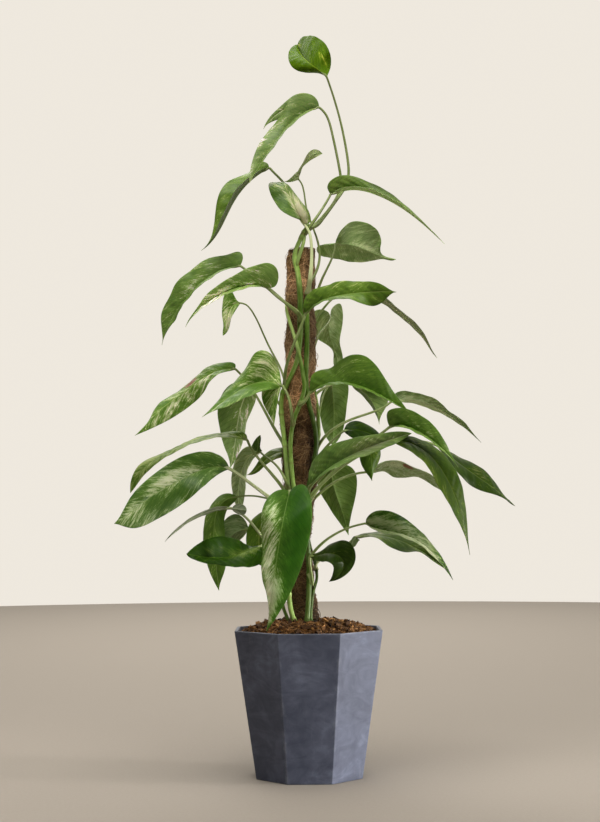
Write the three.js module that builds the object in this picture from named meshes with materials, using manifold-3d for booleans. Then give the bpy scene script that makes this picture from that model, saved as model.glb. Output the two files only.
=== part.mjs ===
// Potted albo variegated epipremnum pinnatum on a coir pole, in a tapered eight-sided planter.
// Millimetres, +Z up. The origin is the centre of the planter's underside; -Y is the front of the plant.
import * as THREE from 'three';
import Module from 'manifold-3d';
import { mergeVertices } from 'three/addons/utils/BufferGeometryUtils.js';

// ---- driving dimensions ----
const POT_TOP = 190;          // across the flats at the rim
const POT_BASE = 136;         // across the flats at the foot
const POT_HEIGHT = 189;
const POT_WALL = 4.5;
const POT_FLOOR = 7;
const POT_CHAMFER = 1.2;      // foot edge
const DRAIN_R = 5;            // four drain holes in the floor
const DRAIN_AT = 36;          // their distance from the centre
const CLEAR = 0.3;            // air left between touching pieces
const SOIL_EDGE = 181;        // height of the soil where it meets the wall
const SOIL_CROWN = 198;       // height of the soil round the pole
const STAKE_R = 6;            // wooden stake inside the coir
const STAKE_X = -8.8;         // the stake is straight; the coir is wound round it unevenly
const STAKE_FOOT = 12;        // height of the stake's lower end
const COIR_FOOT = 42;         // height of the coir's lower end
const STEM_FOOT = 150;        // how deep the stems reach into the soil
const BLADE_T = 0.9;          // leaf blade thickness
const CAMBER = 0.055;         // bow of each half of a blade, as a share of its width
const PETIOLE_SIDES = 5;
const STEM_SIDES = 8;

// ---- plant table ----
// pole: [x, z, radius] of the coir's axis, top to bottom, in the plane y = 0
const POLE = [[-5.3,690.2,17.1], [-5.7,672.7,17.5], [-6.5,653.9,18.2], [-7.9,635.1,19.4], [-8.3,608.3,19.2], [-8.5,581.5,19], [-8.8,554.8,19], [-8.7,521.5,19.5], [-9.7,488.3,21.5], [-9.7,455.2,22.1], [-10.7,422.2,22.1], [-11.9,389.2,22.5], [-11.9,356.4,19.9], [-12.3,323.6,16.6], [-10.7,290.9,15.9], [-9,258.2,16.1], [-7.5,225.7,16.6], [-5.5,202.3,18.2]];
// stems: [x, y, z, radius], top to bottom
const STEMS = {
  A: [[4.2,-15.1,720.8,2.2], [-14.9,-19.9,677.4,3.26], [-8.5,-24.4,629.9,3.95], [-8,-24.2,583,4], [-13.2,-22.8,536.7,3.23], [-32.3,-12.5,495,3.16], [-31.5,-14.9,448.5,3.15], [-27.3,-21.2,401.9,3.14], [-25.5,-19.8,355.7,3.12], [-27.7,-12.3,309.5,2.94], [-33.8,-9,263.7,2.46], [-32.8,-9.2,217.9,2.23], [-17.6,-17.3,175.3,2.1]],
  B: [[3.6,-20.1,639.8,2.2], [0.5,-21.6,600.1,3.04], [0.4,-21.7,560.7,3.21], [-1,-22.6,521.3,3.23], [2.1,-23,482.3,3.25], [10.9,-16.7,444.6,3.27], [8.8,-17.7,405.8,3.28], [0.7,-22.4,367.7,3.28], [-1.6,-18.7,329.1,3.29], [0.4,-17.1,290.4,3.3], [1.2,-18,251.9,3.3], [-0.6,-21.1,213.7,3.3], [-4.1,-22.9,175.7,3.3]],
  C: [[-1.3,20.5,670.9,2], [1.9,20.8,628.3,2.28], [6.9,17.1,585.5,2.52], [6.1,17.5,543.2,2.67], [9.8,15.8,501.1,2.7], [14.9,9.5,458.9,2.69], [11,14.4,417.6,2.68], [1.9,21.8,376.9,2.65], [-2.5,19,335.3,2.62], [2.9,13.5,294.2,2.44], [11.3,-3,254.7,2.11], [3.7,-17.6,215.6,2.1], [1.3,-20.7,175.5,2.1]],
  D: [[-27.9,-13.1,613.8,1.3], [-17.8,-20.6,576.4,2.23], [-8.5,-30.8,538.9,2.42], [-3.4,-31.4,501.9,2.62], [-14.9,-25.9,467.3,2.73], [-21.8,-24.3,431,2.77], [-20.2,-28,393.8,2.79], [-17.2,-29.6,357,2.81], [-18.1,-28.4,320.2,2.84], [-21.6,-27.2,283.7,2.9], [-24.8,-25.4,247.1,3.19], [-21.8,-23.1,210.7,3.3], [-11.6,-21.9,175.7,3.3]],
};
// a short open sheath that stands beside the left stem's tip, [x, y, z, radius]
const SHEATH = [[-1.2,-15.7,707.3,1.6], [-2.3,-17.9,699.6,2.1], [-4.1,-20.7,692.1,2.4], [-6.4,-22.3,684.9,2.6], [-8.7,-23.4,677.9,2.6], [-10.8,-24.2,670.8,2.4], [-12.2,-24.5,663.7,1.8]];
// leaves: blade rows from the petiole to the tip, each [midrib xyz, left edge xyz, right edge xyz]
// (left and right as seen on the upper side with the tip pointing away), then the petiole's
// [x, y, z, radius] from the blade down to its stem, and any extra lobes, built as blades are.
const LEAVES = [
  { name: 'leaf_01', tint: 0x5f8a2e,
    blade: [[29.3,5.8,926.3,28.1,5.9,925.9,30.4,5.7,926.7], [26.5,6.5,929.1,24.1,13.1,931.1,32.8,12.2,934.2],
    [23.6,7.9,932,19.2,27.8,937.5,35,24.1,943.6], [20.7,9.8,934.9,13.8,33.2,939.8,36,26.5,950.3],
    [17.7,12,938,8.4,36.7,941.1,36.1,25.7,956.1], [14.7,14.5,941,2.9,38.6,942,35.3,21.7,960.7],
    [11.7,17.9,944.4,-2.6,40.2,943.2,33.7,19.5,965.7], [8.8,22.8,948.3,-7.9,42.3,945.3,31.4,22.8,972.3],
    [5.8,29.2,952.8,-12.9,45.3,948.7,28.3,29.2,979.5], [3,37.3,958,-17.1,48.9,953.5,24.3,37.3,986.5],
    [0.3,46.9,963.8,-20.3,52.8,959.4,19.6,46.9,993.2], [-2.2,59.3,970.7,-22.2,60.7,967.3,14.3,59.3,999.8],
    [-4.6,73.7,978.6,-22.7,73.8,977.2,8.6,73.7,1006], [-6.6,88.3,986.7,-21.7,88.3,987.6,2.7,88.3,1010.6],
    [-8.1,100.9,994.6,-19.2,100.9,996.9,-2.9,100.9,1012.6], [-9.1,113.2,1002.6,-15,113.2,1004.9,-7.1,113.2,1012.3],
    [-9.6,126,1010.9,-9.9,126,1010.6,-9.3,126,1011.2]],
    petiole: [[23.2,8.2,932.4,0.9], [29.2,5.8,926.3,1.3], [38.6,10.2,899.6,1.35], [46.5,12.7,871.8,1.44], [52.6,12.9,842.9,1.55], [57.1,10.8,813.2,1.69], [56.4,7.3,783.2,1.84], [41.5,-0.8,756.3,2.01], [24.2,-8.3,731.3,2.2], [1.9,-15.2,714,2.4]],
    lobes: [] },
  { name: 'leaf_02', tint: 0x5a8a34,
    blade: [[18.8,4.2,883.3,18.5,3.8,882.2,19.1,4.6,884.4], [10.2,2.5,880.7,10.7,-3.9,877.5,15.2,3.1,894.9],
    [2,0.6,876.7,2.7,-18.9,869.2,6.3,0.9,901], [-5.6,-1.6,871.5,-4.9,-24.8,863,-4.7,-1.6,901.4],
    [-12.7,-3.9,865.4,-11.8,-29.3,856.4,-15,-3.9,896.7], [-19.1,-6.5,858.5,-18.2,-32.7,849.4,-22.6,-5.7,887.9],
    [-25.1,-9.5,851.1,-24.1,-35.8,842,-28.5,-5,878.5], [-30.7,-13,843.4,-29.6,-38.9,834.5,-34.1,-3.4,869.1],
    [-36.1,-16.6,835.4,-35,-41.8,826.8,-40.4,-4.8,859.4], [-41.3,-20.3,827.3,-40.2,-44.2,819.2,-47.6,-10,849.4],
    [-46.4,-24.1,819.2,-45.2,-45.8,811.7,-54.6,-17.5,838.8], [-51.3,-27.9,810.9,-50.2,-47,804.4,-60.5,-25.5,827.3],
    [-56.1,-32,802.6,-55.1,-47.9,797.2,-65.2,-31.8,815.7], [-60.6,-36.3,794.1,-59.8,-48.5,790,-68.8,-36.3,804.1],
    [-65,-40.8,785.5,-64.5,-46.8,783.3,-71.5,-40.8,792.3], [-69.2,-45.4,776.8,-69,-46.9,776.1,-72.9,-45.4,780.2],
    [-73.2,-50,768.1,-72.9,-50.1,767.8,-73.5,-49.9,768.4]],
    petiole: [[10.3,2.5,880.7,0.9], [18.8,4.2,883.3,1.5], [32.3,6.8,864.1,1.53], [38,8.2,840.5,1.59], [42.8,9,816.6,1.66], [46.9,9.6,792.5,1.75], [44.7,8.6,768.1,1.85], [32.5,5.7,746.3,1.95], [16.4,-2.4,726.3,2.07], [-1.9,-15.6,707.9,2.2]],
    lobes: [[[-6.7,-0.9,890.9,-10.8,-0.9,875.9,-6.6,-0.9,901.2], [-16.1,-1.9,885.9,-18.3,-1.9,871.5,-17.5,-1.9,896.8], [-25.3,-2.9,880.6,-26.3,-2.9,868.2,-26.7,-2.9,889], [-34.1,-3.9,874.7,-34.5,-3.9,865.3,-35.4,-3.9,880.7], [-42.3,-4.9,867.9,-42.6,-4.9,862.3,-43.9,-4.9,872.1], [-49.6,-5.9,860.1,-50.1,-5.9,858,-51,-5.9,862.5], [-55.7,-6.9,851.3,-55.6,-6.9,850.9,-55.8,-6.9,851.7]]],
    clears: [0] },
  { name: 'leaf_03', tint: 0x6a8f4a,
    blade: [[-49.2,22.6,805.6,-49.4,21.9,804.7,-49,23.3,806.5], [-57.4,21.8,801.1,-58.2,15.6,802.2,-55.9,25.1,814.6],
    [-65.1,20.8,795.9,-66.1,2.3,794.6,-66,33.9,814.5], [-72.3,19.8,789.9,-73.7,-2.1,788.4,-73.1,38.8,807.3],
    [-79,18.8,783.3,-80.8,-4.8,782,-81.8,39.6,801.2], [-85.1,17.7,776.1,-87.3,-6.5,775,-92,35.6,797.1],
    [-90.6,16.5,768.5,-93.2,-7.5,767.6,-101.5,28.2,791.1], [-95.5,15.3,760.4,-98.4,-8.1,759.8,-109.2,19.9,782.1],
    [-99.9,14,752,-102.9,-8.4,751.6,-114.9,14.6,771.9], [-103.9,12.6,743.4,-106.8,-8.3,743.2,-118.5,13,761.4],
    [-107.8,11.1,734.7,-110.5,-7.8,734.7,-120.6,13.5,750.9], [-111.7,9.4,726.1,-114.1,-7,726.3,-121.8,14.9,740.5],
    [-115.9,7.7,717.7,-117.9,-5.9,718,-122.9,14.8,729.8], [-120.7,5.9,709.5,-122.1,-4.4,710,-124.6,12.6,718.7],
    [-126.1,4,701.9,-127.1,-1,702.7,-127.3,7.8,707.5], [-132.4,2.1,695,-132.9,0.8,695.7,-132.3,3.1,697.3],
    [-139.5,0,689.1,-139.6,-0.4,688.9,-139.4,0.4,689.4]],
    petiole: [[-57.1,21.8,801.3,0.9], [-49.2,22.6,805.6,1.5], [-38.9,18.8,794.6,1.53], [-29.2,15.2,783,1.58], [-20.5,11.7,770.7,1.64], [-12.7,8,757.8,1.71], [-5.9,4.2,744.4,1.8], [-0.1,0.3,730.5,1.89], [1.9,-6.8,715.2,1.99], [-6.2,-16.3,702,2.1]],
    lobes: [],
    clears: [1] },
  { name: 'leaf_04', tint: 0x9aa678,
    blade: [[-10,11.7,789,-9.6,12.8,789,-10.4,10.6,789.1], [-9.2,11.9,792.2,-8.8,14.3,792.1,-10.6,9.5,792.2],
    [-8.3,12.2,795.4,-8.3,19.7,796.4,-10.3,5,794.9], [-7.1,12.7,798.6,-7.4,21.6,799.8,-9,4.1,798.3],
    [-5.9,13.2,801.7,-6.1,22.8,802.9,-7.2,3.9,801.6], [-4.5,13.8,804.8,-4.4,23.7,805.8,-5.3,4.3,804.9],
    [-2.9,14.5,807.9,-2.5,24.3,808.3,-3.4,5.1,808.4], [-1.2,15.2,810.8,-0.3,24.6,810.6,-1.6,6.3,812.1],
    [0.7,16,813.6,2.1,24.7,812.6,0.1,7.8,815.9], [2.8,16.9,816.3,4.6,24.6,814.4,1.9,10,819.8],
    [5.2,18.1,818.9,7.1,24.5,816.1,4.1,13.1,823.7], [7.8,19.5,821.2,9.8,24.2,817.6,6.9,17.1,827.3],
    [10.6,21.1,823.3,12.4,23.7,819,10.3,20.6,830], [13.6,23.1,824.9,15.1,23.8,820.5,14.1,23,831],
    [16.9,25.2,826,17.9,25.2,822.4,17.8,25.2,830.5], [20.1,27.7,826.6,20.6,27.7,824.5,20.9,27.7,828.9],
    [23.4,30.3,826.7,23.3,30.3,826.2,23.4,30.3,827.1]],
    petiole: [[-7.5,12.5,797.6,0.9], [-10,11.7,789,1.1], [-2.5,10.2,771.4,1.13], [0.1,8,752,1.19], [4.8,5.2,733,1.26], [11.2,1.8,714.5,1.35], [16.6,-2.5,695.6,1.45], [18,-6.1,676.2,1.55], [13.2,-12.8,656.9,1.67], [3.6,-20.4,639.7,1.8]],
    lobes: [[[-8.7,10.3,790,-8.7,10.3,786.2,-8.6,10.3,798.9], [-12,9.3,789.4,-11.9,9.3,785,-12.1,9.3,796.4], [-15.3,8.3,788.3,-15.1,8.3,783.8,-15.1,8.3,793.3], [-18.5,7.3,786.8,-18.3,7.3,782.8,-17.9,7.3,790.1], [-21.6,6.3,785.3,-21.5,6.3,782.1,-20.9,6.3,786.9], [-24.8,5.3,783.8,-24.8,5.3,781.9,-24.2,5.3,784.3], [-28,4.3,782.5,-28.1,4.3,782.1,-27.9,4.3,782.9]]] },
  { name: 'leaf_05', tint: 0x8fa85a,
    blade: [[-3,-23.6,719.6,-3.9,-24.4,719.7,-2.1,-22.8,719.5], [-5.5,-27.5,722.4,-7.1,-33.7,721.5,4,-23.6,720.2],
    [-7.7,-31.4,725.3,-11.6,-50.5,720.4,6.7,-19.4,725.4], [-9.8,-34.9,728.4,-16.4,-56.9,720.6,5.8,-19.5,730.7],
    [-11.7,-37.4,731.8,-21.1,-59.9,721.8,3.7,-19.5,735.7], [-13.5,-39.1,735.4,-25.5,-60.4,724.2,1.1,-19.7,740.4],
    [-15.2,-39.7,739.3,-29.5,-58.5,727.7,-1.8,-19.6,744.9], [-17,-39.1,743.4,-33.1,-54.6,732.1,-5,-18.8,749.5],
    [-18.7,-38.3,747.6,-36.4,-48.9,737.3,-8.3,-18.3,753.9], [-20.5,-37.4,751.8,-39.5,-41.9,743.1,-11.5,-18.3,758.2],
    [-22.3,-36.4,756,-42.3,-37,748.5,-14.6,-19,762.5], [-24.3,-35.2,760.1,-44.7,-35.2,753.5,-17.9,-20,766.6],
    [-26.5,-34,764.2,-46.7,-34,758.6,-21.5,-21.3,770.3], [-29.2,-29.9,768.6,-48.2,-29.9,764.5,-25.7,-20.3,773.8],
    [-32.7,-22.6,773.1,-48.9,-22.6,771.4,-30.7,-18,776.5], [-36.9,-14.4,776.4,-46.3,-14.4,777.1,-36.1,-13.2,777.9],
    [-41.4,-6,778.2,-41.8,-6.1,778.2,-40.9,-5.9,778.3]],
    petiole: [[-7,-30.1,724.3,1.02], [-3,-23.6,719.6,1.7], [3.5,-25.7,709.3,1.74], [6.4,-28.1,697.3,1.81], [7.2,-29.2,685.3,1.91], [7.2,-30.7,673.2,2.02], [6.5,-32.9,661,2.14], [5.3,-34,649.1,2.28], [3.8,-30,638.1,2.44], [1.9,-21.3,627.8,2.6]],
    lobes: [] },
  { name: 'leaf_06', tint: 0x5f8a3a,
    blade: [[33.7,-8.9,762.2,32.7,-8.6,762.7,34.8,-9.3,761.7], [44.3,-11.5,764.4,29.5,-11.5,773.5,44,-16.8,767],
    [54.8,-14,766.3,37.7,-14,782.4,54.2,-30.4,766.8], [65.6,-16.5,766.3,49.7,-16.5,785.6,65,-36.4,766],
    [76.2,-19,764.3,62.4,-18.6,784.1,75.7,-40.9,763.7], [86.6,-21.6,760.8,74.5,-18.1,780.1,86.1,-44.3,760],
    [96.6,-24.1,756.3,86.3,-16.2,775.3,96.1,-47,755.5], [106.2,-26.6,751.2,97.8,-15.9,769.7,105.7,-49.1,750.2],
    [115.6,-29.2,745.4,108.9,-17.2,763.1,115,-51,744.2], [124.5,-31.9,739.1,119.3,-19.4,755.3,123.9,-52.4,737.7],
    [133.2,-34.7,732.3,128.8,-22.3,746.2,132.5,-53.3,730.9], [141.5,-37.4,725.2,137.8,-25.8,736.6,140.8,-53.7,723.8],
    [149.6,-40.1,717.7,146.6,-30,726.8,148.8,-53.7,716.5], [157.4,-42.8,710,155.2,-34.9,716.8,156.7,-53.2,709],
    [165,-45.3,702.2,163.4,-41.4,706.4,164.6,-50.4,701.8], [172.4,-47.7,694.2,171.6,-46.8,696.1,172.3,-49,694.3],
    [179.7,-50,686.2,179.6,-49.7,686.5,179.8,-50.3,685.9]],
    petiole: [[42.3,-11,764,0.9], [33.7,-8.9,762.2,1.5], [29.8,-10.6,754.8,1.53], [25.7,-12.8,747.5,1.58], [21.4,-15.5,740.1,1.64], [17,-18.5,732.8,1.71], [12.5,-21.4,725.6,1.8], [7.8,-21.6,719.1,1.89], [3,-19.9,713.2,1.99], [-1.9,-15.6,707.9,2.1]],
    lobes: [],
    clears: [0] },
  { name: 'leaf_07', tint: 0x8a9a70,
    blade: [[39.7,39.5,704.2,38.8,40,703.6,40.7,39,704.8], [45.2,43.7,705.5,29.2,44.6,704.2,42.7,37.6,712.9],
    [50.8,48.4,706.3,20.5,48.9,704.3,46.4,32.7,719.3], [56.3,53.6,706.7,15,53.6,699.3,51.6,41.3,727.7],
    [61.8,59.3,706.7,19.8,59.3,693.5,58.4,54.4,735.7], [67.3,65.5,706.4,28,65.5,691,66.7,64.9,740.5],
    [72.7,72,705.9,36.7,72,690,75.3,72,742.1], [78.1,78.7,705.2,45.7,78.7,689.8,83.7,78.7,741.4],
    [83.5,85.5,704.3,54.7,85.5,689.4,91.6,85.5,739.2], [88.9,92,703.4,63.8,92.1,689.1,98.5,92,735.3],
    [94.3,98.2,702.3,73.1,99.3,689.4,103.8,97.9,729.6], [99.7,104.2,701.3,82.5,108.8,691.2,106.1,101.1,722],
    [105.3,110.5,700.4,91.9,118,694.2,105.3,102.9,713.8], [110.9,117,699.9,101.1,124.5,697.6,105.3,108.4,706.4],
    [116.7,123.8,699.6,110.4,127.7,698.9,111.2,119.2,702.1], [122.7,130.8,699.8,119.6,131.6,697.7,119.9,129.7,701.2],
    [128.8,138,700.4,128.7,138.2,700,128.8,137.8,700.8]],
    petiole: [[46.7,45,705.7,0.9], [39.8,39.5,704.2,1.5], [38,34.6,692.5,1.53], [34.4,30.5,681.6,1.58], [29.8,27.3,671.2,1.64], [25,25,661.2,1.71], [20.5,23.3,651.1,1.8], [16.6,21.9,640.9,1.89], [11.2,21.1,631.6,1.99], [2.1,21,626.2,2.1]],
    lobes: [] },
  { name: 'leaf_08', tint: 0x4f8030,
    blade: [[-88.7,16.7,670.8,-89.3,16.3,669.8,-88,17.1,671.7], [-98.5,19.1,669.8,-97.9,12.1,667.8,-85.4,19.1,685.4],
    [-108.1,21.6,667.6,-106.6,0.5,662.8,-95.6,23.3,691.1], [-117.4,24,664.2,-115.5,-1.1,658.7,-108.2,30.5,688.4],
    [-126.2,26.2,659.8,-124,-0.9,654,-121.2,35.2,686.9], [-134.5,28.3,654.6,-132.2,0.4,648.7,-133.8,35.2,684.2],
    [-142.4,30.2,648.7,-139.9,2.3,642.9,-145.1,35.8,677.9], [-149.8,31.8,642.2,-147.2,4.6,636.5,-155.3,36.4,669.9],
    [-156.8,33.2,635.3,-154.2,6.9,629.8,-165.4,35.1,661.6], [-163.4,34.3,628,-160.8,9.7,622.9,-174.7,34.5,652.5],
    [-169.8,35.4,620.4,-166.4,13.2,615.5,-181.2,35.4,641.5], [-175.6,36.5,612.4,-170.8,17.2,607.8,-186.8,36.5,629.9],
    [-181,37.5,604.1,-175.4,21.5,599.9,-193.2,37.5,618.6], [-185.8,38.3,595.5,-181.8,26,592.6,-196.7,38.3,606.2],
    [-189.9,38.9,586.4,-188,32.7,585.2,-196.3,39,593.3], [-193.2,39.3,577.1,-192.7,37.7,576.8,-195,39.5,580.4],
    [-195.6,39.5,567.4,-195.4,39.3,567.1,-195.9,39.7,567.8]],
    petiole: [[-97.4,18.8,669.9,0.9], [-88.7,16.7,670.8,1.5], [-77.5,12.3,662.6,1.53], [-66.9,6.7,653.7,1.58], [-56.6,0.4,644.2,1.64], [-46.7,-7.2,634.2,1.71], [-37,-14.4,624.3,1.8], [-27.4,-19.3,614.7,1.89], [-17.8,-23.2,605.5,1.99], [-7.9,-25.4,596.9,2.1]],
    lobes: [] },
  { name: 'leaf_09', tint: 0x6f8f4c,
    blade: [[-53,-19.4,636.3,-54.1,-19.7,636.1,-51.9,-19,636.4], [-60.5,-21.9,637.8,-60,-28.5,635,-40.6,-21.9,637.5],
    [-68.3,-24.6,637.8,-67.1,-45.5,632.1,-36.4,-24.6,648.1], [-76,-27.6,636.6,-74.6,-52.7,630.2,-39,-27.6,659.4],
    [-83.5,-30.8,634.5,-81.9,-58.2,627.8,-48.1,-30.8,666], [-90.9,-34.3,631.9,-89.1,-62.6,625,-59.9,-34.3,664.6],
    [-98,-38.1,628.6,-96.2,-66.4,621.8,-71.1,-38.1,659.9], [-105,-42.2,625,-103.1,-69.8,618.3,-81.9,-42.2,654.3],
    [-111.8,-46.5,621,-109.8,-73,614.5,-92.5,-46.5,648.4], [-118.3,-51,616.7,-116.4,-75.9,610.5,-102.8,-51,641.9],
    [-124.7,-55.7,612.1,-122.8,-78.2,606.4,-112.5,-55.7,634.7], [-130.8,-60.6,607.1,-129.1,-80.2,602.2,-121.6,-60.6,626.5],
    [-136.6,-65.6,601.8,-135.1,-81.8,597.7,-129.7,-65.6,617.4], [-141.9,-70.6,595.8,-140.7,-83,592.7,-136.5,-70.6,607.2],
    [-146.5,-75.7,589.4,-145.9,-81.8,587.7,-142.9,-75.7,596.8], [-150.4,-80.6,582.4,-150.2,-82.2,581.8,-149.1,-80.6,586.3],
    [-153.6,-85.5,575.1,-153.7,-85.6,574.6,-153.5,-85.3,575.5]],
    petiole: [[-61.4,-22.2,637.8,1.02], [-53,-19.4,636.3,1.7], [-46.6,-21.6,630.5,1.73], [-40.5,-24.3,624.5,1.79], [-34,-27.7,618.8,1.86], [-27.3,-31.4,613.3,1.95], [-20.7,-36,607.7,2.05], [-14.1,-38.1,602.4,2.15], [-8.8,-34.9,596.6,2.27], [-7.9,-25.3,589.9,2.4]],
    lobes: [],
    clears: [7] },
  { name: 'leaf_10', tint: 0x5a8238,
    blade: [[-88,-1.8,617.9,-87.7,-2.1,616.8,-88.4,-1.4,619], [-91.3,-2.3,617.4,-89.6,-4.8,613.8,-93,-1.7,623.1],
    [-94.4,-2.9,616.2,-91.1,-10.2,610.5,-95.5,-2.3,627.9], [-97.1,-3.4,614.4,-92.8,-12,607.7,-98.1,-3.4,632.4],
    [-99.4,-3.9,612,-94.4,-13.1,605,-102.3,-3.9,635.5], [-101.2,-4.5,609.1,-96,-14,602.3,-106.7,-4.5,632.9],
    [-102.6,-5,606.1,-97.4,-14.5,599.5,-109.1,-5,627.9], [-103.8,-5.5,602.9,-98.5,-14.8,596.6,-110.3,-5.5,622.6],
    [-104.7,-6,599.7,-99.4,-14.8,593.7,-110.9,-6,617.1], [-105.4,-6.5,596.4,-100.2,-14.5,590.8,-111.4,-6.5,611.6],
    [-106.1,-7,593.1,-100.9,-13.9,587.9,-111.7,-7,606.1], [-106.7,-7.5,589.8,-101.7,-13,585.1,-111.6,-7.5,600.6],
    [-107.2,-8,586.5,-102.7,-11.7,582.3,-110.8,-8,595.2], [-107.8,-8.5,583.1,-103.9,-10.3,579.7,-110,-8.5,589.7],
    [-108.5,-9,579.9,-105.6,-9.3,577.3,-110,-9,584.3], [-109.3,-9.5,576.6,-107.7,-9.5,575.1,-110.7,-9.5,578.8],
    [-110.3,-10,573.4,-110,-10,573,-110.5,-10,573.8]],
    petiole: [[-96.2,-3.2,615,0.9], [-88,-1.8,617.9,1], [-73.9,-1.4,609.2,1.02], [-65.2,-1.2,594.2,1.06], [-58.2,-1,578.3,1.11], [-51.1,-1,562.5,1.18], [-43.2,-1.9,546.9,1.25], [-35.5,-5.1,531.1,1.32], [-29.9,-9.5,514.3,1.41], [-31.6,-13,497.2,1.5]],
    lobes: [] },
  { name: 'leaf_11', tint: 0x6a9a38,
    blade: [[-1.4,-40.9,596.7,-2,-40,597.1,-0.7,-41.7,596.2], [3.9,-48.5,601.4,-4,-43.5,607.2,5.4,-55.6,600.6],
    [9.8,-56.6,605.3,-2.3,-42.6,616.4,11.7,-78.3,602.1], [16.2,-65.1,608.2,3,-48.9,623,18.5,-90.3,604],
    [23.1,-73.8,610.3,10.5,-55.6,627,25.7,-100.6,605.3], [30.2,-82.2,611.6,19.1,-62.6,629,33.2,-109.3,605.6],
    [37.4,-90,612.5,27.6,-70.5,630.5,40.8,-116.6,605.2], [44.7,-96.9,612.9,36.1,-78.9,632,48.4,-122.2,603.9],
    [52,-103,613.1,44.8,-86.7,632.4,55.9,-126.2,601.9], [59.3,-109.1,613.1,53.5,-94.4,631.4,63.2,-128.4,599.2],
    [66.6,-115.2,612.8,62.2,-102.3,629.6,70.5,-127.7,596.5], [73.9,-121.2,612.3,70.8,-111.4,627.6,78,-125.8,594.7],
    [81.1,-127.1,611.8,79.1,-122.2,625.8,85.6,-127.5,594.6], [88.3,-132.9,611.2,87.3,-131.9,622.6,92.3,-132.9,597],
    [95.4,-138.7,610.4,94.9,-138.5,618,97.7,-138.7,601.3], [102.5,-144.4,609.4,101.9,-144.2,612.3,103,-144.4,605.8],
    [109.5,-150,608,109.5,-150,608.4,109.6,-150,607.5]],
    petiole: [[3.2,-47.5,600.8,1.02], [-1.4,-40.9,596.7,1.7], [-5.7,-41.6,584.8,1.72], [-10.4,-41.7,573.1,1.75], [-15.2,-40.4,561.7,1.79], [-19.7,-37.5,550.4,1.84], [-23.8,-31.8,539.1,1.9], [-26.9,-27,527.5,1.96], [-28.7,-21.3,515.6,2.03], [-28.8,-15,503.5,2.1]],
    lobes: [] },
  { name: 'leaf_12', tint: 0x4c5a2c,
    blade: [[62.9,54.1,643.2,62.7,54.6,642.2,63,53.6,644.3], [72.7,57.8,643.5,69.9,60.6,636.3,71.9,54.1,649.1],
    [82.4,61.9,642.4,79.2,72.1,634.5,81.7,50.2,648.5], [91.8,66.5,639.9,89.1,80.5,633.9,91.1,51.6,644.8],
    [100.9,71.4,636.4,98.8,87.8,632.6,99.7,54.4,639.7], [109.4,76.7,631.9,107.8,93.9,629.2,107.8,58.6,633.9],
    [117.6,82,626.8,116.3,99.3,624.6,115.8,63.8,627.9], [125.5,87.4,621.2,124.2,104.2,619.3,123.9,69.6,622.1],
    [133.1,92.7,615.2,131.9,108.8,613.5,132.2,75.7,616.4], [140.5,97.7,609,139.5,112.7,607.6,140.6,82.1,610.8],
    [147.8,102.6,602.6,147.2,116.4,601.6,148.9,89.1,605], [154.9,107.9,595.9,154.6,119.9,595.3,156.8,96.5,598.7],
    [161.8,113.4,589,161.7,123.5,588.6,163.7,104.2,591.4], [168.2,119.2,581.7,167.9,126.8,581.2,169.3,112.1,583.2],
    [174.2,125.3,574,173.2,128.8,573,174.3,121.6,574.8], [180,131.5,566.1,178.9,132.3,565.1,179.4,130.6,566.2],
    [185.9,138,558.3,185.8,138.4,558.1,186,137.6,558.5]],
    petiole: [[71.3,57.3,643.5,0.9], [62.9,54.1,643.2,1.3], [52.4,47.3,639.8,1.32], [42.8,41.7,634.3,1.36], [34.2,37.1,627.3,1.41], [26.9,33.7,619.3,1.48], [20.4,31.3,610.7,1.55], [14.6,28.4,601.5,1.62], [9.1,23.6,592,1.71], [7.2,16.9,581.2,1.8]],
    lobes: [] },
  { name: 'leaf_13', tint: 0x7c8a68,
    blade: [[34.3,73.8,610.4,33.2,73.9,610,35.4,73.6,610.7], [32.7,78.4,606.6,28.3,79.1,618.1,35.2,78.3,620],
    [31.7,82.8,602.7,21.1,83.2,621,39.8,82.7,626.3], [31.3,86.7,598.6,13.5,86.7,620.2,46.5,86.7,629.3],
    [31.4,90.3,594.4,7.4,90.3,616.1,50.5,90.3,624.6], [32,93.2,590.1,4.7,93.2,609.2,51,93.2,617.7],
    [32.9,95.7,585.8,4.7,95.7,601.7,51,95.7,610.7], [34.2,97.6,581.5,6.8,97.6,594.3,50.8,97.6,603.6],
    [35.6,99,577.2,10.3,99,587.5,49.9,98.4,596.4], [37.2,100.2,572.9,15.7,100.3,581.9,48.3,96.4,588.9],
    [38.7,101.3,568.6,22.2,103.2,577.8,46.9,93.3,581.3], [40.3,102.3,564.2,28.9,107.4,574.1,46.7,93.1,574],
    [41.7,103.2,559.8,35,110.1,569.4,48.4,95.7,567.2], [42.9,103.9,555.4,38.2,109.4,562.2,50.4,100.2,560.6],
    [43.7,104.5,550.8,37.9,106.3,554,51.1,103.9,553.7], [44.2,104.9,546.2,38.4,105,546.1,49.1,104.9,546.8],
    [44.2,105,541.5,43.8,105,541.4,44.6,105,541.5]],
    petiole: [[32.2,80.5,604.8,0.9], [34.3,73.8,610.4,1.3], [31.5,60.4,600.5,1.32], [26.1,49,592.2,1.36], [20.6,40.3,584.6,1.41], [16,34.3,576.8,1.48], [12.7,29.9,568.6,1.55], [10.4,26.2,560.2,1.62], [8.5,22,551.6,1.71], [6.1,17.6,543.2,1.8]],
    lobes: [] },
  { name: 'leaf_14', tint: 0x6a8248,
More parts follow.
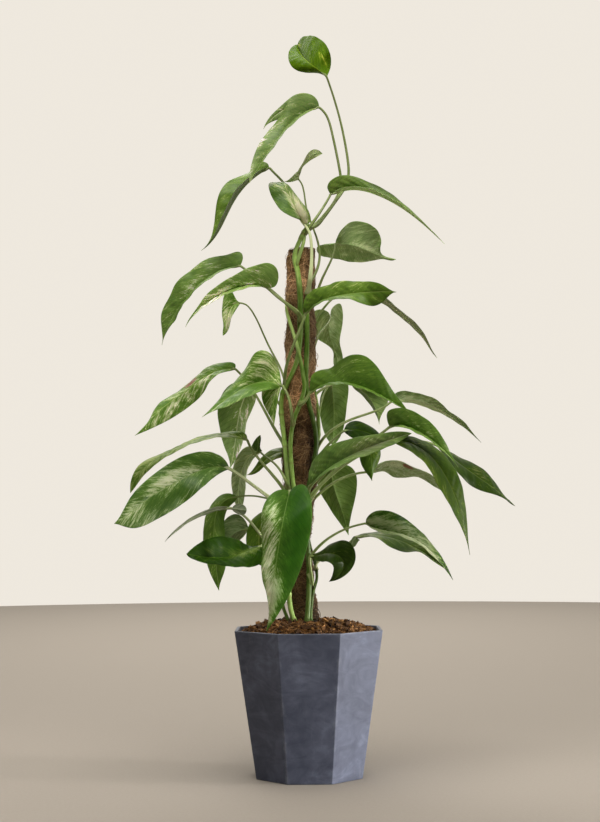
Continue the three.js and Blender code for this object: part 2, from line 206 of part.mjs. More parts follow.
    blade: [[-96.5,33.2,533.5,-96.9,32.7,532.5,-96.1,33.8,534.5], [-107,36.1,533.7,-107.2,31.3,529.9,-101.7,38.1,543],
    [-117.3,38.7,532.2,-116.7,24.5,526.5,-113.5,47.9,544.1], [-127.2,40.9,528.9,-125.3,24.8,521,-125,54.1,542.4],
    [-136.6,42.9,524.3,-131.7,27.4,513.1,-135.8,58.3,538.4], [-145.5,44.4,518.9,-137,32.6,504.6,-145.4,61.3,532],
    [-154.1,45.5,513,-143.6,39.3,496.9,-154,63.4,524.5], [-162.4,46.1,506.8,-151.5,44.5,490.3,-162.5,64.3,516.7],
    [-170.8,46.4,500.5,-159.6,46.3,483.8,-171.5,64.1,509.6], [-179.2,46.1,494.4,-168,46.1,477.7,-181.1,62.4,503.4],
    [-187.6,45.5,488.3,-176.6,45.5,472.1,-190.7,59.7,497.3], [-195.7,44.4,481.9,-185.5,44.4,466.8,-199.6,56.3,490.2],
    [-203.3,42.9,474.9,-194.4,42.9,461.8,-206.9,52.8,481.5], [-210.3,40.9,467.3,-203.5,40.9,457.2,-211.5,49,471],
    [-217.1,38.7,459.5,-212.7,38.7,452.8,-215.6,42.6,460.2], [-223.9,36.1,451.8,-221.9,36.1,448.6,-222.3,37,451.3],
    [-231.1,33.2,444.6,-231,33.1,444.2,-231.1,33.4,445]],
    petiole: [[-105.2,35.6,533.7,0.9], [-96.5,33.2,533.5,1.5], [-85.4,30.8,522.4,1.53], [-75.9,27.4,509.8,1.58], [-67.7,23.4,496.3,1.64], [-60.1,19.1,482.5,1.71], [-52.8,14.1,468.6,1.8], [-45.4,8.2,454.8,1.89], [-37.7,-2.8,441,1.99], [-29.4,-18.3,427.4,2.1]],
    lobes: [] },
  { name: 'leaf_15', tint: 0x8a9a60,
    blade: [[-32.5,-30,504.3,-32.8,-30.8,503.4,-32.2,-29.2,505.2], [-39.3,-33.4,506.9,-40.4,-40.7,499.6,-34.6,-24.4,517.3],
    [-46.3,-37,508.4,-46.8,-59.7,496.9,-36.8,-13.5,529.3], [-53.6,-40.3,508.8,-53.3,-67.2,495,-40.7,-20.6,538.8],
    [-60.9,-42.7,508.1,-59.8,-71.7,493.1,-46.9,-33.3,546.3], [-68,-45.2,506.3,-66.1,-74.7,490.9,-56.3,-43.4,549.6],
    [-74.8,-47.3,503.8,-72.3,-76.5,488.1,-66.5,-44.4,546.7], [-81.4,-49.2,500.6,-78.3,-77.6,485.1,-73.1,-37.5,538.7],
    [-87.7,-51.1,496.9,-84.2,-78.3,482.1,-78.9,-30.7,530], [-93.8,-53.4,492.7,-90.3,-79,479.1,-85.4,-29.6,521.2],
    [-99.6,-55.6,488.3,-96.4,-79,476.6,-92.3,-31.8,512.5], [-105.4,-57.8,483.8,-102.7,-78.7,474.2,-99.3,-35.8,504],
    [-111,-60.3,479.1,-109.1,-78,472,-106.3,-41.2,495.4], [-116.6,-62.6,474.5,-115.5,-76.4,469.9,-113,-47.7,486.6],
    [-122.3,-65,470,-122,-72,467.7,-119.6,-57.6,477.6], [-128.1,-67.4,465.7,-128.2,-69.1,465,-126.4,-65.5,469.2],
    [-134,-69.6,461.7,-134.2,-69.9,461.4,-133.9,-69.3,462]],
    petiole: [[-40.1,-33.8,507.1,1.02], [-32.5,-30,504.3,1.7], [-28.6,-31.7,498.9,1.72], [-25.6,-33.4,492.9,1.76], [-23.5,-35.4,486.5,1.81], [-22,-37.4,479.9,1.88], [-21,-38.5,473.4,1.95], [-20.2,-37.8,466.9,2.02], [-19.4,-33.6,460.7,2.11], [-18.5,-25.9,454.8,2.2]],
    lobes: [[[-35.1,-33.5,503.3,-33.8,-33.5,501.4,-58.5,-33.5,497.6], [-39.6,-35,495.9,-36.1,-35,493.4,-58.9,-35,489.5], [-42.5,-36.6,487.5,-37.7,-36.6,485.3,-57.1,-36.6,481.6], [-43.8,-38.2,478.9,-39.1,-38.2,477.1,-53.8,-38.2,474.2], [-44,-39.8,470.1,-40.2,-39.8,468.9,-50,-39.8,467.1], [-43.6,-41.5,461.3,-41.4,-41.5,460.7,-46.2,-41.5,460], [-42.9,-43.2,452.6,-42.5,-43.2,452.7,-43.3,-43.2,452.6]]] },
  { name: 'leaf_16', tint: 0x4a6a34,
    blade: [[-80.1,59.5,506,-79.1,59.5,505.3,-81,59.5,506.7], [-83.4,61.5,500.2,-72,63,503.8,-87.3,63.2,514.9],
    [-86.3,62.9,494.1,-69.6,68.8,497.7,-95.9,64.3,518.2], [-88.7,63.9,487.8,-71.4,74.9,490.9,-104.5,64,515],
    [-90.7,64.7,481.4,-74.4,79.8,484.4,-111.3,64.7,508.7], [-92.3,65.2,474.8,-77.6,82.7,477.9,-116.3,65.2,500.8],
    [-93.7,65.5,468.1,-80.4,84.2,471,-119.8,65.5,492.2], [-94.8,65.6,461.4,-82.6,84.5,463.9,-121.7,65.6,483],
    [-95.7,65.6,454.7,-84.3,84,456.6,-122,65.6,473.7], [-96.6,65.2,447.9,-85.8,82.4,449.3,-120.7,65.2,464.4],
    [-97.4,64,441.1,-87.4,79.5,441.8,-119,64,455.1], [-98.1,62.2,434.3,-89.2,75.5,434.5,-117.1,62.2,445.9],
    [-99,59.8,427.4,-91.3,70.6,427.2,-114.7,59.8,436.7], [-99.9,56.9,420.6,-93.7,64.8,420,-111.5,56.9,427.8],
    [-101.1,53.7,413.9,-96.5,57.2,413.1,-107.9,53.8,419], [-102.5,50.1,407.2,-100,50.8,406.6,-105.2,50.2,409.9],
    [-104.2,46.4,400.6,-103.9,46.4,400.4,-104.6,46.3,400.9]],
    petiole: [[-84.3,61.9,498.4,0.9], [-80,59.5,506,1.5], [-66,52.5,511.6,1.53], [-51.7,47.2,504.5,1.58], [-41.1,44,492.4,1.64], [-32.8,43.7,478.9,1.71], [-24.8,46.5,465.4,1.8], [-14.5,44.4,453.3,1.89], [-0.7,30.9,445.2,1.99], [14.6,9.8,442.2,2.1]],
    lobes: [] },
  { name: 'leaf_17', tint: 0xa0aa8a,
    blade: [[-78.4,-27.6,434.3,-78.8,-28.4,433.5,-78.1,-26.8,435.2], [-88.9,-31.2,438.4,-88.6,-36,435.1,-84.8,-27.6,444.6],
    [-99.8,-35,440.5,-98.8,-50.1,436.2,-97.1,-21.8,446], [-111,-38.7,440.6,-109.4,-57,436.2,-109.2,-21.8,444.8],
    [-122.1,-42.2,439.2,-120,-62.2,435,-121.2,-23.5,442.7], [-132.9,-45.3,436.5,-130.4,-66,432.6,-133,-25.8,440.3],
    [-143.6,-47.8,433.2,-140.6,-68.4,429.5,-144.7,-28.2,437.4], [-154.1,-49.4,429.2,-150.7,-69.5,425.6,-155.7,-30.2,432.7],
    [-164.4,-50,424.9,-160.6,-69.2,421.2,-166.3,-31.4,426.9], [-174.7,-50,420.2,-170.3,-67.7,416.4,-177.1,-32.6,421.7],
    [-184.7,-50,415.2,-179.9,-65.6,411.1,-188.2,-34.4,417.2], [-194.5,-50,409.5,-189.2,-63,405.2,-199.3,-37.2,413],
    [-203.6,-50,403.1,-198.1,-59.7,398.7,-209.8,-41.1,407.7], [-211.9,-50,395.5,-206.4,-55.5,391.4,-218.3,-45.8,399.7],
    [-218.9,-50,386.7,-213.9,-51.3,383.3,-224.2,-49.3,389.5], [-224,-50,376.8,-220.4,-50.1,374.5,-227.2,-50,378],
    [-227.2,-50,366,-226.8,-50,365.8,-227.6,-50,366.2]],
    petiole: [[-86.4,-30.3,437.4,0.96], [-78.4,-27.6,434.3,1.6], [-73.2,-26.9,423.9,1.63], [-66.7,-26.3,414.2,1.68], [-59.4,-25.7,405.1,1.74], [-51.9,-25,396.1,1.81], [-44.4,-24.4,387.2,1.9], [-37.1,-23.8,378.1,1.99], [-30.6,-22.4,368.4,2.09], [-25.5,-20.5,358,2.2]],
    lobes: [] },
  { name: 'leaf_18', tint: 0x90986c,
    blade: [[-100.8,-50,396.6,-101,-50.7,395.7,-100.6,-49.3,397.6], [-110.5,-59.5,398.4,-110.3,-66.3,390.6,-106.5,-54.2,408.3],
    [-120.3,-69.4,397.7,-117.8,-88.3,384.2,-116.2,-55.5,415.3], [-129.8,-79.1,394.9,-125.2,-99.1,377.4,-127.3,-65.8,417.6],
    [-138.8,-88.3,391.1,-132.3,-106.6,370.4,-138.5,-77.8,416.9], [-147.5,-96.3,386.7,-139.7,-110,363.4,-149.3,-90,413.9],
    [-156.2,-103.3,382.1,-147.6,-109.9,356.9,-159.6,-100.7,409.2], [-164.6,-110.2,377.3,-155.7,-111.5,350.8,-169.4,-108.1,403.4],
    [-172.9,-117,372.5,-163.8,-117,345.1,-178.9,-112.6,396.9], [-181.1,-123.7,367.5,-171.9,-123.7,339.9,-187.8,-118.4,389.8],
    [-189.1,-130.3,362.4,-180.1,-130.3,334.9,-196.1,-127.2,382.4], [-196.7,-136.8,356.8,-188.4,-136.8,330.1,-203.8,-136.1,374.5],
    [-203.9,-143.2,350.7,-196.7,-143.2,325.6,-211,-143.2,366], [-210.7,-149.6,344.2,-205.5,-149.6,322.4,-217,-149.6,356.6],
    [-217.4,-155.8,337.8,-214.7,-155.8,321.9,-221.8,-155.8,346.5], [-224.6,-161.9,332,-223.6,-161.9,324.6,-226.5,-161.9,336.5],
    [-232.4,-168,327.4,-232.3,-168,327,-232.5,-168,327.9]],
    petiole: [[-107.2,-56.2,397.8,1.2], [-100.8,-50,396.6,2], [-90.8,-46.5,390.2,2.01], [-81.2,-43,383.3,2.04], [-71.7,-39.5,376.1,2.07], [-62.2,-36,368.8,2.11], [-52.7,-32.6,361.5,2.15], [-43.3,-29.2,353.9,2.19], [-34.3,-23.6,345.9,2.25], [-25.9,-17.1,337.2,2.3]],
    lobes: [] },
  { name: 'leaf_19', tint: 0x5a6a44,
    blade: [[-98.9,-39.5,345.7,-98.9,-40.6,346.2,-98.9,-38.4,345.3], [-104.8,-43.7,345.9,-105.8,-48.2,347.9,-106.1,-39.3,343.8],
    [-110.7,-48,345.5,-111.2,-61.9,347.8,-112.3,-34.6,343.1], [-116.5,-52.3,344.6,-116.8,-69,347,-118.1,-36.3,342],
    [-122.2,-56.7,343.3,-122.4,-74.7,345.5,-123.7,-39.3,340.5], [-127.7,-61.1,341.5,-127.8,-79.6,343.5,-129.1,-43,338.7],
    [-133.1,-65.4,339.4,-133.1,-83.8,341.1,-134.4,-47.2,336.7], [-138.4,-69.6,337,-138.2,-87.4,338.5,-139.5,-51.8,334.3],
    [-143.4,-73.6,334.2,-143.2,-90.7,335.6,-144.5,-56.4,331.7], [-148.3,-77.5,331.2,-148.2,-93.4,332.5,-149.3,-61.3,328.9],
    [-153.1,-81.3,328,-153,-95.6,329.3,-153.9,-66.6,325.9], [-157.6,-84.8,324.5,-157.7,-97.2,325.8,-158.4,-72,322.7],
    [-162.1,-88.2,320.9,-162.2,-98.4,322,-162.6,-77.6,319.4], [-166.3,-91.3,317,-166.6,-99,318.1,-166.7,-83.3,315.9],
    [-170.5,-94.1,313,-170.9,-97.9,313.8,-170.6,-90.2,312.3], [-174.4,-96.7,308.9,-174.8,-97.6,309.3,-174.4,-95.7,308.5],
    [-178.3,-99,304.6,-178.3,-99.4,304.8,-178.2,-98.6,304.4]],
    petiole: [[-106.2,-44.7,345.8,0.96], [-98.9,-39.5,345.8,1.6], [-88.4,-38.4,340.6,1.62], [-79.3,-36.6,333.3,1.65], [-71.3,-34.6,324.6,1.69], [-64.1,-32.3,315.4,1.74], [-57,-29.9,306,1.8], [-49.5,-27,296.9,1.86], [-41,-19.3,288.7,1.93], [-31.2,-9.3,281.9,2]],
    lobes: [[[-97.5,-42,345.3,-96.2,-42,342.2,-96.2,-42,347.9], [-94.3,-43.7,345.2,-93.1,-43.7,340,-93.2,-43.7,350.3], [-91.1,-45.5,344.8,-89.7,-45.5,338.1,-89.5,-45.5,351.4], [-87.9,-47.3,344.2,-86,-47.3,336.9,-85.7,-47.3,351.2], [-84.7,-49.1,343.6,-82.2,-49.1,337.2,-82.1,-49.1,349.7], [-81.5,-50.9,343.3,-79.4,-50.9,339.7,-79.4,-50.9,347], [-78.3,-52.8,343.4,-78.3,-52.8,343,-78.3,-52.8,343.8]]] },
  { name: 'leaf_20', tint: 0x4f7a30,
    blade: [[-92.8,-2.4,360.8,-92.3,-2.4,359.7,-93.2,-2.4,361.9], [-101.3,-3,359.6,-97.7,0.7,353.1,-103.3,1.1,365.6],
    [-109.1,-3.5,355.9,-103.8,7.8,347.7,-113.3,9,364], [-115.1,-3.9,349.7,-107.8,9.3,340.7,-121.4,10.8,358.2],
    [-119.1,-4.3,342,-109.6,9.4,332.9,-127.7,11.2,350.7], [-121.4,-4.5,333.6,-110.1,8.6,324.9,-132.3,10.4,341.9],
    [-122.6,-4.7,325.1,-109.8,7.2,316.9,-135.4,9.2,332.6], [-123.1,-4.7,316.4,-109,5.3,308.9,-137.2,7.6,322.9],
    [-123.1,-4.7,307.8,-108,2.6,301,-138,5.9,313.1], [-122.8,-4.5,299.1,-107.2,-1,293.1,-137.9,3.7,303.3],
    [-122.3,-4.3,290.5,-106.7,-3.6,285.2,-136.9,0.9,293.6], [-121.5,-4.1,281.8,-106.9,-4.1,277.2,-135.1,-2.1,284],
    [-120.5,-3.8,273.2,-107.9,-3.8,269.3,-132.6,-3.6,274.5], [-119.5,-3.4,264.6,-110,-3.4,261.7,-129.5,-3.4,265.2],
    [-118.5,-3,256,-112.8,-2.8,254.2,-125.8,-3,256.1], [-117.5,-2.5,247.4,-115.4,-2.3,246.7,-121.5,-2.5,247.4],
    [-116.7,-2,238.8,-116.2,-2,238.8,-117.1,-2,238.9]],
    petiole: [[-101.7,-3,359.4,0.9], [-92.8,-2.4,360.8,1.1], [-83.4,-3.4,362.1,1.12], [-73.9,-4.4,362.2,1.15], [-64.5,-5.3,361.2,1.19], [-55.3,-6.2,359.2,1.24], [-46.5,-7.2,355.9,1.3], [-38.3,-8.1,351.1,1.36], [-31.3,-11.6,344.9,1.43], [-25.9,-17.1,337.2,1.5]],
    lobes: [],
    clears: [17] },
  { name: 'leaf_21', tint: 0x2f6a24,
    blade: [[-59.1,-42.9,297.2,-58.5,-43.6,296.6,-59.7,-42.1,297.9], [-64.9,-50.5,295.9,-55.8,-54.1,288.3,-64.4,-43.3,297.6],
    [-70.5,-58.9,294.1,-56.7,-68,281.3,-71.3,-37.5,297], [-75.9,-67.7,292,-61,-78.4,275.9,-77.6,-43.2,298.8],
    [-81.2,-76.7,289.8,-67.2,-90.7,273.1,-83.2,-52.3,302], [-86.6,-85.5,287.8,-74.1,-103.1,272.4,-88.7,-64.7,305],
    [-91.9,-93.8,286.1,-81,-113.9,272.5,-94.2,-80.2,307.6], [-97.5,-100.9,284.9,-87.9,-122.5,273.3,-99.8,-96.1,309.6],
    [-103.1,-108,284.2,-94.8,-130,274.3,-105.6,-107.5,310.6], [-108.7,-115.2,284.1,-101.6,-136.3,275.4,-111.7,-115.2,310.6],
    [-114.2,-122.4,284.4,-108.5,-141.7,276.3,-117.6,-122.4,309.7], [-119.7,-129.8,285.1,-115.4,-146.3,277.1,-123.3,-129.8,307.9],
    [-125.1,-137.2,285.9,-122.2,-150.4,278.4,-128.6,-137.2,305.5], [-130.5,-144.8,287,-128.8,-154,280.4,-133.6,-144.8,302.4],
    [-135.7,-152.4,288.2,-135.5,-155.9,282.7,-138.2,-152.4,299], [-140.9,-160.2,289.4,-141.7,-160.6,285.6,-142.4,-160.2,295],
    [-146.1,-168,290.6,-146,-168,290.2,-146.1,-168,291.1]],
    petiole: [[-64.5,-50,296,0.96], [-59.1,-42.9,297.2,1.6], [-53.6,-39.9,299.6,1.62], [-47.9,-37.1,301.8,1.65], [-41.9,-34.4,303,1.69], [-35.9,-31.8,302.4,1.74], [-30.6,-29.3,299.3,1.8], [-27.7,-26.9,293.9,1.86], [-28.2,-19.4,287.7,1.93], [-31.2,-9.3,281.9,2]],
    lobes: [],
    clears: [18] },
  { name: 'leaf_22', tint: 0x4a7a3a,
    blade: [[-22.2,-126,365.9,-21,-126,366.2,-23.4,-126,365.6], [-24.9,-135.1,355.3,-11.6,-134.7,373,-34.4,-134.3,367.3],
    [-27.3,-143.5,344.7,-0.6,-143.4,368.1,-45,-143.1,361.8], [-29.6,-150.3,334.2,3.1,-150.3,355.4,-52.2,-150.3,352.1],
    [-31.6,-154.8,323.8,4.6,-154.8,342.2,-56.1,-154.7,340.7], [-33.5,-156,313.3,4.2,-156,329.1,-57.2,-153,328.7],
    [-35.3,-155.9,302.8,2.5,-155.9,316.1,-56.9,-146.3,316.6], [-37,-155.6,292.3,-0.2,-155.6,303.2,-56.3,-140.5,304.4],
    [-38.6,-155.2,281.8,-3.5,-155.2,290.5,-56.4,-138.1,292.3], [-40.2,-154.7,271.3,-7.4,-154.7,278,-57.2,-138,280.1],
    [-41.7,-154,260.8,-12,-154,265.7,-57.1,-138.3,268], [-43.1,-153.2,250.3,-17.1,-153.2,253.6,-55.3,-138,256.1],
    [-44.7,-151.2,239.7,-22.8,-151.2,241.7,-52.6,-137,244.2], [-46.3,-146.5,228.9,-29.2,-146.5,230,-49.9,-134.5,232.3],
    [-48,-139.8,218,-36.1,-139.8,218.3,-48.2,-133.6,220.3], [-49.8,-131.7,206.9,-43.6,-131.7,206.9,-48.9,-130.1,208],
    [-51.8,-123,195.6,-51.3,-123.1,195.6,-52.2,-122.9,195.7]],
    petiole: [[-23.9,-131.8,359.2,1.14], [-22.2,-126,365.9,1.9], [-20.9,-118.8,361,1.92], [-19,-110.5,356.3,1.95], [-17.2,-101.2,351.6,1.99], [-15.7,-90,346.6,2.04], [-15.4,-75,341.5,2.1], [-17.2,-57.7,336.6,2.16], [-21.2,-35.7,332.8,2.23], [-26.2,-16,330.3,2.3]],
    lobes: [] },
  { name: 'leaf_23', tint: 0x5f9a30,
    blade: [[3.8,-39.5,494.1,3.4,-38.6,494.7,4.2,-40.4,493.5], [10.7,-49.2,498.5,3.9,-41,507.2,10.8,-56.9,496.2],
    [18.3,-59.5,501.6,8,-36,518.9,18.2,-82.7,497.2], [26.4,-70.1,503.3,18.2,-41.6,524,26.1,-97.1,498.5],
    [34.7,-80.3,503.6,29.7,-49.7,525.9,34.2,-109.1,498.6], [43,-89.7,502.6,39.5,-64.1,530.5,42.4,-119,497.6],
    [51.2,-97.6,500.8,48.3,-85,535.3,50.4,-126.7,495.9], [59.2,-104.4,498.3,58.7,-102,536.8,58.3,-132.9,493.5],
    [67,-111,495.2,69.8,-111,534.7,66.1,-138.3,490.5], [74.6,-117.3,491.6,79.4,-117.3,528.3,73.6,-142.9,487.1],
    [81.9,-123.5,487.6,86.8,-123.5,519.2,81,-146.6,483.4], [89.1,-129.5,483.4,92.8,-129.2,509,88.2,-149.6,479.7],
    [96.1,-135.2,478.9,98.3,-133.3,498.8,95.2,-152,475.9], [102.9,-140.8,474.3,104.2,-137.1,488.9,102.2,-153.5,472],
    [109.6,-146.1,469.6,110.3,-144.2,479.1,109.3,-152.4,468.3], [116.3,-151.2,464.8,116.7,-151,469.6,116.2,-152.8,464.3],
    [122.9,-156,460.1,122.9,-155.9,460.5,122.9,-156.1,459.7]],
    petiole: [[8.7,-46.4,497.2,1.08], [3.8,-39.5,494.1,1.8], [2.3,-39.1,492.1,1.82], [1.1,-38.7,490,1.86], [-0.1,-38.3,487.8,1.91], [-1.4,-37.9,485.7,1.98], [-2.9,-37.5,483.8,2.05], [-4.8,-37.1,482.1,2.12], [-6.9,-34.6,481.1,2.21], [-9.3,-30.6,480.7,2.3]],
    lobes: [] },
  { name: 'leaf_24', tint: 0x6a6a4c,
    blade: [[61.4,42.9,518.6,60.6,43.7,518,62.1,42.2,519.1], [64.7,44.1,515.5,60.6,49,513.4,69.8,40,519.7],
    [68,44.9,512.5,63.3,60.3,510.6,75.4,33.1,518.4], [71.3,45.5,509.4,66.5,64.2,507.6,81.1,32.7,517],
    [74.5,45.9,506.1,69.8,66.3,504.6,86.6,34.1,515.1], [77.6,46.2,502.8,73.1,67.2,501.5,92,37.1,512.7],
    [80.6,46.3,499.4,76.4,67.4,498.3,97.1,41.9,509.9], [83.5,46.4,495.9,79.5,67,495,101.8,45.5,506.4],
    [86.2,46.4,492.3,82.5,66.2,491.6,105.8,46.4,502.1], [88.7,46.1,488.5,85.3,64.7,488,108.7,46.1,497],
    [91,45.2,484.5,87.9,62.1,484.2,109.9,45.2,491.2], [92.9,43.9,480.3,90.2,58.5,480.2,108.6,43.7,485.3],
    [94.6,42.2,476,92.3,54.3,475.9,105.9,40.7,479.7], [95.8,40.2,471.5,93.9,49.3,471.5,102.7,36.6,474.3],
    [96.7,38,466.9,95.2,42.4,466.8,99.8,35.1,469], [97.1,35.6,462.3,96.3,36.7,462.2,97.8,34.8,463.5],
    [97.2,33.2,457.6,96.9,33.6,457.4,97.4,32.9,457.8]],
    petiole: [[67.8,44.9,512.6,0.9], [61.4,42.9,518.6,1.5], [51.9,40,519,1.53], [42.8,37,516.4,1.58], [34.1,34.1,512.2,1.64], [25.7,31.2,507.8,1.71], [17.6,28.5,502.8,1.8], [10.6,25.4,496.2,1.89], [7.2,19.7,487.3,1.99], [13.1,12.2,480,2.1]],
    lobes: [] },
  { name: 'leaf_25', tint: 0x5a8a34,
    blade: [[106.5,-46.4,448.9,105.8,-45.8,449.7,107.2,-46.9,448.1], [112.7,-50.1,450.4,102.6,-49.6,458.9,112.1,-56.7,448.5],
    [119.1,-54.3,450.2,103.1,-54,467.7,117.4,-74.3,446.8], [125.3,-58.8,448.6,110.6,-58.8,471.8,123.3,-82.4,445.1],
    [131.2,-63.7,446.2,119.4,-63.7,472.1,129,-89,442.6], [136.8,-68.9,443.2,128,-68.9,470.1,134.5,-94.7,439.6],
    [142.2,-74.3,439.8,136.2,-74.3,466.4,139.8,-99.8,436.3], [147.4,-79.9,436.1,143.7,-79.9,461.6,145,-104.6,432.7],
    [152.3,-85.5,432.2,150.6,-85.5,455.9,150,-109,428.9], [157.1,-90.9,428,156.8,-90.9,449.5,154.8,-112.9,424.9],
    [161.7,-96.2,423.7,162.3,-96,442.5,159.5,-116,420.7], [166.1,-101.2,419.2,167.2,-99.6,435,164.1,-118.5,416.6],
    [170.2,-106.4,414.5,171.4,-102.8,427,168.6,-120.7,412.4], [174.1,-111.8,409.6,174.8,-107.5,418.7,172.9,-122.7,408],
    [177.8,-117.3,404.5,177.6,-114.9,410.2,177.1,-122.7,403.6], [181.2,-123.1,399.3,180.6,-122.5,401.9,181,-124.5,398.9],
    [184.3,-129,394,184.3,-128.7,394.4,184.4,-129.3,393.6]],
    petiole: [[114.1,-51,450.4,1.02], [106.5,-46.4,448.9,1.7], [93.4,-42.5,439.4,1.72], [79.7,-39.1,430.6,1.76], [65.8,-36,422.1,1.81], [51.8,-33.2,413.4,1.88], [38.1,-30.8,404.4,1.95], [24.8,-28.6,394.6,2.02], [12.4,-26,383.7,2.11], [1.3,-23.2,371.5,2.2]],
    lobes: [] },
  { name: 'leaf_26', tint: 0x5f9030,
    blade: [[2.1,-73.6,371.8,1.6,-72.6,372.2,2.7,-74.6,371.4], [8.1,-84,378.5,1.2,-77.2,383.4,9.2,-92.1,377.6],
    [14.5,-93.3,384.8,2.6,-74.8,393.8,15.8,-117.2,382.8], [21.4,-101.2,390.4,6.2,-82.1,403.3,22.9,-129.4,387.5],
    [28.6,-108.8,395.5,12,-90.7,411.5,30.4,-139.1,391.6], [36,-116.2,400.2,19.7,-99,417.9,38.1,-147.2,395.2],
    [43.7,-123.6,404.4,28.5,-106.4,422.7,46,-154.3,398.5], [51.5,-130.8,408.2,37.9,-113.4,426.3,53.9,-160.5,401.5],
    [59.4,-138,411.6,47.5,-120.1,428.9,61.9,-166.2,404.3], [67.3,-145.1,414.9,57.3,-127.3,430.8,69.8,-171.1,407],
    [75.2,-152,417.8,67,-135.3,432.1,77.8,-175.2,409.8], [83.2,-158.9,420.6,76.6,-144.1,433,85.8,-178.6,412.6],
    [91.1,-165.7,423.2,86.1,-153.8,433.9,93.7,-181.5,415.7], [99.1,-172.4,425.6,95.3,-165,434.8,101.4,-183.8,419],
    [107,-179.1,427.9,104.5,-177.1,435.3,109.1,-184.1,423], [115,-185.6,430.1,113.8,-185.5,434.7,116.3,-186.6,427.3],
    [122.8,-192,432.1,122.7,-191.9,432.6,123,-192.1,431.7]],
    petiole: [[6,-80.4,376.2,1.2], [2.1,-73.6,371.8,2], [1.2,-69.7,366.1,2.02], [0.5,-64.9,360.4,2.05], [0.1,-59.5,354.6,2.09], [-0.3,-53.8,348.8,2.14], [-0.6,-47.5,343,2.2], [-0.8,-40.9,337.1,2.26], [-1.1,-30.2,331.2,2.33], [-1.6,-18.5,325.2,2.4]],
    lobes: [] },
  { name: 'leaf_27', tint: 0x527a34,
    blade: [[109.4,-57.7,430.2,109.6,-57,431.2,109.2,-58.4,429.3], [120.8,-65.5,429.2,121.4,-60.7,435.8,118.6,-70.2,422.7],
    [131.8,-72.9,426,134.5,-58.5,435.7,127.3,-87.1,416.7], [141.8,-79.7,420.4,146.5,-62.6,431.2,135.8,-96.2,410.2],
    [150.8,-85.5,413.2,157.3,-67.5,424.7,143.4,-102.9,402.6], [158.6,-90,404.7,167.2,-72.8,416.8,149.7,-107,393.8],
    [165.5,-93.3,395.3,176,-77.8,407.7,155,-109.1,384.3], [171.5,-95.3,385.3,183.3,-81.5,397.2,160.1,-109.8,374.7],
    [176.8,-96,374.9,189,-83.3,385.9,165.3,-109.7,365.1], [181.4,-95.9,364.2,193.2,-83.9,373.8,170.7,-109.3,355.6],
    [185.4,-95.9,353.3,196,-84.4,361.3,176.2,-108.7,346.1], [188.8,-95.6,342.2,197.7,-84.9,348.7,181.5,-107.7,336.6],
    [191.9,-95.2,330.9,198.8,-85.6,336,186.6,-106,326.9], [194.6,-94.4,319.6,199.4,-86.6,323.2,191.4,-103.1,317],
    [197.1,-93.2,308.2,199.7,-89.2,310.6,195.9,-97.7,306.7], [199.6,-91.5,296.8,200.5,-90.5,297.9,199.5,-92.7,296.1],
    [202.1,-89.2,285.3,202.2,-88.8,285.6,202,-89.5,285]],
    petiole: [[116.8,-62.8,429.6,1.08], [109.4,-57.7,430.2,1.8], [93.7,-51.4,424.8,1.82], [78.2,-45.9,418.2,1.86], [63.1,-41.3,410.4,1.91], [48.6,-37.6,401.4,1.98], [34.8,-34.7,391.2,2.05], [21.9,-31.8,380,2.12], [9.9,-27.4,367.6,2.21], [-0.9,-21.9,354.2,2.3]],
    lobes: [] },
  { name: 'leaf_28', tint: 0x3c5a28,
    blade: [[173,6.1,426.6,173.4,7,427.2,172.6,5.1,426.1], [179.2,7.8,421.3,180.5,12.3,424.3,177,3.3,419.1],
    [185.5,9.5,416.2,188.8,23.3,420.5,181.5,-4.1,412.3], [191.9,11.3,411.1,196.6,27.5,416.7,186.3,-4.4,405.7],
    [198.4,13,406.2,204.4,30.1,413.1,191.3,-3.2,399.1], [205,14.8,401.3,212.1,31.7,409.5,196.6,-0.7,392.6],
    [211.7,16.5,396.5,219.8,32.6,405.8,202.2,2.6,386.3], [218.4,18.4,391.8,227.2,33.1,401.8,208.3,6.4,380.4],
    [225.2,20.3,387.1,234.4,33.8,397.3,215,10.1,375.2], [232,22.3,382.5,241,34.8,392.1,222.4,13.4,370.8],
    [238.9,24.4,377.8,246.9,36.2,386,230.3,16,367.5], [245.8,26.6,373.1,252.1,37.9,379.2,238.5,18.2,364.9],
    [252.6,29,368.3,256.8,39.3,372.2,246.8,20.8,362.6], [259.3,31.4,363.4,261.4,39.8,365.1,255.3,24.4,360.1],
    [265.9,34,358.2,266,38.2,358.3,263.5,30.5,356.4], [272.3,36.7,352.7,271.6,37.7,352.1,270.8,36,351.1],
    [278.5,39.5,347,278.7,39.9,347.2,278.3,39.1,346.8]],
    petiole: [[179.7,7.9,420.9,0.96], [173,6.1,426.6,1.6], [147.4,3.5,433.1,1.62], [120.8,0.5,432,1.66], [95,-2.8,425.5,1.71], [70.4,-6.5,415.6,1.78], [47.4,-10.9,402.4,1.85], [27,-15.1,385.8,1.92], [10.3,-18,365.7,2.01], [-1.6,-20.4,342.6,2.1]],
    lobes: [] },
  { name: 'leaf_29', tint: 0x7a8464,
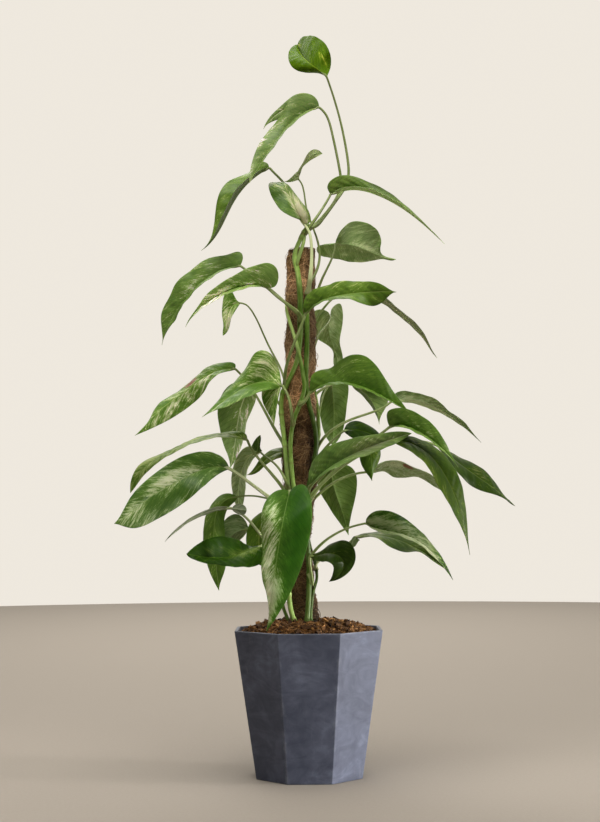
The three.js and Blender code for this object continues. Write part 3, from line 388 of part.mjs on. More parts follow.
    blade: [[86.2,22.6,393.3,86.5,23.4,392.5,85.9,21.8,394.1], [92.5,25,396.3,94.2,29.1,393.3,91.3,21.4,401.1],
    [99.2,27.5,398.1,101.3,40.2,394.7,97.1,16.7,405.1], [106.1,30,399,107.6,44.2,392.4,104.1,17.4,407.5],
    [113.1,32.6,399,113.2,46.3,388.6,111.5,19.1,408.6], [120.1,35.2,398.3,119.5,48.3,386.2,119,21.2,408.2],
    [127.1,37.8,397.3,126.4,51.4,386,126.4,23.4,406.7], [133.9,40.3,395.8,133.3,55.1,386.8,133.4,25.7,404],
    [140.7,42.9,394,140.2,58.4,387.7,140.3,28.2,400.7], [147.4,45.4,391.8,147.1,60.6,387.5,147.3,31.5,397.9],
    [154,47.9,389.3,153.7,61.9,385.8,154.6,35.4,395.4], [160.4,50.3,386.4,159.7,62.3,382.6,161.7,39.8,392.4],
    [166.7,52.7,383.1,165.3,62.1,379,168.4,44.2,388.5], [172.6,55.1,379.4,170.8,61.5,375.3,174,48.5,383.3],
    [178.3,57.3,375.2,176.5,59.9,371.9,178.7,53.9,377.2], [183.5,59.5,370.5,182.4,59.9,368.6,183.1,58.6,370.9],
    [188.4,61.6,365.4,188.2,61.8,365,188.5,61.3,365.8]],
    petiole: [[94,25.5,396.7,0.9], [86.2,22.6,393.3,1.5], [73,21.4,392.5,1.53], [60,20.3,389.8,1.58], [47.5,19.2,385.5,1.64], [35.7,18.1,379.5,1.71], [24.8,17,372,1.8], [14.7,16,363.6,1.89], [5.5,17.1,354.2,1.99], [-2.3,20.2,343.7,2.1]],
    lobes: [] },
  { name: 'leaf_30', tint: 0x5a7a3c,
    blade: [[32.2,50.9,397.2,31,50.9,397,33.3,50.8,397.5], [32.7,54,391.6,22.6,55,399.3,41.1,54,403.2],
    [33.6,56.9,386.1,16.7,58,395.8,48.6,56.9,405], [34.7,59.4,380.5,14,60.8,389.4,56.1,59.4,403.4],
    [36.1,61.5,375,13.5,65.4,382.5,62.3,61.5,399], [37.7,63.3,369.5,14.6,69.8,375.5,66.1,63.3,392.4],
    [39.4,64.6,364.1,16.8,73.5,368.8,67.7,64.6,384.9], [41.2,65.3,358.6,20.1,76.3,362.5,67.8,65.3,377.2],
    [43.1,65.6,353.2,23.8,78.1,356.4,67.1,65.6,369.6], [45,65.4,347.8,27.6,78.4,350.3,65.7,65.4,362],
    [46.8,64.9,342.4,31.5,77.2,344.3,64.1,64.5,354.5], [48.6,64,337,35.4,75,338.3,62,61.2,347],
    [50.3,62.8,331.5,39.3,71.9,332.4,60,57.1,339.5], [51.9,61.2,326.1,43.2,67.7,326.6,58.1,55,332.1],
    [53.2,59.1,320.6,47.1,61.7,320.8,56.6,55.6,324.6], [54.3,56.6,315,51.1,57,315.1,55.6,55.7,317],
    [55.2,53.8,309.4,54.8,53.9,309.3,55.6,53.6,309.6]],
    petiole: [[33.1,55.2,389.3,0.9], [32.2,50.9,397.2,1.5], [28.5,45.5,402.3,1.53], [22.6,41.3,404.7,1.58], [16.5,38.1,402.9,1.64], [12.2,35.7,398.2,1.71], [9.3,33.1,392.4,1.8], [7,29.1,386.3,1.89], [4.8,25.4,380.3,1.99], [1.5,22.5,374.9,2.1]],
    lobes: [] },
  { name: 'leaf_31', tint: 0x6f8a4c,
    blade: [[74.7,-39.5,325.1,74.5,-39,326.2,74.9,-40,324.1], [82,-45.3,321.1,78.1,-45.3,335.4,81.1,-52.1,319.1],
    [89.8,-51.5,318.1,86.2,-51.5,340.8,87.9,-72.3,315.5], [97.7,-58.1,315.9,95.8,-58.1,341.9,95.5,-82.6,313.4],
    [105.6,-65.1,314.1,105.3,-64.7,340.3,103.2,-91.2,311.6], [113.5,-72.2,312.3,114.4,-68.1,336.5,110.9,-98.8,309.9],
    [121.2,-79.3,310.2,123,-68.7,331.4,118.5,-105.6,307.8], [128.5,-86.2,307.3,130.8,-70.6,325.4,125.8,-111.7,304.9],
    [135.5,-92.7,303.5,138,-74.9,318.9,132.8,-117,301.2], [142,-98.5,298.9,144.6,-80.6,312,139.3,-121.1,296.7],
    [148,-104,293.8,150.7,-87.3,304.8,145.4,-124.5,291.6], [153.5,-109.5,288.2,156.3,-94.9,297.4,151.2,-127.4,286.3],
    [158.6,-115.1,282.3,161.3,-103,289.6,156.6,-130,280.7], [163.3,-120.8,276.1,165.7,-111.6,281.6,161.7,-132.1,274.9],
    [167.6,-126.5,269.7,169.3,-122.1,273.5,166.7,-132,268.9], [171.6,-132.2,263.1,172.5,-131.2,265.1,171.3,-133.6,262.7],
    [175.3,-138,256.5,175.5,-137.7,256.8,175.2,-138.3,256.2]],
    petiole: [[81.2,-44.6,321.6,0.9], [74.7,-39.5,325.1,1.3], [63.8,-37.5,323.1,1.33], [53,-35.5,319.9,1.38], [42.7,-33.6,315.6,1.44], [32.8,-31.8,310.3,1.51], [23.5,-30,304,1.6], [15,-28.3,296.6,1.69], [7.4,-23.6,288.2,1.79], [0.9,-17.3,278.9,1.9]],
    lobes: [] },
  { name: 'leaf_32', tint: 0x2f4f20,
    blade: [[3.7,-36.3,283.5,4.2,-35.4,284.2,3.3,-37.1,282.8], [8.6,-46.8,284.1,11.1,-42.1,288.1,6,-51.6,280.1],
    [13.4,-58,285.5,18.3,-44.3,291.4,8.7,-72,279.2], [18.1,-68.8,286.9,24.4,-54.4,296.4,11.7,-84.4,278.9],
    [22.8,-78.4,288,30.7,-67.2,301,14.8,-93.9,278.8], [27.6,-86.1,288.3,37.6,-81.1,304,17.9,-100.7,278.8],
    [32.3,-91.6,287.6,45,-91,304.7,21,-105,278.7], [36.7,-94.8,285.7,51.8,-94.8,301.8,24.1,-106.8,278],
    [40.6,-96,282.8,56.5,-96,295.8,27,-106.5,276.8], [43.4,-95.9,278.9,58.7,-95.9,288.5,29.5,-104.8,274.7],
    [44.2,-95.8,274.1,58.7,-95.8,280.9,30.9,-103,271.8], [43.1,-95.5,269.4,56.3,-95.5,273.6,31.1,-101.2,268.6],
    [40.9,-94.8,265.1,52.2,-94.8,267.1,30.7,-99,265.4], [37.8,-93.6,261.2,46.7,-93.6,261.8,29.9,-95.9,262.2],
    [34.3,-91.8,257.9,40.3,-91.8,257.5,28.8,-92.3,259.1], [30.2,-89.1,255.1,33.2,-89.1,254.6,27.4,-89.1,256.1],
    [25.7,-85.5,253.3,26.1,-85.5,253.2,25.2,-85.5,253.4]],
    petiole: [[7.5,-44.4,284,1.08], [3.7,-36.3,283.5,1.8], [1.9,-35.9,278.2,1.82], [2.5,-35.5,271.3,1.85], [3.4,-35.1,264.4,1.89], [4.5,-34.8,257.4,1.94], [5.5,-34.4,250.5,2], [4.9,-34,248.7,2.06], [3.1,-27.4,255.1,2.13], [1.3,-17.7,261.5,2.2]],
    lobes: [] },
  { name: 'leaf_33', tint: 0x4a7a34,
    blade: [[63.1,-4,307.5,62.6,-3,307.9,63.5,-5,307], [71.4,-4.1,309,67.3,0.4,310.2,71.2,-8.9,306.4],
    [79.8,-4.3,309.7,76.8,9.9,312.5,79.1,-19.2,307.7], [88.2,-4.7,309.6,86.3,12.3,313.7,87.2,-22.2,306.6],
    [96.6,-5.2,308.8,95.8,12.9,314.7,94.5,-23.4,302.9], [104.8,-5.9,307.2,105.2,12,315.2,101.5,-23.2,298.2],
    [112.9,-6.5,305,114.5,10.2,315,108.6,-22.4,293.8], [120.8,-7.3,302.2,123.7,7.8,313.8,116.2,-22,290.2],
    [128.5,-8,298.9,132.6,5,311.4,124.1,-22.6,287.9], [135.9,-8.9,295.1,141,1.9,307.8,132.3,-24,287.6],
    [143.2,-10,291,148.8,-1.8,303.2,140.6,-25,288.3], [150.2,-11.3,286.6,156,-6,297.8,148.5,-24.9,286.2],
    [157,-12.8,282,162.5,-10.4,291.7,155.3,-24.1,281.3], [163.6,-14.4,277.1,168.5,-14,284.9,161.9,-23,276.1],
    [170.1,-16.2,272.1,173.9,-16.2,277.6,169,-20.4,271.3], [176.4,-18.1,267,178.6,-18.1,269.8,176.1,-19.2,266.8],
    [182.6,-20.3,261.7,182.9,-20.2,262.1,182.3,-20.4,261.4]],
    petiole: [[72,-4.1,309,0.9], [63.1,-4,307.5,1.5], [56.3,-2.5,301.6,1.53], [49,-1,296.4,1.58], [41.3,0.5,291.9,1.64], [33.3,2,287.8,1.71], [25.3,3.5,283.7,1.8], [17.6,5,279,1.89], [10.9,3.7,273.1,1.99], [11.1,0,264.8,2.1]],
    lobes: [[[63,-5.5,307.5,60.4,-5.5,308.8,68.2,-5.5,303.5], [61.2,-6.5,305.6,58.4,-6.5,306.7,66.3,-6.5,302.1], [59.6,-7.5,303.6,56.7,-7.5,304.2,64.9,-7.5,300.2], [58.2,-8.5,301.4,55.6,-8.5,301.6,63.7,-8.5,298.2], [57.3,-9.5,299,55.2,-9.5,298.7,62.3,-9.5,296.2], [57.3,-10.5,296.4,56.2,-10.5,296,60.5,-10.5,294.7], [58.2,-11.5,294.1,57.8,-11.5,294.2,58.6,-11.5,294]]] },
  { name: 'leaf_34', tint: 0x34502a,
    blade: [[49.1,16.6,447.9,49,17.3,448.9,49.3,15.9,446.9], [52.9,17.6,448.7,50.9,21.3,453.8,52.6,13.8,443.5],
    [56.6,18.7,449.3,53.9,29.7,458.1,55.4,7.4,441], [60.4,19.8,449.5,57.9,32.5,460.8,58.5,6.9,439],
    [64.2,21,449.5,62.4,34.5,462.1,61.7,7.8,437.4], [68,22.2,449.1,67.1,36,462.3,65.1,9.4,436],
    [71.8,23.5,448.5,71.7,37.4,461.7,68.6,11.5,434.7], [75.5,24.9,447.7,76.2,38.6,460.4,72.1,13.8,433.7],
    [79.2,26.3,446.6,80.5,39.7,458.7,75.8,16,432.9], [82.8,27.8,445.4,84.6,40.4,456.5,79.5,18.6,432.3],
    [86.3,29.3,444,88.5,40.8,453.9,83.2,21.4,431.8], [89.8,30.9,442.4,92.1,40.9,451,87,24.3,431.5],
    [93.2,32.5,440.7,95.5,40.8,447.8,90.8,27.5,431.4], [96.6,34.2,438.9,98.6,40.3,444.4,94.7,31.1,431.5],
    [99.9,35.9,436.9,101.4,38.7,440.6,98.6,35.1,431.8], [103.1,37.7,434.9,104,38.3,436.7,102.5,37.6,432.2],
    [106.3,39.5,432.7,106.4,39.6,433.2,106.1,39.4,432.3]],
    petiole: [[57.6,19,449.4,0.9], [49.1,16.6,447.9,1.5], [42.6,17,443.1,1.53], [36.4,17.8,437.8,1.58], [30.6,18.9,432.2,1.64], [25.1,20.4,426.3,1.71], [20,22.2,420,1.8], [15.3,22.4,413.4,1.89], [10.9,21.9,406.5,1.99], [6.9,18.9,399.3,2.1]],
    lobes: [] },
  { name: 'leaf_35', tint: 0x507a38,
    blade: [[33.4,65.6,516.8,32.3,65.9,516.3,34.4,65.2,517.2], [34.5,69.7,511.8,26.3,74.1,513.8,42.4,69.1,521],
    [35.4,73.5,506.8,23,86.1,510,49.5,73.2,521.5], [36.2,77,501.7,20.6,90.8,505,55.6,77,518.3],
    [36.8,79.9,496.5,19.2,93.7,499.4,57.9,79.9,511.9], [37.2,82.2,491.2,18.4,95.4,493.5,57.9,82,504.9],
    [37.5,84,485.9,18.1,96,487.6,57,81.5,497.8], [37.7,85.1,480.5,18.2,95.9,481.6,55.8,78.5,490.4],
    [37.8,85.5,475.1,18.7,95.1,475.5,54.9,76.5,483.2], [37.7,85.4,469.6,19.4,93.3,469.4,54.1,76.5,476.1],
    [37.6,85.2,464.1,20.4,90.4,463.3,53.2,78.2,469.1], [37.4,84.9,458.6,21.6,86.8,457.2,52.1,81.2,462.3],
    [37.1,84.3,453.1,23.3,84.5,451.4,50.5,83.4,455.4], [36.8,83.3,447.6,25.5,83.3,445.8,48.1,83.3,448.7],
    [36.5,81.9,442.1,28.3,81.9,440.4,44.9,81.9,442.2], [36.1,80.1,436.6,31.7,80.1,435.5,40.7,80.1,436.3],
    [35.7,77.7,431,35.3,77.7,431,36.2,77.7,431.1]],
    petiole: [[34.8,71.2,509.9,0.9], [33.4,65.6,516.8,1.3], [26.5,53.7,506.9,1.32], [21.8,43.8,496.1,1.36], [18.8,36,485,1.41], [16.9,30.4,473.9,1.48], [15.6,26,462.8,1.55], [14.7,22.5,451.8,1.62], [13.9,17.4,440.8,1.71], [13.2,11.6,429.8,1.8]],
    lobes: [] },
  { name: 'leaf_36', tint: 0x7a8a5c,
    blade: [[112.8,26.9,487.1,113.3,27.7,486.3,112.3,26.2,487.9], [121.2,29.9,490.6,122.4,34.5,487.3,117,26.4,496.8],
    [130.1,33.1,492.4,131.8,47.6,488.1,124.9,22.2,501.2], [139.1,36.5,492.6,140.8,53.9,487.5,134.4,22.5,501.3],
    [148.1,40.2,491.5,149.6,59.1,486.1,143.8,24,499.2], [156.9,44.2,489.3,158.2,63.8,484,153.4,27.2,497.4],
    [165.6,48.4,486.4,166.7,68.1,481.5,163.1,31.6,495.5], [174,52.9,482.9,175.1,72.3,478.4,172.4,36.3,492.2],
    [182.3,57.6,479,183.3,76.3,475.1,180.4,41,486.7], [190.4,62.6,474.8,191.4,80.1,471.4,187.5,46.1,480.1],
    [198.4,67.8,470.3,199.3,83.7,467.4,195.7,52.5,474.5], [206.2,73.1,465.4,207,87,463,204.6,59.8,469.7],
    [213.8,78.6,460.1,214.5,90,458.2,213.1,67.6,464.2], [221.2,84.1,454.5,221.6,92.7,452.9,220.5,75.6,457.4],
    [228.3,89.4,448.6,228.2,93.6,447.3,227.5,85.2,450.1], [235.1,94.4,442.3,234.9,95.4,441.5,234.3,93.4,442.7],
    [241.7,99,435.7,241.8,99.4,435.5,241.6,98.6,435.9]],
    petiole: [[120.7,29.7,490.4,0.9], [112.8,26.9,487.1,1.5], [99.1,20.9,477.9,1.52], [84.1,15.8,471.7,1.56], [68.8,11.4,466.5,1.61], [53.9,7.3,460.6,1.68], [39.8,3,453,1.75], [27.2,0.8,443.4,1.82], [17.3,3.9,431.4,1.91], [11,14.4,417.6,2]],
    lobes: [] },
  { name: 'leaf_37', tint: 0x5a8230,
    blade: [[81.5,2,427,82.7,2,427.2,80.4,2,426.8], [82.3,1.9,424.2,86.7,4.3,428.2,77,4.3,426.4],
    [82.9,1.8,421.3,90.5,8.1,427.8,74.2,8,424.7], [83.5,1.6,418.5,93.7,7.6,426,71.7,6.7,422.1],
    [84,1.5,415.6,96,6.8,423.1,70,3.9,418.8], [84.4,1.4,412.7,97.1,6.9,419.5,69.2,1.8,415.2],
    [84.7,1.2,409.8,97.2,7.7,415.9,69.1,1.2,411.7], [85,1.1,406.9,96.6,8.7,412.2,69.6,1.1,408.2],
    [85.1,1,404,95.6,9.6,408.7,70.5,1,404.8], [85.3,0.9,401.1,94.2,10,405.3,71.7,0.9,401.5],
    [85.4,0.8,398.2,92.5,9.7,401.9,73.2,0.8,398.3], [85.4,0.6,395.3,90.8,9,398.6,75,1,395.3],
    [85.4,0.5,392.4,89.1,7.8,395.2,77,1.7,392.3], [85.3,0.4,389.4,87.5,6.2,391.7,79,1.7,389.5],
    [85.2,0.2,386.5,86.1,3.2,388.1,81.1,0.8,386.6], [85.1,0.1,383.6,85.2,0.9,384.4,83.1,0.2,383.7],
    [84.9,0,380.7,85.4,0.1,380.9,84.5,-0.1,380.6]],
    petiole: [[83.5,1.6,418.3,0.9], [81.5,2,427,1.3], [68.4,2.7,424.3,1.32], [56.1,4.1,418.9,1.36], [44.9,5.9,411.6,1.41], [34.6,8,403,1.48], [25.1,11.1,393.6,1.55], [16.1,14.7,383.6,1.62], [7.7,18.3,373.1,1.71], [-0.6,22.2,362.4,1.8]],
    lobes: [] },
  { name: 'leaf_38', tint: 0x4a5440,
    blade: [[-62.8,14.4,420.5,-63.1,13.8,421.5,-62.5,15.1,419.5], [-68.5,16.2,419.5,-71,13.5,427.2,-67.4,20.6,415.8],
    [-73.8,18.1,417.1,-77.7,9.3,427.9,-71.8,31.8,412.7], [-78.3,19.8,413.5,-84,8.9,425,-75.2,36.2,408.6],
    [-82,21.4,409,-89.1,9.1,420.2,-77.9,39.1,404], [-84.9,22.7,404,-93,9.9,414.5,-79.8,40.9,399],
    [-87.1,23.8,398.6,-96.1,10.9,408.2,-81.1,41.7,393.8], [-88.8,24.5,393.1,-98.3,11.9,401.6,-82,41.6,388.5],
    [-90.1,24.9,387.4,-99.8,12.5,394.8,-82.6,40.8,383.2], [-91.1,24.9,381.7,-100.6,13.2,387.8,-83,39.1,377.7],
    [-91.9,24.9,375.9,-100.7,14.3,380.9,-83.3,36.9,372.3], [-92.3,25,370.1,-100.3,15.8,373.9,-83.7,34.3,366.9],
    [-92.5,25,364.3,-99.6,17.6,367,-84.2,31.3,361.6], [-92.3,25,358.5,-98.4,20,360.1,-84.9,28,356.2],
    [-91.8,25,352.7,-96.7,23.4,353.4,-86,25.5,351], [-91.1,25,346.9,-94,24.8,347,-87.7,25,346],
    [-90,25,341.2,-90.5,25,341.3,-89.6,25,341.1]],
    petiole: [[-71,17.1,418.3,0.9], [-62.8,14.4,420.5,1.3], [-56.6,7.7,415.3,1.32], [-50.3,0.6,410.3,1.36], [-44.2,-6.8,405.2,1.41], [-38.9,-14.4,399.3,1.48], [-34.4,-23.2,392.7,1.55], [-30.8,-31.1,385.8,1.62], [-28,-31.5,378.8,1.71], [-25.7,-22.3,371.8,1.8]],
    lobes: [[[-66.1,13.7,420.5,-75.3,13.7,425.2,-59.5,13.7,421.8], [-65.8,12.7,424.3,-73.7,12.7,428.6,-61.8,12.7,424.7], [-65.3,11.7,428,-72,11.7,431.9,-62.5,11.7,428.3], [-64.7,10.7,431.7,-70.2,10.7,435.1,-62.1,10.7,431.9], [-64,9.7,435.4,-68,9.7,438.1,-61.4,9.7,435.6], [-63.2,8.7,439.1,-65.3,8.7,440.7,-61.2,8.7,439.2], [-62.2,7.7,442.7,-62.6,7.7,442.9,-61.8,7.7,442.6]]] },
  { name: 'leaf_39', tint: 0x38542a,
    blade: [[-25.6,21.3,420.6,-25.6,21,419.4,-25.6,21.6,421.8], [-29.7,21.1,420.7,-30.7,19.6,414,-30.4,23.2,426.6],
    [-33.7,20.8,420.4,-34.3,14.1,413.1,-34.8,28.5,427], [-37.7,20.3,419.6,-37.9,11.1,412,-39.2,30.2,426.5],
    [-41.5,19.6,418.4,-41.4,9.3,410.7,-43.4,30.6,425.5], [-45.2,18.9,416.8,-44.8,8.1,409.2,-47.5,30.1,424],
    [-48.7,18.2,414.7,-48.1,7.3,407.4,-51.4,29.2,422.1], [-52,17.5,412.4,-51.3,6.9,405.3,-55.1,28,419.7],
    [-55.1,16.8,409.8,-54.2,6.6,403.1,-58.4,26.6,416.9], [-58,16.2,407,-57.1,6.7,400.7,-61.4,25.2,413.7],
    [-60.8,15.4,404,-59.9,6.8,398.2,-64,23.3,410.2], [-63.6,14.4,401.1,-62.8,7.1,395.8,-66.4,21.2,406.5],
    [-66.4,13.3,398.3,-65.8,7.5,393.6,-68.7,19,402.8], [-69.5,12.1,395.6,-69,7.9,391.7,-71,16.4,399.1],
    [-72.7,10.8,393.2,-72.5,8.9,390.4,-73.6,12.9,395.6], [-76.2,9.5,391.3,-76.2,9,389.8,-76.5,10,392.5],
    [-79.9,8,389.9,-79.9,7.9,389.5,-79.9,8.1,390.3]],
    petiole: [[-34.5,20.7,420.2,0.9], [-25.6,21.3,420.6,1.3], [-21,25.1,417.9,1.32], [-17.4,28.4,413.8,1.36], [-14.7,31.1,409.2,1.41], [-12.1,33.3,404.4,1.48], [-9,32.7,399.8,1.55], [-5,29.2,396,1.62], [0.1,24.7,393.8,1.71], [5.5,20.1,393.2,1.8]],
    lobes: [],
    clears: [37] },
  { name: 'leaf_40', tint: 0x38542a,
    blade: [[-49.5,-1.4,342.2,-48.4,-1.5,341.7,-50.6,-1.4,342.6], [-52.9,-1.4,338.8,-45.7,1.9,336.7,-58.1,2.7,341.7],
    [-55.8,-1.4,335,-43.9,7.2,332.3,-63.8,10.9,339.4], [-58.3,-1.5,331,-42.5,5.7,327.7,-68.7,12.5,335.8],
    [-60.3,-1.6,326.6,-41.6,1.9,323,-72.8,12.7,331.5], [-61.8,-1.7,322.1,-41.2,-1,318.2,-76.1,11.8,326.4],
    [-62.9,-1.8,317.5,-41.3,-1.8,313.4,-78.5,10.3,321], [-63.6,-1.8,312.8,-41.9,-1.8,308.6,-80.2,8.2,315.3],
    [-64.1,-1.9,308.1,-42.7,-1.9,303.9,-81.1,5.4,309.4], [-64.2,-1.9,303.3,-43.9,-1.9,299.2,-81.2,1.8,303.5],
    [-64.1,-1.9,298.6,-45.3,-1.9,294.6,-80.7,-1.2,297.6], [-63.8,-2,293.8,-47.1,-2,290.2,-79.4,-1.9,291.8],
    [-63.3,-2,289.1,-49.1,-2,285.8,-77.3,-2,286.2], [-62.7,-2,284.4,-51.4,-2,281.6,-74.3,-2,281.1],
    [-62,-2,279.7,-54,-2,277.6,-70.4,-2,276.5], [-61.2,-2,275,-57,-2,273.8,-65.7,-2,272.9],
    [-60.3,-2,270.4,-59.9,-2,270.4,-60.7,-2,270.3]],
    petiole: [[-55.4,-1.4,335.5,0.9], [-49.5,-1.4,342.1,1.3], [-44.4,-4.7,338,1.32], [-40.5,-8.5,332.6,1.36], [-37.1,-12.7,327,1.41], [-34.1,-17.1,321.2,1.48], [-31.6,-20.5,315.1,1.55], [-29.9,-21.4,308.9,1.62], [-29.1,-17.3,302.4,1.71], [-29.2,-10.2,295.7,1.8]],
    lobes: [],
    clears: [19] },
  { name: 'leaf_41', tint: 0x6a7658,
    blade: [[-77.8,15.1,318.6,-77.8,14.4,319.7,-77.8,15.7,317.6], [-80.8,14.8,318.7,-80.5,11.9,326.3,-80.6,19.1,314.6],
    [-83.8,14.5,318.4,-82.9,7.8,330.8,-82.8,27.7,312.3], [-86.7,14.3,317.9,-86.4,10.6,334.7,-84.7,29.6,310],
    [-89.6,14.1,317,-90.9,13.4,337.6,-86.6,30,307.7], [-92.4,13.8,315.9,-96,13.8,338.5,-88.4,29.4,305.5],
    [-95.1,13.6,314.5,-101,13.6,337.3,-90.3,28.1,303.4], [-97.6,13.3,313,-105.4,13.3,334.6,-92.2,26.6,301.3],
    [-100,13.1,311.2,-109.3,13.1,331.1,-94.2,24.8,299.3], [-102.3,12.7,309.3,-112.5,12.7,327.1,-96.3,22.6,297.5],
    [-104.5,12.4,307.2,-115,12.4,322.6,-98.6,20,295.9], [-106.5,12,305,-116.9,12,317.7,-100.9,17.1,294.5],
    [-108.4,11.6,302.7,-118.1,11.6,312.7,-103.4,13.9,293.4], [-110.1,11.2,300.3,-118.4,11.2,307.5,-106.1,11.7,292.7],
    [-111.8,10.8,297.8,-118,10.8,302.4,-108.9,10.8,292.3], [-113.3,10.4,295.3,-116.7,10.4,297.3,-111.8,10.4,292.3],
    [-114.6,10,292.6,-114.9,10,292.9,-114.3,10,292.3]],
    petiole: [[-86.7,14.3,317.9,0.9], [-77.8,15.1,318.6,1.3], [-69.3,12.6,316.3,1.32], [-61.4,10.1,312.7,1.36], [-53.9,7.6,308.4,1.41], [-46.6,5,303.6,1.48], [-40,2.4,298.1,1.55], [-34.7,-0.4,291.4,1.62], [-32,-4.2,283.4,1.71], [-32.2,-9.1,275.1,1.8]],
    lobes: [] },
];

// ---- helpers ----
const wasm = await Module();
wasm.setup();

function solid(geometry) {
  const bare = new THREE.BufferGeometry();
  const src = geometry.index ? geometry : geometry.clone();
  bare.setAttribute('position', src.attributes.position.clone());
  if (src.index) bare.setIndex(src.index.clone());
  const g = mergeVertices(bare, 1e-4);
  const idx = [];
  const raw = g.index.array;
  for (let i = 0; i < raw.length; i += 3) {
    const a = raw[i], b = raw[i + 1], c = raw[i + 2];
    if (a !== b && b !== c && a !== c) idx.push(a, b, c);
  }
  return new wasm.Manifold(new wasm.Mesh({
    numProp: 3,
    vertProperties: new Float32Array(g.attributes.position.array),
    triVerts: new Uint32Array(idx),
  }));
}

function geometryOf(manifold) {
  const mesh = manifold.getMesh();
  const g = new THREE.BufferGeometry();
  const n = mesh.numProp;
  const pos = new Float32Array((mesh.vertProperties.length / n) * 3);
  for (let i = 0; i < pos.length / 3; i++) {
    pos[3 * i] = mesh.vertProperties[n * i];
    pos[3 * i + 1] = mesh.vertProperties[n * i + 1];
    pos[3 * i + 2] = mesh.vertProperties[n * i + 2];
  }
  g.setAttribute('position', new THREE.BufferAttribute(pos, 3));
  g.setIndex(Array.from(mesh.triVerts));
  g.computeVertexNormals();
  return g;
}

function indexed(points, faces) {
  const g = new THREE.BufferGeometry();
  g.setAttribute('position', new THREE.Float32BufferAttribute(points.flatMap((p) => [p.x, p.y, p.z]), 3));
  g.setIndex(faces.flat());
  return g;
}

// a closed tapered rod along a curve through the given [x, y, z, radius] points
function rod(path, sides, steps, grow = 0) {
  const curve = new THREE.CatmullRomCurve3(path.map((p) => new THREE.Vector3(p[0], p[1], p[2])), false, 'centripetal');
  const radius = (t) => {
    const k = t * (path.length - 1);
    const i = Math.min(Math.floor(k), path.length - 2);
    return path[i][3] + (path[i + 1][3] - path[i][3]) * (k - i) + grow;
  };
  const centres = [], tangents = [];
  for (let i = 0; i <= steps; i++) {
    centres.push(curve.getPoint(i / steps));
    tangents.push(curve.getTangent(i / steps).normalize());
  }
  let side = new THREE.Vector3(0, 1, 0);
  if (Math.abs(tangents[0].dot(side)) > 0.9) side = new THREE.Vector3(1, 0, 0);
  const points = [], faces = [];
  for (let i = 0; i <= steps; i++) {
    const t = tangents[i];
    side.addScaledVector(t, -side.dot(t)).normalize();
    const up = new THREE.Vector3().crossVectors(t, side);
    for (let s = 0; s < sides; s++) {
      const a = (2 * Math.PI * s) / sides;
      const r = radius(i / steps);
      points.push(centres[i].clone().addScaledVector(side, r * Math.cos(a)).addScaledVector(up, r * Math.sin(a)));
    }
  }
  for (let i = 0; i < steps; i++) {
    for (let s = 0; s < sides; s++) {
      const a = i * sides + s, b = i * sides + ((s + 1) % sides);
      faces.push([a, b, b + sides], [a, b + sides, a + sides]);
    }
  }
  for (let s = 1; s < sides - 1; s++) {
    faces.push([0, s + 1, s]);
    const e = steps * sides;
    faces.push([e, e + s, e + s + 1]);
  }
  return indexed(points, faces);
}

// a closed thin blade: rows of [midrib, left edge, right edge], each half bowed a little
function blade(rows, thickness) {
  const V = (r, k) => new THREE.Vector3(r[k], r[k + 1], r[k + 2]);
  const M = rows.map((r) => V(r, 0)), A = rows.map((r) => V(r, 3)), B = rows.map((r) => V(r, 6));
  const n = rows.length;
  const top = [], low = [];
  for (let i = 0; i < n; i++) {
    const t = M[Math.min(i + 1, n - 1)].clone().sub(M[Math.max(i - 1, 0)]).normalize();
    const nrm = (p, q) => {
      const v = new THREE.Vector3().crossVectors(q.clone().sub(p), t);
      return v.lengthSq() < 1e-9 ? new THREE.Vector3(0, 0, 1) : v.normalize();
    };
    const nA = nrm(A[i], M[i]), nB = nrm(M[i], B[i]);
    const nM = nA.clone().add(nB);
    if (nM.length() < 0.35) nM.copy(nA); else nM.normalize();
    const wA = A[i].distanceTo(M[i]), wB = B[i].distanceTo(M[i]);
    const hA = A[i].clone().lerp(M[i], 0.5).addScaledVector(nA, CAMBER * wA);
    const hB = B[i].clone().lerp(M[i], 0.5).addScaledVector(nB, CAMBER * wB);
    const row = [[A[i], nA], [hA, nA], [M[i], nM], [hB, nB], [B[i], nB]];
    for (const [p, v] of row) {
      top.push(p.clone().addScaledVector(v, thickness / 2));
      low.push(p.clone().addScaledVector(v, -thickness / 2));
    }
  }
  const c = 5, o = top.length, f = [];
  for (let i = 0; i < n - 1; i++) {
    for (let j = 0; j < c - 1; j++) {
      const a = i * c + j, b = a + 1, d = a + c, e = d + 1;
      f.push([a, b, e], [a, e, d], [o + a, o + e, o + b], [o + a, o + d, o + e]);
    }
    const a = i * c, d = a + c;
    f.push([a, d, o + d], [a, o + d, o + a]);
    const b = i * c + c - 1, e = b + c;
    f.push([b, o + e, e], [b, o + b, o + e]);
  }
  for (let j = 0; j < c - 1; j++) {
    f.push([j, o + j + 1, j + 1], [j, o + j, o + j + 1]);
    const a = (n - 1) * c + j, b = a + 1;
    f.push([a, b, o + b], [a, o + b, o + a]);
  }
  return indexed([...top, ...low], f);
}

const lambert = (color, roughness, metalness = 0) => new THREE.MeshStandardMaterial({ color, roughness, metalness });
const plant = new THREE.Group();
function add(name, geometry, material) {
  const mesh = new THREE.Mesh(geometry, material);
  mesh.name = name;
  plant.add(mesh);
}
const largest = (m) => {
  const bits = m.decompose().sort((p, q) => q.volume() - p.volume());
  return bits[0];
};

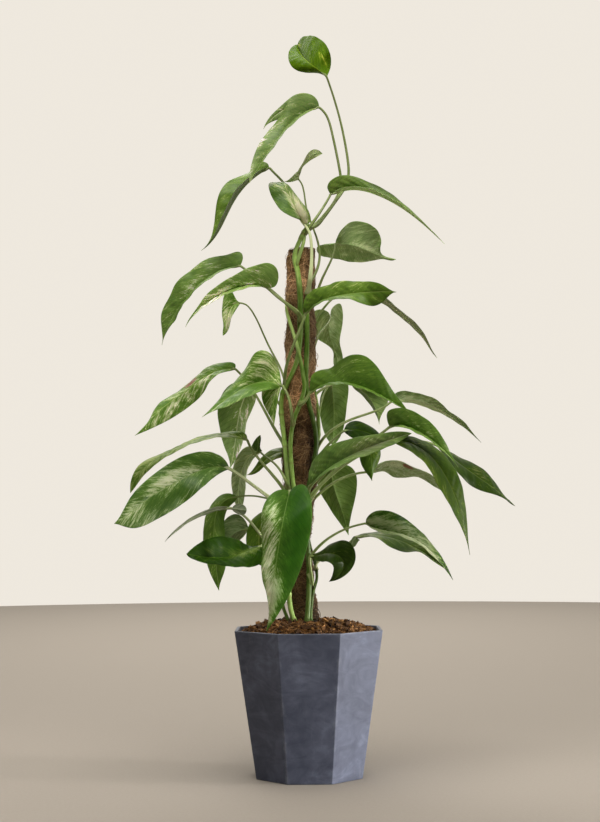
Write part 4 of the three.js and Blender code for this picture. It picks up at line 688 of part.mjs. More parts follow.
// ---- planter ----
const CORNER = 1 / Math.cos(Math.PI / 8);
const flat = (z) => (POT_BASE + (POT_TOP - POT_BASE) * (z / POT_HEIGHT)) / 2;
const turn = (g) => g.rotateX(Math.PI / 2).rotateZ(Math.PI / 8);
{
  const profile = [
    [0, 0], [flat(0) - POT_CHAMFER, 0], [flat(POT_CHAMFER), POT_CHAMFER], [flat(POT_HEIGHT) - 0.4, POT_HEIGHT - 0.8],
    [flat(POT_HEIGHT) - 1, POT_HEIGHT], [flat(POT_HEIGHT) - POT_WALL + 0.8, POT_HEIGHT],
    [flat(POT_HEIGHT - 1) - POT_WALL, POT_HEIGHT - 1], [flat(POT_FLOOR) - POT_WALL, POT_FLOOR], [0, POT_FLOOR],
  ].map(([a, z]) => new THREE.Vector2(a * CORNER, z));
  let pot = solid(turn(new THREE.LatheGeometry(profile, 8)));
  for (let k = 0; k < 4; k++) {
    const drain = new THREE.CylinderGeometry(DRAIN_R, DRAIN_R, POT_FLOOR * 3, 12).rotateX(Math.PI / 2);
    drain.translate(DRAIN_AT * Math.cos(Math.PI / 4 + (k * Math.PI) / 2), DRAIN_AT * Math.sin(Math.PI / 4 + (k * Math.PI) / 2), 0);
    pot = pot.subtract(solid(drain));
  }
  add('pot', geometryOf(pot), lambert(0x4a4e5e, 0.62));
}

// ---- pole ----
const polePath = POLE.map(([x, z, r]) => [x, 0, z, r]);
const last = polePath[polePath.length - 1];
const coirPath = [...polePath, [last[0], 0, 120, last[3]], [last[0], 0, COIR_FOOT, last[3]]];
const stakePath = [polePath[0][2] - 6, 470, 290, 120, STAKE_FOOT].map((z) => [STAKE_X, 0, z, STAKE_R]);
const stretched = (path, top, foot) => path.map((p, i) => (i === 0 ? [p[0], p[1], p[2] + top, p[3]] : i === path.length - 1 ? [p[0], p[1], p[2] - foot, p[3]] : p));
const coirBody = solid(rod(coirPath, 12, coirPath.length));
{
  const bore = solid(rod(stretched(stakePath, 20, 60), 8, 5, CLEAR));
  add('coir_wrap', geometryOf(coirBody.subtract(bore)), lambert(0x5a3a28, 0.95));
  add('pole_stake', geometryOf(solid(rod(stakePath, 8, 5))), lambert(0x8a6a48, 0.8));
}
const poleKeepOut = solid(rod(stretched(coirPath, 1, 40), 12, coirPath.length, CLEAR));

// ---- stems ----
const stemSolid = {}, stemKeepOut = {};
for (const key of Object.keys(STEMS)) {
  const path = [...STEMS[key]];
  const e = path[path.length - 1];
  path.push([e[0] * 0.97, e[1] * 1.02, STEM_FOOT, e[3]]);
  const steps = path.length;
  stemSolid[key] = solid(rod(path, STEM_SIDES, steps));
  stemKeepOut[key] = solid(rod(path, STEM_SIDES, steps, CLEAR));
  if (key === 'A') {
    stemSolid[key] = stemSolid[key].add(solid(rod(SHEATH, STEM_SIDES, SHEATH.length)));
    stemKeepOut[key] = stemKeepOut[key].add(solid(rod(SHEATH, STEM_SIDES, SHEATH.length, CLEAR)));
  }
  stemSolid[key] = stemSolid[key].subtract(poleKeepOut);
}
const stemNames = { A: 'stem_left', B: 'stem_front', C: 'stem_back', D: 'stem_cross' };
const done = {};
for (const key of Object.keys(STEMS)) {
  let s = stemSolid[key];
  for (const other of Object.keys(done)) s = s.subtract(stemKeepOut[other]);
  s = largest(s);
  done[key] = s;
  add(stemNames[key], geometryOf(s), lambert(0x5f8a3a, 0.5));
}

// ---- soil ----
{
  const ring = 16;
  const octagon = (a) => 1 / Math.cos((((a + Math.PI / 8) % (Math.PI / 4)) + Math.PI / 4) % (Math.PI / 4) - Math.PI / 8);
  const inner = (z) => flat(z) - POT_WALL - CLEAR - 0.05;
  const levels = [
    [inner(POT_FLOOR + CLEAR) - 0.4, POT_FLOOR + CLEAR, 1],
    [inner(SOIL_EDGE), SOIL_EDGE, 1],
    [inner(SOIL_EDGE) * 0.93, SOIL_EDGE + 5.5, 0.8],
    [70, 191, 0.3], [52, 195.5, 0], [32, SOIL_CROWN, 0], [14, SOIL_CROWN + 0.5, 0],
  ];
  const points = [], faces = [];
  for (const [r, z, k] of levels) {
    for (let s = 0; s < ring; s++) {
      const a = (2 * Math.PI * s) / ring;
      const q = r * (1 + (octagon(a) - 1) * k);
      points.push(new THREE.Vector3(q * Math.sin(a), q * Math.cos(a), z));
    }
  }
  for (let l = 0; l < levels.length - 1; l++) {
    for (let s = 0; s < ring; s++) {
      const a = l * ring + s, b = l * ring + ((s + 1) % ring);
      faces.push([a, b + ring, b], [a, a + ring, b + ring]);
    }
  }
  const foot = points.push(new THREE.Vector3(0, 0, levels[0][1])) - 1;
  const crown = points.push(new THREE.Vector3(0, 0, SOIL_CROWN + 0.6)) - 1;
  const e = (levels.length - 1) * ring;
  for (let s = 0; s < ring; s++) {
    faces.push([foot, s, (s + 1) % ring], [crown, e + ((s + 1) % ring), e + s]);
  }
  let soil = solid(indexed(points, faces)).subtract(poleKeepOut);
  const stakeHole = solid(rod(stretched(stakePath, 0, 0.4), 8, 5, CLEAR));
  soil = soil.subtract(stakeHole);
  for (const key of Object.keys(STEMS)) soil = soil.subtract(stemKeepOut[key]);
  add('soil', geometryOf(largest(soil)), lambert(0x3a2618, 0.98));
}

// ---- leaves ----
const span = (rows) => rows.reduce((s, p, i) => (i ? s + Math.hypot(p[0] - rows[i - 1][0], p[1] - rows[i - 1][1], p[2] - rows[i - 1][2]) : 0), 0);
const pick = (rows) => {
  const n = span(rows) > 125 ? 9 : span(rows) > 70 ? 7 : 6;
  return n >= rows.length ? rows : Array.from({ length: n }, (_, i) => rows[Math.round((i * (rows.length - 1)) / (n - 1))]);
};
const built = [];
for (const leaf of LEAVES) {
  const path = leaf.petiole;
  const steps = Math.max(4, Math.min(8, Math.round(span(path) / 20)));
  let m = solid(blade(pick(leaf.blade), BLADE_T)).add(solid(rod(path, PETIOLE_SIDES, steps)));
  for (const lobe of leaf.lobes) m = m.add(solid(blade(pick(lobe), BLADE_T)));
  for (const key of Object.keys(STEMS)) m = m.subtract(stemKeepOut[key]);
  m = m.subtract(poleKeepOut);
  for (const j of leaf.clears || []) m = m.subtract(built[j].keepOut);
  m = largest(m);
  built.push({
    get keepOut() { return solid(rod(path, PETIOLE_SIDES, steps, CLEAR)).add(solid(blade(pick(leaf.blade), BLADE_T + 2 * CLEAR))); },
  });
  add(leaf.name, geometryOf(m), lambert(leaf.tint, 0.38));
}

export default plant;
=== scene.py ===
# Potted albo variegated epipremnum pinnatum on a coir pole, in a tapered eight-sided planter.
# Tables are in millimetres in the model's frame (+Z up, -Y the front); objects are made in metres.
import math

import bpy
import numpy as np
from mathutils import Euler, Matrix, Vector


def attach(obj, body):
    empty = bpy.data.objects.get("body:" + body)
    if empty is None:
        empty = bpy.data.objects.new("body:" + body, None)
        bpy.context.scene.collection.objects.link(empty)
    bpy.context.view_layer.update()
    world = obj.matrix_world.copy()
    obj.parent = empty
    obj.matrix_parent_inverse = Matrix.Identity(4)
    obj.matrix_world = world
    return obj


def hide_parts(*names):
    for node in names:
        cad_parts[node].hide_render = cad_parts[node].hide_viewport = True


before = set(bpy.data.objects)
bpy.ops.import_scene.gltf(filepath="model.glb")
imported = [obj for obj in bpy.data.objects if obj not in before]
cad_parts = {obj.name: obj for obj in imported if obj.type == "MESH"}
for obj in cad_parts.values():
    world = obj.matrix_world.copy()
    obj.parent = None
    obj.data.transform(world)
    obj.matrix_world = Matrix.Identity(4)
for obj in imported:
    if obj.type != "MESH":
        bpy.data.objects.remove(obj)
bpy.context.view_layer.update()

MM = 0.001
scene = bpy.context.scene

# ---------------------------------------------------------------- tables
# pole axis: [x, z, radius] from top to bottom, in the plane y = 0
POLE = [[-5.3,690.2,17.1],[-5.7,672.7,17.5],[-6.5,653.9,18.2],[-7.9,635.1,19.4],[-8.3,608.3,19.2],[-8.5,581.5,19],[-8.8,554.8,19],[-8.7,521.5,19.5],[-9.7,488.3,21.5],[-9.7,455.2,22.1],[-10.7,422.2,22.1],[-11.9,389.2,22.5],[-11.9,356.4,19.9],[-12.3,323.6,16.6],[-10.7,290.9,15.9],[-9,258.2,16.1],[-7.5,225.7,16.6],[-5.5,202.3,18.2]]
# stems: [x, y, z, radius] from top to bottom
STEMS = {
  "A": [[4.2,-15.1,720.8,2.2],[-7.5,-16.7,700,2.9],[-14.9,-19.9,677.4,3.26],[-10.9,-22.2,653.7,3.54],[-8.5,-24.4,629.9,3.95],[-8,-24.5,606.4,4],[-8,-24.2,583,4],[-9.3,-24,559.6,3.73],[-13.2,-22.8,536.7,3.23],[-22.2,-19.5,515.5,3.18],[-32.3,-12.5,495,3.16],[-34,-11.1,472,3.15],[-31.5,-14.9,448.5,3.15],[-29.2,-18.5,425.1,3.14],[-27.3,-21.2,401.9,3.14],[-26,-22.1,378.7,3.13],[-25.5,-19.8,355.7,3.12],[-26.1,-16.4,332.6,3.09],[-27.7,-12.3,309.5,2.94],[-30.5,-9.5,286.5,2.69],[-33.8,-9,263.7,2.46],[-35.5,-9,240.7,2.33],[-32.8,-9.2,217.9,2.23],[-24.7,-12.1,196.6,2.15],[-17.6,-17.3,175.3,2.1]],
  "B": [[3.6,-20.1,639.8,2.2],[1.2,-21.3,619.9,2.64],[.5,-21.6,600.1,3.04],[.5,-21.6,580.4,3.2],[.4,-21.7,560.7,3.21],[-.3,-21.9,541,3.22],[-1,-22.6,521.3,3.23],[-.6,-23.3,501.6,3.24],[2.1,-23,482.3,3.25],[7,-20.3,463.6,3.26],[10.9,-16.7,444.6,3.27],[11.6,-15.4,425.2,3.27],[8.8,-17.7,405.8,3.28],[4.3,-21.2,386.8,3.28],[.7,-22.4,367.7,3.28],[-1.4,-20.8,348.4,3.29],[-1.6,-18.7,329.1,3.29],[-.8,-17.5,309.7,3.29],[.4,-17.1,290.4,3.3],[1.2,-17.4,271.1,3.3],[1.2,-18,251.9,3.3],[.6,-19.1,232.7,3.3],[-.6,-21.1,213.7,3.3],[-2.2,-22.7,194.7,3.3],[-4.1,-22.9,175.7,3.3]],
  "C": [[-1.3,20.5,670.9,2],[-.5,21,649.6,2.14],[1.9,20.8,628.3,2.28],[4.7,18.8,606.9,2.41],[6.9,17.1,585.5,2.52],[7.6,16.7,564.2,2.61],[6.1,17.5,543.2,2.67],[6.1,18.1,522.1,2.7],[9.8,15.8,501.1,2.7],[13.1,12.2,480,2.7],[14.9,9.5,458.9,2.69],[14.2,10.3,438,2.69],[11,14.4,417.6,2.68],[6.4,19.1,397.3,2.67],[1.9,21.8,376.9,2.65],[-1.4,21.2,356.2,2.64],[-2.5,19,335.3,2.62],[-1.2,16.9,314.6,2.59],[2.9,13.5,294.2,2.44],[8.9,4.5,274.7,2.23],[11.3,-3,254.7,2.11],[6.1,-12.7,235.4,2.1],[3.7,-17.6,215.6,2.1],[2.8,-20.1,195.6,2.1],[1.3,-20.7,175.5,2.1]],
  "D": [[-27.9,-13.1,613.8,1.3],[-23.5,-16.1,595,2.1],[-17.8,-20.6,576.4,2.23],[-12.5,-27.2,557.6,2.31],[-8.5,-30.8,538.9,2.42],[-5.3,-31,520.5,2.52],[-3.4,-31.4,501.9,2.62],[-7.8,-29.2,484.2,2.69],[-14.9,-25.9,467.3,2.73],[-19.6,-24.4,449.4,2.75],[-21.8,-24.3,431,2.77],[-21.7,-26,412.3,2.78],[-20.2,-28,393.8,2.79],[-18.4,-29.8,375.4,2.8],[-17.2,-29.6,357,2.81],[-17.2,-28.9,338.6,2.82],[-18.1,-28.4,320.2,2.84],[-19.8,-27.9,301.9,2.87],[-21.6,-27.2,283.7,2.9],[-23.5,-26.3,265.4,3.01],[-24.8,-25.4,247.1,3.19],[-24.6,-24.3,228.8,3.3],[-21.8,-23.1,210.7,3.3],[-15.9,-21.6,193.3,3.3],[-11.6,-21.9,175.7,3.3]],
}
# the short open sheath beside the left stem's tip
SHEATH = [[-1.2,-15.7,707.3,1.6], [-2.3,-17.9,699.6,2.1], [-4.1,-20.7,692.1,2.4], [-6.4,-22.3,684.9,2.6], [-8.7,-23.4,677.9,2.6], [-10.8,-24.2,670.8,2.4], [-12.2,-24.5,663.7,1.8]]
# leaves: name, slot, blade rows [midrib xyz, left edge xyz, right edge xyz] from the petiole to the tip,
# petiole [x, y, z, radius] from the blade to its stem, extra lobes, finish and marks.
# finish: tone (depth of the green, partly the blade's own and partly painted light and shade for how brightly the blade
# is lit), pale (how much of the blade is pale), under (depth of the underside, with the same painted light and shade),
# shine, wash (how grey the green is) and cool (how blue it is), each for the upper side and then the underside, and
# grain (strength of the fine flecks).
# marks (pale or green areas), shading patches (deeper green sectors, and painted light and shade where a blade is lit
# or in shade), washes (greyer or greener areas) and spots (brown, dry tissue) are each
# [u, v, reach along, reach across, amount], u from 0 at the petiole to 1 at the tip, v from -1 to 1 across.
LEAVES = [
  {"name": "leaf_01", "slot": "leaf_green", "stem": "A",
   "blade": [[29.3,5.8,926.3,28.1,5.9,925.9,30.4,5.7,926.7],[28.2,6,927.4,26.9,7.5,927.8,31.2,7.4,929.5],[27.1,6.3,928.5,25.1,10.8,929.9,32.3,10.2,932.5],[25.9,6.7,929.7,23.2,15.5,932.3,33.3,14.2,936],
   [24.8,7.2,930.8,21.2,21.3,934.9,34.2,19,939.7],[23.6,7.9,932,19.2,27.8,937.5,35,24.1,943.6],[22.5,8.6,933.2,17.1,30.3,938.6,35.5,25.4,946.4],[21.3,9.4,934.4,14.9,32.3,939.5,35.9,26.3,949],
   [20.1,10.2,935.5,12.7,34.1,940.2,36.1,26.7,951.6],[18.9,11.1,936.7,10.5,35.5,940.7,36.2,26.5,953.9],[17.7,12,938,8.4,36.7,941.1,36.1,25.7,956.1],[16.5,13,939.2,6.2,37.6,941.5,35.9,24.3,958],
   [15.3,14,940.4,4,38.3,941.9,35.5,22.6,959.8],[14.1,15.1,941.7,1.8,38.9,942.2,35.1,20.9,961.6],[12.9,16.4,943,-.4,39.5,942.7,34.4,19.8,963.6],[11.7,17.9,944.4,-2.6,40.2,943.2,33.7,19.5,965.7],
   [10.5,19.7,945.9,-4.8,41,943.9,32.9,20.2,968.2],[9.3,21.7,947.5,-6.9,41.8,944.8,31.9,21.8,970.9],[8.2,23.9,949.2,-9,42.8,945.8,30.8,23.9,973.7],[7,26.4,950.9,-11,44,947.1,29.6,26.4,976.6],
   [5.8,29.2,952.8,-12.9,45.3,948.7,28.3,29.2,979.5],[4.7,32.3,954.8,-14.7,46.7,950.4,26.8,32.3,982.3],[3.6,35.6,956.9,-16.4,48.2,952.4,25.2,35.6,985.1],[2.5,39.1,959.1,-17.9,49.6,954.6,23.4,39.1,987.9],
   [1.4,42.9,961.3,-19.2,51.1,956.9,21.6,42.9,990.6],[.3,46.9,963.8,-20.3,52.8,959.4,19.6,46.9,993.2],[-.7,51.5,966.4,-21.2,55.2,962.2,17.6,51.5,995.9],[-1.8,56.6,969.2,-21.9,58.6,965.5,15.4,56.6,998.5],
   [-2.7,62.1,972.2,-22.4,62.9,969.1,13.2,62.1,1001.1],[-3.7,67.8,975.3,-22.7,68.1,973.1,10.9,67.8,1003.6],[-4.6,73.7,978.6,-22.7,73.8,977.2,8.6,73.7,1006],[-5.4,79.7,981.8,-22.5,79.7,981.4,6.2,79.7,1008.1],
   [-6.2,85.5,985.1,-22.1,85.5,985.6,3.9,85.5,1009.9],[-6.9,91,988.3,-21.4,91,989.6,1.5,91,1011.3],[-7.6,96.1,991.5,-20.4,96.1,993.4,-.8,96.1,1012.2],[-8.1,100.9,994.6,-19.2,100.9,996.9,-2.9,100.9,1012.6],
   [-8.6,105.7,997.7,-17.7,105.7,1000.3,-4.8,105.7,1012.7],[-9,110.6,1000.9,-16,110.6,1003.4,-6.4,110.6,1012.5],[-9.3,115.7,1004.2,-14,115.7,1006.3,-7.8,115.7,1012.1],[-9.5,120.8,1007.5,-11.9,120.8,1008.8,-8.8,120.8,1011.5],
   [-9.6,126,1010.9,-9.8,126,1010.7,-9.4,126,1011.1]],
   "petiole": [[29.2,5.8,926.3,1.3],[34.1,8.2,913.1,1.32],[38.6,10.2,899.6,1.35],[42.7,11.7,885.8,1.39],[46.5,12.7,871.8,1.44],[49.8,13.1,857.5,1.49],[52.6,12.9,842.9,1.55],[55.1,12.1,828.2,1.62],[57.1,10.8,813.2,1.69],[58.2,9.3,798.2,1.76],[56.4,7.3,783.2,1.84],[50,3.5,769.2,1.93],[41.5,-.8,756.3,2.01],[32.9,-4.8,743.7,2.11],[24.2,-8.3,731.3,2.2],[14.8,-11.9,719.6,2.3],[1.9,-15.2,714,2.4]],
   "lobes": [],
   "finish": {"tone": 1.08, "pale": 0.12, "shine": 0.05, "wash": [0.073, 0.06], "cool": [0.3, 0.85], "under": 0.8, "marks": [[.847,.35,.161,.15,.5], [.196,.55,.061,.07,.5], [.112,.6,.037,.084,.4]]}},
  {"name": "leaf_02", "slot": "leaf_variegated", "stem": "A",
   "blade": [[18.8,4.2,883.3,18.5,3.8,882.2,19.1,4.6,884.4],[15.3,3.6,882.4,15.6,2.1,881.3,18.2,3.8,889.1],[11.9,2.9,881.3,12.3,-1.5,878.9,16.5,3.4,893.2],[8.5,2.2,880,9,-6.4,876,13.8,2.8,896.7],
   [5.2,1.4,878.5,5.8,-12.3,872.8,10.4,1.9,899.3],[2,.6,876.7,2.7,-18.9,869.2,6.3,.9,901],[-1.1,-.2,874.7,-.4,-21.5,866.8,2,-.2,901.8],[-4.2,-1.1,872.6,-3.4,-23.8,864.3,-2.5,-1.1,901.8],
   [-7.1,-2,870.3,-6.3,-25.9,861.7,-6.9,-2,901],[-9.9,-3,867.9,-9.1,-27.6,859.1,-11.1,-3,899.3],[-12.7,-3.9,865.4,-11.8,-29.3,856.4,-15,-3.9,896.7],[-15.3,-4.9,862.7,-14.4,-30.7,853.6,-18.3,-4.9,893.4],
   [-17.9,-6,859.9,-17,-32.1,850.8,-21.3,-5.6,889.8],[-20.3,-7.1,857.1,-19.4,-33.3,847.9,-23.9,-5.8,886.1],[-22.7,-8.2,854.2,-21.8,-34.6,845,-26.3,-5.6,882.3],[-25.1,-9.5,851.1,-24.1,-35.8,842,-28.5,-5,878.5],
   [-27.4,-10.9,848.1,-26.3,-37.1,839,-30.7,-4.2,874.8],[-29.6,-12.3,844.9,-28.6,-38.3,836,-32.9,-3.6,871],[-31.8,-13.7,841.8,-30.7,-39.5,832.9,-35.3,-3.3,867.2],[-34,-15.1,838.6,-32.9,-40.7,829.9,-37.7,-3.8,863.3],
   [-36.1,-16.6,835.4,-35,-41.8,826.8,-40.4,-4.8,859.4],[-38.2,-18.1,832.2,-37.1,-42.8,823.7,-43.3,-6.5,855.5],[-40.3,-19.6,828.9,-39.1,-43.8,820.7,-46.2,-8.7,851.5],[-42.4,-21.1,825.7,-41.2,-44.6,817.7,-49.1,-11.3,847.4],
   [-44.4,-22.6,822.4,-43.2,-45.2,814.7,-51.9,-14.2,843.2],[-46.4,-24.1,819.2,-45.2,-45.8,811.7,-54.6,-17.5,838.8],[-48.4,-25.6,815.9,-47.2,-46.3,808.7,-57.1,-20.8,834.3],[-50.4,-27.1,812.6,-49.2,-46.8,805.8,-59.4,-24.1,829.7],
   [-52.3,-28.7,809.3,-51.2,-47.2,802.9,-61.5,-27,825],[-54.2,-30.3,805.9,-53.2,-47.6,800.1,-63.5,-29.6,820.3],[-56.1,-32,802.6,-55.1,-47.9,797.2,-65.2,-31.8,815.7],[-57.9,-33.7,799.2,-57,-48.2,794.3,-66.8,-33.7,811.1],
   [-59.7,-35.4,795.8,-58.9,-48.4,791.4,-68.2,-35.4,806.4],[-61.5,-37.2,792.4,-60.8,-48.6,788.6,-69.4,-37.2,801.7],[-63.3,-39,788.9,-62.7,-47.7,786,-70.5,-39,797],[-65,-40.8,785.5,-64.5,-46.8,783.3,-71.5,-40.8,792.3],
   [-66.7,-42.6,782,-66.4,-46.4,780.6,-72.2,-42.6,787.5],[-68.4,-44.4,778.6,-68.1,-46.5,777.7,-72.8,-44.4,782.6],[-70,-46.3,775.1,-69.9,-47.2,774.6,-73.1,-46.3,777.8],[-71.6,-48.1,771.6,-71.5,-48.4,771.4,-73.3,-48.1,772.9],
   [-73.2,-50,768.1,-73,-50.1,767.9,-73.4,-49.9,768.3]],
   "petiole": [[18.8,4.2,883.3,1.5],[27.3,5.7,875,1.51],[32.3,6.8,864.1,1.53],[35.4,7.6,852.4,1.56],[38,8.2,840.5,1.59],[40.5,8.7,828.6,1.62],[42.8,9,816.6,1.66],[45,9.3,804.6,1.7],[46.9,9.6,792.5,1.75],[47.3,9.4,780.2,1.8],[44.7,8.6,768.1,1.85],[39.3,7.4,756.8,1.9],[32.5,5.7,746.3,1.95],[24.7,2.5,736.2,2.01],[16.4,-2.4,726.3,2.07],[7.4,-8.6,716.9,2.14],[-1.9,-15.6,707.9,2.2]],
   "lobes": [[[-6.7,-.9,890.9,-10.8,-.9,875.9,-6.6,-.9,901.2],[-11.4,-1.4,888.5,-14.5,-1.4,873.5,-12.4,-1.4,899.7],[-16.1,-1.9,885.9,-18.3,-1.9,871.5,-17.5,-1.9,896.8],[-20.7,-2.4,883.3,-22.3,-2.4,869.7,-22.2,-2.4,893],[-25.3,-2.9,880.6,-26.3,-2.9,868.2,-26.7,-2.9,889],[-29.7,-3.4,877.7,-30.4,-3.4,866.7,-31.1,-3.4,884.8],[-34.1,-3.9,874.7,-34.5,-3.9,865.3,-35.4,-3.9,880.7],[-38.3,-4.4,871.4,-38.5,-4.4,863.9,-39.7,-4.4,876.5],[-42.3,-4.9,867.9,-42.6,-4.9,862.3,-43.9,-4.9,872.1],[-46.1,-5.4,864.2,-46.4,-5.4,860.4,-47.7,-5.4,867.5],[-49.6,-5.9,860.1,-50.1,-5.9,858,-51,-5.9,862.5],[-52.8,-6.4,855.9,-53.2,-6.4,854.9,-53.8,-6.4,857.1],[-55.7,-6.9,851.3,-55.6,-6.9,851,-55.8,-6.9,851.6]]],
   "finish": {"tone": 1.954, "pale": 0.2, "grain": 0.6, "wash": [0.55, 0.06], "cool": [1.33, 1.08], "under": 1.25, "marks": [[.609,.85,.111,.207,.28], [.685,.9,.047,.301,.2], [.405,.6,.083,.171,.15], [.947,1,.064,1.279,.1]]}},
  {"name": "leaf_03", "slot": "leaf_green", "stem": "A",
   "blade": [[-49.2,22.6,805.6,-49.5,22,804.6,-48.9,23.2,806.6],[-52.5,22.3,803.9,-53.2,20.8,805.8,-50.4,22.9,810.9],[-55.8,21.9,802.1,-56.6,17.8,803.6,-53.8,24,813.8],[-59,21.6,800.2,-59.8,13.4,800.9,-58,26.1,815.5],
   [-62.1,21.2,798.1,-63,8.1,797.9,-62.3,29.4,815.8],[-65.1,20.8,795.9,-66.1,2.3,794.6,-66,33.9,814.5],[-68.1,20.5,793.6,-69.2,.3,792.2,-68.9,36.2,811.8],[-70.9,20.1,791.2,-72.2,-1.4,789.7,-71.6,38.1,808.8],
   [-73.7,19.6,788.7,-75.2,-2.8,787.2,-74.5,39.4,805.8],[-76.4,19.2,786,-78.1,-3.9,784.6,-77.9,39.9,803.1],[-79,18.8,783.3,-80.8,-4.8,782,-81.8,39.6,801.2],[-81.5,18.3,780.5,-83.5,-5.6,779.3,-85.8,38.5,799.6],
   [-83.9,17.9,777.6,-86.1,-6.2,776.5,-90,36.8,798],[-86.2,17.4,774.6,-88.6,-6.8,773.6,-94,34.4,796.3],[-88.4,17,771.6,-90.9,-7.2,770.6,-97.9,31.5,794],[-90.6,16.5,768.5,-93.2,-7.5,767.6,-101.5,28.2,791.1],
   [-92.6,16,765.3,-95.4,-7.8,764.5,-104.8,24.7,787.7],[-94.5,15.5,762,-97.4,-8,761.4,-107.8,21.4,784],[-96.4,15,758.7,-99.3,-8.1,758.2,-110.5,18.4,780.1],[-98.2,14.5,755.4,-101.2,-8.3,754.9,-112.9,16.1,776],
   [-99.9,14,752,-102.9,-8.4,751.6,-114.9,14.6,771.9],[-101.5,13.4,748.6,-104.5,-8.4,748.3,-116.6,13.6,767.7],[-103.1,12.9,745.1,-106.1,-8.4,744.9,-117.9,13.1,763.5],[-104.7,12.3,741.7,-107.6,-8.2,741.5,-119,12.9,759.3],
   [-106.2,11.7,738.2,-109.1,-8,738.1,-119.9,13.1,755.1],[-107.8,11.1,734.7,-110.5,-7.8,734.7,-120.6,13.5,750.9],[-109.3,10.4,731.3,-111.9,-7.5,731.4,-121.1,14.1,746.8],[-110.9,9.8,727.8,-113.4,-7.2,728,-121.6,14.7,742.6],
   [-112.5,9.1,724.4,-114.8,-6.8,724.6,-122.1,15.1,738.4],[-114.2,8.4,721,-116.3,-6.3,721.3,-122.5,15.1,734.1],[-115.9,7.7,717.7,-117.9,-5.9,718,-122.9,14.8,729.8],[-117.7,7,714.4,-119.5,-5.3,714.8,-123.5,14.1,725.3],
   [-119.7,6.3,711.1,-121.2,-4.7,711.6,-124.1,13.2,720.9],[-121.7,5.6,707.9,-123,-4.1,708.4,-125,12,716.5],[-123.8,4.8,704.9,-125,-2.6,705.5,-126,10,711.9],[-126.1,4,701.9,-127.1,-1,702.7,-127.3,7.8,707.5],
   [-128.5,3.3,699,-129.3,.1,699.9,-129,5.7,703.2],[-131,2.5,696.3,-131.6,.7,697.1,-131.1,3.9,699.1],[-133.7,1.7,693.7,-134.1,.9,694.4,-133.5,2.3,695.4],[-136.5,.8,691.3,-136.7,.6,691.7,-136.3,1,692.1],
   [-139.5,0,689.1,-139.6,-.2,689,-139.4,.2,689.3]],
   "petiole": [[-49.2,22.6,805.6,1.5],[-44,20.7,800.2,1.51],[-38.9,18.8,794.6,1.53],[-33.9,17,788.9,1.55],[-29.2,15.2,783,1.58],[-24.7,13.5,777,1.6],[-20.5,11.7,770.7,1.64],[-16.5,9.8,764.4,1.67],[-12.7,8,757.8,1.71],[-9.2,6.1,751.2,1.75],[-5.9,4.2,744.4,1.8],[-2.9,2.2,737.5,1.84],[-.1,.3,730.5,1.89],[1.9,-2.8,723.1,1.94],[1.9,-6.8,715.2,1.99],[-1.1,-11.3,707.9,2.04],[-6.2,-16.3,702,2.1]],
   "lobes": [],
   "finish": {"tone": 1.537, "pale": 0.172, "wash": [0.217, 0.06], "cool": [1.069, 1.069], "under": 1.25, "marks": [[.573,.7,.184,.181,.112], [.8,1,.079,.584,.14], [.247,.9,.113,.424,.084]]}},
  {"name": "leaf_04", "slot": "leaf_pale", "stem": "B",
   "blade": [[-10,11.7,789,-9.5,12.8,788.9,-10.6,10.7,789.2],[-9.7,11.8,790.3,-8.9,12.3,789.7,-10.4,11.2,790.4],[-9.4,11.8,791.6,-8.9,13.5,791.2,-10.6,10.2,791.7],[-9,11.9,792.9,-8.8,15.2,792.9,-10.6,8.8,792.8],
   [-8.7,12.1,794.1,-8.6,17.3,794.6,-10.5,7,793.9],[-8.3,12.2,795.4,-8.3,19.7,796.4,-10.3,5,794.9],[-7.8,12.4,796.7,-8,20.6,797.8,-9.9,4.5,796.3],[-7.4,12.6,798,-7.6,21.3,799.2,-9.3,4.2,797.6],
   [-6.9,12.8,799.2,-7.2,21.9,800.5,-8.7,4,799],[-6.4,13,800.5,-6.7,22.4,801.7,-8,3.9,800.3],[-5.9,13.2,801.7,-6.1,22.8,802.9,-7.2,3.9,801.6],[-5.3,13.4,803,-5.5,23.2,804.1,-6.5,4,802.9],
   [-4.8,13.7,804.2,-4.8,23.6,805.2,-5.7,4.1,804.3],[-4.2,14,805.4,-4,23.9,806.3,-4.9,4.4,805.6],[-3.6,14.2,806.7,-3.3,24.1,807.3,-4.1,4.7,807],[-2.9,14.5,807.9,-2.5,24.3,808.3,-3.4,5.1,808.4],
   [-2.2,14.8,809.1,-1.6,24.4,809.3,-2.7,5.5,809.9],[-1.5,15.1,810.2,-.7,24.6,810.1,-2,6,811.4],[-.8,15.4,811.4,.2,24.7,811,-1.3,6.6,812.9],[-.1,15.7,812.5,1.1,24.7,811.8,-.6,7.2,814.4],
   [.7,16,813.6,2.1,24.7,812.6,.1,7.8,815.9],[1.5,16.3,814.7,3.1,24.7,813.4,.8,8.6,817.4],[2.4,16.7,815.8,4.1,24.7,814.1,1.5,9.5,819],[3.3,17.1,816.9,5.1,24.6,814.8,2.3,10.5,820.6],
   [4.2,17.6,817.9,6.1,24.5,815.4,3.2,11.7,822.1],[5.2,18.1,818.9,7.1,24.5,816.1,4.1,13.1,823.7],[6.2,18.6,819.9,8.2,24.4,816.7,5.2,14.6,825.2],[7.2,19.2,820.8,9.2,24.2,817.3,6.3,16.3,826.6],
   [8.3,19.8,821.7,10.3,24.1,817.9,7.6,17.9,828],[9.4,20.4,822.5,11.4,23.9,818.5,8.9,19.4,829.1],[10.6,21.1,823.3,12.4,23.7,819,10.3,20.6,830],[11.8,21.9,824,13.5,23.6,819.6,11.8,21.7,830.6],
   [13,22.6,824.6,14.6,23.7,820.2,13.3,22.6,830.9],[14.3,23.5,825.2,15.7,23.9,820.9,14.9,23.5,831],[15.6,24.3,825.7,16.8,24.5,821.6,16.3,24.3,830.9],[16.9,25.2,826,17.9,25.2,822.4,17.8,25.2,830.5],
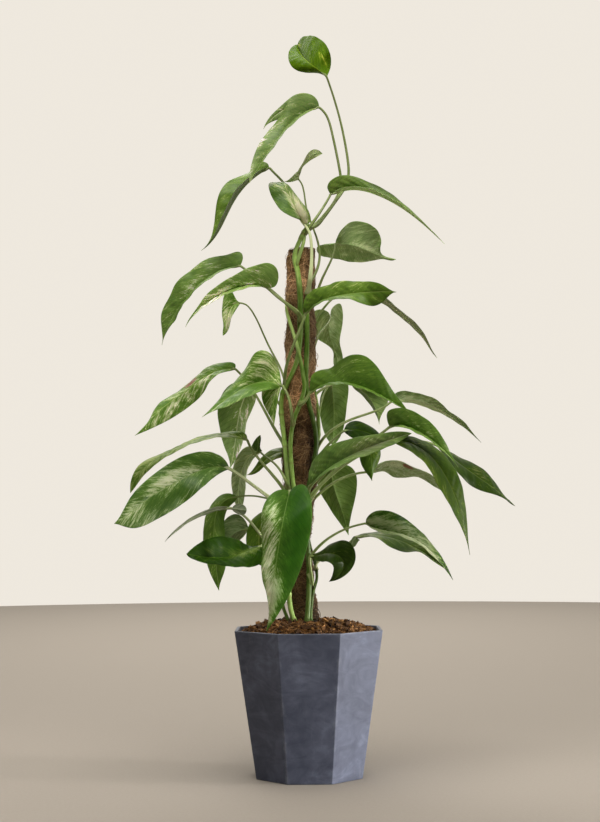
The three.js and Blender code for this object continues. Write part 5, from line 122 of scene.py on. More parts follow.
   [18.2,26.2,826.3,19,26.2,823.2,19.1,26.2,830],[19.5,27.1,826.5,20.1,27.1,824,20.3,27.1,829.3],[20.8,28.2,826.7,21.2,28.2,824.9,21.4,28.2,828.5],[22.1,29.2,826.7,22.3,29.2,825.8,22.5,29.2,827.6],
   [23.4,30.3,826.7,23.3,30.3,826.4,23.4,30.3,827]],
   "petiole": [[-10,11.7,789,1.1],[-5.1,11,780.7,1.11],[-2.5,10.2,771.4,1.13],[-1.1,9.2,761.7,1.16],[.1,8,752,1.19],[2,6.8,742.4,1.22],[4.8,5.2,733,1.26],[8,3.5,723.7,1.3],[11.2,1.8,714.5,1.35],[14.3,-.4,705.1,1.4],[16.6,-2.5,695.6,1.45],[18,-4.5,685.9,1.5],[18,-6.1,676.2,1.55],[16.3,-9.6,666.3,1.61],[13.2,-12.8,656.9,1.67],[8.9,-16.1,648.1,1.74],[3.6,-20.4,639.7,1.8]],
   "lobes": [[[-8.7,10.3,790,-8.7,10.3,786.2,-8.6,10.3,798.9],[-10.4,9.8,789.8,-10.3,9.8,785.6,-10.4,9.8,797.7],[-12,9.3,789.4,-11.9,9.3,785,-12.1,9.3,796.4],[-13.7,8.8,788.9,-13.5,8.8,784.4,-13.6,8.8,794.9],[-15.3,8.3,788.3,-15.1,8.3,783.8,-15.1,8.3,793.3],[-16.9,7.8,787.6,-16.6,7.8,783.3,-16.5,7.8,791.7],[-18.5,7.3,786.8,-18.3,7.3,782.8,-17.9,7.3,790.1],[-20.1,6.8,786.1,-19.9,6.8,782.4,-19.4,6.8,788.5],[-21.6,6.3,785.3,-21.5,6.3,782.1,-20.9,6.3,786.9],[-23.2,5.8,784.5,-23.2,5.8,781.9,-22.5,5.8,785.5],[-24.8,5.3,783.8,-24.8,5.3,781.9,-24.2,5.3,784.3],[-26.4,4.8,783.1,-26.4,4.8,782.1,-26.1,4.8,783.2],[-28,4.3,782.5,-28.1,4.3,782.2,-27.9,4.3,782.7]]],
   "finish": {"tone": 1.034, "pale": 0.6, "under": 1.448, "grain": 0.5, "wash": [-0.05, -0.05], "cool": [0.932, 0.932], "marks": []}},
  {"name": "leaf_05", "slot": "leaf_variegated", "stem": "B",
   "blade": [[-3,-23.6,719.6,-4,-24.3,719.8,-2,-22.9,719.4],[-4,-25.2,720.7,-4.9,-26.6,720.9,1,-24.3,719.2],[-5,-26.8,721.8,-6.3,-30.9,721.5,3.1,-24.1,719.6],[-5.9,-28.3,722.9,-7.9,-36.6,721.5,4.9,-23.1,720.8],
   [-6.9,-29.9,724.1,-9.7,-43.3,721.1,6.2,-21.5,722.9],[-7.7,-31.4,725.3,-11.6,-50.5,720.4,6.7,-19.4,725.4],[-8.6,-33,726.5,-13.5,-53.6,720.4,6.6,-19.4,727.6],[-9.4,-34.3,727.8,-15.4,-56,720.5,6.1,-19.5,729.7],
   [-10.2,-35.5,729.1,-17.3,-57.8,720.8,5.4,-19.4,731.7],[-10.9,-36.5,730.4,-19.2,-59.1,721.2,4.6,-19.4,733.7],[-11.7,-37.4,731.8,-21.1,-59.9,721.8,3.7,-19.5,735.7],[-12.4,-38.2,733.2,-22.9,-60.4,722.6,2.8,-19.6,737.6],
   [-13.1,-38.9,734.7,-24.6,-60.5,723.6,1.7,-19.7,739.5],[-13.9,-39.4,736.1,-26.3,-60.2,724.8,.6,-19.8,741.3],[-14.5,-39.6,737.7,-28,-59.6,726.1,-.6,-19.7,743.1],[-15.2,-39.7,739.3,-29.5,-58.5,727.7,-1.8,-19.6,744.9],
   [-15.9,-39.6,740.9,-31,-57.2,729.4,-3.1,-19.3,746.8],[-16.6,-39.3,742.6,-32.4,-55.5,731.2,-4.4,-19,748.6],[-17.3,-39,744.2,-33.8,-53.6,733.1,-5.7,-18.7,750.3],[-18,-38.7,745.9,-35.2,-51.5,735.1,-7,-18.4,752.1],
   [-18.7,-38.3,747.6,-36.4,-48.9,737.3,-8.3,-18.3,753.9],[-19.4,-38,749.3,-37.7,-46,739.6,-9.6,-18.2,755.6],[-20.1,-37.6,750.9,-38.9,-43.2,741.9,-10.9,-18.3,757.4],[-20.8,-37.2,752.6,-40.1,-40.6,744.2,-12.1,-18.4,759.1],
   [-21.6,-36.8,754.3,-41.2,-38.5,746.4,-13.4,-18.7,760.8],[-22.3,-36.4,756,-42.3,-37,748.5,-14.6,-19,762.5],[-23.1,-35.9,757.7,-43.3,-36,750.6,-15.9,-19.3,764.2],[-23.9,-35.4,759.3,-44.3,-35.4,752.5,-17.2,-19.7,765.8],
   [-24.7,-35,761,-45.2,-35,754.5,-18.6,-20.2,767.4],[-25.6,-34.5,762.6,-46,-34.5,756.5,-20,-20.7,768.9],[-26.5,-34,764.2,-46.7,-34,758.6,-21.5,-21.3,770.3],[-27.5,-33,765.9,-47.4,-33,760.8,-23.1,-21.5,771.7],
   [-28.6,-31.2,767.7,-48,-31.2,763.2,-24.8,-20.9,773.1],[-29.8,-28.7,769.5,-48.4,-28.7,765.8,-26.7,-19.8,774.5],[-31.2,-25.8,771.4,-48.8,-25.8,768.6,-28.6,-19,775.6],[-32.7,-22.6,773.1,-48.9,-22.6,771.4,-30.7,-18,776.5],
   [-34.3,-19.3,774.6,-48.5,-19.3,774.2,-32.8,-16.5,777.2],[-36,-16,775.9,-47.2,-16,776.5,-35,-14.5,777.7],[-37.8,-12.8,776.9,-45.3,-12.8,777.6,-37.2,-12,778],[-39.6,-9.4,777.7,-43.3,-9.4,778.1,-39.3,-9.2,778.2],
   [-41.4,-6,778.2,-41.7,-6,778.2,-41.1,-6,778.3]],
   "petiole": [[-3,-23.6,719.6,1.7],[.5,-24.7,714.6,1.71],[3.5,-25.7,709.3,1.74],[5.4,-26.8,703.4,1.77],[6.4,-28.1,697.3,1.81],[6.9,-28.6,691.3,1.86],[7.2,-29.2,685.3,1.91],[7.3,-30,679.2,1.96],[7.2,-30.7,673.2,2.02],[6.9,-31.8,667.1,2.08],[6.5,-32.9,661,2.14],[6,-33.7,655,2.21],[5.3,-34,649.1,2.28],[4.6,-33.3,643.4,2.36],[3.8,-30,638.1,2.44],[2.9,-25.6,633,2.52],[1.9,-21.3,627.8,2.6]],
   "lobes": [],
   "finish": {"tone": 1.035, "pale": 0.36, "stalk": 0.95, "stalk_tone": 1.7, "winged": 0.7, "wash": [0.121, 0.06], "cool": [0.787, 0.85], "under": 0.941, "marks": [[.334,.25,.222,.508,.45], [.094,.35,.153,.393,.45], [.536,-.45,.201,.245,-.12]]}},
  {"name": "leaf_06", "slot": "leaf_green", "stem": "A",
   "blade": [[33.7,-8.9,762.2,32.6,-8.7,762.6,34.8,-9.2,761.8],[38,-10,763,30.2,-10,766.4,38.2,-11.2,765.4],[42.2,-11,763.9,28.8,-11,771.1,42,-14.5,766.7],[46.3,-12,764.9,30.3,-12,775.8,46,-19,767.3],
   [50.5,-13,765.7,33.5,-13,779.6,50.1,-24.4,767.3],[54.8,-14,766.3,37.7,-14,782.4,54.2,-30.4,766.8],[59.1,-15,766.6,42.3,-15,784.4,58.5,-33.1,766.7],[63.4,-16,766.5,47.2,-16,785.5,62.8,-35.4,766.3],
   [67.7,-17,766.1,52.3,-17,785.8,67.1,-37.5,765.7],[72,-18,765.3,57.4,-17.9,785.2,71.4,-39.3,764.8],[76.2,-19,764.3,62.4,-18.6,784.1,75.7,-40.9,763.7],[80.4,-20,763.1,67.3,-18.8,782.7,79.9,-42.4,762.4],
   [84.5,-21.1,761.6,72.1,-18.5,781,84,-43.7,760.9],[88.6,-22.1,760,76.9,-17.8,779.2,88.1,-44.9,759.2],[92.6,-23.1,758.2,81.6,-16.9,777.3,92.1,-46,757.4],[96.6,-24.1,756.3,86.3,-16.2,775.3,96.1,-47,755.5],
   [100.5,-25.1,754.4,91,-15.8,773.2,100,-47.9,753.4],[104.3,-26.1,752.3,95.6,-15.8,770.9,103.9,-48.7,751.3],[108.1,-27.2,750.1,100.1,-16.1,768.5,107.6,-49.5,749],[111.9,-28.2,747.8,104.6,-16.5,765.9,111.4,-50.3,746.7],
   [115.6,-29.2,745.4,108.9,-17.2,763.1,115,-51,744.2],[119.2,-30.3,742.9,113.2,-18,760.2,118.6,-51.6,741.7],[122.8,-31.4,740.4,117.3,-18.9,757,122.2,-52.2,739.1],[126.3,-32.5,737.8,121.3,-19.9,753.6,125.7,-52.7,736.4],
   [129.8,-33.6,735.1,125.1,-21,750,129.1,-53,733.7],[133.2,-34.7,732.3,128.8,-22.3,746.2,132.5,-53.3,730.9],[136.6,-35.8,729.5,132.4,-23.6,742.4,135.9,-53.5,728.1],[139.9,-36.8,726.6,136,-25,738.6,139.2,-53.7,725.3],
   [143.2,-37.9,723.7,139.5,-26.6,734.7,142.4,-53.8,722.4],[146.4,-39,720.7,143.1,-28.3,730.8,145.6,-53.8,719.4],[149.6,-40.1,717.7,146.6,-30,726.8,148.8,-53.7,716.5],[152.7,-41.2,714.7,150,-31.9,722.8,152,-53.6,713.5],
   [155.9,-42.2,711.6,153.5,-33.8,718.8,155.1,-53.3,710.5],[158.9,-43.3,708.5,156.9,-35.9,714.8,158.3,-53,707.5],[162,-44.3,705.3,160.2,-38.6,710.6,161.5,-51.8,704.7],[165,-45.3,702.2,163.4,-41.4,706.4,164.6,-50.4,701.8],
   [168,-46.3,699,166.7,-43.9,702.3,167.7,-49.5,698.9],[170.9,-47.3,695.8,170,-45.9,698.2,170.8,-49.1,695.8],[173.9,-48.2,692.6,173.2,-47.6,694.1,173.8,-49,692.7],[176.8,-49.1,689.4,176.5,-48.9,690.1,176.8,-49.4,689.5],
   [179.7,-50,686.2,179.6,-49.8,686.4,179.8,-50.2,686]],
   "petiole": [[33.7,-8.9,762.2,1.5],[31.8,-9.8,758.5,1.51],[29.8,-10.6,754.8,1.53],[27.8,-11.6,751.2,1.55],[25.7,-12.8,747.5,1.58],[23.6,-14,743.8,1.6],[21.4,-15.5,740.1,1.64],[19.2,-16.9,736.4,1.67],[17,-18.5,732.8,1.71],[14.8,-19.9,729.2,1.75],[12.5,-21.4,725.6,1.8],[10.2,-22.2,722.2,1.84],[7.8,-21.6,719.1,1.89],[5.5,-21.5,716,1.94],[3,-19.9,713.2,1.99],[.6,-17.6,710.6,2.04],[-1.9,-15.6,707.9,2.1]],
   "lobes": [],
   "finish": {"tone": 1.777, "pale": 0.109, "under": 3.25, "grain": 0.3, "wash": [0.329, 0.06], "cool": [1.245, 1.08], "marks": [[.473,-.6,.125,.46,-.3], [.574,-.05,.168,.452,.14], [.801,0,.107,1.441,.105]], "shades": [[.498,-.9,.119,.319,-.5], [.373,-.85,.053,.198,-.4]]}},
  {"name": "leaf_07", "slot": "leaf_pale", "stem": "C",
   "blade": [[39.7,39.5,704.2,38.8,39.9,703.6,40.7,39.1,704.8],[41.9,41.1,704.8,34.4,41.5,703.5,40.9,39.6,708.7],[44.1,42.8,705.3,30.9,43.6,704,42.1,38.6,711.6],[46.3,44.6,705.7,27.4,45.6,704.4,43.4,36.6,714.3],
   [48.5,46.4,706,23.9,47.3,704.6,44.8,34.4,716.8],[50.8,48.4,706.3,20.5,48.9,704.3,46.4,32.7,719.3],[53,50.4,706.5,17.3,50.5,703.2,48.3,35.2,722.6],[55.2,52.5,706.7,15.1,52.5,700.9,50.5,38.9,726],
   [57.4,54.7,706.7,15,54.7,697.8,52.8,43.7,729.4],[59.6,57,706.8,17,57,695.3,55.5,49,732.7],[61.8,59.3,706.7,19.8,59.3,693.5,58.4,54.4,735.7],[64,61.7,706.6,23,61.7,692.3,61.6,59.3,738.1],
   [66.2,64.2,706.5,26.3,64.2,691.4,64.9,63.3,739.9],[68.4,66.8,706.3,29.7,66.8,690.7,68.4,66.6,741.1],[70.6,69.4,706.1,33.2,69.4,690.3,71.8,69.4,741.8],[72.7,72,705.9,36.7,72,690,75.3,72,742.1],
   [74.9,74.7,705.6,40.3,74.7,689.9,78.7,74.7,742.1],[77,77.4,705.3,43.9,77.4,689.8,82,77.4,741.7],[79.2,80.1,705,47.5,80.1,689.7,85.3,80.1,741.1],[81.3,82.8,704.7,51.1,82.8,689.5,88.5,82.8,740.3],
   [83.5,85.5,704.3,54.7,85.5,689.4,91.6,85.5,739.2],[85.6,88.1,704,58.3,88.1,689.2,94.5,88.1,737.8],[87.8,90.7,703.6,62,90.7,689.1,97.3,90.7,736.2],[90,93.3,703.2,65.6,93.4,689.1,99.8,93.3,734.3],
   [92.1,95.8,702.7,69.3,96.2,689.2,102,95.8,732.1],[94.3,98.2,702.3,73.1,99.3,689.4,103.8,97.9,729.6],[96.4,100.5,701.9,76.8,102.9,689.9,105.2,99.6,726.8],[98.6,103,701.5,80.6,106.8,690.7,106,100.7,723.6],
   [100.8,105.4,701.1,84.4,110.8,691.7,106.2,101.4,720.3],[103,107.9,700.8,88.2,114.6,692.8,105.9,102,717],[105.3,110.5,700.4,91.9,118,694.2,105.3,102.9,713.8],[107.5,113,700.2,95.6,121,695.7,104.7,104.4,710.8],
   [109.8,115.7,700,99.3,123.5,697.1,104.7,106.8,707.8],[112.1,118.3,699.8,103,125.6,698.2,105.8,110,705.1],[114.4,121,699.7,106.7,126.8,698.9,108.1,114.4,703.2],[116.7,123.8,699.6,110.4,127.7,698.9,111.2,119.2,702.1],
   [119.1,126.6,699.6,114.1,128.9,698.5,114.6,123.7,701.5],[121.5,129.4,699.7,117.7,130.5,697.9,118.1,127.8,701.3],[123.9,132.2,699.9,121.5,132.7,697.6,121.7,131.5,701.1],[126.3,135.1,700.1,125.3,135.2,698.3,125.3,134.9,700.9],
   [128.8,138,700.4,128.7,138.1,700.1,128.8,137.9,700.7]],
   "petiole": [[39.8,39.5,704.2,1.5],[39.2,36.9,698.3,1.51],[38,34.6,692.5,1.53],[36.4,32.4,687,1.55],[34.4,30.5,681.6,1.58],[32.2,28.8,676.3,1.6],[29.8,27.3,671.2,1.64],[27.4,26,666.2,1.67],[25,25,661.2,1.71],[22.6,24.1,656.2,1.75],[20.5,23.3,651.1,1.8],[18.5,22.6,646,1.84],[16.6,21.9,640.9,1.89],[14.3,21.4,636,1.94],[11.2,21.1,631.6,1.99],[7,21,628.2,2.04],[2.1,21,626.2,2.1]],
   "lobes": [],
   "finish": {"tone": 1.25, "pale": 0.26, "under": 1.656, "wash": [-0.06, -0.06], "cool": [0.973, 0.973], "marks": [[.504,.1,.2,.086,.5], [.401,-.65,.058,.095,.4], [.605,-.95,.087,.113,.4], [.53,.85,.067,.25,-.1], [.349,-.9,.104,.141,.12]]}},
  {"name": "leaf_08", "slot": "leaf_green", "stem": "A",
   "blade": [[-88.7,16.7,670.8,-89.4,16.4,669.9,-87.9,17,671.7],[-92.6,17.6,670.5,-92.4,16,669.8,-85.6,17.6,677.5],[-96.6,18.6,670.1,-96.1,13.9,668.6,-84.8,18.6,682.8],[-100.5,19.6,669.5,-99.7,10.3,667,-86.1,19.7,688],
   [-104.3,20.6,668.6,-103.2,5.7,665,-90.3,21.1,691],[-108.1,21.6,667.6,-106.6,.5,662.8,-95.6,23.3,691.1],[-111.9,22.6,666.4,-110.2,-.4,661.3,-100.6,26,690.2],[-115.6,23.5,665,-113.8,-.9,659.6,-105.6,29.1,688.9],
   [-119.2,24.4,663.4,-117.2,-1.2,657.9,-110.7,31.9,687.9],[-122.7,25.3,661.7,-120.7,-1.2,656,-116,34.1,687.4],[-126.2,26.2,659.8,-124,-.9,654,-121.2,35.2,686.9],[-129.6,27.1,657.8,-127.3,-.5,652,-126.3,35.5,686.3],
   [-132.9,27.9,655.7,-130.6,.1,649.8,-131.4,35.3,685.1],[-136.1,28.7,653.5,-133.7,.8,647.6,-136.2,35.1,683.2],[-139.3,29.5,651.1,-136.8,1.5,645.3,-140.8,35.3,680.7],[-142.4,30.2,648.7,-139.9,2.3,642.9,-145.1,35.8,677.9],
   [-145.4,30.9,646.1,-142.8,3.2,640.4,-149.2,36.3,674.8],[-148.3,31.5,643.5,-145.8,4.1,637.8,-153.3,36.5,671.5],[-151.2,32.1,640.8,-148.6,5,635.2,-157.3,36.4,668.2],[-154,32.7,638.1,-151.4,6,632.6,-161.3,35.8,664.9],
   [-156.8,33.2,635.3,-154.2,6.9,629.8,-165.4,35.1,661.6],[-159.5,33.6,632.4,-156.9,8,627.1,-169.3,34.6,658.2],[-162.1,34.1,629.5,-159.5,9.1,624.3,-173,34.4,654.5],[-164.7,34.5,626.5,-162.1,10.4,621.5,-176.4,34.6,650.6],
   [-167.3,35,623.5,-164.7,11.7,618.6,-179.1,35,646.2],[-169.8,35.4,620.4,-166.4,13.2,615.5,-181.2,35.4,641.5],[-172.2,35.9,617.2,-168.1,14.7,612.4,-183.2,35.9,636.7],[-174.5,36.3,614.1,-169.9,16.4,609.3,-185.5,36.3,632.1],
   [-176.8,36.7,610.8,-171.7,18.1,606.2,-188.1,36.7,627.6],[-178.9,37.1,607.5,-173.5,19.8,603.1,-190.8,37.1,623.2],[-181,37.5,604.1,-175.4,21.5,599.9,-193.2,37.5,618.6],[-183,37.8,600.7,-177.8,23.3,597,-195.2,37.8,613.8],
   [-184.9,38.1,597.2,-180.6,25.1,594.1,-196.5,38.1,608.8],[-186.7,38.4,593.7,-183.1,27,591.2,-196.9,38.4,603.7],[-188.4,38.7,590.1,-185.6,29.8,588.2,-196.8,38.7,598.5],[-189.9,38.9,586.4,-188,32.7,585.2,-196.3,39,593.3],
   [-191.3,39.1,582.7,-190.1,35.2,581.9,-195.8,39.2,588.1],[-192.6,39.3,579,-192,37.1,578.5,-195.2,39.4,583],[-193.8,39.4,575.2,-193.5,38.4,575,-194.8,39.5,577.8],[-194.8,39.5,571.3,-194.7,39.2,571.3,-194.9,39.5,572.6],
   [-195.6,39.5,567.4,-195.5,39.4,567.2,-195.8,39.6,567.7]],
   "petiole": [[-88.7,16.7,670.8,1.5],[-83,14.6,666.8,1.51],[-77.5,12.3,662.6,1.53],[-72.2,9.7,658.2,1.55],[-66.9,6.7,653.7,1.58],[-61.7,3.8,649,1.6],[-56.6,.4,644.2,1.64],[-51.6,-3.4,639.2,1.67],[-46.7,-7.2,634.2,1.71],[-41.9,-10.7,629.3,1.75],[-37,-14.4,624.3,1.8],[-32.2,-17.6,619.4,1.84],[-27.4,-19.3,614.7,1.89],[-22.6,-21.9,610,1.94],[-17.8,-23.2,605.5,1.99],[-12.9,-24.1,601.2,2.04],[-7.9,-25.4,596.9,2.1]],
   "lobes": [],
   "finish": {"tone": 1.72, "pale": 0.218, "wash": [0.226, 0.06], "cool": [1.551, 1.08], "under": 1.25, "marks": [[.503,.25,.126,.2,.21], [.253,.6,.118,.209,.084], [.776,.2,.064,.305,.14]]}},
  {"name": "leaf_09", "slot": "leaf_variegated", "stem": "A",
   "blade": [[-53,-19.4,636.3,-54.2,-19.7,636.2,-51.9,-19,636.3],[-56,-20.3,637.1,-55.7,-21.9,636,-47,-20.3,635],[-59,-21.4,637.7,-58.6,-25.8,635.4,-42.3,-21.4,635.9],[-62.1,-22.4,638,-61.4,-31.3,634.6,-38.9,-22.4,639.2],
   [-65.2,-23.5,638,-64.3,-38,633.5,-37.1,-23.5,643.5],[-68.3,-24.6,637.8,-67.1,-45.5,632.1,-36.4,-24.6,648.1],[-71.4,-25.7,637.5,-70.1,-48.6,631.4,-36.7,-25.7,652.8],[-74.4,-26.9,636.9,-73.1,-51.4,630.6,-37.9,-26.9,657.3],
   [-77.5,-28.2,636.3,-76,-53.9,629.7,-40.1,-28.2,661.4],[-80.5,-29.5,635.5,-79,-56.2,628.8,-43.7,-29.5,664.4],[-83.5,-30.8,634.5,-81.9,-58.2,627.8,-48.1,-30.8,666],[-86.5,-32.2,633.5,-84.8,-60.1,626.7,-52.8,-32.2,666.3],
   [-89.4,-33.6,632.4,-87.7,-61.8,625.6,-57.6,-33.6,665.4],[-92.3,-35.1,631.3,-90.5,-63.4,624.4,-62.2,-35.1,663.8],[-95.2,-36.6,630,-93.4,-65,623.1,-66.7,-36.6,661.9],[-98,-38.1,628.6,-96.2,-66.4,621.8,-71.1,-38.1,659.9],
   [-100.8,-39.7,627.2,-98.9,-67.8,620.4,-75.4,-39.7,657.7],[-103.6,-41.4,625.8,-101.7,-69.2,619,-79.8,-41.4,655.5],[-106.4,-43,624.2,-104.4,-70.5,617.6,-84,-43,653.1],[-109.1,-44.7,622.6,-107.1,-71.8,616.1,-88.3,-44.7,650.8],
   [-111.8,-46.5,621,-109.8,-73,614.5,-92.5,-46.5,648.4],[-114.4,-48.3,619.3,-112.4,-74.2,612.9,-96.7,-48.3,645.8],[-117,-50.1,617.6,-115.1,-75.3,611.3,-100.8,-50.1,643.2],[-119.6,-51.9,615.8,-117.7,-76.4,609.7,-104.8,-51.9,640.5],
   [-122.2,-53.8,614,-120.3,-77.3,608.1,-108.7,-53.8,637.6],[-124.7,-55.7,612.1,-122.8,-78.2,606.4,-112.5,-55.7,634.7],[-127.2,-57.7,610.2,-125.3,-79,604.7,-116.3,-57.7,631.5],[-129.6,-59.6,608.2,-127.9,-79.8,603,-119.9,-59.6,628.2],
   [-132,-61.6,606.1,-130.3,-80.6,601.3,-123.3,-61.6,624.8],[-134.3,-63.6,604,-132.7,-81.2,599.5,-126.6,-63.6,621.2],[-136.6,-65.6,601.8,-135.1,-81.8,597.7,-129.7,-65.6,617.4],[-138.8,-67.6,599.5,-137.4,-82.4,595.7,-132.5,-67.6,613.4],
   [-140.9,-69.6,597.1,-139.6,-82.8,593.8,-135.2,-69.6,609.3],[-142.9,-71.6,594.6,-141.7,-83.2,591.7,-137.8,-71.6,605.1],[-144.7,-73.6,592,-143.9,-82.5,589.7,-140.4,-73.6,600.9],[-146.5,-75.7,589.4,-145.9,-81.8,587.7,-142.9,-75.7,596.8],
   [-148.2,-77.7,586.7,-147.8,-81.5,585.5,-145.5,-77.7,592.6],[-149.7,-79.6,583.9,-149.5,-81.8,583.1,-148,-79.6,588.5],[-151.2,-81.6,581,-151,-82.6,580.5,-150.3,-81.6,584.2],[-152.5,-83.5,578,-152.4,-83.8,577.9,-152.2,-83.5,579.7],
   [-153.6,-85.5,575.1,-153.7,-85.5,574.8,-153.6,-85.4,575.3]],
   "petiole": [[-53,-19.4,636.3,1.7],[-49.8,-20.4,633.5,1.71],[-46.6,-21.6,630.5,1.73],[-43.6,-22.8,627.5,1.76],[-40.5,-24.3,624.5,1.79],[-37.3,-25.9,621.6,1.82],[-34,-27.7,618.8,1.86],[-30.6,-29.5,616,1.9],[-27.3,-31.4,613.3,1.95],[-24,-33.7,610.5,2],[-20.7,-36,607.7,2.05],[-17.4,-37.8,604.9,2.1],[-14.1,-38.1,602.4,2.15],[-11.2,-38.4,599.5,2.21],[-8.8,-34.9,596.6,2.27],[-7.6,-29.9,593.4,2.34],[-7.9,-25.3,589.9,2.4]],
   "lobes": [],
   "finish": {"tone": 2.567, "pale": 0.27, "grain": 0.6, "wash": [0.489, 0.06], "cool": [1.264, 1.08], "under": 1.25, "marks": [[.428,.35,.141,.214,.22], [.58,-1,.131,3,.22], [.208,.1,.139,.084,.15], [.208,.6,.068,.197,-.08]]}},
  {"name": "leaf_10", "slot": "leaf_variegated", "stem": "A",
   "blade": [[-88,-1.8,617.9,-87.6,-2.1,616.8,-88.5,-1.5,619],[-89.4,-2,617.8,-88.7,-2.6,615.7,-91.1,-1.7,620.5],[-90.6,-2.2,617.5,-89.3,-3.9,614.4,-92.5,-1.7,622.2],[-91.9,-2.4,617.2,-89.9,-5.7,613.2,-93.6,-1.7,624.1],
   [-93.2,-2.7,616.8,-90.5,-7.9,611.8,-94.6,-1.9,626],[-94.4,-2.9,616.2,-91.1,-10.2,610.5,-95.5,-2.3,627.9],[-95.5,-3.1,615.6,-91.8,-11,609.4,-96.5,-2.9,629.7],[-96.6,-3.3,614.8,-92.5,-11.7,608.3,-97.5,-3.3,631.6],
   [-97.6,-3.5,613.9,-93.1,-12.3,607.2,-98.8,-3.5,633.3],[-98.5,-3.7,613,-93.8,-12.7,606.1,-100.3,-3.7,634.8],[-99.4,-3.9,612,-94.4,-13.1,605,-102.3,-3.9,635.5],[-100.2,-4.1,610.9,-95.1,-13.5,603.9,-104.4,-4.1,635.1],
   [-100.9,-4.4,609.7,-95.7,-13.8,602.8,-106.1,-4.4,633.7],[-101.5,-4.6,608.5,-96.3,-14.1,601.7,-107.4,-4.6,632],[-102.1,-4.8,607.3,-96.8,-14.3,600.6,-108.3,-4.8,630],[-102.6,-5,606.1,-97.4,-14.5,599.5,-109.1,-5,627.9],
   [-103.1,-5.2,604.8,-97.8,-14.6,598.4,-109.7,-5.2,625.8],[-103.6,-5.4,603.6,-98.3,-14.7,597.2,-110.1,-5.4,623.6],[-104,-5.6,602.3,-98.7,-14.8,596,-110.4,-5.6,621.5],[-104.3,-5.8,601,-99.1,-14.8,594.9,-110.7,-5.8,619.3],
   [-104.7,-6,599.7,-99.4,-14.8,593.7,-110.9,-6,617.1],[-105,-6.2,598.4,-99.7,-14.7,592.5,-111.1,-6.2,614.9],[-105.3,-6.4,597,-100,-14.6,591.4,-111.3,-6.4,612.7],[-105.6,-6.6,595.7,-100.3,-14.4,590.2,-111.5,-6.6,610.5],
   [-105.8,-6.8,594.4,-100.6,-14.2,589.1,-111.7,-6.8,608.3],[-106.1,-7,593.1,-100.9,-13.9,587.9,-111.7,-7,606.1],[-106.3,-7.2,591.8,-101.2,-13.5,586.8,-111.7,-7.2,603.9],[-106.6,-7.4,590.4,-101.5,-13.2,585.6,-111.7,-7.4,601.7],
   [-106.8,-7.6,589.1,-101.9,-12.8,584.5,-111.5,-7.6,599.5],[-107,-7.8,587.8,-102.2,-12.3,583.4,-111.2,-7.8,597.3],[-107.2,-8,586.5,-102.7,-11.7,582.3,-110.8,-8,595.2],[-107.5,-8.2,585.1,-103.1,-11.1,581.3,-110.4,-8.2,593],
   [-107.7,-8.4,583.8,-103.7,-10.5,580.2,-110.1,-8.4,590.8],[-108,-8.6,582.5,-104.2,-10,579.2,-109.9,-8.6,588.6],[-108.2,-8.8,581.2,-104.9,-9.5,578.2,-109.8,-8.8,586.4],[-108.5,-9,579.9,-105.6,-9.3,577.3,-110,-9,584.3],
   [-108.8,-9.2,578.5,-106.4,-9.3,576.3,-110.3,-9.2,582.1],[-109.1,-9.4,577.2,-107.3,-9.4,575.5,-110.6,-9.4,579.9],[-109.5,-9.6,575.9,-108.2,-9.6,574.7,-110.7,-9.6,577.7],[-109.8,-9.8,574.7,-109.2,-9.8,574,-110.7,-9.8,575.5],
   [-110.3,-10,573.4,-110.1,-10,573.2,-110.5,-10,573.6]],
   "petiole": [[-88,-1.8,617.9,1],[-79.9,-1.6,615.4,1.01],[-73.9,-1.4,609.2,1.02],[-69.3,-1.3,601.9,1.04],[-65.2,-1.2,594.2,1.06],[-61.6,-1.1,586.3,1.09],[-58.2,-1,578.3,1.11],[-54.7,-1,570.4,1.14],[-51.1,-1,562.5,1.18],[-47.2,-1.4,554.6,1.21],[-43.2,-1.9,546.9,1.25],[-39.2,-3.1,539.1,1.29],[-35.5,-5.1,531.1,1.32],[-32.3,-7.6,522.8,1.37],[-29.9,-9.5,514.3,1.41],[-29.2,-11.2,505.6,1.45],[-31.6,-13,497.2,1.5]],
   "lobes": [],
   "finish": {"tone": 1.355, "pale": 0.34, "wash": [0.071, 0.06], "cool": [0.854, 0.854], "under": 0.847, "marks": [[.599,-.65,.262,1.642,.45]]}},
  {"name": "leaf_11", "slot": "leaf_green", "stem": "A",
   "blade": [[-1.4,-40.9,596.7,-2.1,-40.1,597.2,-.6,-41.6,596.2],[.6,-43.8,598.7,-3.4,-42.6,601.7,1.9,-45.5,598.8],[2.7,-46.9,600.6,-3.9,-43.5,605.3,4.2,-51.7,600.1],[5,-50.1,602.3,-4,-43.5,609,6.6,-59.6,601],
   [7.3,-53.3,603.9,-3.4,-43.1,612.8,9.1,-68.7,601.7],[9.8,-56.6,605.3,-2.3,-42.6,616.4,11.7,-78.3,602.1],[12.3,-60,606.6,-.6,-45,619.3,14.3,-83.4,602.9],[14.9,-63.4,607.7,1.6,-47.5,621.9,17.1,-88.1,603.7],
   [17.6,-66.9,608.7,4.3,-50.2,624,19.9,-92.5,604.4],[20.3,-70.3,609.6,7.3,-52.9,625.7,22.8,-96.7,604.9],[23.1,-73.8,610.3,10.5,-55.6,627,25.7,-100.6,605.3],[25.9,-77.2,610.9,13.9,-58.4,628,28.7,-104.3,605.5],
   [28.7,-80.5,611.4,17.3,-61.2,628.7,31.7,-107.7,605.7],[31.6,-83.8,611.9,20.8,-64.1,629.3,34.7,-110.9,605.6],[34.5,-86.9,612.2,24.2,-67.2,629.9,37.7,-113.9,605.5],[37.4,-90,612.5,27.6,-70.5,630.5,40.8,-116.6,605.2],
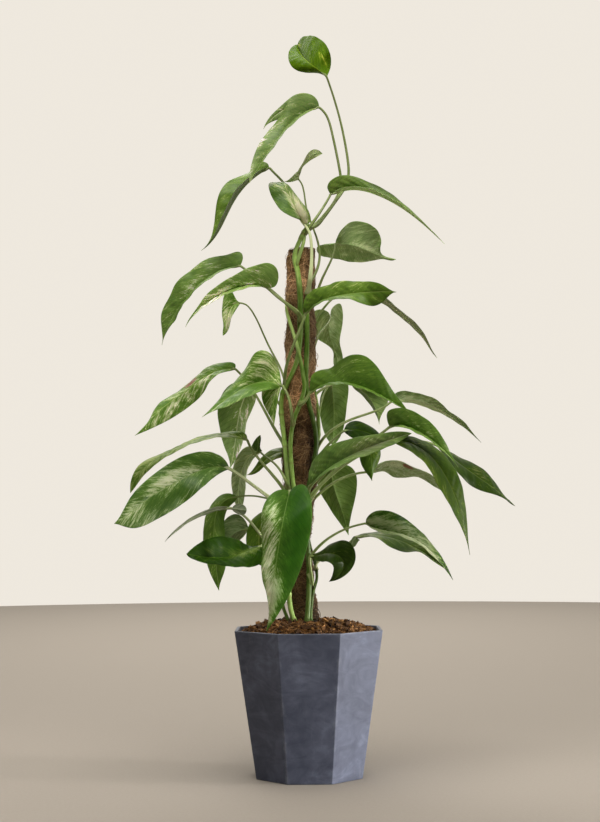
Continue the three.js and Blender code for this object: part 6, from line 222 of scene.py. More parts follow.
   [40.3,-92.9,612.7,31,-73.9,631.1,43.8,-119,604.8],[43.2,-95.6,612.9,34.4,-77.2,631.7,46.9,-121.2,604.2],[46.2,-98.1,613,37.8,-80.5,632.2,49.9,-123.1,603.6],[49.1,-100.6,613.1,41.3,-83.6,632.4,52.9,-124.8,602.8],
   [52,-103,613.1,44.8,-86.7,632.4,55.9,-126.2,601.9],[55,-105.5,613.1,48.3,-89.8,632.2,58.8,-127.4,600.9],[57.9,-107.9,613.1,51.8,-92.8,631.7,61.7,-128.2,599.8],[60.8,-110.4,613,55.3,-95.9,631.1,64.6,-128.6,598.6],
   [63.7,-112.8,612.9,58.8,-99,630.4,67.5,-128.4,597.5],[66.6,-115.2,612.8,62.2,-102.3,629.6,70.5,-127.7,596.5],[69.6,-117.6,612.6,65.6,-105.6,628.8,73.4,-126.7,595.7],[72.5,-120,612.4,69.1,-109.3,627.9,76.5,-125.9,595],
   [75.3,-122.4,612.2,72.4,-113.4,627.2,79.5,-125.6,594.5],[78.2,-124.7,612,75.8,-117.8,626.6,82.6,-126.2,594.3],[81.1,-127.1,611.8,79.1,-122.2,625.8,85.6,-127.5,594.6],[84,-129.4,611.6,82.4,-126.5,624.7,88.5,-129.5,595.3],
   [86.9,-131.8,611.3,85.7,-130.2,623.4,91.1,-131.8,596.3],[89.7,-134.1,611.1,88.9,-133.5,621.9,93.5,-134.1,597.7],[92.6,-136.4,610.8,92,-136.2,620,95.7,-136.4,599.4],[95.4,-138.7,610.4,94.9,-138.5,618,97.7,-138.7,601.3],
   [98.3,-141,610.1,97.8,-140.7,615.7,99.8,-141,603.2],[101.1,-143.3,609.6,100.5,-143,613.4,101.8,-143.3,605],[103.9,-145.5,609.2,103.4,-145.3,611.2,104.1,-145.6,606.5],[106.7,-147.8,608.6,106.4,-147.7,609.3,106.7,-147.8,607.6],
   [109.5,-150,608,109.5,-150,608.3,109.6,-150,607.7]],
   "petiole": [[-1.4,-40.9,596.7,1.7],[-3.5,-41.4,590.7,1.71],[-5.7,-41.6,584.8,1.72],[-8,-41.7,578.9,1.73],[-10.4,-41.7,573.1,1.75],[-12.8,-41.3,567.4,1.77],[-15.2,-40.4,561.7,1.79],[-17.5,-39,556.1,1.82],[-19.7,-37.5,550.4,1.84],[-21.8,-34.8,544.8,1.87],[-23.8,-31.8,539.1,1.9],[-25.5,-29,533.4,1.93],[-26.9,-27,527.5,1.96],[-28,-24.4,521.5,1.99],[-28.7,-21.3,515.6,2.03],[-29,-18.1,509.6,2.06],[-28.8,-15,503.5,2.1]],
   "lobes": [],
   "finish": {"tone": 1.41, "pale": 0.211, "wash": [0.115, 0.06], "cool": [0.868, 0.868], "under": 1.25, "marks": [[.676,-.65,.123,.338,.112], [.409,-.1,.106,.319,.098], [.817,.05,.058,.435,-.1]]}},
  {"name": "leaf_12", "slot": "leaf_deep", "stem": "C",
   "blade": [[62.9,54.1,643.2,62.7,54.5,642.1,63,53.7,644.4],[66.8,55.5,643.5,65.3,56.1,639.1,66.2,54.7,647],[70.7,57,643.6,68.2,58.8,637,69.9,54.6,648.7],[74.7,58.6,643.4,71.6,62.4,635.6,73.8,53.7,649.5],
   [78.6,60.2,643,75.3,66.9,634.8,77.8,52.2,649.4],[82.4,61.9,642.4,79.2,72.1,634.5,81.7,50.2,648.5],[86.2,63.7,641.6,83.2,75.6,634.2,85.6,50.6,647.3],[90,65.6,640.5,87.1,78.9,634,89.3,51.2,645.8],
   [93.7,67.5,639.3,91.1,82.1,633.8,92.9,52,643.9],[97.3,69.4,637.9,95,85.1,633.4,96.4,53.1,641.9],[100.9,71.4,636.4,98.8,87.8,632.6,99.7,54.4,639.7],[104.4,73.5,634.7,102.5,90.3,631.5,103,56,637.4],
   [107.8,75.6,632.9,106.1,92.7,630,106.2,57.7,635],[111.1,77.7,631,109.6,95,628.4,109.4,59.6,632.7],[114.4,79.9,628.9,113,97.2,626.6,112.6,61.6,630.3],[117.6,82,626.8,116.3,99.3,624.6,115.8,63.8,627.9],
   [120.8,84.2,624.6,119.5,101.3,622.6,119,66,625.6],[123.9,86.4,622.4,122.7,103.3,620.4,122.3,68.4,623.3],[127,88.5,620,125.8,105.2,618.2,125.6,70.8,621],[130,90.6,617.7,128.9,107,615.9,128.9,73.2,618.7],
   [133.1,92.7,615.2,131.9,108.8,613.5,132.2,75.7,616.4],[136,94.7,612.8,135,110.4,611.2,135.5,78.2,614.2],[139,96.7,610.2,138,112,608.8,138.9,80.8,611.9],[142,98.6,607.7,141,113.5,606.4,142.3,83.4,609.7],
   [144.9,100.6,605.2,144.1,114.9,604,145.6,86.2,607.4],[147.8,102.6,602.6,147.2,116.4,601.6,148.9,89.1,605],[150.7,104.7,599.9,150.2,117.8,599.1,152.1,92,602.6],[153.5,106.8,597.3,153.2,119.2,596.6,155.3,95,600],
   [156.3,109,594.6,156.1,120.7,594.1,158.3,98.1,597.3],[159.1,111.2,591.8,158.9,122.1,591.4,161.1,101.1,594.5],[161.8,113.4,589,161.7,123.5,588.6,163.7,104.2,591.4],[164.4,115.7,586.1,164.3,124.8,585.8,166.1,107.3,588.3],
   [166.9,118.1,583.2,166.7,126.1,582.7,168.3,110.4,584.9],[169.4,120.4,580.2,169,127.4,579.6,170.3,113.7,581.6],[171.8,122.8,577.1,171.1,128.1,576.3,172.3,117.6,578.2],[174.2,125.3,574,173.2,128.8,573,174.3,121.6,574.8],
   [176.5,127.8,570.9,175.4,129.9,569.8,176.2,125.4,571.3],[178.8,130.3,567.7,177.7,131.4,566.6,178.3,129,567.9],[181.1,132.8,564.6,180.1,133.3,563.6,180.5,132.2,564.6],[183.5,135.4,561.4,182.9,135.5,560.8,183,135.2,561.3],
   [185.9,138,558.3,185.8,138.2,558.1,186,137.8,558.5]],
   "petiole": [[62.9,54.1,643.2,1.3],[57.5,50.6,641.8,1.31],[52.4,47.3,639.8,1.32],[47.4,44.4,637.3,1.34],[42.8,41.7,634.3,1.36],[38.4,39.2,631,1.39],[34.2,37.1,627.3,1.41],[30.4,35.3,623.4,1.44],[26.9,33.7,619.3,1.48],[23.5,32.5,615,1.51],[20.4,31.3,610.7,1.55],[17.4,30,606.2,1.59],[14.6,28.4,601.5,1.62],[11.8,26.6,596.8,1.67],[9.1,23.6,592,1.71],[6.9,20.1,586.8,1.75],[7.2,16.9,581.2,1.8]],
   "lobes": [],
   "finish": {"under": 2.42, "pale": 0.06, "grain": 0.2, "wash": [0.06, 0.253], "cool": [1.043, 1.043], "tone": 1.25, "marks": []}},
  {"name": "leaf_13", "slot": "leaf_pale", "stem": "C",
   "blade": [[34.3,73.8,610.4,33.2,73.9,610,35.4,73.6,610.7],[33.6,75.6,608.9,31.8,76,614.6,34.2,75.6,615.4],[33,77.5,607.4,29.6,78.1,617.1,34.6,77.4,618.6],[32.5,79.3,605.9,27,80.1,619,35.8,79.2,621.5],
   [32,81.1,604.3,24.1,81.8,620.3,37.6,81,624.1],[31.7,82.8,602.7,21.1,83.2,621,39.8,82.7,626.3],[31.4,84.4,601.1,18,84.5,621.1,42.3,84.4,628.2],[31.3,86,599.4,14.9,86,620.7,45.1,86,629.4],
   [31.2,87.5,597.8,12.1,87.5,619.7,47.9,87.5,629.3],[31.3,88.9,596.1,9.5,88.9,618.2,49.7,88.9,627.2],[31.4,90.3,594.4,7.4,90.3,616.1,50.5,90.3,624.6],[31.5,91.5,592.7,5.9,91.5,613.5,50.8,91.5,621.8],
   [31.8,92.7,591,4.9,92.7,610.7,51,92.7,619.1],[32.1,93.8,589.2,4.5,93.8,607.7,51,93.8,616.3],[32.5,94.8,587.5,4.4,94.8,604.7,51,94.8,613.5],[32.9,95.7,585.8,4.7,95.7,601.7,51,95.7,610.7],
   [33.4,96.5,584.1,5.3,96.5,598.7,51,96.5,607.8],[33.9,97.3,582.4,6.2,97.3,595.8,50.9,97.3,605],[34.4,97.9,580.6,7.3,97.9,592.9,50.7,97.9,602.1],[35,98.5,578.9,8.7,98.5,590.1,50.4,98.4,599.3],
   [35.6,99,577.2,10.3,99,587.5,49.9,98.4,596.4],[36.2,99.5,575.5,12.3,99.5,585.1,49.3,98,593.4],[36.8,99.9,573.7,14.5,100,582.9,48.6,97,590.4],[37.5,100.4,572,16.9,100.7,581,48,95.7,587.4],
   [38.1,100.8,570.3,19.5,101.8,579.3,47.3,94.4,584.3],[38.7,101.3,568.6,22.2,103.2,577.8,46.9,93.3,581.3],[39.4,101.7,566.8,24.9,104.9,576.4,46.6,92.7,578.3],[40,102.1,565.1,27.6,106.6,574.9,46.5,92.8,575.4],
   [40.6,102.5,563.4,30.2,108.2,573.3,46.9,93.4,572.5],[41.1,102.8,561.6,32.7,109.4,571.5,47.5,94.4,569.8],[41.7,103.2,559.8,35,110.1,569.4,48.4,95.7,567.2],[42.2,103.5,558.1,36.8,110.2,566.8,49.3,97.5,564.5],
   [42.6,103.8,556.3,38,109.8,563.8,50,99.3,561.9],[43.1,104.1,554.5,38.4,109,560.6,50.7,101.1,559.2],[43.4,104.3,552.6,38.2,107.6,557.3,51,102.8,556.5],[43.7,104.5,550.8,37.9,106.3,554,51.1,103.9,553.7],
   [44,104.7,549,37.7,105.4,550.7,50.7,104.5,550.8],[44.2,104.8,547.1,37.9,105,547.6,49.8,104.8,548.1],[44.3,104.9,545.2,38.9,105,544.6,48.4,104.9,545.5],[44.3,105,543.3,41.2,105,542.5,46.5,105,543.3],
   [44.2,105,541.5,43.9,105,541.4,44.5,105,541.5]],
   "petiole": [[34.3,73.8,610.4,1.3],[33.4,66.9,605.2,1.31],[31.5,60.4,600.5,1.32],[29,54.4,596.2,1.34],[26.1,49,592.2,1.36],[23.3,44.3,588.5,1.39],[20.6,40.3,584.6,1.41],[18.2,37,580.8,1.44],[16,34.3,576.8,1.48],[14.2,32,572.8,1.51],[12.7,29.9,568.6,1.55],[11.4,28,564.4,1.59],[10.4,26.2,560.2,1.62],[9.4,24.3,555.9,1.67],[8.5,22,551.6,1.71],[7.4,19.7,547.3,1.75],[6.1,17.6,543.2,1.8]],
   "lobes": [],
   "finish": {"under": 1.725, "pale": 0.34, "wash": [-0.063, -0.063], "cool": [1.028, 1.028], "tone": 1.25, "marks": [[.315,-.35,.132,.211,.25], [.234,.35,.177,.157,.2]]}},
  {"name": "leaf_14", "slot": "leaf_variegated", "stem": "A",
   "blade": [[-96.5,33.2,533.5,-97,32.9,532.5,-96,33.6,534.5],[-100.7,34.4,533.8,-101.2,33.3,531.2,-95.8,34.7,539.5],[-104.9,35.5,533.9,-105.2,32.3,530.4,-99.4,36.7,542.5],[-109.1,36.6,533.6,-109.2,30.3,529.4,-104,39.5,543.6],
   [-113.3,37.7,533,-113,27.6,528.1,-108.7,43.3,544],[-117.3,38.7,532.2,-116.7,24.5,526.5,-113.5,47.9,544.1],[-121.4,39.6,531,-120.4,24.3,524.7,-118.2,50.8,543.7],[-125.3,40.5,529.7,-123.8,24.5,522.4,-122.8,53.2,543],
   [-129.2,41.4,528.1,-126.9,25.1,519.7,-127.3,55.1,541.8],[-132.9,42.1,526.3,-129.4,26.1,516.5,-131.6,56.8,540.3],[-136.6,42.9,524.3,-131.7,27.4,513.1,-135.8,58.3,538.4],[-140.2,43.5,522.3,-133.7,29.2,509.7,-139.8,59.6,536],
   [-143.8,44.1,520.1,-135.8,31.3,506.2,-143.6,60.8,533.4],[-147.3,44.6,517.8,-138.1,33.8,502.9,-147.2,61.8,530.6],[-150.7,45.1,515.4,-140.7,36.5,499.8,-150.6,62.7,527.6],[-154.1,45.5,513,-143.6,39.3,496.9,-154,63.4,524.5],
   [-157.4,45.8,510.5,-146.7,41.8,494.2,-157.4,63.9,521.4],[-160.8,46,508,-149.9,43.8,491.6,-160.8,64.2,518.3],[-164.1,46.2,505.5,-153.1,45.2,489,-164.2,64.4,515.2],[-167.4,46.3,503,-156.4,46,486.4,-167.8,64.3,512.3],
   [-170.8,46.4,500.5,-159.6,46.3,483.8,-171.5,64.1,509.6],[-174.1,46.3,498.1,-163,46.3,481.3,-175.3,63.6,507],[-177.5,46.2,495.6,-166.3,46.2,478.9,-179.2,62.9,504.6],[-180.9,46,493.2,-169.7,46,476.6,-183.1,62,502.2],
   [-184.3,45.8,490.8,-173.2,45.8,474.3,-186.9,60.9,499.8],[-187.6,45.5,488.3,-176.6,45.5,472.1,-190.7,59.7,497.3],[-190.9,45.1,485.8,-180.1,45.1,469.9,-194.4,58.3,494.6],[-194.2,44.6,483.2,-183.7,44.6,467.8,-198,57,491.8],
   [-197.3,44.1,480.6,-187.2,44.1,465.7,-201.3,55.6,488.7],[-200.4,43.5,477.8,-190.8,43.5,463.8,-204.3,54.2,485.2],[-203.3,42.9,474.9,-194.4,42.9,461.8,-206.9,52.8,481.5],[-206.2,42.1,471.9,-198.1,42.1,459.9,-209,51.4,477.4],
   [-209,41.4,468.8,-201.7,41.4,458.1,-210.7,49.9,473.1],[-211.7,40.5,465.7,-205.3,40.5,456.3,-212.3,48.1,468.8],[-214.4,39.6,462.6,-209,39.6,454.5,-213.8,45.5,464.4],[-217.1,38.7,459.5,-212.7,38.7,452.8,-215.6,42.6,460.2],
   [-219.7,37.7,456.4,-216.3,37.7,451.1,-217.8,40.1,456.3],[-222.5,36.6,453.3,-220,36.6,449.4,-220.7,37.9,452.8],[-225.3,35.5,450.3,-223.7,35.5,447.8,-223.9,36.1,449.8],[-228.1,34.4,447.4,-227.4,34.4,446.2,-227.4,34.6,447.1],
   [-231.1,33.2,444.6,-231,33.2,444.3,-231.1,33.3,444.9]],
   "petiole": [[-96.5,33.2,533.5,1.5],[-90.7,32.2,528.2,1.51],[-85.4,30.8,522.4,1.53],[-80.5,29.2,516.2,1.55],[-75.9,27.4,509.8,1.58],[-71.7,25.4,503.1,1.6],[-67.7,23.4,496.3,1.64],[-63.9,21.3,489.4,1.67],[-60.1,19.1,482.5,1.71],[-56.4,16.6,475.6,1.75],[-52.8,14.1,468.6,1.8],[-49.1,11.2,461.7,1.84],[-45.4,8.2,454.8,1.89],[-41.6,3.4,447.9,1.94],[-37.7,-2.8,441,1.99],[-33.6,-10.1,434.1,2.04],[-29.4,-18.3,427.4,2.1]],
   "lobes": [],
   "finish": {"tone": 1.702, "pale": 0.34, "wash": [0.15, 0.06], "cool": [0.931, 0.931], "under": 1.25, "marks": [[.354,.55,.092,.517,.15], [.279,-.35,.067,.433,.15], [.453,-.75,.04,.552,.16], [.651,-.35,.145,.566,.1], [.103,.4,.065,.589,-.1], [.8,-.7,.066,.419,.2]], "spots": [[.404,.5,.069,.382,1]]}},
  {"name": "leaf_15", "slot": "leaf_variegated", "stem": "D",
   "blade": [[-32.5,-30,504.3,-32.8,-30.7,503.4,-32.2,-29.3,505.2],[-35.2,-31.3,505.5,-36.5,-33,501,-33.7,-29.1,510.3],[-37.9,-32.7,506.5,-39.1,-37.6,500.1,-34.3,-26.4,514.9],[-40.6,-34.1,507.3,-41.8,-43.8,499.1,-34.9,-22.3,519.7],
   [-43.5,-35.5,508,-44.3,-51.4,498,-35.7,-17.7,524.5],[-46.3,-37,508.4,-46.8,-59.7,496.9,-36.8,-13.5,529.3],[-49.2,-38.5,508.7,-49.4,-63.2,496.1,-38,-15.3,533.4],[-52.1,-39.8,508.8,-52,-66.1,495.4,-39.7,-18.5,537.1],
   [-55,-40.8,508.7,-54.6,-68.3,494.7,-41.7,-22.7,540.6],[-58,-41.7,508.5,-57.2,-70.1,493.9,-44,-27.9,543.7],[-60.9,-42.7,508.1,-59.8,-71.7,493.1,-46.9,-33.3,546.3],[-63.7,-43.7,507.5,-62.3,-73,492.3,-50.3,-38.3,548.3],
   [-66.6,-44.7,506.8,-64.9,-74.2,491.4,-54.2,-42.2,549.5],[-69.4,-45.6,505.9,-67.4,-75.2,490.4,-58.5,-44.6,549.6],[-72.1,-46.5,504.9,-69.8,-75.9,489.3,-62.7,-45.3,548.7],[-74.8,-47.3,503.8,-72.3,-76.5,488.1,-66.5,-44.4,546.7],
   [-77.5,-48.1,502.6,-74.7,-77,487,-69.6,-42.2,543.7],[-80.1,-48.9,501.3,-77.1,-77.4,485.8,-72,-39.2,540.4],[-82.7,-49.6,499.9,-79.5,-77.8,484.5,-74.2,-35.9,536.9],[-85.3,-50.4,498.4,-81.8,-78.1,483.3,-76.5,-32.9,533.5],
   [-87.7,-51.1,496.9,-84.2,-78.3,482.1,-78.9,-30.7,530],[-90.2,-52,495.2,-86.6,-78.7,480.9,-81.4,-29.6,526.4],[-92.6,-52.9,493.6,-89,-78.9,479.7,-84,-29.4,522.9],[-95,-53.8,491.9,-91.5,-79,478.6,-86.7,-29.8,519.4],
   [-97.3,-54.7,490.1,-93.9,-79.1,477.5,-89.5,-30.6,516],[-99.6,-55.6,488.3,-96.4,-79,476.6,-92.3,-31.8,512.5],[-102,-56.4,486.5,-98.9,-78.9,475.6,-95.1,-33.2,509.1],[-104.2,-57.4,484.7,-101.5,-78.8,474.7,-97.9,-34.9,505.7],
   [-106.5,-58.3,482.8,-104,-78.6,473.8,-100.8,-36.8,502.3],[-108.7,-59.3,481,-106.5,-78.4,472.9,-103.6,-38.9,498.8],[-111,-60.3,479.1,-109.1,-78,472,-106.3,-41.2,495.4],[-113.2,-61.2,477.3,-111.6,-77.5,471.2,-109,-43.6,491.9],
   [-115.5,-62.2,475.4,-114.2,-76.8,470.3,-111.7,-46.3,488.3],[-117.7,-63.1,473.6,-116.7,-76,469.4,-114.4,-49.1,484.8],[-120,-64,471.8,-119.4,-74.1,468.6,-117,-53.3,481.2],[-122.3,-65,470,-122,-72,467.7,-119.6,-57.6,477.6],
   [-124.6,-66,468.2,-124.5,-70.4,466.7,-122.2,-61.4,474.2],[-126.9,-66.9,466.5,-127,-69.4,465.6,-125,-64.4,470.8],[-129.2,-67.8,464.8,-129.4,-68.9,464.4,-127.9,-66.7,467.6],[-131.6,-68.7,463.2,-131.8,-69.1,463.1,-130.9,-68.4,464.6],
   [-134,-69.6,461.7,-134.2,-69.8,461.5,-133.9,-69.4,461.9]],
   "petiole": [[-32.5,-30,504.3,1.7],[-30.4,-30.9,501.7,1.71],[-28.6,-31.7,498.9,1.72],[-27,-32.5,495.9,1.74],[-25.6,-33.4,492.9,1.76],[-24.5,-34.3,489.7,1.79],[-23.5,-35.4,486.5,1.81],[-22.7,-36.6,483.2,1.84],[-22,-37.4,479.9,1.88],[-21.5,-38.1,476.6,1.91],[-21,-38.5,473.4,1.95],[-20.6,-38.5,470.1,1.99],[-20.2,-37.8,466.9,2.02],[-19.8,-36.7,463.8,2.07],[-19.4,-33.6,460.7,2.11],[-19,-29.7,457.8,2.15],[-18.5,-25.9,454.8,2.2]],
   "lobes": [[[-35.1,-33.5,503.3,-33.8,-33.5,501.4,-58.5,-33.5,497.6],[-37.6,-34.3,499.7,-35,-34.3,497.4,-59,-34.3,493.6],[-39.6,-35,495.9,-36.1,-35,493.4,-58.9,-35,489.5],[-41.3,-35.8,491.8,-37,-35.8,489.3,-58.2,-35.8,485.5],[-42.5,-36.6,487.5,-37.7,-36.6,485.3,-57.1,-36.6,481.6],[-43.3,-37.4,483.2,-38.4,-37.4,481.2,-55.6,-37.4,477.9],[-43.8,-38.2,478.9,-39.1,-38.2,477.1,-53.8,-38.2,474.2],[-44,-39,474.5,-39.6,-39,473,-52,-39,470.6],[-44,-39.8,470.1,-40.2,-39.8,468.9,-50,-39.8,467.1],[-43.9,-40.7,465.7,-40.8,-40.7,464.8,-48,-40.7,463.6],[-43.6,-41.5,461.3,-41.4,-41.5,460.7,-46.2,-41.5,460],[-43.3,-42.3,457,-42.1,-42.3,456.7,-44.4,-42.3,456.4],[-42.9,-43.2,452.6,-42.6,-43.2,452.7,-43.2,-43.2,452.6]]],
   "finish": {"tone": 1.534, "pale": 0.36, "lobe_pale": 0.44, "wash": [0.109, 0.06], "cool": [0.85, 0.85], "under": 1.25, "marks": [[.308,.65,.089,.235,.14], [.157,.6,.122,.365,.18], [.333,.25,.08,.173,.1], [.505,-.45,.27,.405,-.2], [.157,-.75,.145,.496,-.15]]}},
  {"name": "leaf_16", "slot": "leaf_deep", "stem": "C",
   "blade": [[-80.1,59.5,506,-79.1,59.5,505.3,-81,59.5,506.7],[-81.5,60.4,503.7,-75.8,60.7,505.6,-83.3,61,510.7],[-82.8,61.1,501.4,-73.1,62.1,504.7,-85.8,62.6,513.7],[-84,61.8,499,-70.9,63.8,502.9,-88.8,63.8,516.1],
   [-85.2,62.4,496.6,-69.8,65.9,500.4,-92.2,64.3,517.7],[-86.3,62.9,494.1,-69.6,68.8,497.7,-95.9,64.3,518.2],[-87.3,63.3,491.6,-70.1,71.1,494.9,-99.6,63.9,517.5],[-88.2,63.7,489.1,-70.9,73.6,492.2,-103,63.8,516],
   [-89.1,64.1,486.5,-71.9,76.1,489.6,-106.1,64.1,514],[-89.9,64.5,484,-73.1,78.1,487,-108.8,64.5,511.5],[-90.7,64.7,481.4,-74.4,79.8,484.4,-111.3,64.7,508.7],[-91.4,65,478.7,-75.6,81.2,481.8,-113.6,65,505.7],
   [-92,65.2,476.1,-76.9,82.3,479.2,-115.5,65.2,502.5],[-92.6,65.3,473.4,-78.2,83.1,476.5,-117.2,65.3,499.2],[-93.2,65.4,470.8,-79.3,83.7,473.8,-118.6,65.4,495.7],[-93.7,65.5,468.1,-80.4,84.2,471,-119.8,65.5,492.2],
   [-94.1,65.6,465.4,-81.3,84.4,468.2,-120.7,65.6,488.6],[-94.6,65.6,462.8,-82.2,84.5,465.4,-121.4,65.6,484.9],[-95,65.6,460.1,-83,84.4,462.5,-121.9,65.6,481.2],[-95.4,65.6,457.4,-83.7,84.3,459.6,-122.1,65.6,477.4],
   [-95.7,65.6,454.7,-84.3,84,456.6,-122,65.6,473.7],[-96.1,65.5,452,-84.9,83.5,453.7,-121.6,65.5,470],[-96.4,65.4,449.3,-85.5,82.9,450.7,-121,65.4,466.3],[-96.7,65,446.5,-86.1,82,447.8,-120.4,65,462.6],
   [-97.1,64.6,443.8,-86.8,80.8,444.8,-119.7,64.6,458.8],[-97.4,64,441.1,-87.4,79.5,441.8,-119,64,455.1],[-97.7,63.4,438.4,-88.1,78.1,438.9,-118.3,63.4,451.4],[-98,62.6,435.6,-88.8,76.4,435.9,-117.6,62.6,447.7],
   [-98.3,61.8,432.9,-89.6,74.7,433,-116.7,61.8,444],[-98.6,60.9,430.2,-90.4,72.7,430.1,-115.8,60.9,440.3],[-99,59.8,427.4,-91.3,70.6,427.2,-114.7,59.8,436.7],[-99.3,58.7,424.7,-92.2,68.4,424.3,-113.5,58.7,433.1],
   [-99.7,57.6,422,-93.2,66.1,421.5,-112.2,57.6,429.5],[-100.2,56.3,419.3,-94.2,63.6,418.6,-110.8,56.3,426],[-100.6,55,416.6,-95.3,60.4,415.8,-109.3,55.1,422.5],[-101.1,53.7,413.9,-96.5,57.2,413.1,-107.9,53.8,419],
   [-101.6,52.3,411.2,-97.9,54.3,410.4,-106.7,52.4,415.4],[-102.2,50.8,408.5,-99.3,51.9,407.8,-105.6,51,411.8],[-102.8,49.4,405.9,-100.8,49.8,405.3,-104.8,49.5,408.1],[-103.5,47.9,403.2,-102.5,48,402.9,-104.3,47.9,404.4],
   [-104.2,46.4,400.6,-104,46.4,400.5,-104.5,46.3,400.8]],
   "petiole": [[-80,59.5,506,1.5],[-73.9,55.9,510.7,1.51],[-66,52.5,511.6,1.53],[-58.3,49.6,509.2,1.55],[-51.7,47.2,504.5,1.58],[-46,45,498.8,1.6],[-41.1,44,492.4,1.64],[-36.8,43.7,485.8,1.67],[-32.8,43.7,478.9,1.71],[-28.9,45,472.1,1.75],[-24.8,46.5,465.4,1.8],[-20.1,46.7,459.1,1.84],[-14.5,44.4,453.3,1.89],[-7.9,41.4,448.7,1.94],[-.7,30.9,445.2,1.99],[6.9,19.3,443.1,2.04],[14.6,9.8,442.2,2.1]],
   "lobes": [],
   "finish": {"tone": 2.938, "pale": 0.22, "wash": [0.458, 0.06], "cool": [1.558, 1.08], "under": 1.25, "marks": [[.387,-.6,.299,.504,.12], [.81,-.6,.128,1.275,.1], [.338,.9,.182,.309,-.12]]}},
  {"name": "leaf_17", "slot": "leaf_pale", "stem": "A",
   "blade": [[-78.4,-27.6,434.3,-78.9,-28.2,433.4,-78,-27,435.3],[-82.5,-29,436.2,-82.5,-30.1,433.6,-78.9,-28.4,440.6],[-86.7,-30.5,437.8,-86.6,-33.7,434.7,-82.5,-28.2,443.8],[-91,-32,439,-90.7,-38.4,435.5,-87.1,-27,445.3],
   [-95.4,-33.5,439.9,-94.8,-44,436,-92.1,-24.7,445.9],[-99.8,-35,440.5,-98.8,-50.1,436.2,-97.1,-21.8,446],[-104.3,-36.5,440.7,-103,-53.2,436.4,-102,-21.5,445.7],[-108.8,-38,440.7,-107.3,-55.8,436.3,-106.8,-21.6,445.1],
   [-113.2,-39.4,440.4,-111.5,-58.2,436.1,-111.6,-22,444.4],[-117.7,-40.8,439.9,-115.7,-60.4,435.6,-116.4,-22.6,443.6],[-122.1,-42.2,439.2,-120,-62.2,435,-121.2,-23.5,442.7],[-126.4,-43.5,438.2,-124.1,-63.9,434.2,-125.9,-24.4,441.7],
   [-130.8,-44.7,437.1,-128.3,-65.4,433.2,-130.6,-25.3,440.8],[-135.1,-45.9,435.9,-132.4,-66.6,432.1,-135.4,-26.3,439.8],[-139.3,-46.9,434.6,-136.5,-67.6,430.9,-140,-27.3,438.7],[-143.6,-47.8,433.2,-140.6,-68.4,429.5,-144.7,-28.2,437.4],
   [-147.8,-48.6,431.7,-144.7,-69,428,-149.2,-29.1,435.8],[-152,-49.2,430.1,-148.7,-69.4,426.5,-153.6,-29.9,433.8],[-156.1,-49.6,428.4,-152.7,-69.6,424.8,-157.9,-30.5,431.6],[-160.3,-49.9,426.7,-156.6,-69.5,423.1,-162.1,-31,429.2],
   [-164.4,-50,424.9,-160.6,-69.2,421.2,-166.3,-31.4,426.9],[-168.5,-50,423.1,-164.5,-68.7,419.4,-170.6,-31.8,424.7],[-172.6,-50,421.2,-168.4,-68.1,417.4,-174.9,-32.3,422.6],[-176.7,-50,419.2,-172.3,-67.4,415.4,-179.3,-32.9,420.7],
   [-180.7,-50,417.2,-176.1,-66.5,413.3,-183.8,-33.6,418.9],[-184.7,-50,415.2,-179.9,-65.6,411.1,-188.2,-34.4,417.2],[-188.7,-50,413,-183.7,-64.7,408.8,-192.7,-35.4,415.6],[-192.5,-50,410.7,-187.4,-63.6,406.5,-197.1,-36.6,413.9],
   [-196.4,-50,408.3,-191,-62.4,404,-201.5,-37.9,412.1],[-200.1,-50,405.8,-194.6,-61.1,401.4,-205.7,-39.4,410],[-203.6,-50,403.1,-198.1,-59.7,398.7,-209.8,-41.1,407.7],[-207.1,-50,400.2,-201.5,-58.1,395.9,-213.5,-43,404.9],
   [-210.4,-50,397.1,-204.8,-56.4,393,-216.9,-44.9,401.6],[-213.4,-50,393.8,-208,-54.6,389.9,-219.8,-46.7,397.9],[-216.3,-50,390.4,-211.1,-52.7,386.7,-222.2,-48.3,393.8],[-218.9,-50,386.7,-213.9,-51.3,383.3,-224.2,-49.3,389.5],
   [-221.2,-50,382.9,-216.6,-50.5,379.8,-225.7,-49.8,385],[-223.2,-50,378.8,-219.1,-50.1,376.2,-226.9,-50,380.3],[-224.9,-50,374.7,-221.7,-50,372.7,-227.5,-50,375.6],[-226.2,-50,370.4,-224.3,-50,369.3,-227.6,-50,370.8],
   [-227.2,-50,366,-227,-50,365.9,-227.5,-50,366.2]],
   "petiole": [[-78.4,-27.6,434.3,1.6],[-76,-27.3,429,1.61],[-73.2,-26.9,423.9,1.63],[-70,-26.6,419,1.65],[-66.7,-26.3,414.2,1.68],[-63.1,-26,409.6,1.7],[-59.4,-25.7,405.1,1.74],[-55.7,-25.3,400.6,1.77],[-51.9,-25,396.1,1.81],[-48.1,-24.7,391.7,1.85],[-44.4,-24.4,387.2,1.9],[-40.7,-24.1,382.7,1.94],[-37.1,-23.8,378.1,1.99],[-33.7,-23.2,373.3,2.04],[-30.6,-22.4,368.4,2.09],[-27.8,-21.5,363.3,2.14],[-25.5,-20.5,358,2.2]],
   "lobes": [],
   # painted light: this blade's shading patch lightens it near the stalk
   "finish": {"tone": 0.708, "pale": 0.5, "grain": 0.6, "wash": [-0.098, -0.098], "cool": [0.67, 0.85], "under": 0.983, "marks": [], "shades": [[.078,-.3,.119,3,.7]]}},
  {"name": "leaf_18", "slot": "leaf_variegated", "stem": "A",
   "blade": [[-100.8,-50,396.6,-101.1,-50.6,395.6,-100.6,-49.4,397.7],[-104.7,-53.7,397.7,-105.2,-55.3,393.7,-102.4,-52.4,402.4],[-108.6,-57.6,398.3,-108.6,-62.2,391.7,-104.9,-53.9,406.5],[-112.5,-61.5,398.5,-111.9,-70.4,389.4,-108.1,-54.6,410.1],
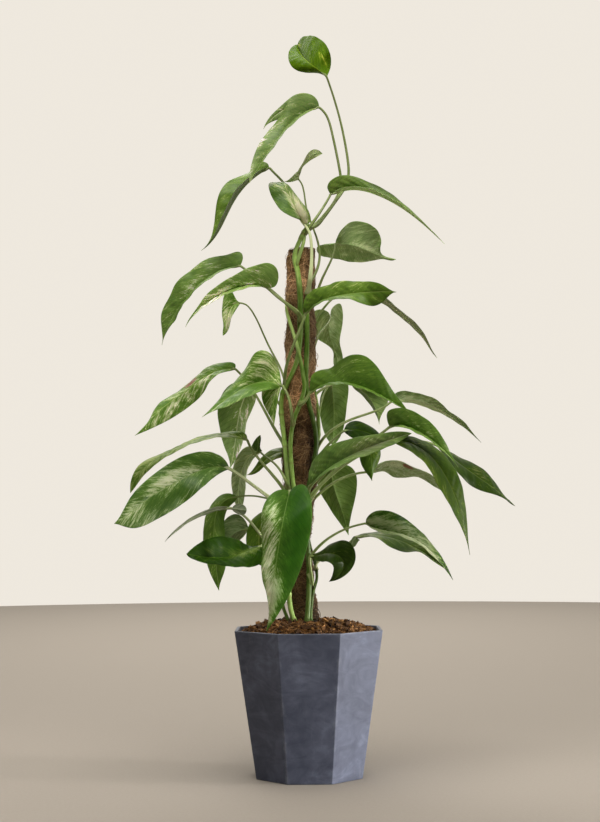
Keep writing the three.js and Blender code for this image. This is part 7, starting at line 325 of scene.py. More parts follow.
   [-116.4,-65.4,398.3,-114.9,-79.4,386.9,-111.9,-54.9,413.1],[-120.3,-69.4,397.7,-117.8,-88.3,384.2,-116.2,-55.5,415.3],[-124.2,-73.3,396.8,-120.8,-93.1,381.6,-120.6,-59.3,416.7],[-127.9,-77.2,395.6,-123.7,-97.3,378.8,-125.1,-63.5,417.5],
   [-131.6,-81,394.2,-126.6,-100.9,376,-129.6,-68.1,417.7],[-135.2,-84.7,392.7,-129.5,-104,373.2,-134.1,-72.9,417.5],[-138.8,-88.3,391.1,-132.3,-106.6,370.4,-138.5,-77.8,416.9],[-142.3,-91.7,389.4,-135.2,-108.5,367.6,-142.9,-82.8,415.9],
   [-145.8,-94.8,387.6,-138.2,-109.8,364.8,-147.2,-87.6,414.6],[-149.3,-97.8,385.8,-141.2,-110.2,362.1,-151.4,-92.3,413.1],[-152.7,-100.6,384,-144.4,-110.1,359.4,-155.5,-96.7,411.2],[-156.2,-103.3,382.1,-147.6,-109.9,356.9,-159.6,-100.7,409.2],
   [-159.6,-106.1,380.2,-150.8,-110,354.4,-163.5,-104.2,407],[-162.9,-108.9,378.3,-154.1,-110.8,352,-167.4,-107,404.6],[-166.3,-111.6,376.4,-157.3,-112.3,349.6,-171.3,-109.2,402.2],[-169.6,-114.3,374.4,-160.5,-114.4,347.3,-175.1,-111,399.6],
   [-172.9,-117,372.5,-163.8,-117,345.1,-178.9,-112.6,396.9],[-176.2,-119.7,370.5,-167,-119.7,343,-182.5,-114.5,394.1],[-179.5,-122.4,368.5,-170.3,-122.4,340.9,-186.1,-116.9,391.3],[-182.7,-125,366.5,-173.5,-125,338.8,-189.5,-119.9,388.4],
   [-185.9,-127.7,364.5,-176.8,-127.7,336.8,-192.8,-123.5,385.4],[-189.1,-130.3,362.4,-180.1,-130.3,334.9,-196.1,-127.2,382.4],[-192.2,-132.9,360.2,-183.4,-132.9,333,-199.2,-131,379.3],[-195.2,-135.5,357.9,-186.7,-135.5,331.1,-202.3,-134.6,376.1],
   [-198.2,-138.1,355.6,-190,-138.1,329.2,-205.3,-137.7,372.8],[-201.1,-140.7,353.2,-193.4,-140.7,327.4,-208.2,-140.6,369.5],[-203.9,-143.2,350.7,-196.7,-143.2,325.6,-211,-143.2,366],[-206.6,-145.8,348.1,-200.2,-145.8,324.1,-213.5,-145.8,362.3],
   [-209.4,-148.3,345.5,-203.7,-148.3,322.9,-215.9,-148.3,358.6],[-212,-150.8,342.9,-207.3,-150.8,322,-218,-150.8,354.6],[-214.7,-153.3,340.4,-211,-153.3,321.6,-220,-153.3,350.6],[-217.4,-155.8,337.8,-214.7,-155.8,321.9,-221.8,-155.8,346.5],
   [-220.2,-158.3,335.4,-218.3,-158.3,322.8,-223.6,-158.3,342.5],[-223.1,-160.7,333.1,-221.9,-160.7,323.9,-225.4,-160.7,338.5],[-226.1,-163.2,331,-225.3,-163.2,325.2,-227.5,-163.2,334.6],[-229.2,-165.6,329.1,-228.8,-165.6,326.5,-229.8,-165.6,330.8],
   [-232.4,-168,327.4,-232.3,-168,327.1,-232.5,-168,327.7]],
   "petiole": [[-100.8,-50,396.6,2],[-95.8,-48.3,393.5,2],[-90.8,-46.5,390.2,2.01],[-86,-44.8,386.8,2.02],[-81.2,-43,383.3,2.04],[-76.4,-41.3,379.7,2.05],[-71.7,-39.5,376.1,2.07],[-66.9,-37.7,372.4,2.09],[-62.2,-36,368.8,2.11],[-57.4,-34.3,365.1,2.13],[-52.7,-32.6,361.5,2.15],[-48,-30.9,357.7,2.17],[-43.3,-29.2,353.9,2.19],[-38.7,-26.7,350,2.22],[-34.3,-23.6,345.9,2.25],[-30,-20.4,341.6,2.27],[-25.9,-17.1,337.2,2.3]],
   "lobes": [],
   "finish": {"tone": 0.825, "pale": 0.34, "winged": 0.9, "stalk": 0.8, "stalk_tone": 1.15, "wash": [0.027, 0.027], "cool": [0.918, 0.918], "under": 0.897, "marks": [[.509,.45,.18,.193,.36], [.605,.15,.172,.271,.32], [.84,.1,.084,.755,.24], [.336,.2,.122,.187,.2], [.411,-.55,.12,.283,-.12], [.228,.45,.098,.273,-.18], [.581,-.45,.117,.254,-.08]]}},
  {"name": "leaf_19", "slot": "leaf_deep", "stem": "A",
   "blade": [[-98.9,-39.5,345.7,-98.9,-40.5,346.4,-98.9,-38.5,345.1],[-101.3,-41.2,345.9,-102.5,-42.2,347.5,-102.5,-40.1,344.1],[-103.6,-42.8,345.9,-104.7,-45.8,347.8,-104.9,-39.9,343.9],[-106,-44.5,345.8,-106.9,-50.5,348,-107.4,-38.7,343.7],
   [-108.4,-46.2,345.7,-109.1,-56,348,-109.8,-36.8,343.5],[-110.7,-48,345.5,-111.2,-61.9,347.8,-112.3,-34.6,343.1],[-113,-49.7,345.2,-113.5,-64.9,347.6,-114.6,-35,342.7],[-115.4,-51.4,344.8,-115.7,-67.7,347.2,-117,-35.8,342.3],
   [-117.7,-53.2,344.4,-118,-70.2,346.8,-119.2,-36.8,341.7],[-119.9,-54.9,343.9,-120.2,-72.6,346.2,-121.5,-37.9,341.2],[-122.2,-56.7,343.3,-122.4,-74.7,345.5,-123.7,-39.3,340.5],[-124.4,-58.5,342.6,-124.6,-76.8,344.8,-125.9,-40.7,339.9],
   [-126.6,-60.2,341.9,-126.7,-78.7,344,-128.1,-42.2,339.1],[-128.8,-61.9,341.1,-128.9,-80.5,343.1,-130.2,-43.8,338.4],[-131,-63.7,340.3,-131,-82.2,342.1,-132.3,-45.5,337.5],[-133.1,-65.4,339.4,-133.1,-83.8,341.1,-134.4,-47.2,336.7],
   [-135.2,-67.1,338.5,-135.1,-85.3,340.1,-136.5,-49,335.8],[-137.3,-68.8,337.5,-137.2,-86.7,339,-138.5,-50.8,334.8],[-139.4,-70.4,336.4,-139.2,-88.1,337.9,-140.6,-52.7,333.8],[-141.4,-72,335.4,-141.2,-89.5,336.8,-142.5,-54.5,332.8],
   [-143.4,-73.6,334.2,-143.2,-90.7,335.6,-144.5,-56.4,331.7],[-145.4,-75.2,333,-145.2,-91.9,334.4,-146.5,-58.3,330.7],[-147.4,-76.8,331.8,-147.2,-92.9,333.2,-148.4,-60.3,329.5],[-149.3,-78.3,330.6,-149.1,-93.9,331.9,-150.2,-62.4,328.4],
   [-151.2,-79.8,329.3,-151.1,-94.8,330.6,-152.1,-64.5,327.2],[-153.1,-81.3,328,-153,-95.6,329.3,-153.9,-66.6,325.9],[-154.9,-82.7,326.6,-154.9,-96.3,327.9,-155.7,-68.7,324.7],[-156.7,-84.2,325.2,-156.8,-96.9,326.5,-157.5,-70.9,323.4],
   [-158.5,-85.5,323.8,-158.6,-97.5,325,-159.2,-73.1,322.1],[-160.3,-86.9,322.3,-160.4,-98,323.6,-161,-75.3,320.8],[-162.1,-88.2,320.9,-162.2,-98.4,322,-162.6,-77.6,319.4],[-163.8,-89.5,319.3,-164,-98.7,320.5,-164.3,-79.8,318],
   [-165.5,-90.7,317.8,-165.8,-98.9,318.9,-165.9,-82.1,316.6],[-167.2,-91.9,316.2,-167.5,-99,317.3,-167.6,-84.4,315.2],[-168.8,-93,314.7,-169.2,-98.5,315.6,-169.1,-87.3,313.7],[-170.5,-94.1,313,-170.9,-97.9,313.8,-170.6,-90.2,312.3],
   [-172.1,-95.2,311.4,-172.5,-97.5,312.1,-172.1,-92.8,310.8],[-173.6,-96.2,309.7,-174.1,-97.5,310.3,-173.6,-94.9,309.3],[-175.2,-97.2,308.1,-175.5,-97.8,308.4,-175.2,-96.6,307.8],[-176.7,-98.1,306.3,-176.9,-98.3,306.5,-176.7,-97.9,306.2],
   [-178.3,-99,304.6,-178.3,-99.3,304.8,-178.2,-98.7,304.5]],
   "petiole": [[-98.9,-39.5,345.8,1.6],[-93.5,-39,343.5,1.61],[-88.4,-38.4,340.6,1.62],[-83.7,-37.6,337.1,1.63],[-79.3,-36.6,333.3,1.65],[-75.2,-35.6,329.1,1.67],[-71.3,-34.6,324.6,1.69],[-67.7,-33.4,320.1,1.72],[-64.1,-32.3,315.4,1.74],[-60.6,-31.1,310.7,1.77],[-57,-29.9,306,1.8],[-53.3,-28.5,301.4,1.83],[-49.5,-27,296.9,1.86],[-45.4,-23.7,292.6,1.89],[-41,-19.3,288.7,1.93],[-36.3,-14.5,285.1,1.96],[-31.2,-9.3,281.9,2]],
   "lobes": [[[-97.5,-42,345.3,-96.2,-42,342.2,-96.2,-42,347.9],[-95.9,-42.9,345.3,-94.7,-42.9,341.1,-94.9,-42.9,349.3],[-94.3,-43.7,345.2,-93.1,-43.7,340,-93.2,-43.7,350.3],[-92.7,-44.6,345,-91.4,-44.6,339,-91.4,-44.6,351],[-91.1,-45.5,344.8,-89.7,-45.5,338.1,-89.5,-45.5,351.4],[-89.5,-46.4,344.5,-87.8,-46.4,337.4,-87.6,-46.4,351.4],[-87.9,-47.3,344.2,-86,-47.3,336.9,-85.7,-47.3,351.2],[-86.3,-48.2,343.9,-84,-48.2,336.8,-83.8,-48.2,350.6],[-84.7,-49.1,343.6,-82.2,-49.1,337.2,-82.1,-49.1,349.7],[-83.1,-50,343.4,-80.5,-50,338.2,-80.5,-50,348.5],[-81.5,-50.9,343.3,-79.4,-50.9,339.7,-79.4,-50.9,347],[-79.9,-51.9,343.3,-78.7,-51.9,341.5,-78.6,-51.9,345.2],[-78.3,-52.8,343.4,-78.3,-52.8,343.1,-78.3,-52.8,343.7]]],
   "finish": {"under": 1.516, "tone": 1.125, "stalk": 0.6, "grain": 0.5, "wash": [0.06, 0.194], "cool": [1.08, 1.27], "marks": []}},
  {"name": "leaf_20", "slot": "leaf_green", "stem": "A",
   "blade": [[-92.8,-2.4,360.8,-92.3,-2.4,359.7,-93.2,-2.4,361.9],[-96.2,-2.6,360.6,-94.3,-1.8,356.6,-97.5,-1.7,364.1],[-99.7,-2.9,360.1,-96.4,-.4,354.2,-101.3,-.1,365.4],[-103,-3.1,359.1,-98.9,1.8,352.1,-105.3,2.4,365.8],
   [-106.2,-3.3,357.7,-101.4,4.6,350,-109.4,5.5,365.3],[-109.1,-3.5,355.9,-103.8,7.8,347.7,-113.3,9,364],[-111.8,-3.7,353.7,-105.8,8.6,345.1,-116.8,10,362],[-114.1,-3.8,351.1,-107.2,9.1,342.2,-120,10.6,359.6],
   [-116.1,-4,348.2,-108.3,9.4,339.2,-122.8,11,356.9],[-117.7,-4.1,345.2,-109.1,9.5,336.1,-125.4,11.2,353.9],[-119.1,-4.3,342,-109.6,9.4,332.9,-127.7,11.2,350.7],[-120.2,-4.4,338.7,-109.9,9.2,329.7,-129.8,11,347.3],
   [-121,-4.5,335.3,-110.1,8.8,326.5,-131.6,10.7,343.7],[-121.7,-4.6,331.9,-110.1,8.3,323.3,-133.1,10.2,340.1],[-122.2,-4.6,328.5,-110,7.8,320.1,-134.3,9.7,336.4],[-122.6,-4.7,325.1,-109.8,7.2,316.9,-135.4,9.2,332.6],
   [-122.8,-4.7,321.6,-109.5,6.5,313.7,-136.2,8.5,328.7],[-123,-4.7,318.1,-109.2,5.7,310.5,-136.9,7.9,324.8],[-123.1,-4.7,314.7,-108.8,4.8,307.3,-137.4,7.2,320.9],[-123.2,-4.7,311.2,-108.4,3.8,304.1,-137.8,6.6,317],
   [-123.1,-4.7,307.8,-108,2.6,301,-138,5.9,313.1],[-123.1,-4.6,304.3,-107.7,1.2,297.8,-138.1,5.1,309.2],[-122.9,-4.6,300.8,-107.3,-.3,294.6,-138,4.2,305.3],[-122.8,-4.5,297.4,-107,-1.7,291.5,-137.8,3.3,301.3],
   [-122.5,-4.4,293.9,-106.8,-2.8,288.3,-137.4,2.1,297.4],[-122.3,-4.3,290.5,-106.7,-3.6,285.2,-136.9,.9,293.6],[-122,-4.2,287,-106.6,-4,282,-136.3,-.4,289.7],[-121.6,-4.1,283.6,-106.7,-4.1,278.8,-135.5,-1.6,285.9],
   [-121.3,-4,280.1,-107,-4,275.6,-134.6,-2.6,282.1],[-120.9,-3.9,276.7,-107.4,-3.9,272.5,-133.7,-3.2,278.3],[-120.5,-3.8,273.2,-107.9,-3.8,269.3,-132.6,-3.6,274.5],[-120.1,-3.6,269.8,-108.6,-3.6,266.2,-131.4,-3.6,270.8],
   [-119.7,-3.5,266.4,-109.5,-3.5,263.2,-130.2,-3.5,267.1],[-119.3,-3.3,262.9,-110.5,-3.3,260.1,-128.8,-3.3,263.4],[-118.9,-3.2,259.5,-111.6,-3.1,257.2,-127.4,-3.2,259.7],[-118.5,-3,256,-112.8,-2.8,254.2,-125.8,-3,256.1],
   [-118.1,-2.8,252.6,-113.9,-2.6,251.2,-124.1,-2.8,252.6],[-117.7,-2.6,249.2,-115,-2.4,248.2,-122.4,-2.6,249.1],[-117.3,-2.4,245.7,-115.8,-2.3,245.1,-120.6,-2.4,245.6],[-117,-2.2,242.3,-116.4,-2.1,242,-118.7,-2.2,242.2],
   [-116.7,-2,238.8,-116.4,-2,238.8,-117,-2,238.9]],
   "petiole": [[-92.8,-2.4,360.8,1.1],[-88.1,-2.9,361.6,1.11],[-83.4,-3.4,362.1,1.12],[-78.7,-3.9,362.3,1.13],[-73.9,-4.4,362.2,1.15],[-69.2,-4.9,361.9,1.17],[-64.5,-5.3,361.2,1.19],[-59.9,-5.8,360.3,1.22],[-55.3,-6.2,359.2,1.24],[-50.8,-6.7,357.7,1.27],[-46.5,-7.2,355.9,1.3],[-42.3,-7.6,353.7,1.33],[-38.3,-8.1,351.1,1.36],[-34.6,-9.5,348.2,1.39],[-31.3,-11.6,344.9,1.43],[-28.4,-14.1,341.2,1.46],[-25.9,-17.1,337.2,1.5]],
   "lobes": [],
   "finish": {"tone": 1.635, "pale": 0.203, "wash": [0.077, 0.06], "cool": [1.152, 1.08], "under": 1.25, "marks": [[.225,1,.101,.364,.175]]}},
  {"name": "leaf_21", "slot": "leaf_deep", "stem": "A",
   "blade": [[-59.1,-42.9,297.2,-58.4,-43.5,296.5,-59.8,-42.2,298],[-61.5,-45.8,296.8,-56.6,-46.7,292.6,-60.4,-44.2,298.2],[-63.8,-48.9,296.2,-55.9,-51.4,289.7,-63.1,-44,297.8],[-66,-52.1,295.5,-55.7,-56.7,286.8,-65.8,-42.6,297.4],
   [-68.3,-55.5,294.8,-55.9,-62.3,284,-68.5,-40.2,297],[-70.5,-58.9,294.1,-56.7,-68,281.3,-71.3,-37.5,297],[-72.7,-62.3,293.2,-58,-71.9,278.8,-73.9,-39.2,297.4],[-74.8,-65.9,292.4,-59.8,-76.1,276.7,-76.4,-41.7,298.3],
   [-77,-69.5,291.5,-62.1,-80.7,275.1,-78.8,-44.7,299.4],[-79.1,-73.1,290.7,-64.6,-85.6,273.9,-81,-48.2,300.7],[-81.2,-76.7,289.8,-67.2,-90.7,273.1,-83.2,-52.3,302],[-83.4,-80.3,289,-70,-95.8,272.7,-85.4,-56.9,303.3],
   [-85.5,-83.8,288.2,-72.7,-100.8,272.4,-87.6,-61.9,304.5],[-87.6,-87.3,287.5,-75.5,-105.5,272.3,-89.8,-67.4,305.6],[-89.8,-90.6,286.8,-78.2,-109.9,272.4,-92,-73.6,306.7],[-91.9,-93.8,286.1,-81,-113.9,272.5,-94.2,-80.2,307.6],
   [-94.1,-96.7,285.5,-83.7,-117.6,272.7,-96.4,-86.9,308.5],[-96.4,-99.5,285.1,-86.5,-120.9,273.1,-98.6,-93.2,309.3],[-98.6,-102.3,284.7,-89.3,-124.1,273.4,-100.9,-98.9,309.9],[-100.8,-105.2,284.4,-92,-127.1,273.9,-103.2,-103.6,310.3],
   [-103.1,-108,284.2,-94.8,-130,274.3,-105.6,-107.5,310.6],[-105.3,-110.9,284.1,-97.5,-132.7,274.8,-108,-110.8,310.8],[-107.6,-113.7,284.1,-100.2,-135.2,275.2,-110.5,-113.7,310.7],[-109.8,-116.6,284.1,-103,-137.5,275.6,-112.9,-116.6,310.5],
   [-112,-119.5,284.2,-105.7,-139.7,276,-115.3,-119.5,310.2],[-114.2,-122.4,284.4,-108.5,-141.7,276.3,-117.6,-122.4,309.7],[-116.4,-125.3,284.6,-111.2,-143.6,276.6,-119.9,-125.3,309.1],[-118.6,-128.3,284.9,-114,-145.4,276.9,-122.2,-128.3,308.3],
   [-120.8,-131.3,285.2,-116.7,-147.2,277.3,-124.4,-131.3,307.5],[-123,-134.2,285.6,-119.5,-148.8,277.8,-126.5,-134.2,306.5],[-125.1,-137.2,285.9,-122.2,-150.4,278.4,-128.6,-137.2,305.5],[-127.3,-140.2,286.4,-124.9,-152,279.1,-130.7,-140.2,304.3],
   [-129.4,-143.3,286.8,-127.5,-153.4,279.9,-132.6,-143.3,303.1],[-131.5,-146.3,287.2,-130.1,-154.7,280.8,-134.6,-146.3,301.8],[-133.6,-149.4,287.7,-132.8,-155.2,281.7,-136.4,-149.4,300.4],[-135.7,-152.4,288.2,-135.5,-155.9,282.7,-138.2,-152.4,299],
   [-137.8,-155.5,288.7,-138.1,-157.3,283.7,-139.9,-155.5,297.4],[-139.9,-158.6,289.2,-140.5,-159.4,284.8,-141.6,-158.6,295.8],[-142,-161.7,289.7,-142.8,-161.9,286.3,-143.2,-161.7,294.2],[-144,-164.9,290.2,-144.8,-164.9,288.2,-144.6,-164.9,292.4],
   [-146.1,-168,290.6,-146,-168,290.3,-146.1,-168,290.9]],
   "petiole": [[-59.1,-42.9,297.2,1.6],[-56.3,-41.4,298.4,1.61],[-53.6,-39.9,299.6,1.62],[-50.8,-38.5,300.8,1.63],[-47.9,-37.1,301.8,1.65],[-44.9,-35.7,302.5,1.67],[-41.9,-34.4,303,1.69],[-38.9,-33,303,1.72],[-35.9,-31.8,302.4,1.74],[-33.1,-30.5,301.2,1.77],[-30.6,-29.3,299.3,1.8],[-28.8,-28.1,296.8,1.83],[-27.7,-26.9,293.9,1.86],[-27.6,-23.8,290.8,1.89],[-28.2,-19.4,287.7,1.93],[-29.5,-14.6,284.7,1.96],[-31.2,-9.3,281.9,2]],
   "lobes": [],
   "finish": {"tone": 0.42, "pale": 0.24, "shine": 0.15, "wash": [-0.25, -0.12], "cool": [0.516, 0.85], "under": 0.75, "marks": [[.636,.4,.144,.192,.25], [.322,0,.166,.281,.42], [.103,-.15,.143,.311,.42]]}},
  {"name": "leaf_22", "slot": "leaf_variegated", "stem": "A",
   "blade": [[-22.2,-126,365.9,-21,-126,366.2,-23.3,-126,365.6],[-23.3,-129.7,361.6,-18.7,-129.5,369.6,-27.2,-129.3,367.2],[-24.4,-133.3,357.4,-14.2,-133,372.3,-32,-132.6,367.7],[-25.4,-136.9,353.2,-9,-136.5,373.6,-36.8,-136,366.8],
   [-26.4,-140.3,348.9,-3.9,-140,372.3,-41.2,-139.5,364.8],[-27.3,-143.5,344.7,-.6,-143.4,368.1,-45,-143.1,361.8],[-28.3,-146.5,340.5,1.3,-146.5,363.1,-48.3,-146.4,358.2],[-29.1,-149.2,336.3,2.6,-149.2,358,-51.1,-149.2,354.2],
   [-30,-151.5,332.1,3.6,-151.5,352.7,-53.3,-151.5,349.9],[-30.8,-153.4,328,4.2,-153.4,347.5,-55,-153.4,345.4],[-31.6,-154.8,323.8,4.6,-154.8,342.2,-56.1,-154.7,340.7],[-32.4,-155.7,319.6,4.6,-155.7,337,-56.8,-155,336],
   [-33.2,-156,315.4,4.4,-156,331.7,-57.2,-154,331.1],[-33.9,-156,311.2,4,-156,326.5,-57.3,-151.9,326.3],[-34.6,-156,307,3.3,-156,321.2,-57.1,-149.3,321.5],[-35.3,-155.9,302.8,2.5,-155.9,316.1,-56.9,-146.3,316.6],
   [-36,-155.8,298.6,1.5,-155.8,310.9,-56.6,-143.5,311.7],[-36.7,-155.7,294.4,.4,-155.7,305.8,-56.4,-141.3,306.9],[-37.4,-155.6,290.2,-.8,-155.6,300.7,-56.2,-139.7,302],[-38,-155.4,286,-2.1,-155.4,295.6,-56.2,-138.7,297.1],
   [-38.6,-155.2,281.8,-3.5,-155.2,290.5,-56.4,-138.1,292.3],[-39.3,-155,277.6,-5,-155,285.5,-56.7,-137.9,287.4],[-39.9,-154.8,273.4,-6.6,-154.8,280.5,-57.1,-137.9,282.6],[-40.5,-154.6,269.2,-8.3,-154.6,275.5,-57.3,-138.1,277.7],
   [-41.1,-154.3,265,-10.1,-154.3,270.6,-57.4,-138.2,272.9],[-41.7,-154,260.8,-12,-154,265.7,-57.1,-138.3,268],[-42.3,-153.7,256.6,-14,-153.7,260.8,-56.6,-138.2,263.2],[-42.8,-153.4,252.4,-16,-153.4,256,-55.8,-138.1,258.4],
   [-43.4,-153,248.1,-18.2,-153,251.2,-54.8,-137.9,253.7],[-44,-152.4,243.9,-20.5,-152.4,246.5,-53.7,-137.6,249],[-44.7,-151.2,239.7,-22.8,-151.2,241.7,-52.6,-137,244.2],[-45.3,-149.7,235.4,-25.3,-149.7,237,-51.4,-136.1,239.5],
   [-45.9,-147.7,231.1,-27.8,-147.7,232.3,-50.3,-135.1,234.7],[-46.6,-145.3,226.7,-30.5,-145.3,227.6,-49.4,-134,229.9],[-47.3,-142.7,222.3,-33.2,-142.7,223,-48.6,-133.8,225.1],[-48,-139.8,218,-36.1,-139.8,218.3,-48.2,-133.6,220.3],
   [-48.7,-136.7,213.5,-39,-136.7,213.7,-48.2,-132.7,215.4],[-49.4,-133.4,209.1,-42,-133.4,209.1,-48.5,-131.2,210.4],[-50.2,-130,204.6,-45.2,-130,204.6,-49.3,-129,205.5],[-51,-126.5,200.1,-48.4,-126.5,200.1,-50.3,-126.2,200.6],
   [-51.8,-123,195.6,-51.5,-123.1,195.6,-52,-122.9,195.7]],
   "petiole": [[-22.2,-126,365.9,1.9],[-21.6,-122.6,363.4,1.91],[-20.9,-118.8,361,1.92],[-20,-114.8,358.7,1.93],[-19,-110.5,356.3,1.95],[-18.1,-106,353.9,1.97],[-17.2,-101.2,351.6,1.99],[-16.3,-96.1,349.1,2.02],[-15.7,-90,346.6,2.04],[-15.3,-82.9,344.1,2.07],[-15.4,-75,341.5,2.1],[-16,-66.5,338.9,2.13],[-17.2,-57.7,336.6,2.16],[-19,-47,334.5,2.19],[-21.2,-35.7,332.8,2.23],[-23.6,-25.2,331.4,2.26],[-26.2,-16,330.3,2.3]],
   "lobes": [],
   "finish": {"tone": 1.181, "pale": 0.22, "shine": 0.5, "wash": [0.014, 0.014], "cool": [1.0, 1.0], "under": 1.074, "marks": [[.22,.5,.14,.5,.16], [.4,.55,.18,.5,.3], [.62,.5,.22,.6,.34], [.85,.2,.18,.8,.3], [.82,-.35,.14,.5,.22], [.74,0,.14,.5,.16], [.66,-.22,.14,.28,.26], [.3,-.5,.3,.5,-.16], [.08,0,.12,1.2,-.12], [.6,-.7,.4,.35,-.14]], "shades": [[.35,-.6,.5,.45,-.22], [.5,.55,.4,.4,.22]], "washes": [[.4,-.6,.55,.5,-.42]]}},
  {"name": "leaf_23", "slot": "leaf_green", "stem": "D",
   "blade": [[3.8,-39.5,494.1,3.3,-38.6,494.8,4.3,-40.3,493.4],[6.5,-43.3,496,3.2,-41.3,500,6.6,-45,495],[9.3,-47.2,497.7,3.5,-41.6,504.8,9.4,-52.4,495.8],[12.2,-51.2,499.3,4.3,-40.5,509.7,12.2,-61.5,496.5],
   [15.2,-55.3,500.6,5.7,-38.5,514.5,15.2,-71.9,497],[18.3,-59.5,501.6,8,-36,518.9,18.2,-82.7,497.2],[21.5,-63.7,502.5,11.5,-38,522,21.3,-88.8,497.9],[24.7,-68,503.1,15.9,-40.3,523.6,24.5,-94.4,498.3],
   [28,-72.2,503.4,20.5,-42.9,524.4,27.7,-99.7,498.6],[31.3,-76.3,503.6,25.2,-46,525,30.9,-104.6,498.7],[34.7,-80.3,503.6,29.7,-49.7,525.9,34.2,-109.1,498.6],[38,-84.2,503.3,33.9,-54.4,527.4,37.5,-113.3,498.3],
   [41.3,-87.9,502.9,37.7,-60.4,529.4,40.7,-117.2,497.9],[44.6,-91.4,502.4,41.2,-67.8,531.6,44,-120.8,497.4],[47.9,-94.6,501.7,44.7,-76.3,533.6,47.2,-123.9,496.7],[51.2,-97.6,500.8,48.3,-85,535.3,50.4,-126.7,495.9],
   [54.4,-100.3,499.9,52.3,-93,536.4,53.6,-129.3,495],[57.6,-103.1,498.9,56.5,-99.5,536.8,56.8,-131.7,494],[60.8,-105.8,497.7,61,-104.5,536.7,59.9,-134,492.9],[63.9,-108.4,496.5,65.4,-108.2,536.1,63,-136.2,491.7],
   [67,-111,495.2,69.8,-111,534.7,66.1,-138.3,490.5],[70.1,-113.6,493.8,73.9,-113.6,532.7,69.1,-140.3,489.2],[73.1,-116.1,492.4,77.7,-116.1,529.9,72.1,-142.1,487.8],[76.1,-118.6,490.8,81.1,-118.6,526.7,75.1,-143.7,486.4],
   [79,-121.1,489.3,84.1,-121.1,523.1,78,-145.2,484.9],[81.9,-123.5,487.6,86.8,-123.5,519.2,81,-146.6,483.4],[84.8,-125.9,485.9,89.3,-125.9,515.2,83.9,-147.9,481.9],[87.7,-128.3,484.2,91.6,-128.2,511.1,86.7,-149.1,480.4],
   [90.5,-130.6,482.5,93.9,-130.3,507,89.6,-150.2,478.9],[93.3,-133,480.7,96.1,-131.9,502.9,92.4,-151.1,477.4],[96.1,-135.2,478.9,98.3,-133.3,498.8,95.2,-152,475.9],[98.8,-137.5,477,100.6,-134.6,494.8,98,-152.7,474.3],
   [101.5,-139.7,475.2,102.9,-136.2,490.8,100.8,-153.3,472.8],[104.2,-141.9,473.3,105.4,-138.1,486.9,103.6,-153.8,471.2],[106.9,-144,471.4,107.8,-141,483,106.4,-153.1,469.7],[109.6,-146.1,469.6,110.3,-144.2,479.1,109.3,-152.4,468.3],
   [112.3,-148.2,467.7,112.9,-147.2,475.2,112.1,-152.1,466.7],[114.9,-150.2,465.8,115.4,-149.8,471.5,114.8,-152.4,465.1],[117.6,-152.2,463.9,117.9,-152.1,467.7,117.6,-153.2,463.5],[120.2,-154.1,462,120.4,-154.1,463.9,120.2,-154.4,461.8],
   [122.9,-156,460.1,122.9,-155.9,460.4,122.9,-156.1,459.8]],
   "petiole": [[3.8,-39.5,494.1,1.8],[3,-39.3,493.1,1.81],[2.3,-39.1,492.1,1.82],[1.7,-38.9,491.1,1.84],[1.1,-38.7,490,1.86],[.5,-38.5,488.9,1.89],[-.1,-38.3,487.8,1.91],[-.8,-38.1,486.8,1.94],[-1.4,-37.9,485.7,1.98],[-2.1,-37.7,484.7,2.01],[-2.9,-37.5,483.8,2.05],[-3.8,-37.3,482.9,2.09],[-4.8,-37.1,482.1,2.12],[-5.8,-36.1,481.5,2.17],[-6.9,-34.6,481.1,2.21],[-8.1,-32.7,480.8,2.25],[-9.3,-30.6,480.7,2.3]],
   "lobes": [],
   "finish": {"tone": 1.486, "pale": 0.14, "wash": [0.086, 0.06], "cool": [1.049, 1.049], "under": 1.25, "marks": [[.454,-.65,.138,.177,.056]]}},
  {"name": "leaf_24", "slot": "leaf_deep", "stem": "C",
   "blade": [[61.4,42.9,518.6,60.5,43.5,518,62.2,42.3,519.1],[62.7,43.4,517.4,59.6,44.5,515.6,66.4,42.5,520],[64,43.9,516.2,60.1,47.1,514.1,68.7,41.1,519.8],[65.4,44.3,514.9,61,50.8,512.8,71,38.9,519.5],
   [66.7,44.6,513.7,62.1,55.3,511.6,73.2,36.1,519],[68,44.9,512.5,63.3,60.3,510.6,75.4,33.1,518.4],[69.3,45.2,511.2,64.5,62.1,509.4,77.7,32.7,517.9],[70.6,45.4,510,65.8,63.6,508.2,79.9,32.6,517.4],
   [71.9,45.6,508.7,67.2,64.7,507,82.2,32.8,516.7],[73.2,45.8,507.4,68.5,65.6,505.8,84.4,33.3,516],[74.5,45.9,506.1,69.8,66.3,504.6,86.6,34.1,515.1],[75.7,46.1,504.8,71.2,66.8,503.4,88.8,35,514.2],
   [77,46.1,503.5,72.5,67.1,502.2,90.9,36.3,513.2],[78.2,46.2,502.2,73.8,67.3,500.9,93,37.9,512.2],[79.4,46.3,500.8,75.1,67.4,499.6,95.1,39.9,511.1],[80.6,46.3,499.4,76.4,67.4,498.3,97.1,41.9,509.9],
   [81.8,46.3,498,77.6,67.3,497,99.1,43.7,508.6],[82.9,46.4,496.6,78.9,67.1,495.7,100.9,45,507.2],[84,46.4,495.2,80.1,66.8,494.4,102.7,45.9,505.6],[85.1,46.4,493.7,81.3,66.6,493,104.3,46.3,503.9],
   [86.2,46.4,492.3,82.5,66.2,491.6,105.8,46.4,502.1],[87.2,46.3,490.8,83.7,65.7,490.2,107.1,46.3,500.1],[88.2,46.2,489.2,84.8,65.1,488.8,108.3,46.2,498.1],[89.2,45.9,487.7,85.9,64.2,487.3,109.2,45.9,495.9],
   [90.1,45.6,486.1,86.9,63.2,485.8,109.7,45.6,493.6],[91,45.2,484.5,87.9,62.1,484.2,109.9,45.2,491.2],[91.8,44.8,482.8,88.9,60.8,482.6,109.7,44.8,488.8],[92.6,44.2,481.2,89.8,59.3,481,109.1,44.2,486.4],
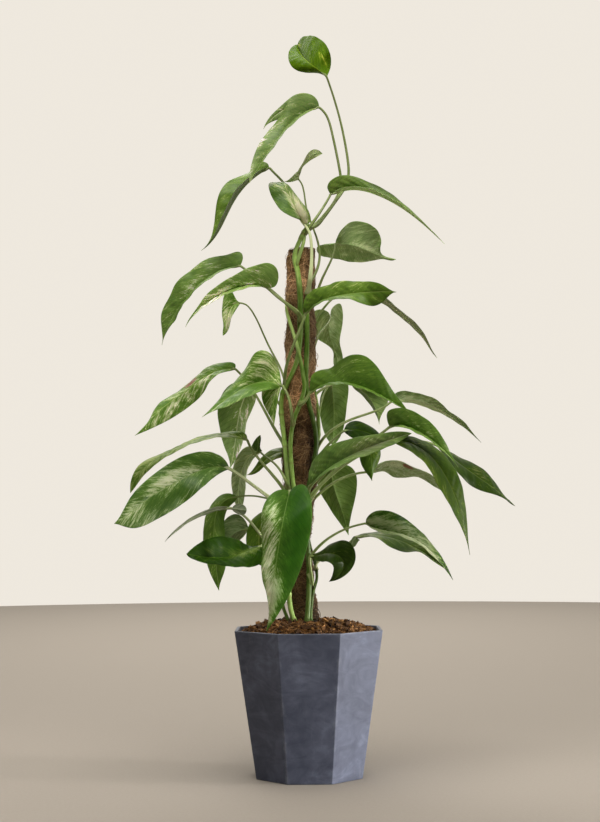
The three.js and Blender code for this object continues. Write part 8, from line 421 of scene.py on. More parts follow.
   [93.3,43.6,479.5,90.7,57.8,479.3,108.2,43.3,484.2],[93.9,42.9,477.7,91.5,56.1,477.6,107.1,42.2,481.9],[94.6,42.2,476,92.3,54.3,475.9,105.9,40.7,479.7],[95.1,41.4,474.2,93,52.4,474.2,104.6,39,477.6],
   [95.6,40.6,472.4,93.6,50.4,472.4,103.4,37.4,475.4],[96,39.8,470.6,94.2,48.3,470.6,102.1,35.9,473.3],[96.4,38.9,468.8,94.8,45.4,468.7,100.9,35.2,471.1],[96.7,38,466.9,95.2,42.4,466.8,99.8,35.1,469],
   [96.9,37.1,465.1,95.7,39.8,465,98.9,35.1,466.9],[97.1,36.1,463.2,96.1,37.6,463.1,98,34.9,464.7],[97.2,35.2,461.4,96.5,35.9,461.3,97.5,34.6,462.4],[97.2,34.2,459.5,96.8,34.4,459.4,97.1,34,460],
   [97.2,33.2,457.6,97,33.4,457.5,97.3,33,457.8]],
   "petiole": [[61.4,42.9,518.6,1.5],[56.7,41.5,519.2,1.51],[51.9,40,519,1.53],[47.3,38.5,518,1.55],[42.8,37,516.4,1.58],[38.4,35.5,514.4,1.6],[34.1,34.1,512.2,1.64],[29.9,32.7,510,1.67],[25.7,31.2,507.8,1.71],[21.5,29.9,505.4,1.75],[17.6,28.5,502.8,1.8],[13.9,27,499.8,1.84],[10.6,25.4,496.2,1.89],[8.2,23,492.1,1.94],[7.2,19.7,487.3,1.99],[9.3,16,482.9,2.04],[13.1,12.2,480,2.1]],
   "lobes": [],
   "finish": {"under": 1.44, "pale": 0.3, "wash": [-0.06, -0.06], "cool": [0.85, 0.743], "tone": 1.108, "marks": []}},
  {"name": "leaf_25", "slot": "leaf_green", "stem": "B",
   "blade": [[106.5,-46.4,448.9,105.8,-45.9,449.7,107.3,-46.8,448.1],[108.9,-47.8,449.7,104,-47.6,453.6,108.7,-49.3,448.9],[111.4,-49.3,450.3,103,-48.9,457.1,111,-53.8,448.7],[114,-50.9,450.5,102.3,-50.4,460.7,113.2,-59.7,448.3],
   [116.6,-52.6,450.4,102.2,-52.1,464.3,115.3,-66.7,447.7],[119.1,-54.3,450.2,103.1,-54,467.7,117.4,-74.3,446.8],[121.6,-56.1,449.7,105.6,-56,470.2,119.8,-77.8,446.2],[124.1,-57.9,449,108.8,-57.9,471.5,122.1,-81,445.5],
   [126.5,-59.8,448.1,112.3,-59.8,472.2,124.4,-83.8,444.6],[128.9,-61.7,447.2,115.9,-61.7,472.4,126.7,-86.5,443.6],[131.2,-63.7,446.2,119.4,-63.7,472.1,129,-89,442.6],[133.5,-65.8,445,122.9,-65.8,471.6,131.2,-91.3,441.5],
   [135.7,-67.9,443.8,126.4,-67.9,470.7,133.4,-93.6,440.3],[137.9,-70,442.6,129.7,-70,469.5,135.6,-95.7,439],[140.1,-72.1,441.2,133,-72.1,468.1,137.7,-97.8,437.7],[142.2,-74.3,439.8,136.2,-74.3,466.4,139.8,-99.8,436.3],
   [144.3,-76.5,438.4,139.2,-76.5,464.6,141.9,-101.8,434.9],[146.4,-78.8,436.9,142.2,-78.8,462.7,144,-103.7,433.4],[148.4,-81,435.3,145.1,-81,460.5,146,-105.5,431.9],[150.4,-83.2,433.8,147.9,-83.2,458.3,148,-107.3,430.4],
   [152.3,-85.5,432.2,150.6,-85.5,455.9,150,-109,428.9],[154.3,-87.7,430.5,153.2,-87.7,453.5,151.9,-110.7,427.3],[156.2,-89.9,428.9,155.6,-89.9,450.9,153.8,-112.2,425.7],[158,-92,427.2,158,-92,448.2,155.8,-113.6,424],
   [159.9,-94.1,425.4,160.2,-94.1,445.4,157.7,-114.9,422.4],[161.7,-96.2,423.7,162.3,-96,442.5,159.5,-116,420.7],[163.5,-98.2,421.9,164.4,-97.6,439.5,161.4,-117,419],[165.2,-100.2,420.1,166.3,-99,436.5,163.2,-118,417.4],
   [166.9,-102.2,418.3,168.1,-100.2,433.4,165.1,-118.9,415.7],[168.6,-104.3,416.4,169.8,-101.4,430.3,166.8,-119.8,414.1],[170.2,-106.4,414.5,171.4,-102.8,427,168.6,-120.7,412.4],[171.8,-108.5,412.5,172.9,-104.4,423.7,170.3,-121.5,410.6],
   [173.4,-110.7,410.6,174.2,-106.4,420.4,172,-122.3,408.9],[174.9,-112.9,408.6,175.4,-108.7,417,173.7,-123,407.1],[176.4,-115.1,406.6,176.5,-111.6,413.6,175.4,-122.9,405.4],[177.8,-117.3,404.5,177.6,-114.9,410.2,177.1,-122.7,403.6],
   [179.2,-119.6,402.5,178.8,-118,406.8,178.7,-123,401.8],[180.5,-121.9,400.4,180,-121,403.5,180.3,-123.8,399.9],[181.8,-124.3,398.3,181.3,-123.9,400.3,181.7,-125.1,398],[183.1,-126.6,396.1,182.7,-126.5,397.1,183,-126.9,396],
   [184.3,-129,394,184.3,-128.9,394.3,184.4,-129.1,393.7]],
   "petiole": [[106.5,-46.4,448.9,1.7],[100,-44.4,444.1,1.71],[93.4,-42.5,439.4,1.72],[86.6,-40.8,435,1.74],[79.7,-39.1,430.6,1.76],[72.8,-37.5,426.3,1.79],[65.8,-36,422.1,1.81],[58.8,-34.6,417.8,1.84],[51.8,-33.2,413.4,1.88],[44.9,-32,409,1.91],[38.1,-30.8,404.4,1.95],[31.4,-29.7,399.6,1.99],[24.8,-28.6,394.6,2.02],[18.5,-27.4,389.3,2.07],[12.4,-26,383.7,2.11],[6.7,-24.6,377.7,2.15],[1.3,-23.2,371.5,2.2]],
   "lobes": [],
   "finish": {"tone": 1.673, "pale": 0.187, "wash": [0.19, 0.06], "cool": [1.38, 1.08], "under": 1.25, "marks": [[.441,-.3,.223,.149,.14], [.262,-.8,.13,.223,.042]]}},
  {"name": "leaf_26", "slot": "leaf_green", "stem": "B",
   "blade": [[2.1,-73.6,371.8,1.5,-72.7,372.2,2.8,-74.6,371.3],[4.4,-77.8,374.6,1.3,-76.2,377.1,5.5,-79.8,374],[6.8,-82,377.2,1.1,-77.3,381.3,7.9,-87.5,376.5],[9.3,-85.9,379.8,1.3,-77.1,385.5,10.5,-96.6,378.8],
   [11.9,-89.7,382.3,1.7,-76.1,389.7,13.1,-106.6,380.9],[14.5,-93.3,384.8,2.6,-74.8,393.8,15.8,-117.2,382.8],[17.2,-96.6,387.1,3.7,-77.5,397.7,18.6,-122.6,384.7],[19.9,-99.7,389.3,5.2,-80.5,401.5,21.5,-127.2,386.6],
   [22.8,-102.7,391.5,7.1,-83.7,405.1,24.4,-131.5,388.3],[25.6,-105.8,393.6,9.4,-87.2,408.5,27.4,-135.5,390],[28.6,-108.8,395.5,12,-90.7,411.5,30.4,-139.1,391.6],[31.5,-111.8,397.5,14.9,-94.1,414.3,33.5,-142.5,393.1],
   [34.5,-114.7,399.3,18.1,-97.4,416.8,36.6,-145.7,394.5],[37.6,-117.7,401,21.4,-100.5,419,39.7,-148.7,395.9],[40.6,-120.7,402.7,24.9,-103.5,421,42.8,-151.6,397.2],[43.7,-123.6,404.4,28.5,-106.4,422.7,46,-154.3,398.5],
   [46.8,-126.5,405.9,32.2,-109.3,424.3,49.1,-156.9,399.7],[49.9,-129.4,407.4,36,-112,425.7,52.3,-159.3,400.9],[53.1,-132.3,408.9,39.8,-114.7,426.9,55.5,-161.7,402.1],[56.2,-135.1,410.3,43.7,-117.4,428,58.7,-164,403.2],
   [59.4,-138,411.6,47.5,-120.1,428.9,61.9,-166.2,404.3],[62.5,-140.8,413,51.4,-122.9,429.7,65,-168.3,405.4],[65.7,-143.7,414.2,55.3,-125.8,430.4,68.2,-170.2,406.5],[68.9,-146.5,415.5,59.2,-128.8,431.1,71.4,-172,407.6],
   [72,-149.3,416.7,63.1,-132,431.6,74.6,-173.7,408.7],[75.2,-152,417.8,67,-135.3,432.1,77.8,-175.2,409.8],[78.4,-154.8,419,70.8,-138.8,432.5,81,-176.6,410.9],[81.6,-157.6,420.1,74.7,-142.3,432.9,84.2,-178,412],
   [84.8,-160.3,421.1,78.5,-146,433.2,87.4,-179.2,413.2],[88,-163,422.2,82.3,-149.8,433.6,90.5,-180.4,414.4],[91.1,-165.7,423.2,86.1,-153.8,433.9,93.7,-181.5,415.7],[94.3,-168.4,424.2,89.8,-158.1,434.3,96.8,-182.5,417],
   [97.5,-171.1,425.1,93.5,-162.7,434.7,99.9,-183.4,418.3],[100.7,-173.8,426.1,97.2,-167.4,435,103,-184.2,419.8],[103.9,-176.4,427,100.8,-172.5,435.2,106.1,-184.1,421.3],[107,-179.1,427.9,104.5,-177.1,435.3,109.1,-184.1,423],
   [110.2,-181.7,428.8,108.2,-180.9,435.2,112.1,-184.6,424.7],[113.4,-184.3,429.6,111.9,-184.1,434.9,114.9,-185.8,426.4],[116.5,-186.9,430.5,115.6,-186.8,434.4,117.7,-187.5,428.2],[119.7,-189.4,431.3,119.3,-189.4,433.5,120.3,-189.6,430.1],
   [122.8,-192,432.1,122.7,-192,432.4,122.9,-192,431.8]],
   "petiole": [[2.1,-73.6,371.8,2],[1.6,-71.8,368.9,2.01],[1.2,-69.7,366.1,2.02],[.8,-67.4,363.2,2.03],[.5,-64.9,360.4,2.05],[.3,-62.3,357.5,2.07],[.1,-59.5,354.6,2.09],[-.1,-56.7,351.7,2.12],[-.3,-53.8,348.8,2.14],[-.4,-50.7,345.9,2.17],[-.6,-47.5,343,2.2],[-.7,-44.2,340,2.23],[-.8,-40.9,337.1,2.26],[-1,-36,334.1,2.29],[-1.1,-30.2,331.2,2.33],[-1.3,-24.3,328.2,2.36],[-1.6,-18.5,325.2,2.4]],
   "lobes": [],
   # painted shade: the shading patch and wash on this blade deepen and grey a band across it, a fold in shade
   "finish": {"tone": 1.501, "pale": 0.14, "wash": [0.168, 0.06], "cool": [1.572, 1.08], "under": 1.25, "marks": [[.251,-.3,.119,.458,.084], [.697,-.25,.239,.34,.07], [.403,.3,.138,.861,-.08], [.378,1,.175,.68,.245], [.673,.7,.165,.45,.175]], "shades": [[.673,.05,.213,.817,-.42]], "washes": [[.673,.05,.213,.817,.4]]}},
  {"name": "leaf_27", "slot": "leaf_green", "stem": "B",
   "blade": [[109.4,-57.7,430.2,109.6,-57.2,431.3,109.3,-58.3,429.2],[114,-60.9,430.1,114,-59.8,433.8,113.2,-61.9,426.1],[118.6,-64,429.7,118.8,-60.7,435.4,116.9,-67.1,423.8],[123.1,-67,428.8,124,-60.7,436.2,120.4,-73.3,421.5],
   [127.5,-70,427.6,129.3,-59.8,436.3,123.9,-80.1,419.1],[131.8,-72.9,426,134.5,-58.5,435.7,127.3,-87.1,416.7],[135.9,-75.7,424,139.4,-60,434.3,130.8,-91,414.2],[139.9,-78.4,421.7,144.2,-61.7,432.4,134.2,-94.6,411.6],
   [143.7,-80.9,419.1,148.7,-63.5,430.1,137.4,-97.8,408.8],[147.4,-83.3,416.3,153.1,-65.5,427.5,140.5,-100.5,405.9],[150.8,-85.5,413.2,157.3,-67.5,424.7,143.4,-102.9,402.6],[154.1,-87.5,409.9,161.4,-69.6,421.7,146.1,-104.8,399.2],
   [157.2,-89.2,406.5,165.4,-71.8,418.5,148.5,-106.4,395.6],[160.1,-90.8,402.9,169.1,-73.9,415.1,150.8,-107.6,391.9],[162.9,-92.2,399.1,172.7,-75.9,411.5,153,-108.5,388.1],[165.5,-93.3,395.3,176,-77.8,407.7,155,-109.1,384.3],
   [168,-94.3,391.4,179.1,-79.5,403.7,157.1,-109.5,380.4],[170.3,-95,387.4,182,-81,399.4,159.1,-109.8,376.6],[172.6,-95.5,383.3,184.5,-82.1,395.1,161.1,-109.9,372.7],[174.7,-95.9,379.1,186.9,-82.9,390.5,163.2,-109.9,368.9],
   [176.8,-96,374.9,189,-83.3,385.9,165.3,-109.7,365.1],[178.7,-96,370.7,190.9,-83.6,381.1,167.5,-109.6,361.3],[180.5,-96,366.4,192.5,-83.8,376.3,169.6,-109.4,357.5],[182.2,-95.9,362.1,193.9,-84,371.3,171.8,-109.2,353.7],
   [183.9,-95.9,357.7,195,-84.2,366.4,174,-109,349.9],[185.4,-95.9,353.3,196,-84.4,361.3,176.2,-108.7,346.1],[186.8,-95.8,348.9,196.8,-84.6,356.3,178.3,-108.4,342.3],[188.2,-95.7,344.4,197.5,-84.8,351.2,180.4,-108,338.5],
   [189.5,-95.6,339.9,198,-85,346.1,182.5,-107.5,334.7],[190.7,-95.4,335.4,198.4,-85.3,341.1,184.6,-106.8,330.8],[191.9,-95.2,330.9,198.8,-85.6,336,186.6,-106,326.9],[193,-94.9,326.4,199,-86,330.9,188.6,-105,323],
   [194.1,-94.6,321.9,199.3,-86.4,325.8,190.5,-103.8,319],[195.1,-94.2,317.3,199.4,-86.9,320.7,192.3,-102.4,314.9],[196.1,-93.7,312.8,199.6,-88,315.6,194.2,-100.1,310.8],[197.1,-93.2,308.2,199.7,-89.2,310.6,195.9,-97.7,306.7],
   [198.1,-92.6,303.6,199.9,-90.1,305.5,197.5,-95.5,302.5],[199.1,-91.9,299.1,200.2,-90.5,300.4,198.9,-93.5,298.3],[200.1,-91.1,294.5,200.7,-90.4,295.4,200.2,-91.8,294],[201.1,-90.2,289.9,201.3,-90,290.3,201.2,-90.4,289.7],
   [202.1,-89.2,285.3,202.2,-89,285.5,202,-89.4,285.1]],
   "petiole": [[109.4,-57.7,430.2,1.8],[101.5,-54.5,427.7,1.81],[93.7,-51.4,424.8,1.82],[85.9,-48.6,421.7,1.84],[78.2,-45.9,418.2,1.86],[70.6,-43.5,414.4,1.89],[63.1,-41.3,410.4,1.91],[55.8,-39.4,406,1.94],[48.6,-37.6,401.4,1.98],[41.6,-36.1,396.5,2.01],[34.8,-34.7,391.2,2.05],[28.2,-33.3,385.7,2.09],[21.9,-31.8,380,2.12],[15.7,-30,373.9,2.17],[9.9,-27.4,367.6,2.21],[4.3,-24.6,361,2.25],[-.9,-21.9,354.2,2.3]],
   "lobes": [],
   "finish": {"tone": 0.518, "shine": 0.4, "pale": 0.234, "wash": [0.046, 0.046], "cool": [0.608, 0.85], "under": 0.836, "marks": [[.351,1,.141,.383,.21], [.592,.9,.094,.407,.175]]}},
  {"name": "leaf_28", "slot": "leaf_deep", "stem": "B",
   "blade": [[173,6.1,426.6,173.5,7,427.3,172.6,5.2,425.9],[175.5,6.8,424.5,175.9,7.8,426.8,174,5.7,422.9],[178,7.4,422.4,179,10.5,425.1,176,4.4,420.4],[180.5,8.1,420.3,182.1,14.2,423.4,178,2.1,417.7],
   [183,8.8,418.2,185.4,18.5,421.9,179.8,-.8,415],[185.5,9.5,416.2,188.8,23.3,420.5,181.5,-4.1,412.3],[188.1,10.2,414.1,191.9,25.2,419,183.4,-4.5,409.6],[190.6,10.9,412.1,195.1,26.8,417.5,185.4,-4.6,407],
   [193.2,11.6,410.1,198.2,28.1,416,187.3,-4.3,404.3],[195.8,12.3,408.1,201.3,29.2,414.5,189.3,-3.9,401.7],[198.4,13,406.2,204.4,30.1,413.1,191.3,-3.2,399.1],[201.1,13.7,404.2,207.5,30.9,411.6,193.4,-2.3,396.4],
   [203.7,14.4,402.3,210.6,31.5,410.2,195.5,-1.3,393.8],[206.3,15.1,400.4,213.7,32,408.7,197.6,-.1,391.3],[209,15.8,398.4,216.7,32.3,407.3,199.9,1.2,388.8],[211.7,16.5,396.5,219.8,32.6,405.8,202.2,2.6,386.3],
   [214.4,17.3,394.6,222.8,32.8,404.2,204.5,4.1,383.9],[217.1,18,392.7,225.7,33,402.6,207,5.6,381.5],[219.8,18.7,390.9,228.7,33.2,400.9,209.6,7.2,379.3],[222.5,19.5,389,231.5,33.5,399.2,212.3,8.7,377.2],
   [225.2,20.3,387.1,234.4,33.8,397.3,215,10.1,375.2],[227.9,21.1,385.3,237.1,34.1,395.3,217.9,11.5,373.3],[230.7,21.9,383.4,239.7,34.5,393.2,220.9,12.8,371.6],[233.4,22.7,381.5,242.3,35,390.9,223.9,13.9,370],
   [236.2,23.5,379.7,244.7,35.6,388.5,227.1,15,368.7],[238.9,24.4,377.8,246.9,36.2,386,230.3,16,367.5],[241.7,25.3,376,249,36.9,383.3,233.6,16.9,366.4],[244.4,26.2,374.1,251.1,37.6,380.6,236.8,17.7,365.4],
   [247.1,27.1,372.2,253,38.2,377.8,240.2,18.7,364.4],[249.9,28,370.3,254.9,38.8,375,243.5,19.7,363.5],[252.6,29,368.3,256.8,39.3,372.2,246.8,20.8,362.6],[255.3,29.9,366.4,258.6,39.6,369.4,250.2,22.1,361.7],
   [258,30.9,364.4,260.4,39.8,366.5,253.6,23.6,360.7],[260.7,31.9,362.3,262.3,39.8,363.7,256.9,25.3,359.5],[263.3,32.9,360.3,264.1,39.1,361,260.3,27.8,358.1],[265.9,34,358.2,266,38.2,358.3,263.5,30.5,356.4],
   [268.5,35.1,356,268.1,37.7,355.7,266.5,33,354.4],[271.1,36.1,353.9,270.4,37.6,353.3,269.4,35.1,352.2],[273.6,37.2,351.6,272.9,37.9,351,272.2,36.8,350.1],[276.1,38.4,349.3,275.6,38.5,348.9,275.2,38.3,348.3],
   [278.5,39.5,347,278.6,39.7,347.2,278.4,39.3,346.8]],
   "petiole": [[173,6.1,426.6,1.6],[160.5,4.8,430.9,1.61],[147.4,3.5,433.1,1.62],[134.1,2,433.4,1.64],[120.8,.5,432,1.66],[107.8,-1.1,429.2,1.69],[95,-2.8,425.5,1.71],[82.5,-4.5,421,1.74],[70.4,-6.5,415.6,1.78],[58.6,-8.7,409.4,1.81],[47.4,-10.9,402.4,1.85],[36.8,-13.1,394.5,1.89],[27,-15.1,385.8,1.92],[18.1,-16.6,376.2,1.97],[10.3,-18,365.7,2.01],[3.7,-19.4,354.5,2.05],[-1.6,-20.4,342.6,2.1]],
   "lobes": [],
   "finish": {"tone": 0.454, "shine": 0.4, "pale": 0.22, "wash": [0.065, 0.06], "cool": [0.595, 0.85], "under": 0.757, "marks": [[.441,-.45,.08,.338,.15], [.641,-.15,.083,.442,.15]]}},
  {"name": "leaf_29", "slot": "leaf_pale", "stem": "C",
   "blade": [[86.2,22.6,393.3,86.5,23.3,392.4,85.8,21.9,394.2],[88.6,23.5,394.6,90.1,24.5,392,88.3,22.7,397.9],[91.2,24.5,395.8,92.8,27.2,392.9,90.2,22.1,400.1],[93.8,25.5,396.7,95.5,30.9,393.7,92.3,20.7,402],
   [96.5,26.5,397.5,98.4,35.4,394.4,94.6,18.8,403.7],[99.2,27.5,398.1,101.3,40.2,394.7,97.1,16.7,405.1],[102,28.5,398.6,104,42.1,394.2,99.8,16.8,406.3],[104.7,29.5,398.9,106.5,43.7,393.1,102.7,17.1,407.2],
   [107.5,30.5,399,108.8,44.8,391.6,105.6,17.7,407.9],[110.3,31.5,399.1,111,45.6,390.1,108.5,18.3,408.3],[113.1,32.6,399,113.2,46.3,388.6,111.5,19.1,408.6],[115.9,33.6,398.8,115.6,47,387.3,114.5,19.9,408.6],
   [118.7,34.6,398.5,118.2,47.8,386.5,117.6,20.7,408.4],[121.5,35.7,398.2,120.9,48.8,386,120.5,21.6,408],[124.3,36.7,397.8,123.6,50,385.9,123.5,22.5,407.4],[127.1,37.8,397.3,126.4,51.4,386,126.4,23.4,406.7],
   [129.8,38.8,396.7,129.2,52.9,386.3,129.3,24.3,405.7],[132.6,39.8,396.1,131.9,54.4,386.6,132.1,25.2,404.6],[135.3,40.8,395.5,134.7,55.8,387,134.8,26.2,403.3],[138,41.9,394.8,137.5,57.2,387.4,137.5,27.2,402],
   [140.7,42.9,394,140.2,58.4,387.7,140.3,28.2,400.7],[143.4,43.9,393.2,143,59.4,387.8,143,29.4,399.5],[146.1,44.9,392.3,145.8,60.3,387.7,145.9,30.7,398.4],[148.8,45.9,391.3,148.5,61,387.3,148.8,32.2,397.4],
   [151.4,46.9,390.4,151.1,61.5,386.7,151.7,33.8,396.5],[154,47.9,389.3,153.7,61.9,385.8,154.6,35.4,395.4],[156.6,48.8,388.2,156.2,62.1,384.7,157.5,37.2,394.3],[159.2,49.8,387,158.5,62.2,383.4,160.3,38.9,393.1],
   [161.7,50.8,385.8,160.8,62.3,381.9,163.1,40.7,391.7],[164.2,51.8,384.5,163,62.2,380.5,165.8,42.5,390.2],[166.7,52.7,383.1,165.3,62.1,379,168.4,44.2,388.5],[169.1,53.7,381.7,167.5,61.9,377.5,170.8,46,386.5],
   [171.5,54.6,380.2,169.7,61.6,376,173,47.7,384.4],[173.8,55.5,378.6,172,61.3,374.6,175,49.3,382.1],[176.1,56.4,376.9,174.2,60.6,373.2,176.9,51.6,379.7],[178.3,57.3,375.2,176.5,59.9,371.9,178.7,53.9,377.2],
   [180.4,58.2,373.3,178.8,59.6,370.6,180.4,56,374.7],[182.5,59.1,371.5,181.2,59.7,369.3,182.2,57.8,372.2],[184.5,59.9,369.5,183.5,60.2,368,184,59.3,369.7],[186.5,60.8,367.5,186,60.8,366.7,186,60.6,367.4],
   [188.4,61.6,365.4,188.3,61.7,365.1,188.4,61.4,365.6]],
   "petiole": [[86.2,22.6,393.3,1.5],[79.5,22,393.2,1.51],[73,21.4,392.5,1.53],[66.4,20.8,391.4,1.55],[60,20.3,389.8,1.58],[53.7,19.7,387.8,1.6],[47.5,19.2,385.5,1.64],[41.5,18.6,382.7,1.67],[35.7,18.1,379.5,1.71],[30.1,17.6,375.9,1.75],[24.8,17,372,1.8],[19.7,16.5,367.9,1.84],[14.7,16,363.6,1.89],[10,16.2,359,1.94],[5.5,17.1,354.2,1.99],[1.4,18.4,349.1,2.04],[-2.3,20.2,343.7,2.1]],
   "lobes": [],
   "finish": {"under": 1.677, "pale": 0.34, "grain": 2.4, "wash": [0.015, 0.015], "cool": [1.08, 1.192], "tone": 1.048, "marks": [[.35,.5,.095,.529,.2]], "spots": [[.45,.6,.082,.386,.95]]}},
  {"name": "leaf_30", "slot": "leaf_green", "stem": "C",
   "blade": [[32.2,50.9,397.2,31,50.9,397,33.3,50.8,397.5],[32.3,52.2,395,26.7,52.5,399.3,37.1,52.2,400.7],[32.6,53.4,392.8,23.9,54.2,399.5,39.7,53.4,402.5],[32.9,54.6,390.5,21.2,55.8,399.1,42.5,54.6,403.9],
   [33.2,55.8,388.3,18.7,57,397.8,45.5,55.8,404.7],[33.6,56.9,386.1,16.7,58,395.8,48.6,56.9,405],[34,57.9,383.8,15.3,58.7,393.4,51.7,57.9,404.8],[34.5,58.9,381.6,14.3,59.9,390.8,54.7,58.9,404],
   [35,59.8,379.4,13.8,61.6,388.1,57.5,59.8,402.8],[35.5,60.7,377.2,13.5,63.4,385.3,60.1,60.7,401.1],[36.1,61.5,375,13.5,65.4,382.5,62.3,61.5,399],[36.7,62.3,372.8,13.8,67.2,379.7,64.2,62.3,396.6],
   [37.4,63,370.6,14.2,69,376.9,65.6,63,393.8],[38,63.6,368.4,14.9,70.6,374.2,66.6,63.6,391],[38.7,64.1,366.2,15.8,72.1,371.5,67.3,64.1,388],[39.4,64.6,364.1,16.8,73.5,368.8,67.7,64.6,384.9],
   [40.1,64.9,361.9,18,74.7,366.2,67.9,64.9,381.9],[40.8,65.2,359.7,19.4,75.8,363.7,67.9,65.2,378.8],[41.6,65.4,357.6,20.8,76.8,361.2,67.7,65.4,375.7],[42.3,65.6,355.4,22.3,77.6,358.8,67.4,65.6,372.6],
   [43.1,65.6,353.2,23.8,78.1,356.4,67.1,65.6,369.6],[43.8,65.6,351.1,25.3,78.4,354,66.6,65.6,366.5],[44.6,65.5,348.9,26.9,78.5,351.5,66.1,65.5,363.5],[45.3,65.4,346.7,28.4,78.3,349.1,65.4,65.4,360.5],
   [46.1,65.2,344.6,29.9,77.9,346.7,64.8,65.1,357.5],[46.8,64.9,342.4,31.5,77.2,344.3,64.1,64.5,354.5],[47.6,64.6,340.2,33,76.5,341.9,63.3,63.5,351.5],[48.3,64.3,338.1,34.6,75.5,339.5,62.5,62.1,348.5],
   [49,63.8,335.9,36.1,74.5,337.2,61.6,60.4,345.5],[49.7,63.4,333.7,37.7,73.2,334.8,60.8,58.6,342.5],[50.3,62.8,331.5,39.3,71.9,332.4,60,57.1,339.5],[51,62.2,329.4,40.8,70.3,330.1,59.2,55.9,336.6],
   [51.6,61.5,327.2,42.4,68.6,327.7,58.5,55.2,333.6],[52.1,60.8,325,44,66.7,325.4,57.8,54.8,330.6],[52.7,60,322.8,45.5,64.2,323.1,57.2,55.1,327.6],[53.2,59.1,320.6,47.1,61.7,320.8,56.6,55.6,324.6],
   [53.7,58.2,318.3,48.7,59.6,318.5,56.2,55.9,321.6],[54.1,57.2,316.1,50.3,57.8,316.2,55.8,55.9,318.6],[54.5,56.1,313.9,51.9,56.3,314,55.5,55.5,315.5],[54.9,55,311.7,53.5,55,311.7,55.3,54.8,312.5],
   [55.2,53.8,309.4,54.9,53.8,309.3,55.4,53.7,309.6]],
   "petiole": [[32.2,50.9,397.2,1.5],[30.6,48.1,400,1.51],[28.5,45.5,402.3,1.53],[25.8,43.2,403.9,1.55],[22.6,41.3,404.7,1.58],[19.4,39.5,404.2,1.6],[16.5,38.1,402.9,1.64],[14.1,36.9,400.8,1.67],[12.2,35.7,398.2,1.71],[10.6,34.4,395.4,1.75],[9.3,33.1,392.4,1.8],[8.1,31.4,389.4,1.84],[7,29.1,386.3,1.89],[6,27.2,383.3,1.94],[4.8,25.4,380.3,1.99],[3.4,23.8,377.4,2.04],[1.5,22.5,374.9,2.1]],
   "lobes": [],
   "finish": {"under": 1.506, "pale": 0.094, "wash": [-0.078, -0.078], "cool": [0.85, 0.783], "tone": 1.25, "marks": []}},
  {"name": "leaf_31", "slot": "leaf_variegated", "stem": "B",
   "blade": [[74.7,-39.5,325.1,74.5,-39.1,326.3,75,-39.9,324],[77.6,-41.8,323.3,74.8,-41.8,330.4,77.2,-43.3,322.3],[80.5,-44.1,321.8,76.8,-44.1,333.9,79.8,-48.6,320],[83.5,-46.5,320.4,79.4,-46.5,336.8,82.5,-55.5,318.2],
   [86.6,-49,319.1,82.6,-49,339.2,85.2,-63.6,316.7],[89.8,-51.5,318.1,86.2,-51.5,340.8,87.9,-72.3,315.5],[92.9,-54.1,317.1,90,-54.1,341.7,90.9,-76.7,314.6],[96.1,-56.8,316.3,93.9,-56.8,342,93.9,-80.7,313.7],
   [99.3,-59.5,315.5,97.8,-59.5,341.8,97,-84.4,313],[102.5,-62.3,314.8,101.6,-62.2,341.2,100.1,-87.9,312.3],[105.6,-65.1,314.1,105.3,-64.7,340.3,103.2,-91.2,311.6],[108.8,-67.9,313.4,109,-66.6,339,106.3,-94.3,311],
   [111.9,-70.7,312.7,112.6,-67.8,337.4,109.4,-97.3,310.3],[115,-73.6,311.9,116.2,-68.4,335.6,112.4,-100.2,309.5],[118.1,-76.4,311.1,119.6,-68.6,333.6,115.5,-103,308.7],[121.2,-79.3,310.2,123,-68.7,331.4,118.5,-105.6,307.8],
   [124.2,-82.1,309.1,126.2,-69.1,329.1,121.5,-108.1,306.8],[127.1,-84.8,307.9,129.3,-69.9,326.7,124.4,-110.5,305.6],[130,-87.5,306.6,132.3,-71.3,324.2,127.3,-112.8,304.2],[132.8,-90.2,305.1,135.2,-73,321.6,130.1,-115,302.8],
   [135.5,-92.7,303.5,138,-74.9,318.9,132.8,-117,301.2],[138.1,-95.1,301.8,140.7,-77,316.2,135.4,-118.8,299.5],[140.7,-97.4,299.9,143.3,-79.3,313.4,138,-120.4,297.6],[143.2,-99.6,298,145.9,-81.8,310.6,140.6,-121.9,295.7],
   [145.7,-101.8,295.9,148.4,-84.5,307.8,143,-123.2,293.7],[148,-104,293.8,150.7,-87.3,304.8,145.4,-124.5,291.6],[150.3,-106.2,291.6,153,-90.2,301.9,147.8,-125.7,289.5],[152.4,-108.4,289.4,155.2,-93.3,298.9,150.1,-126.8,287.4],
   [154.6,-110.6,287.1,157.3,-96.5,295.8,152.3,-127.9,285.2],[156.6,-112.9,284.7,159.4,-99.7,292.7,154.5,-129,283],[158.6,-115.1,282.3,161.3,-103,289.6,156.6,-130,280.7],[160.5,-117.4,279.8,163.1,-106.3,286.4,158.7,-130.9,278.4],
   [162.4,-119.6,277.3,164.9,-109.8,283.2,160.7,-131.7,276.1],[164.1,-121.9,274.8,166.5,-113.4,280,162.7,-132.5,273.8],[165.9,-124.2,272.3,168,-117.7,276.7,164.7,-132.3,271.3],[167.6,-126.5,269.7,169.3,-122.1,273.5,166.7,-132,268.9],
   [169.2,-128.8,267.1,170.6,-126.1,270.2,168.6,-132.3,266.4],[170.8,-131.1,264.4,171.9,-129.6,266.8,170.4,-133,264],[172.3,-133.4,261.8,173.1,-132.7,263.4,172.1,-134.3,261.5],[173.8,-135.7,259.1,174.2,-135.5,260,173.8,-136,259],
   [175.3,-138,256.5,175.4,-137.8,256.7,175.2,-138.2,256.3]],
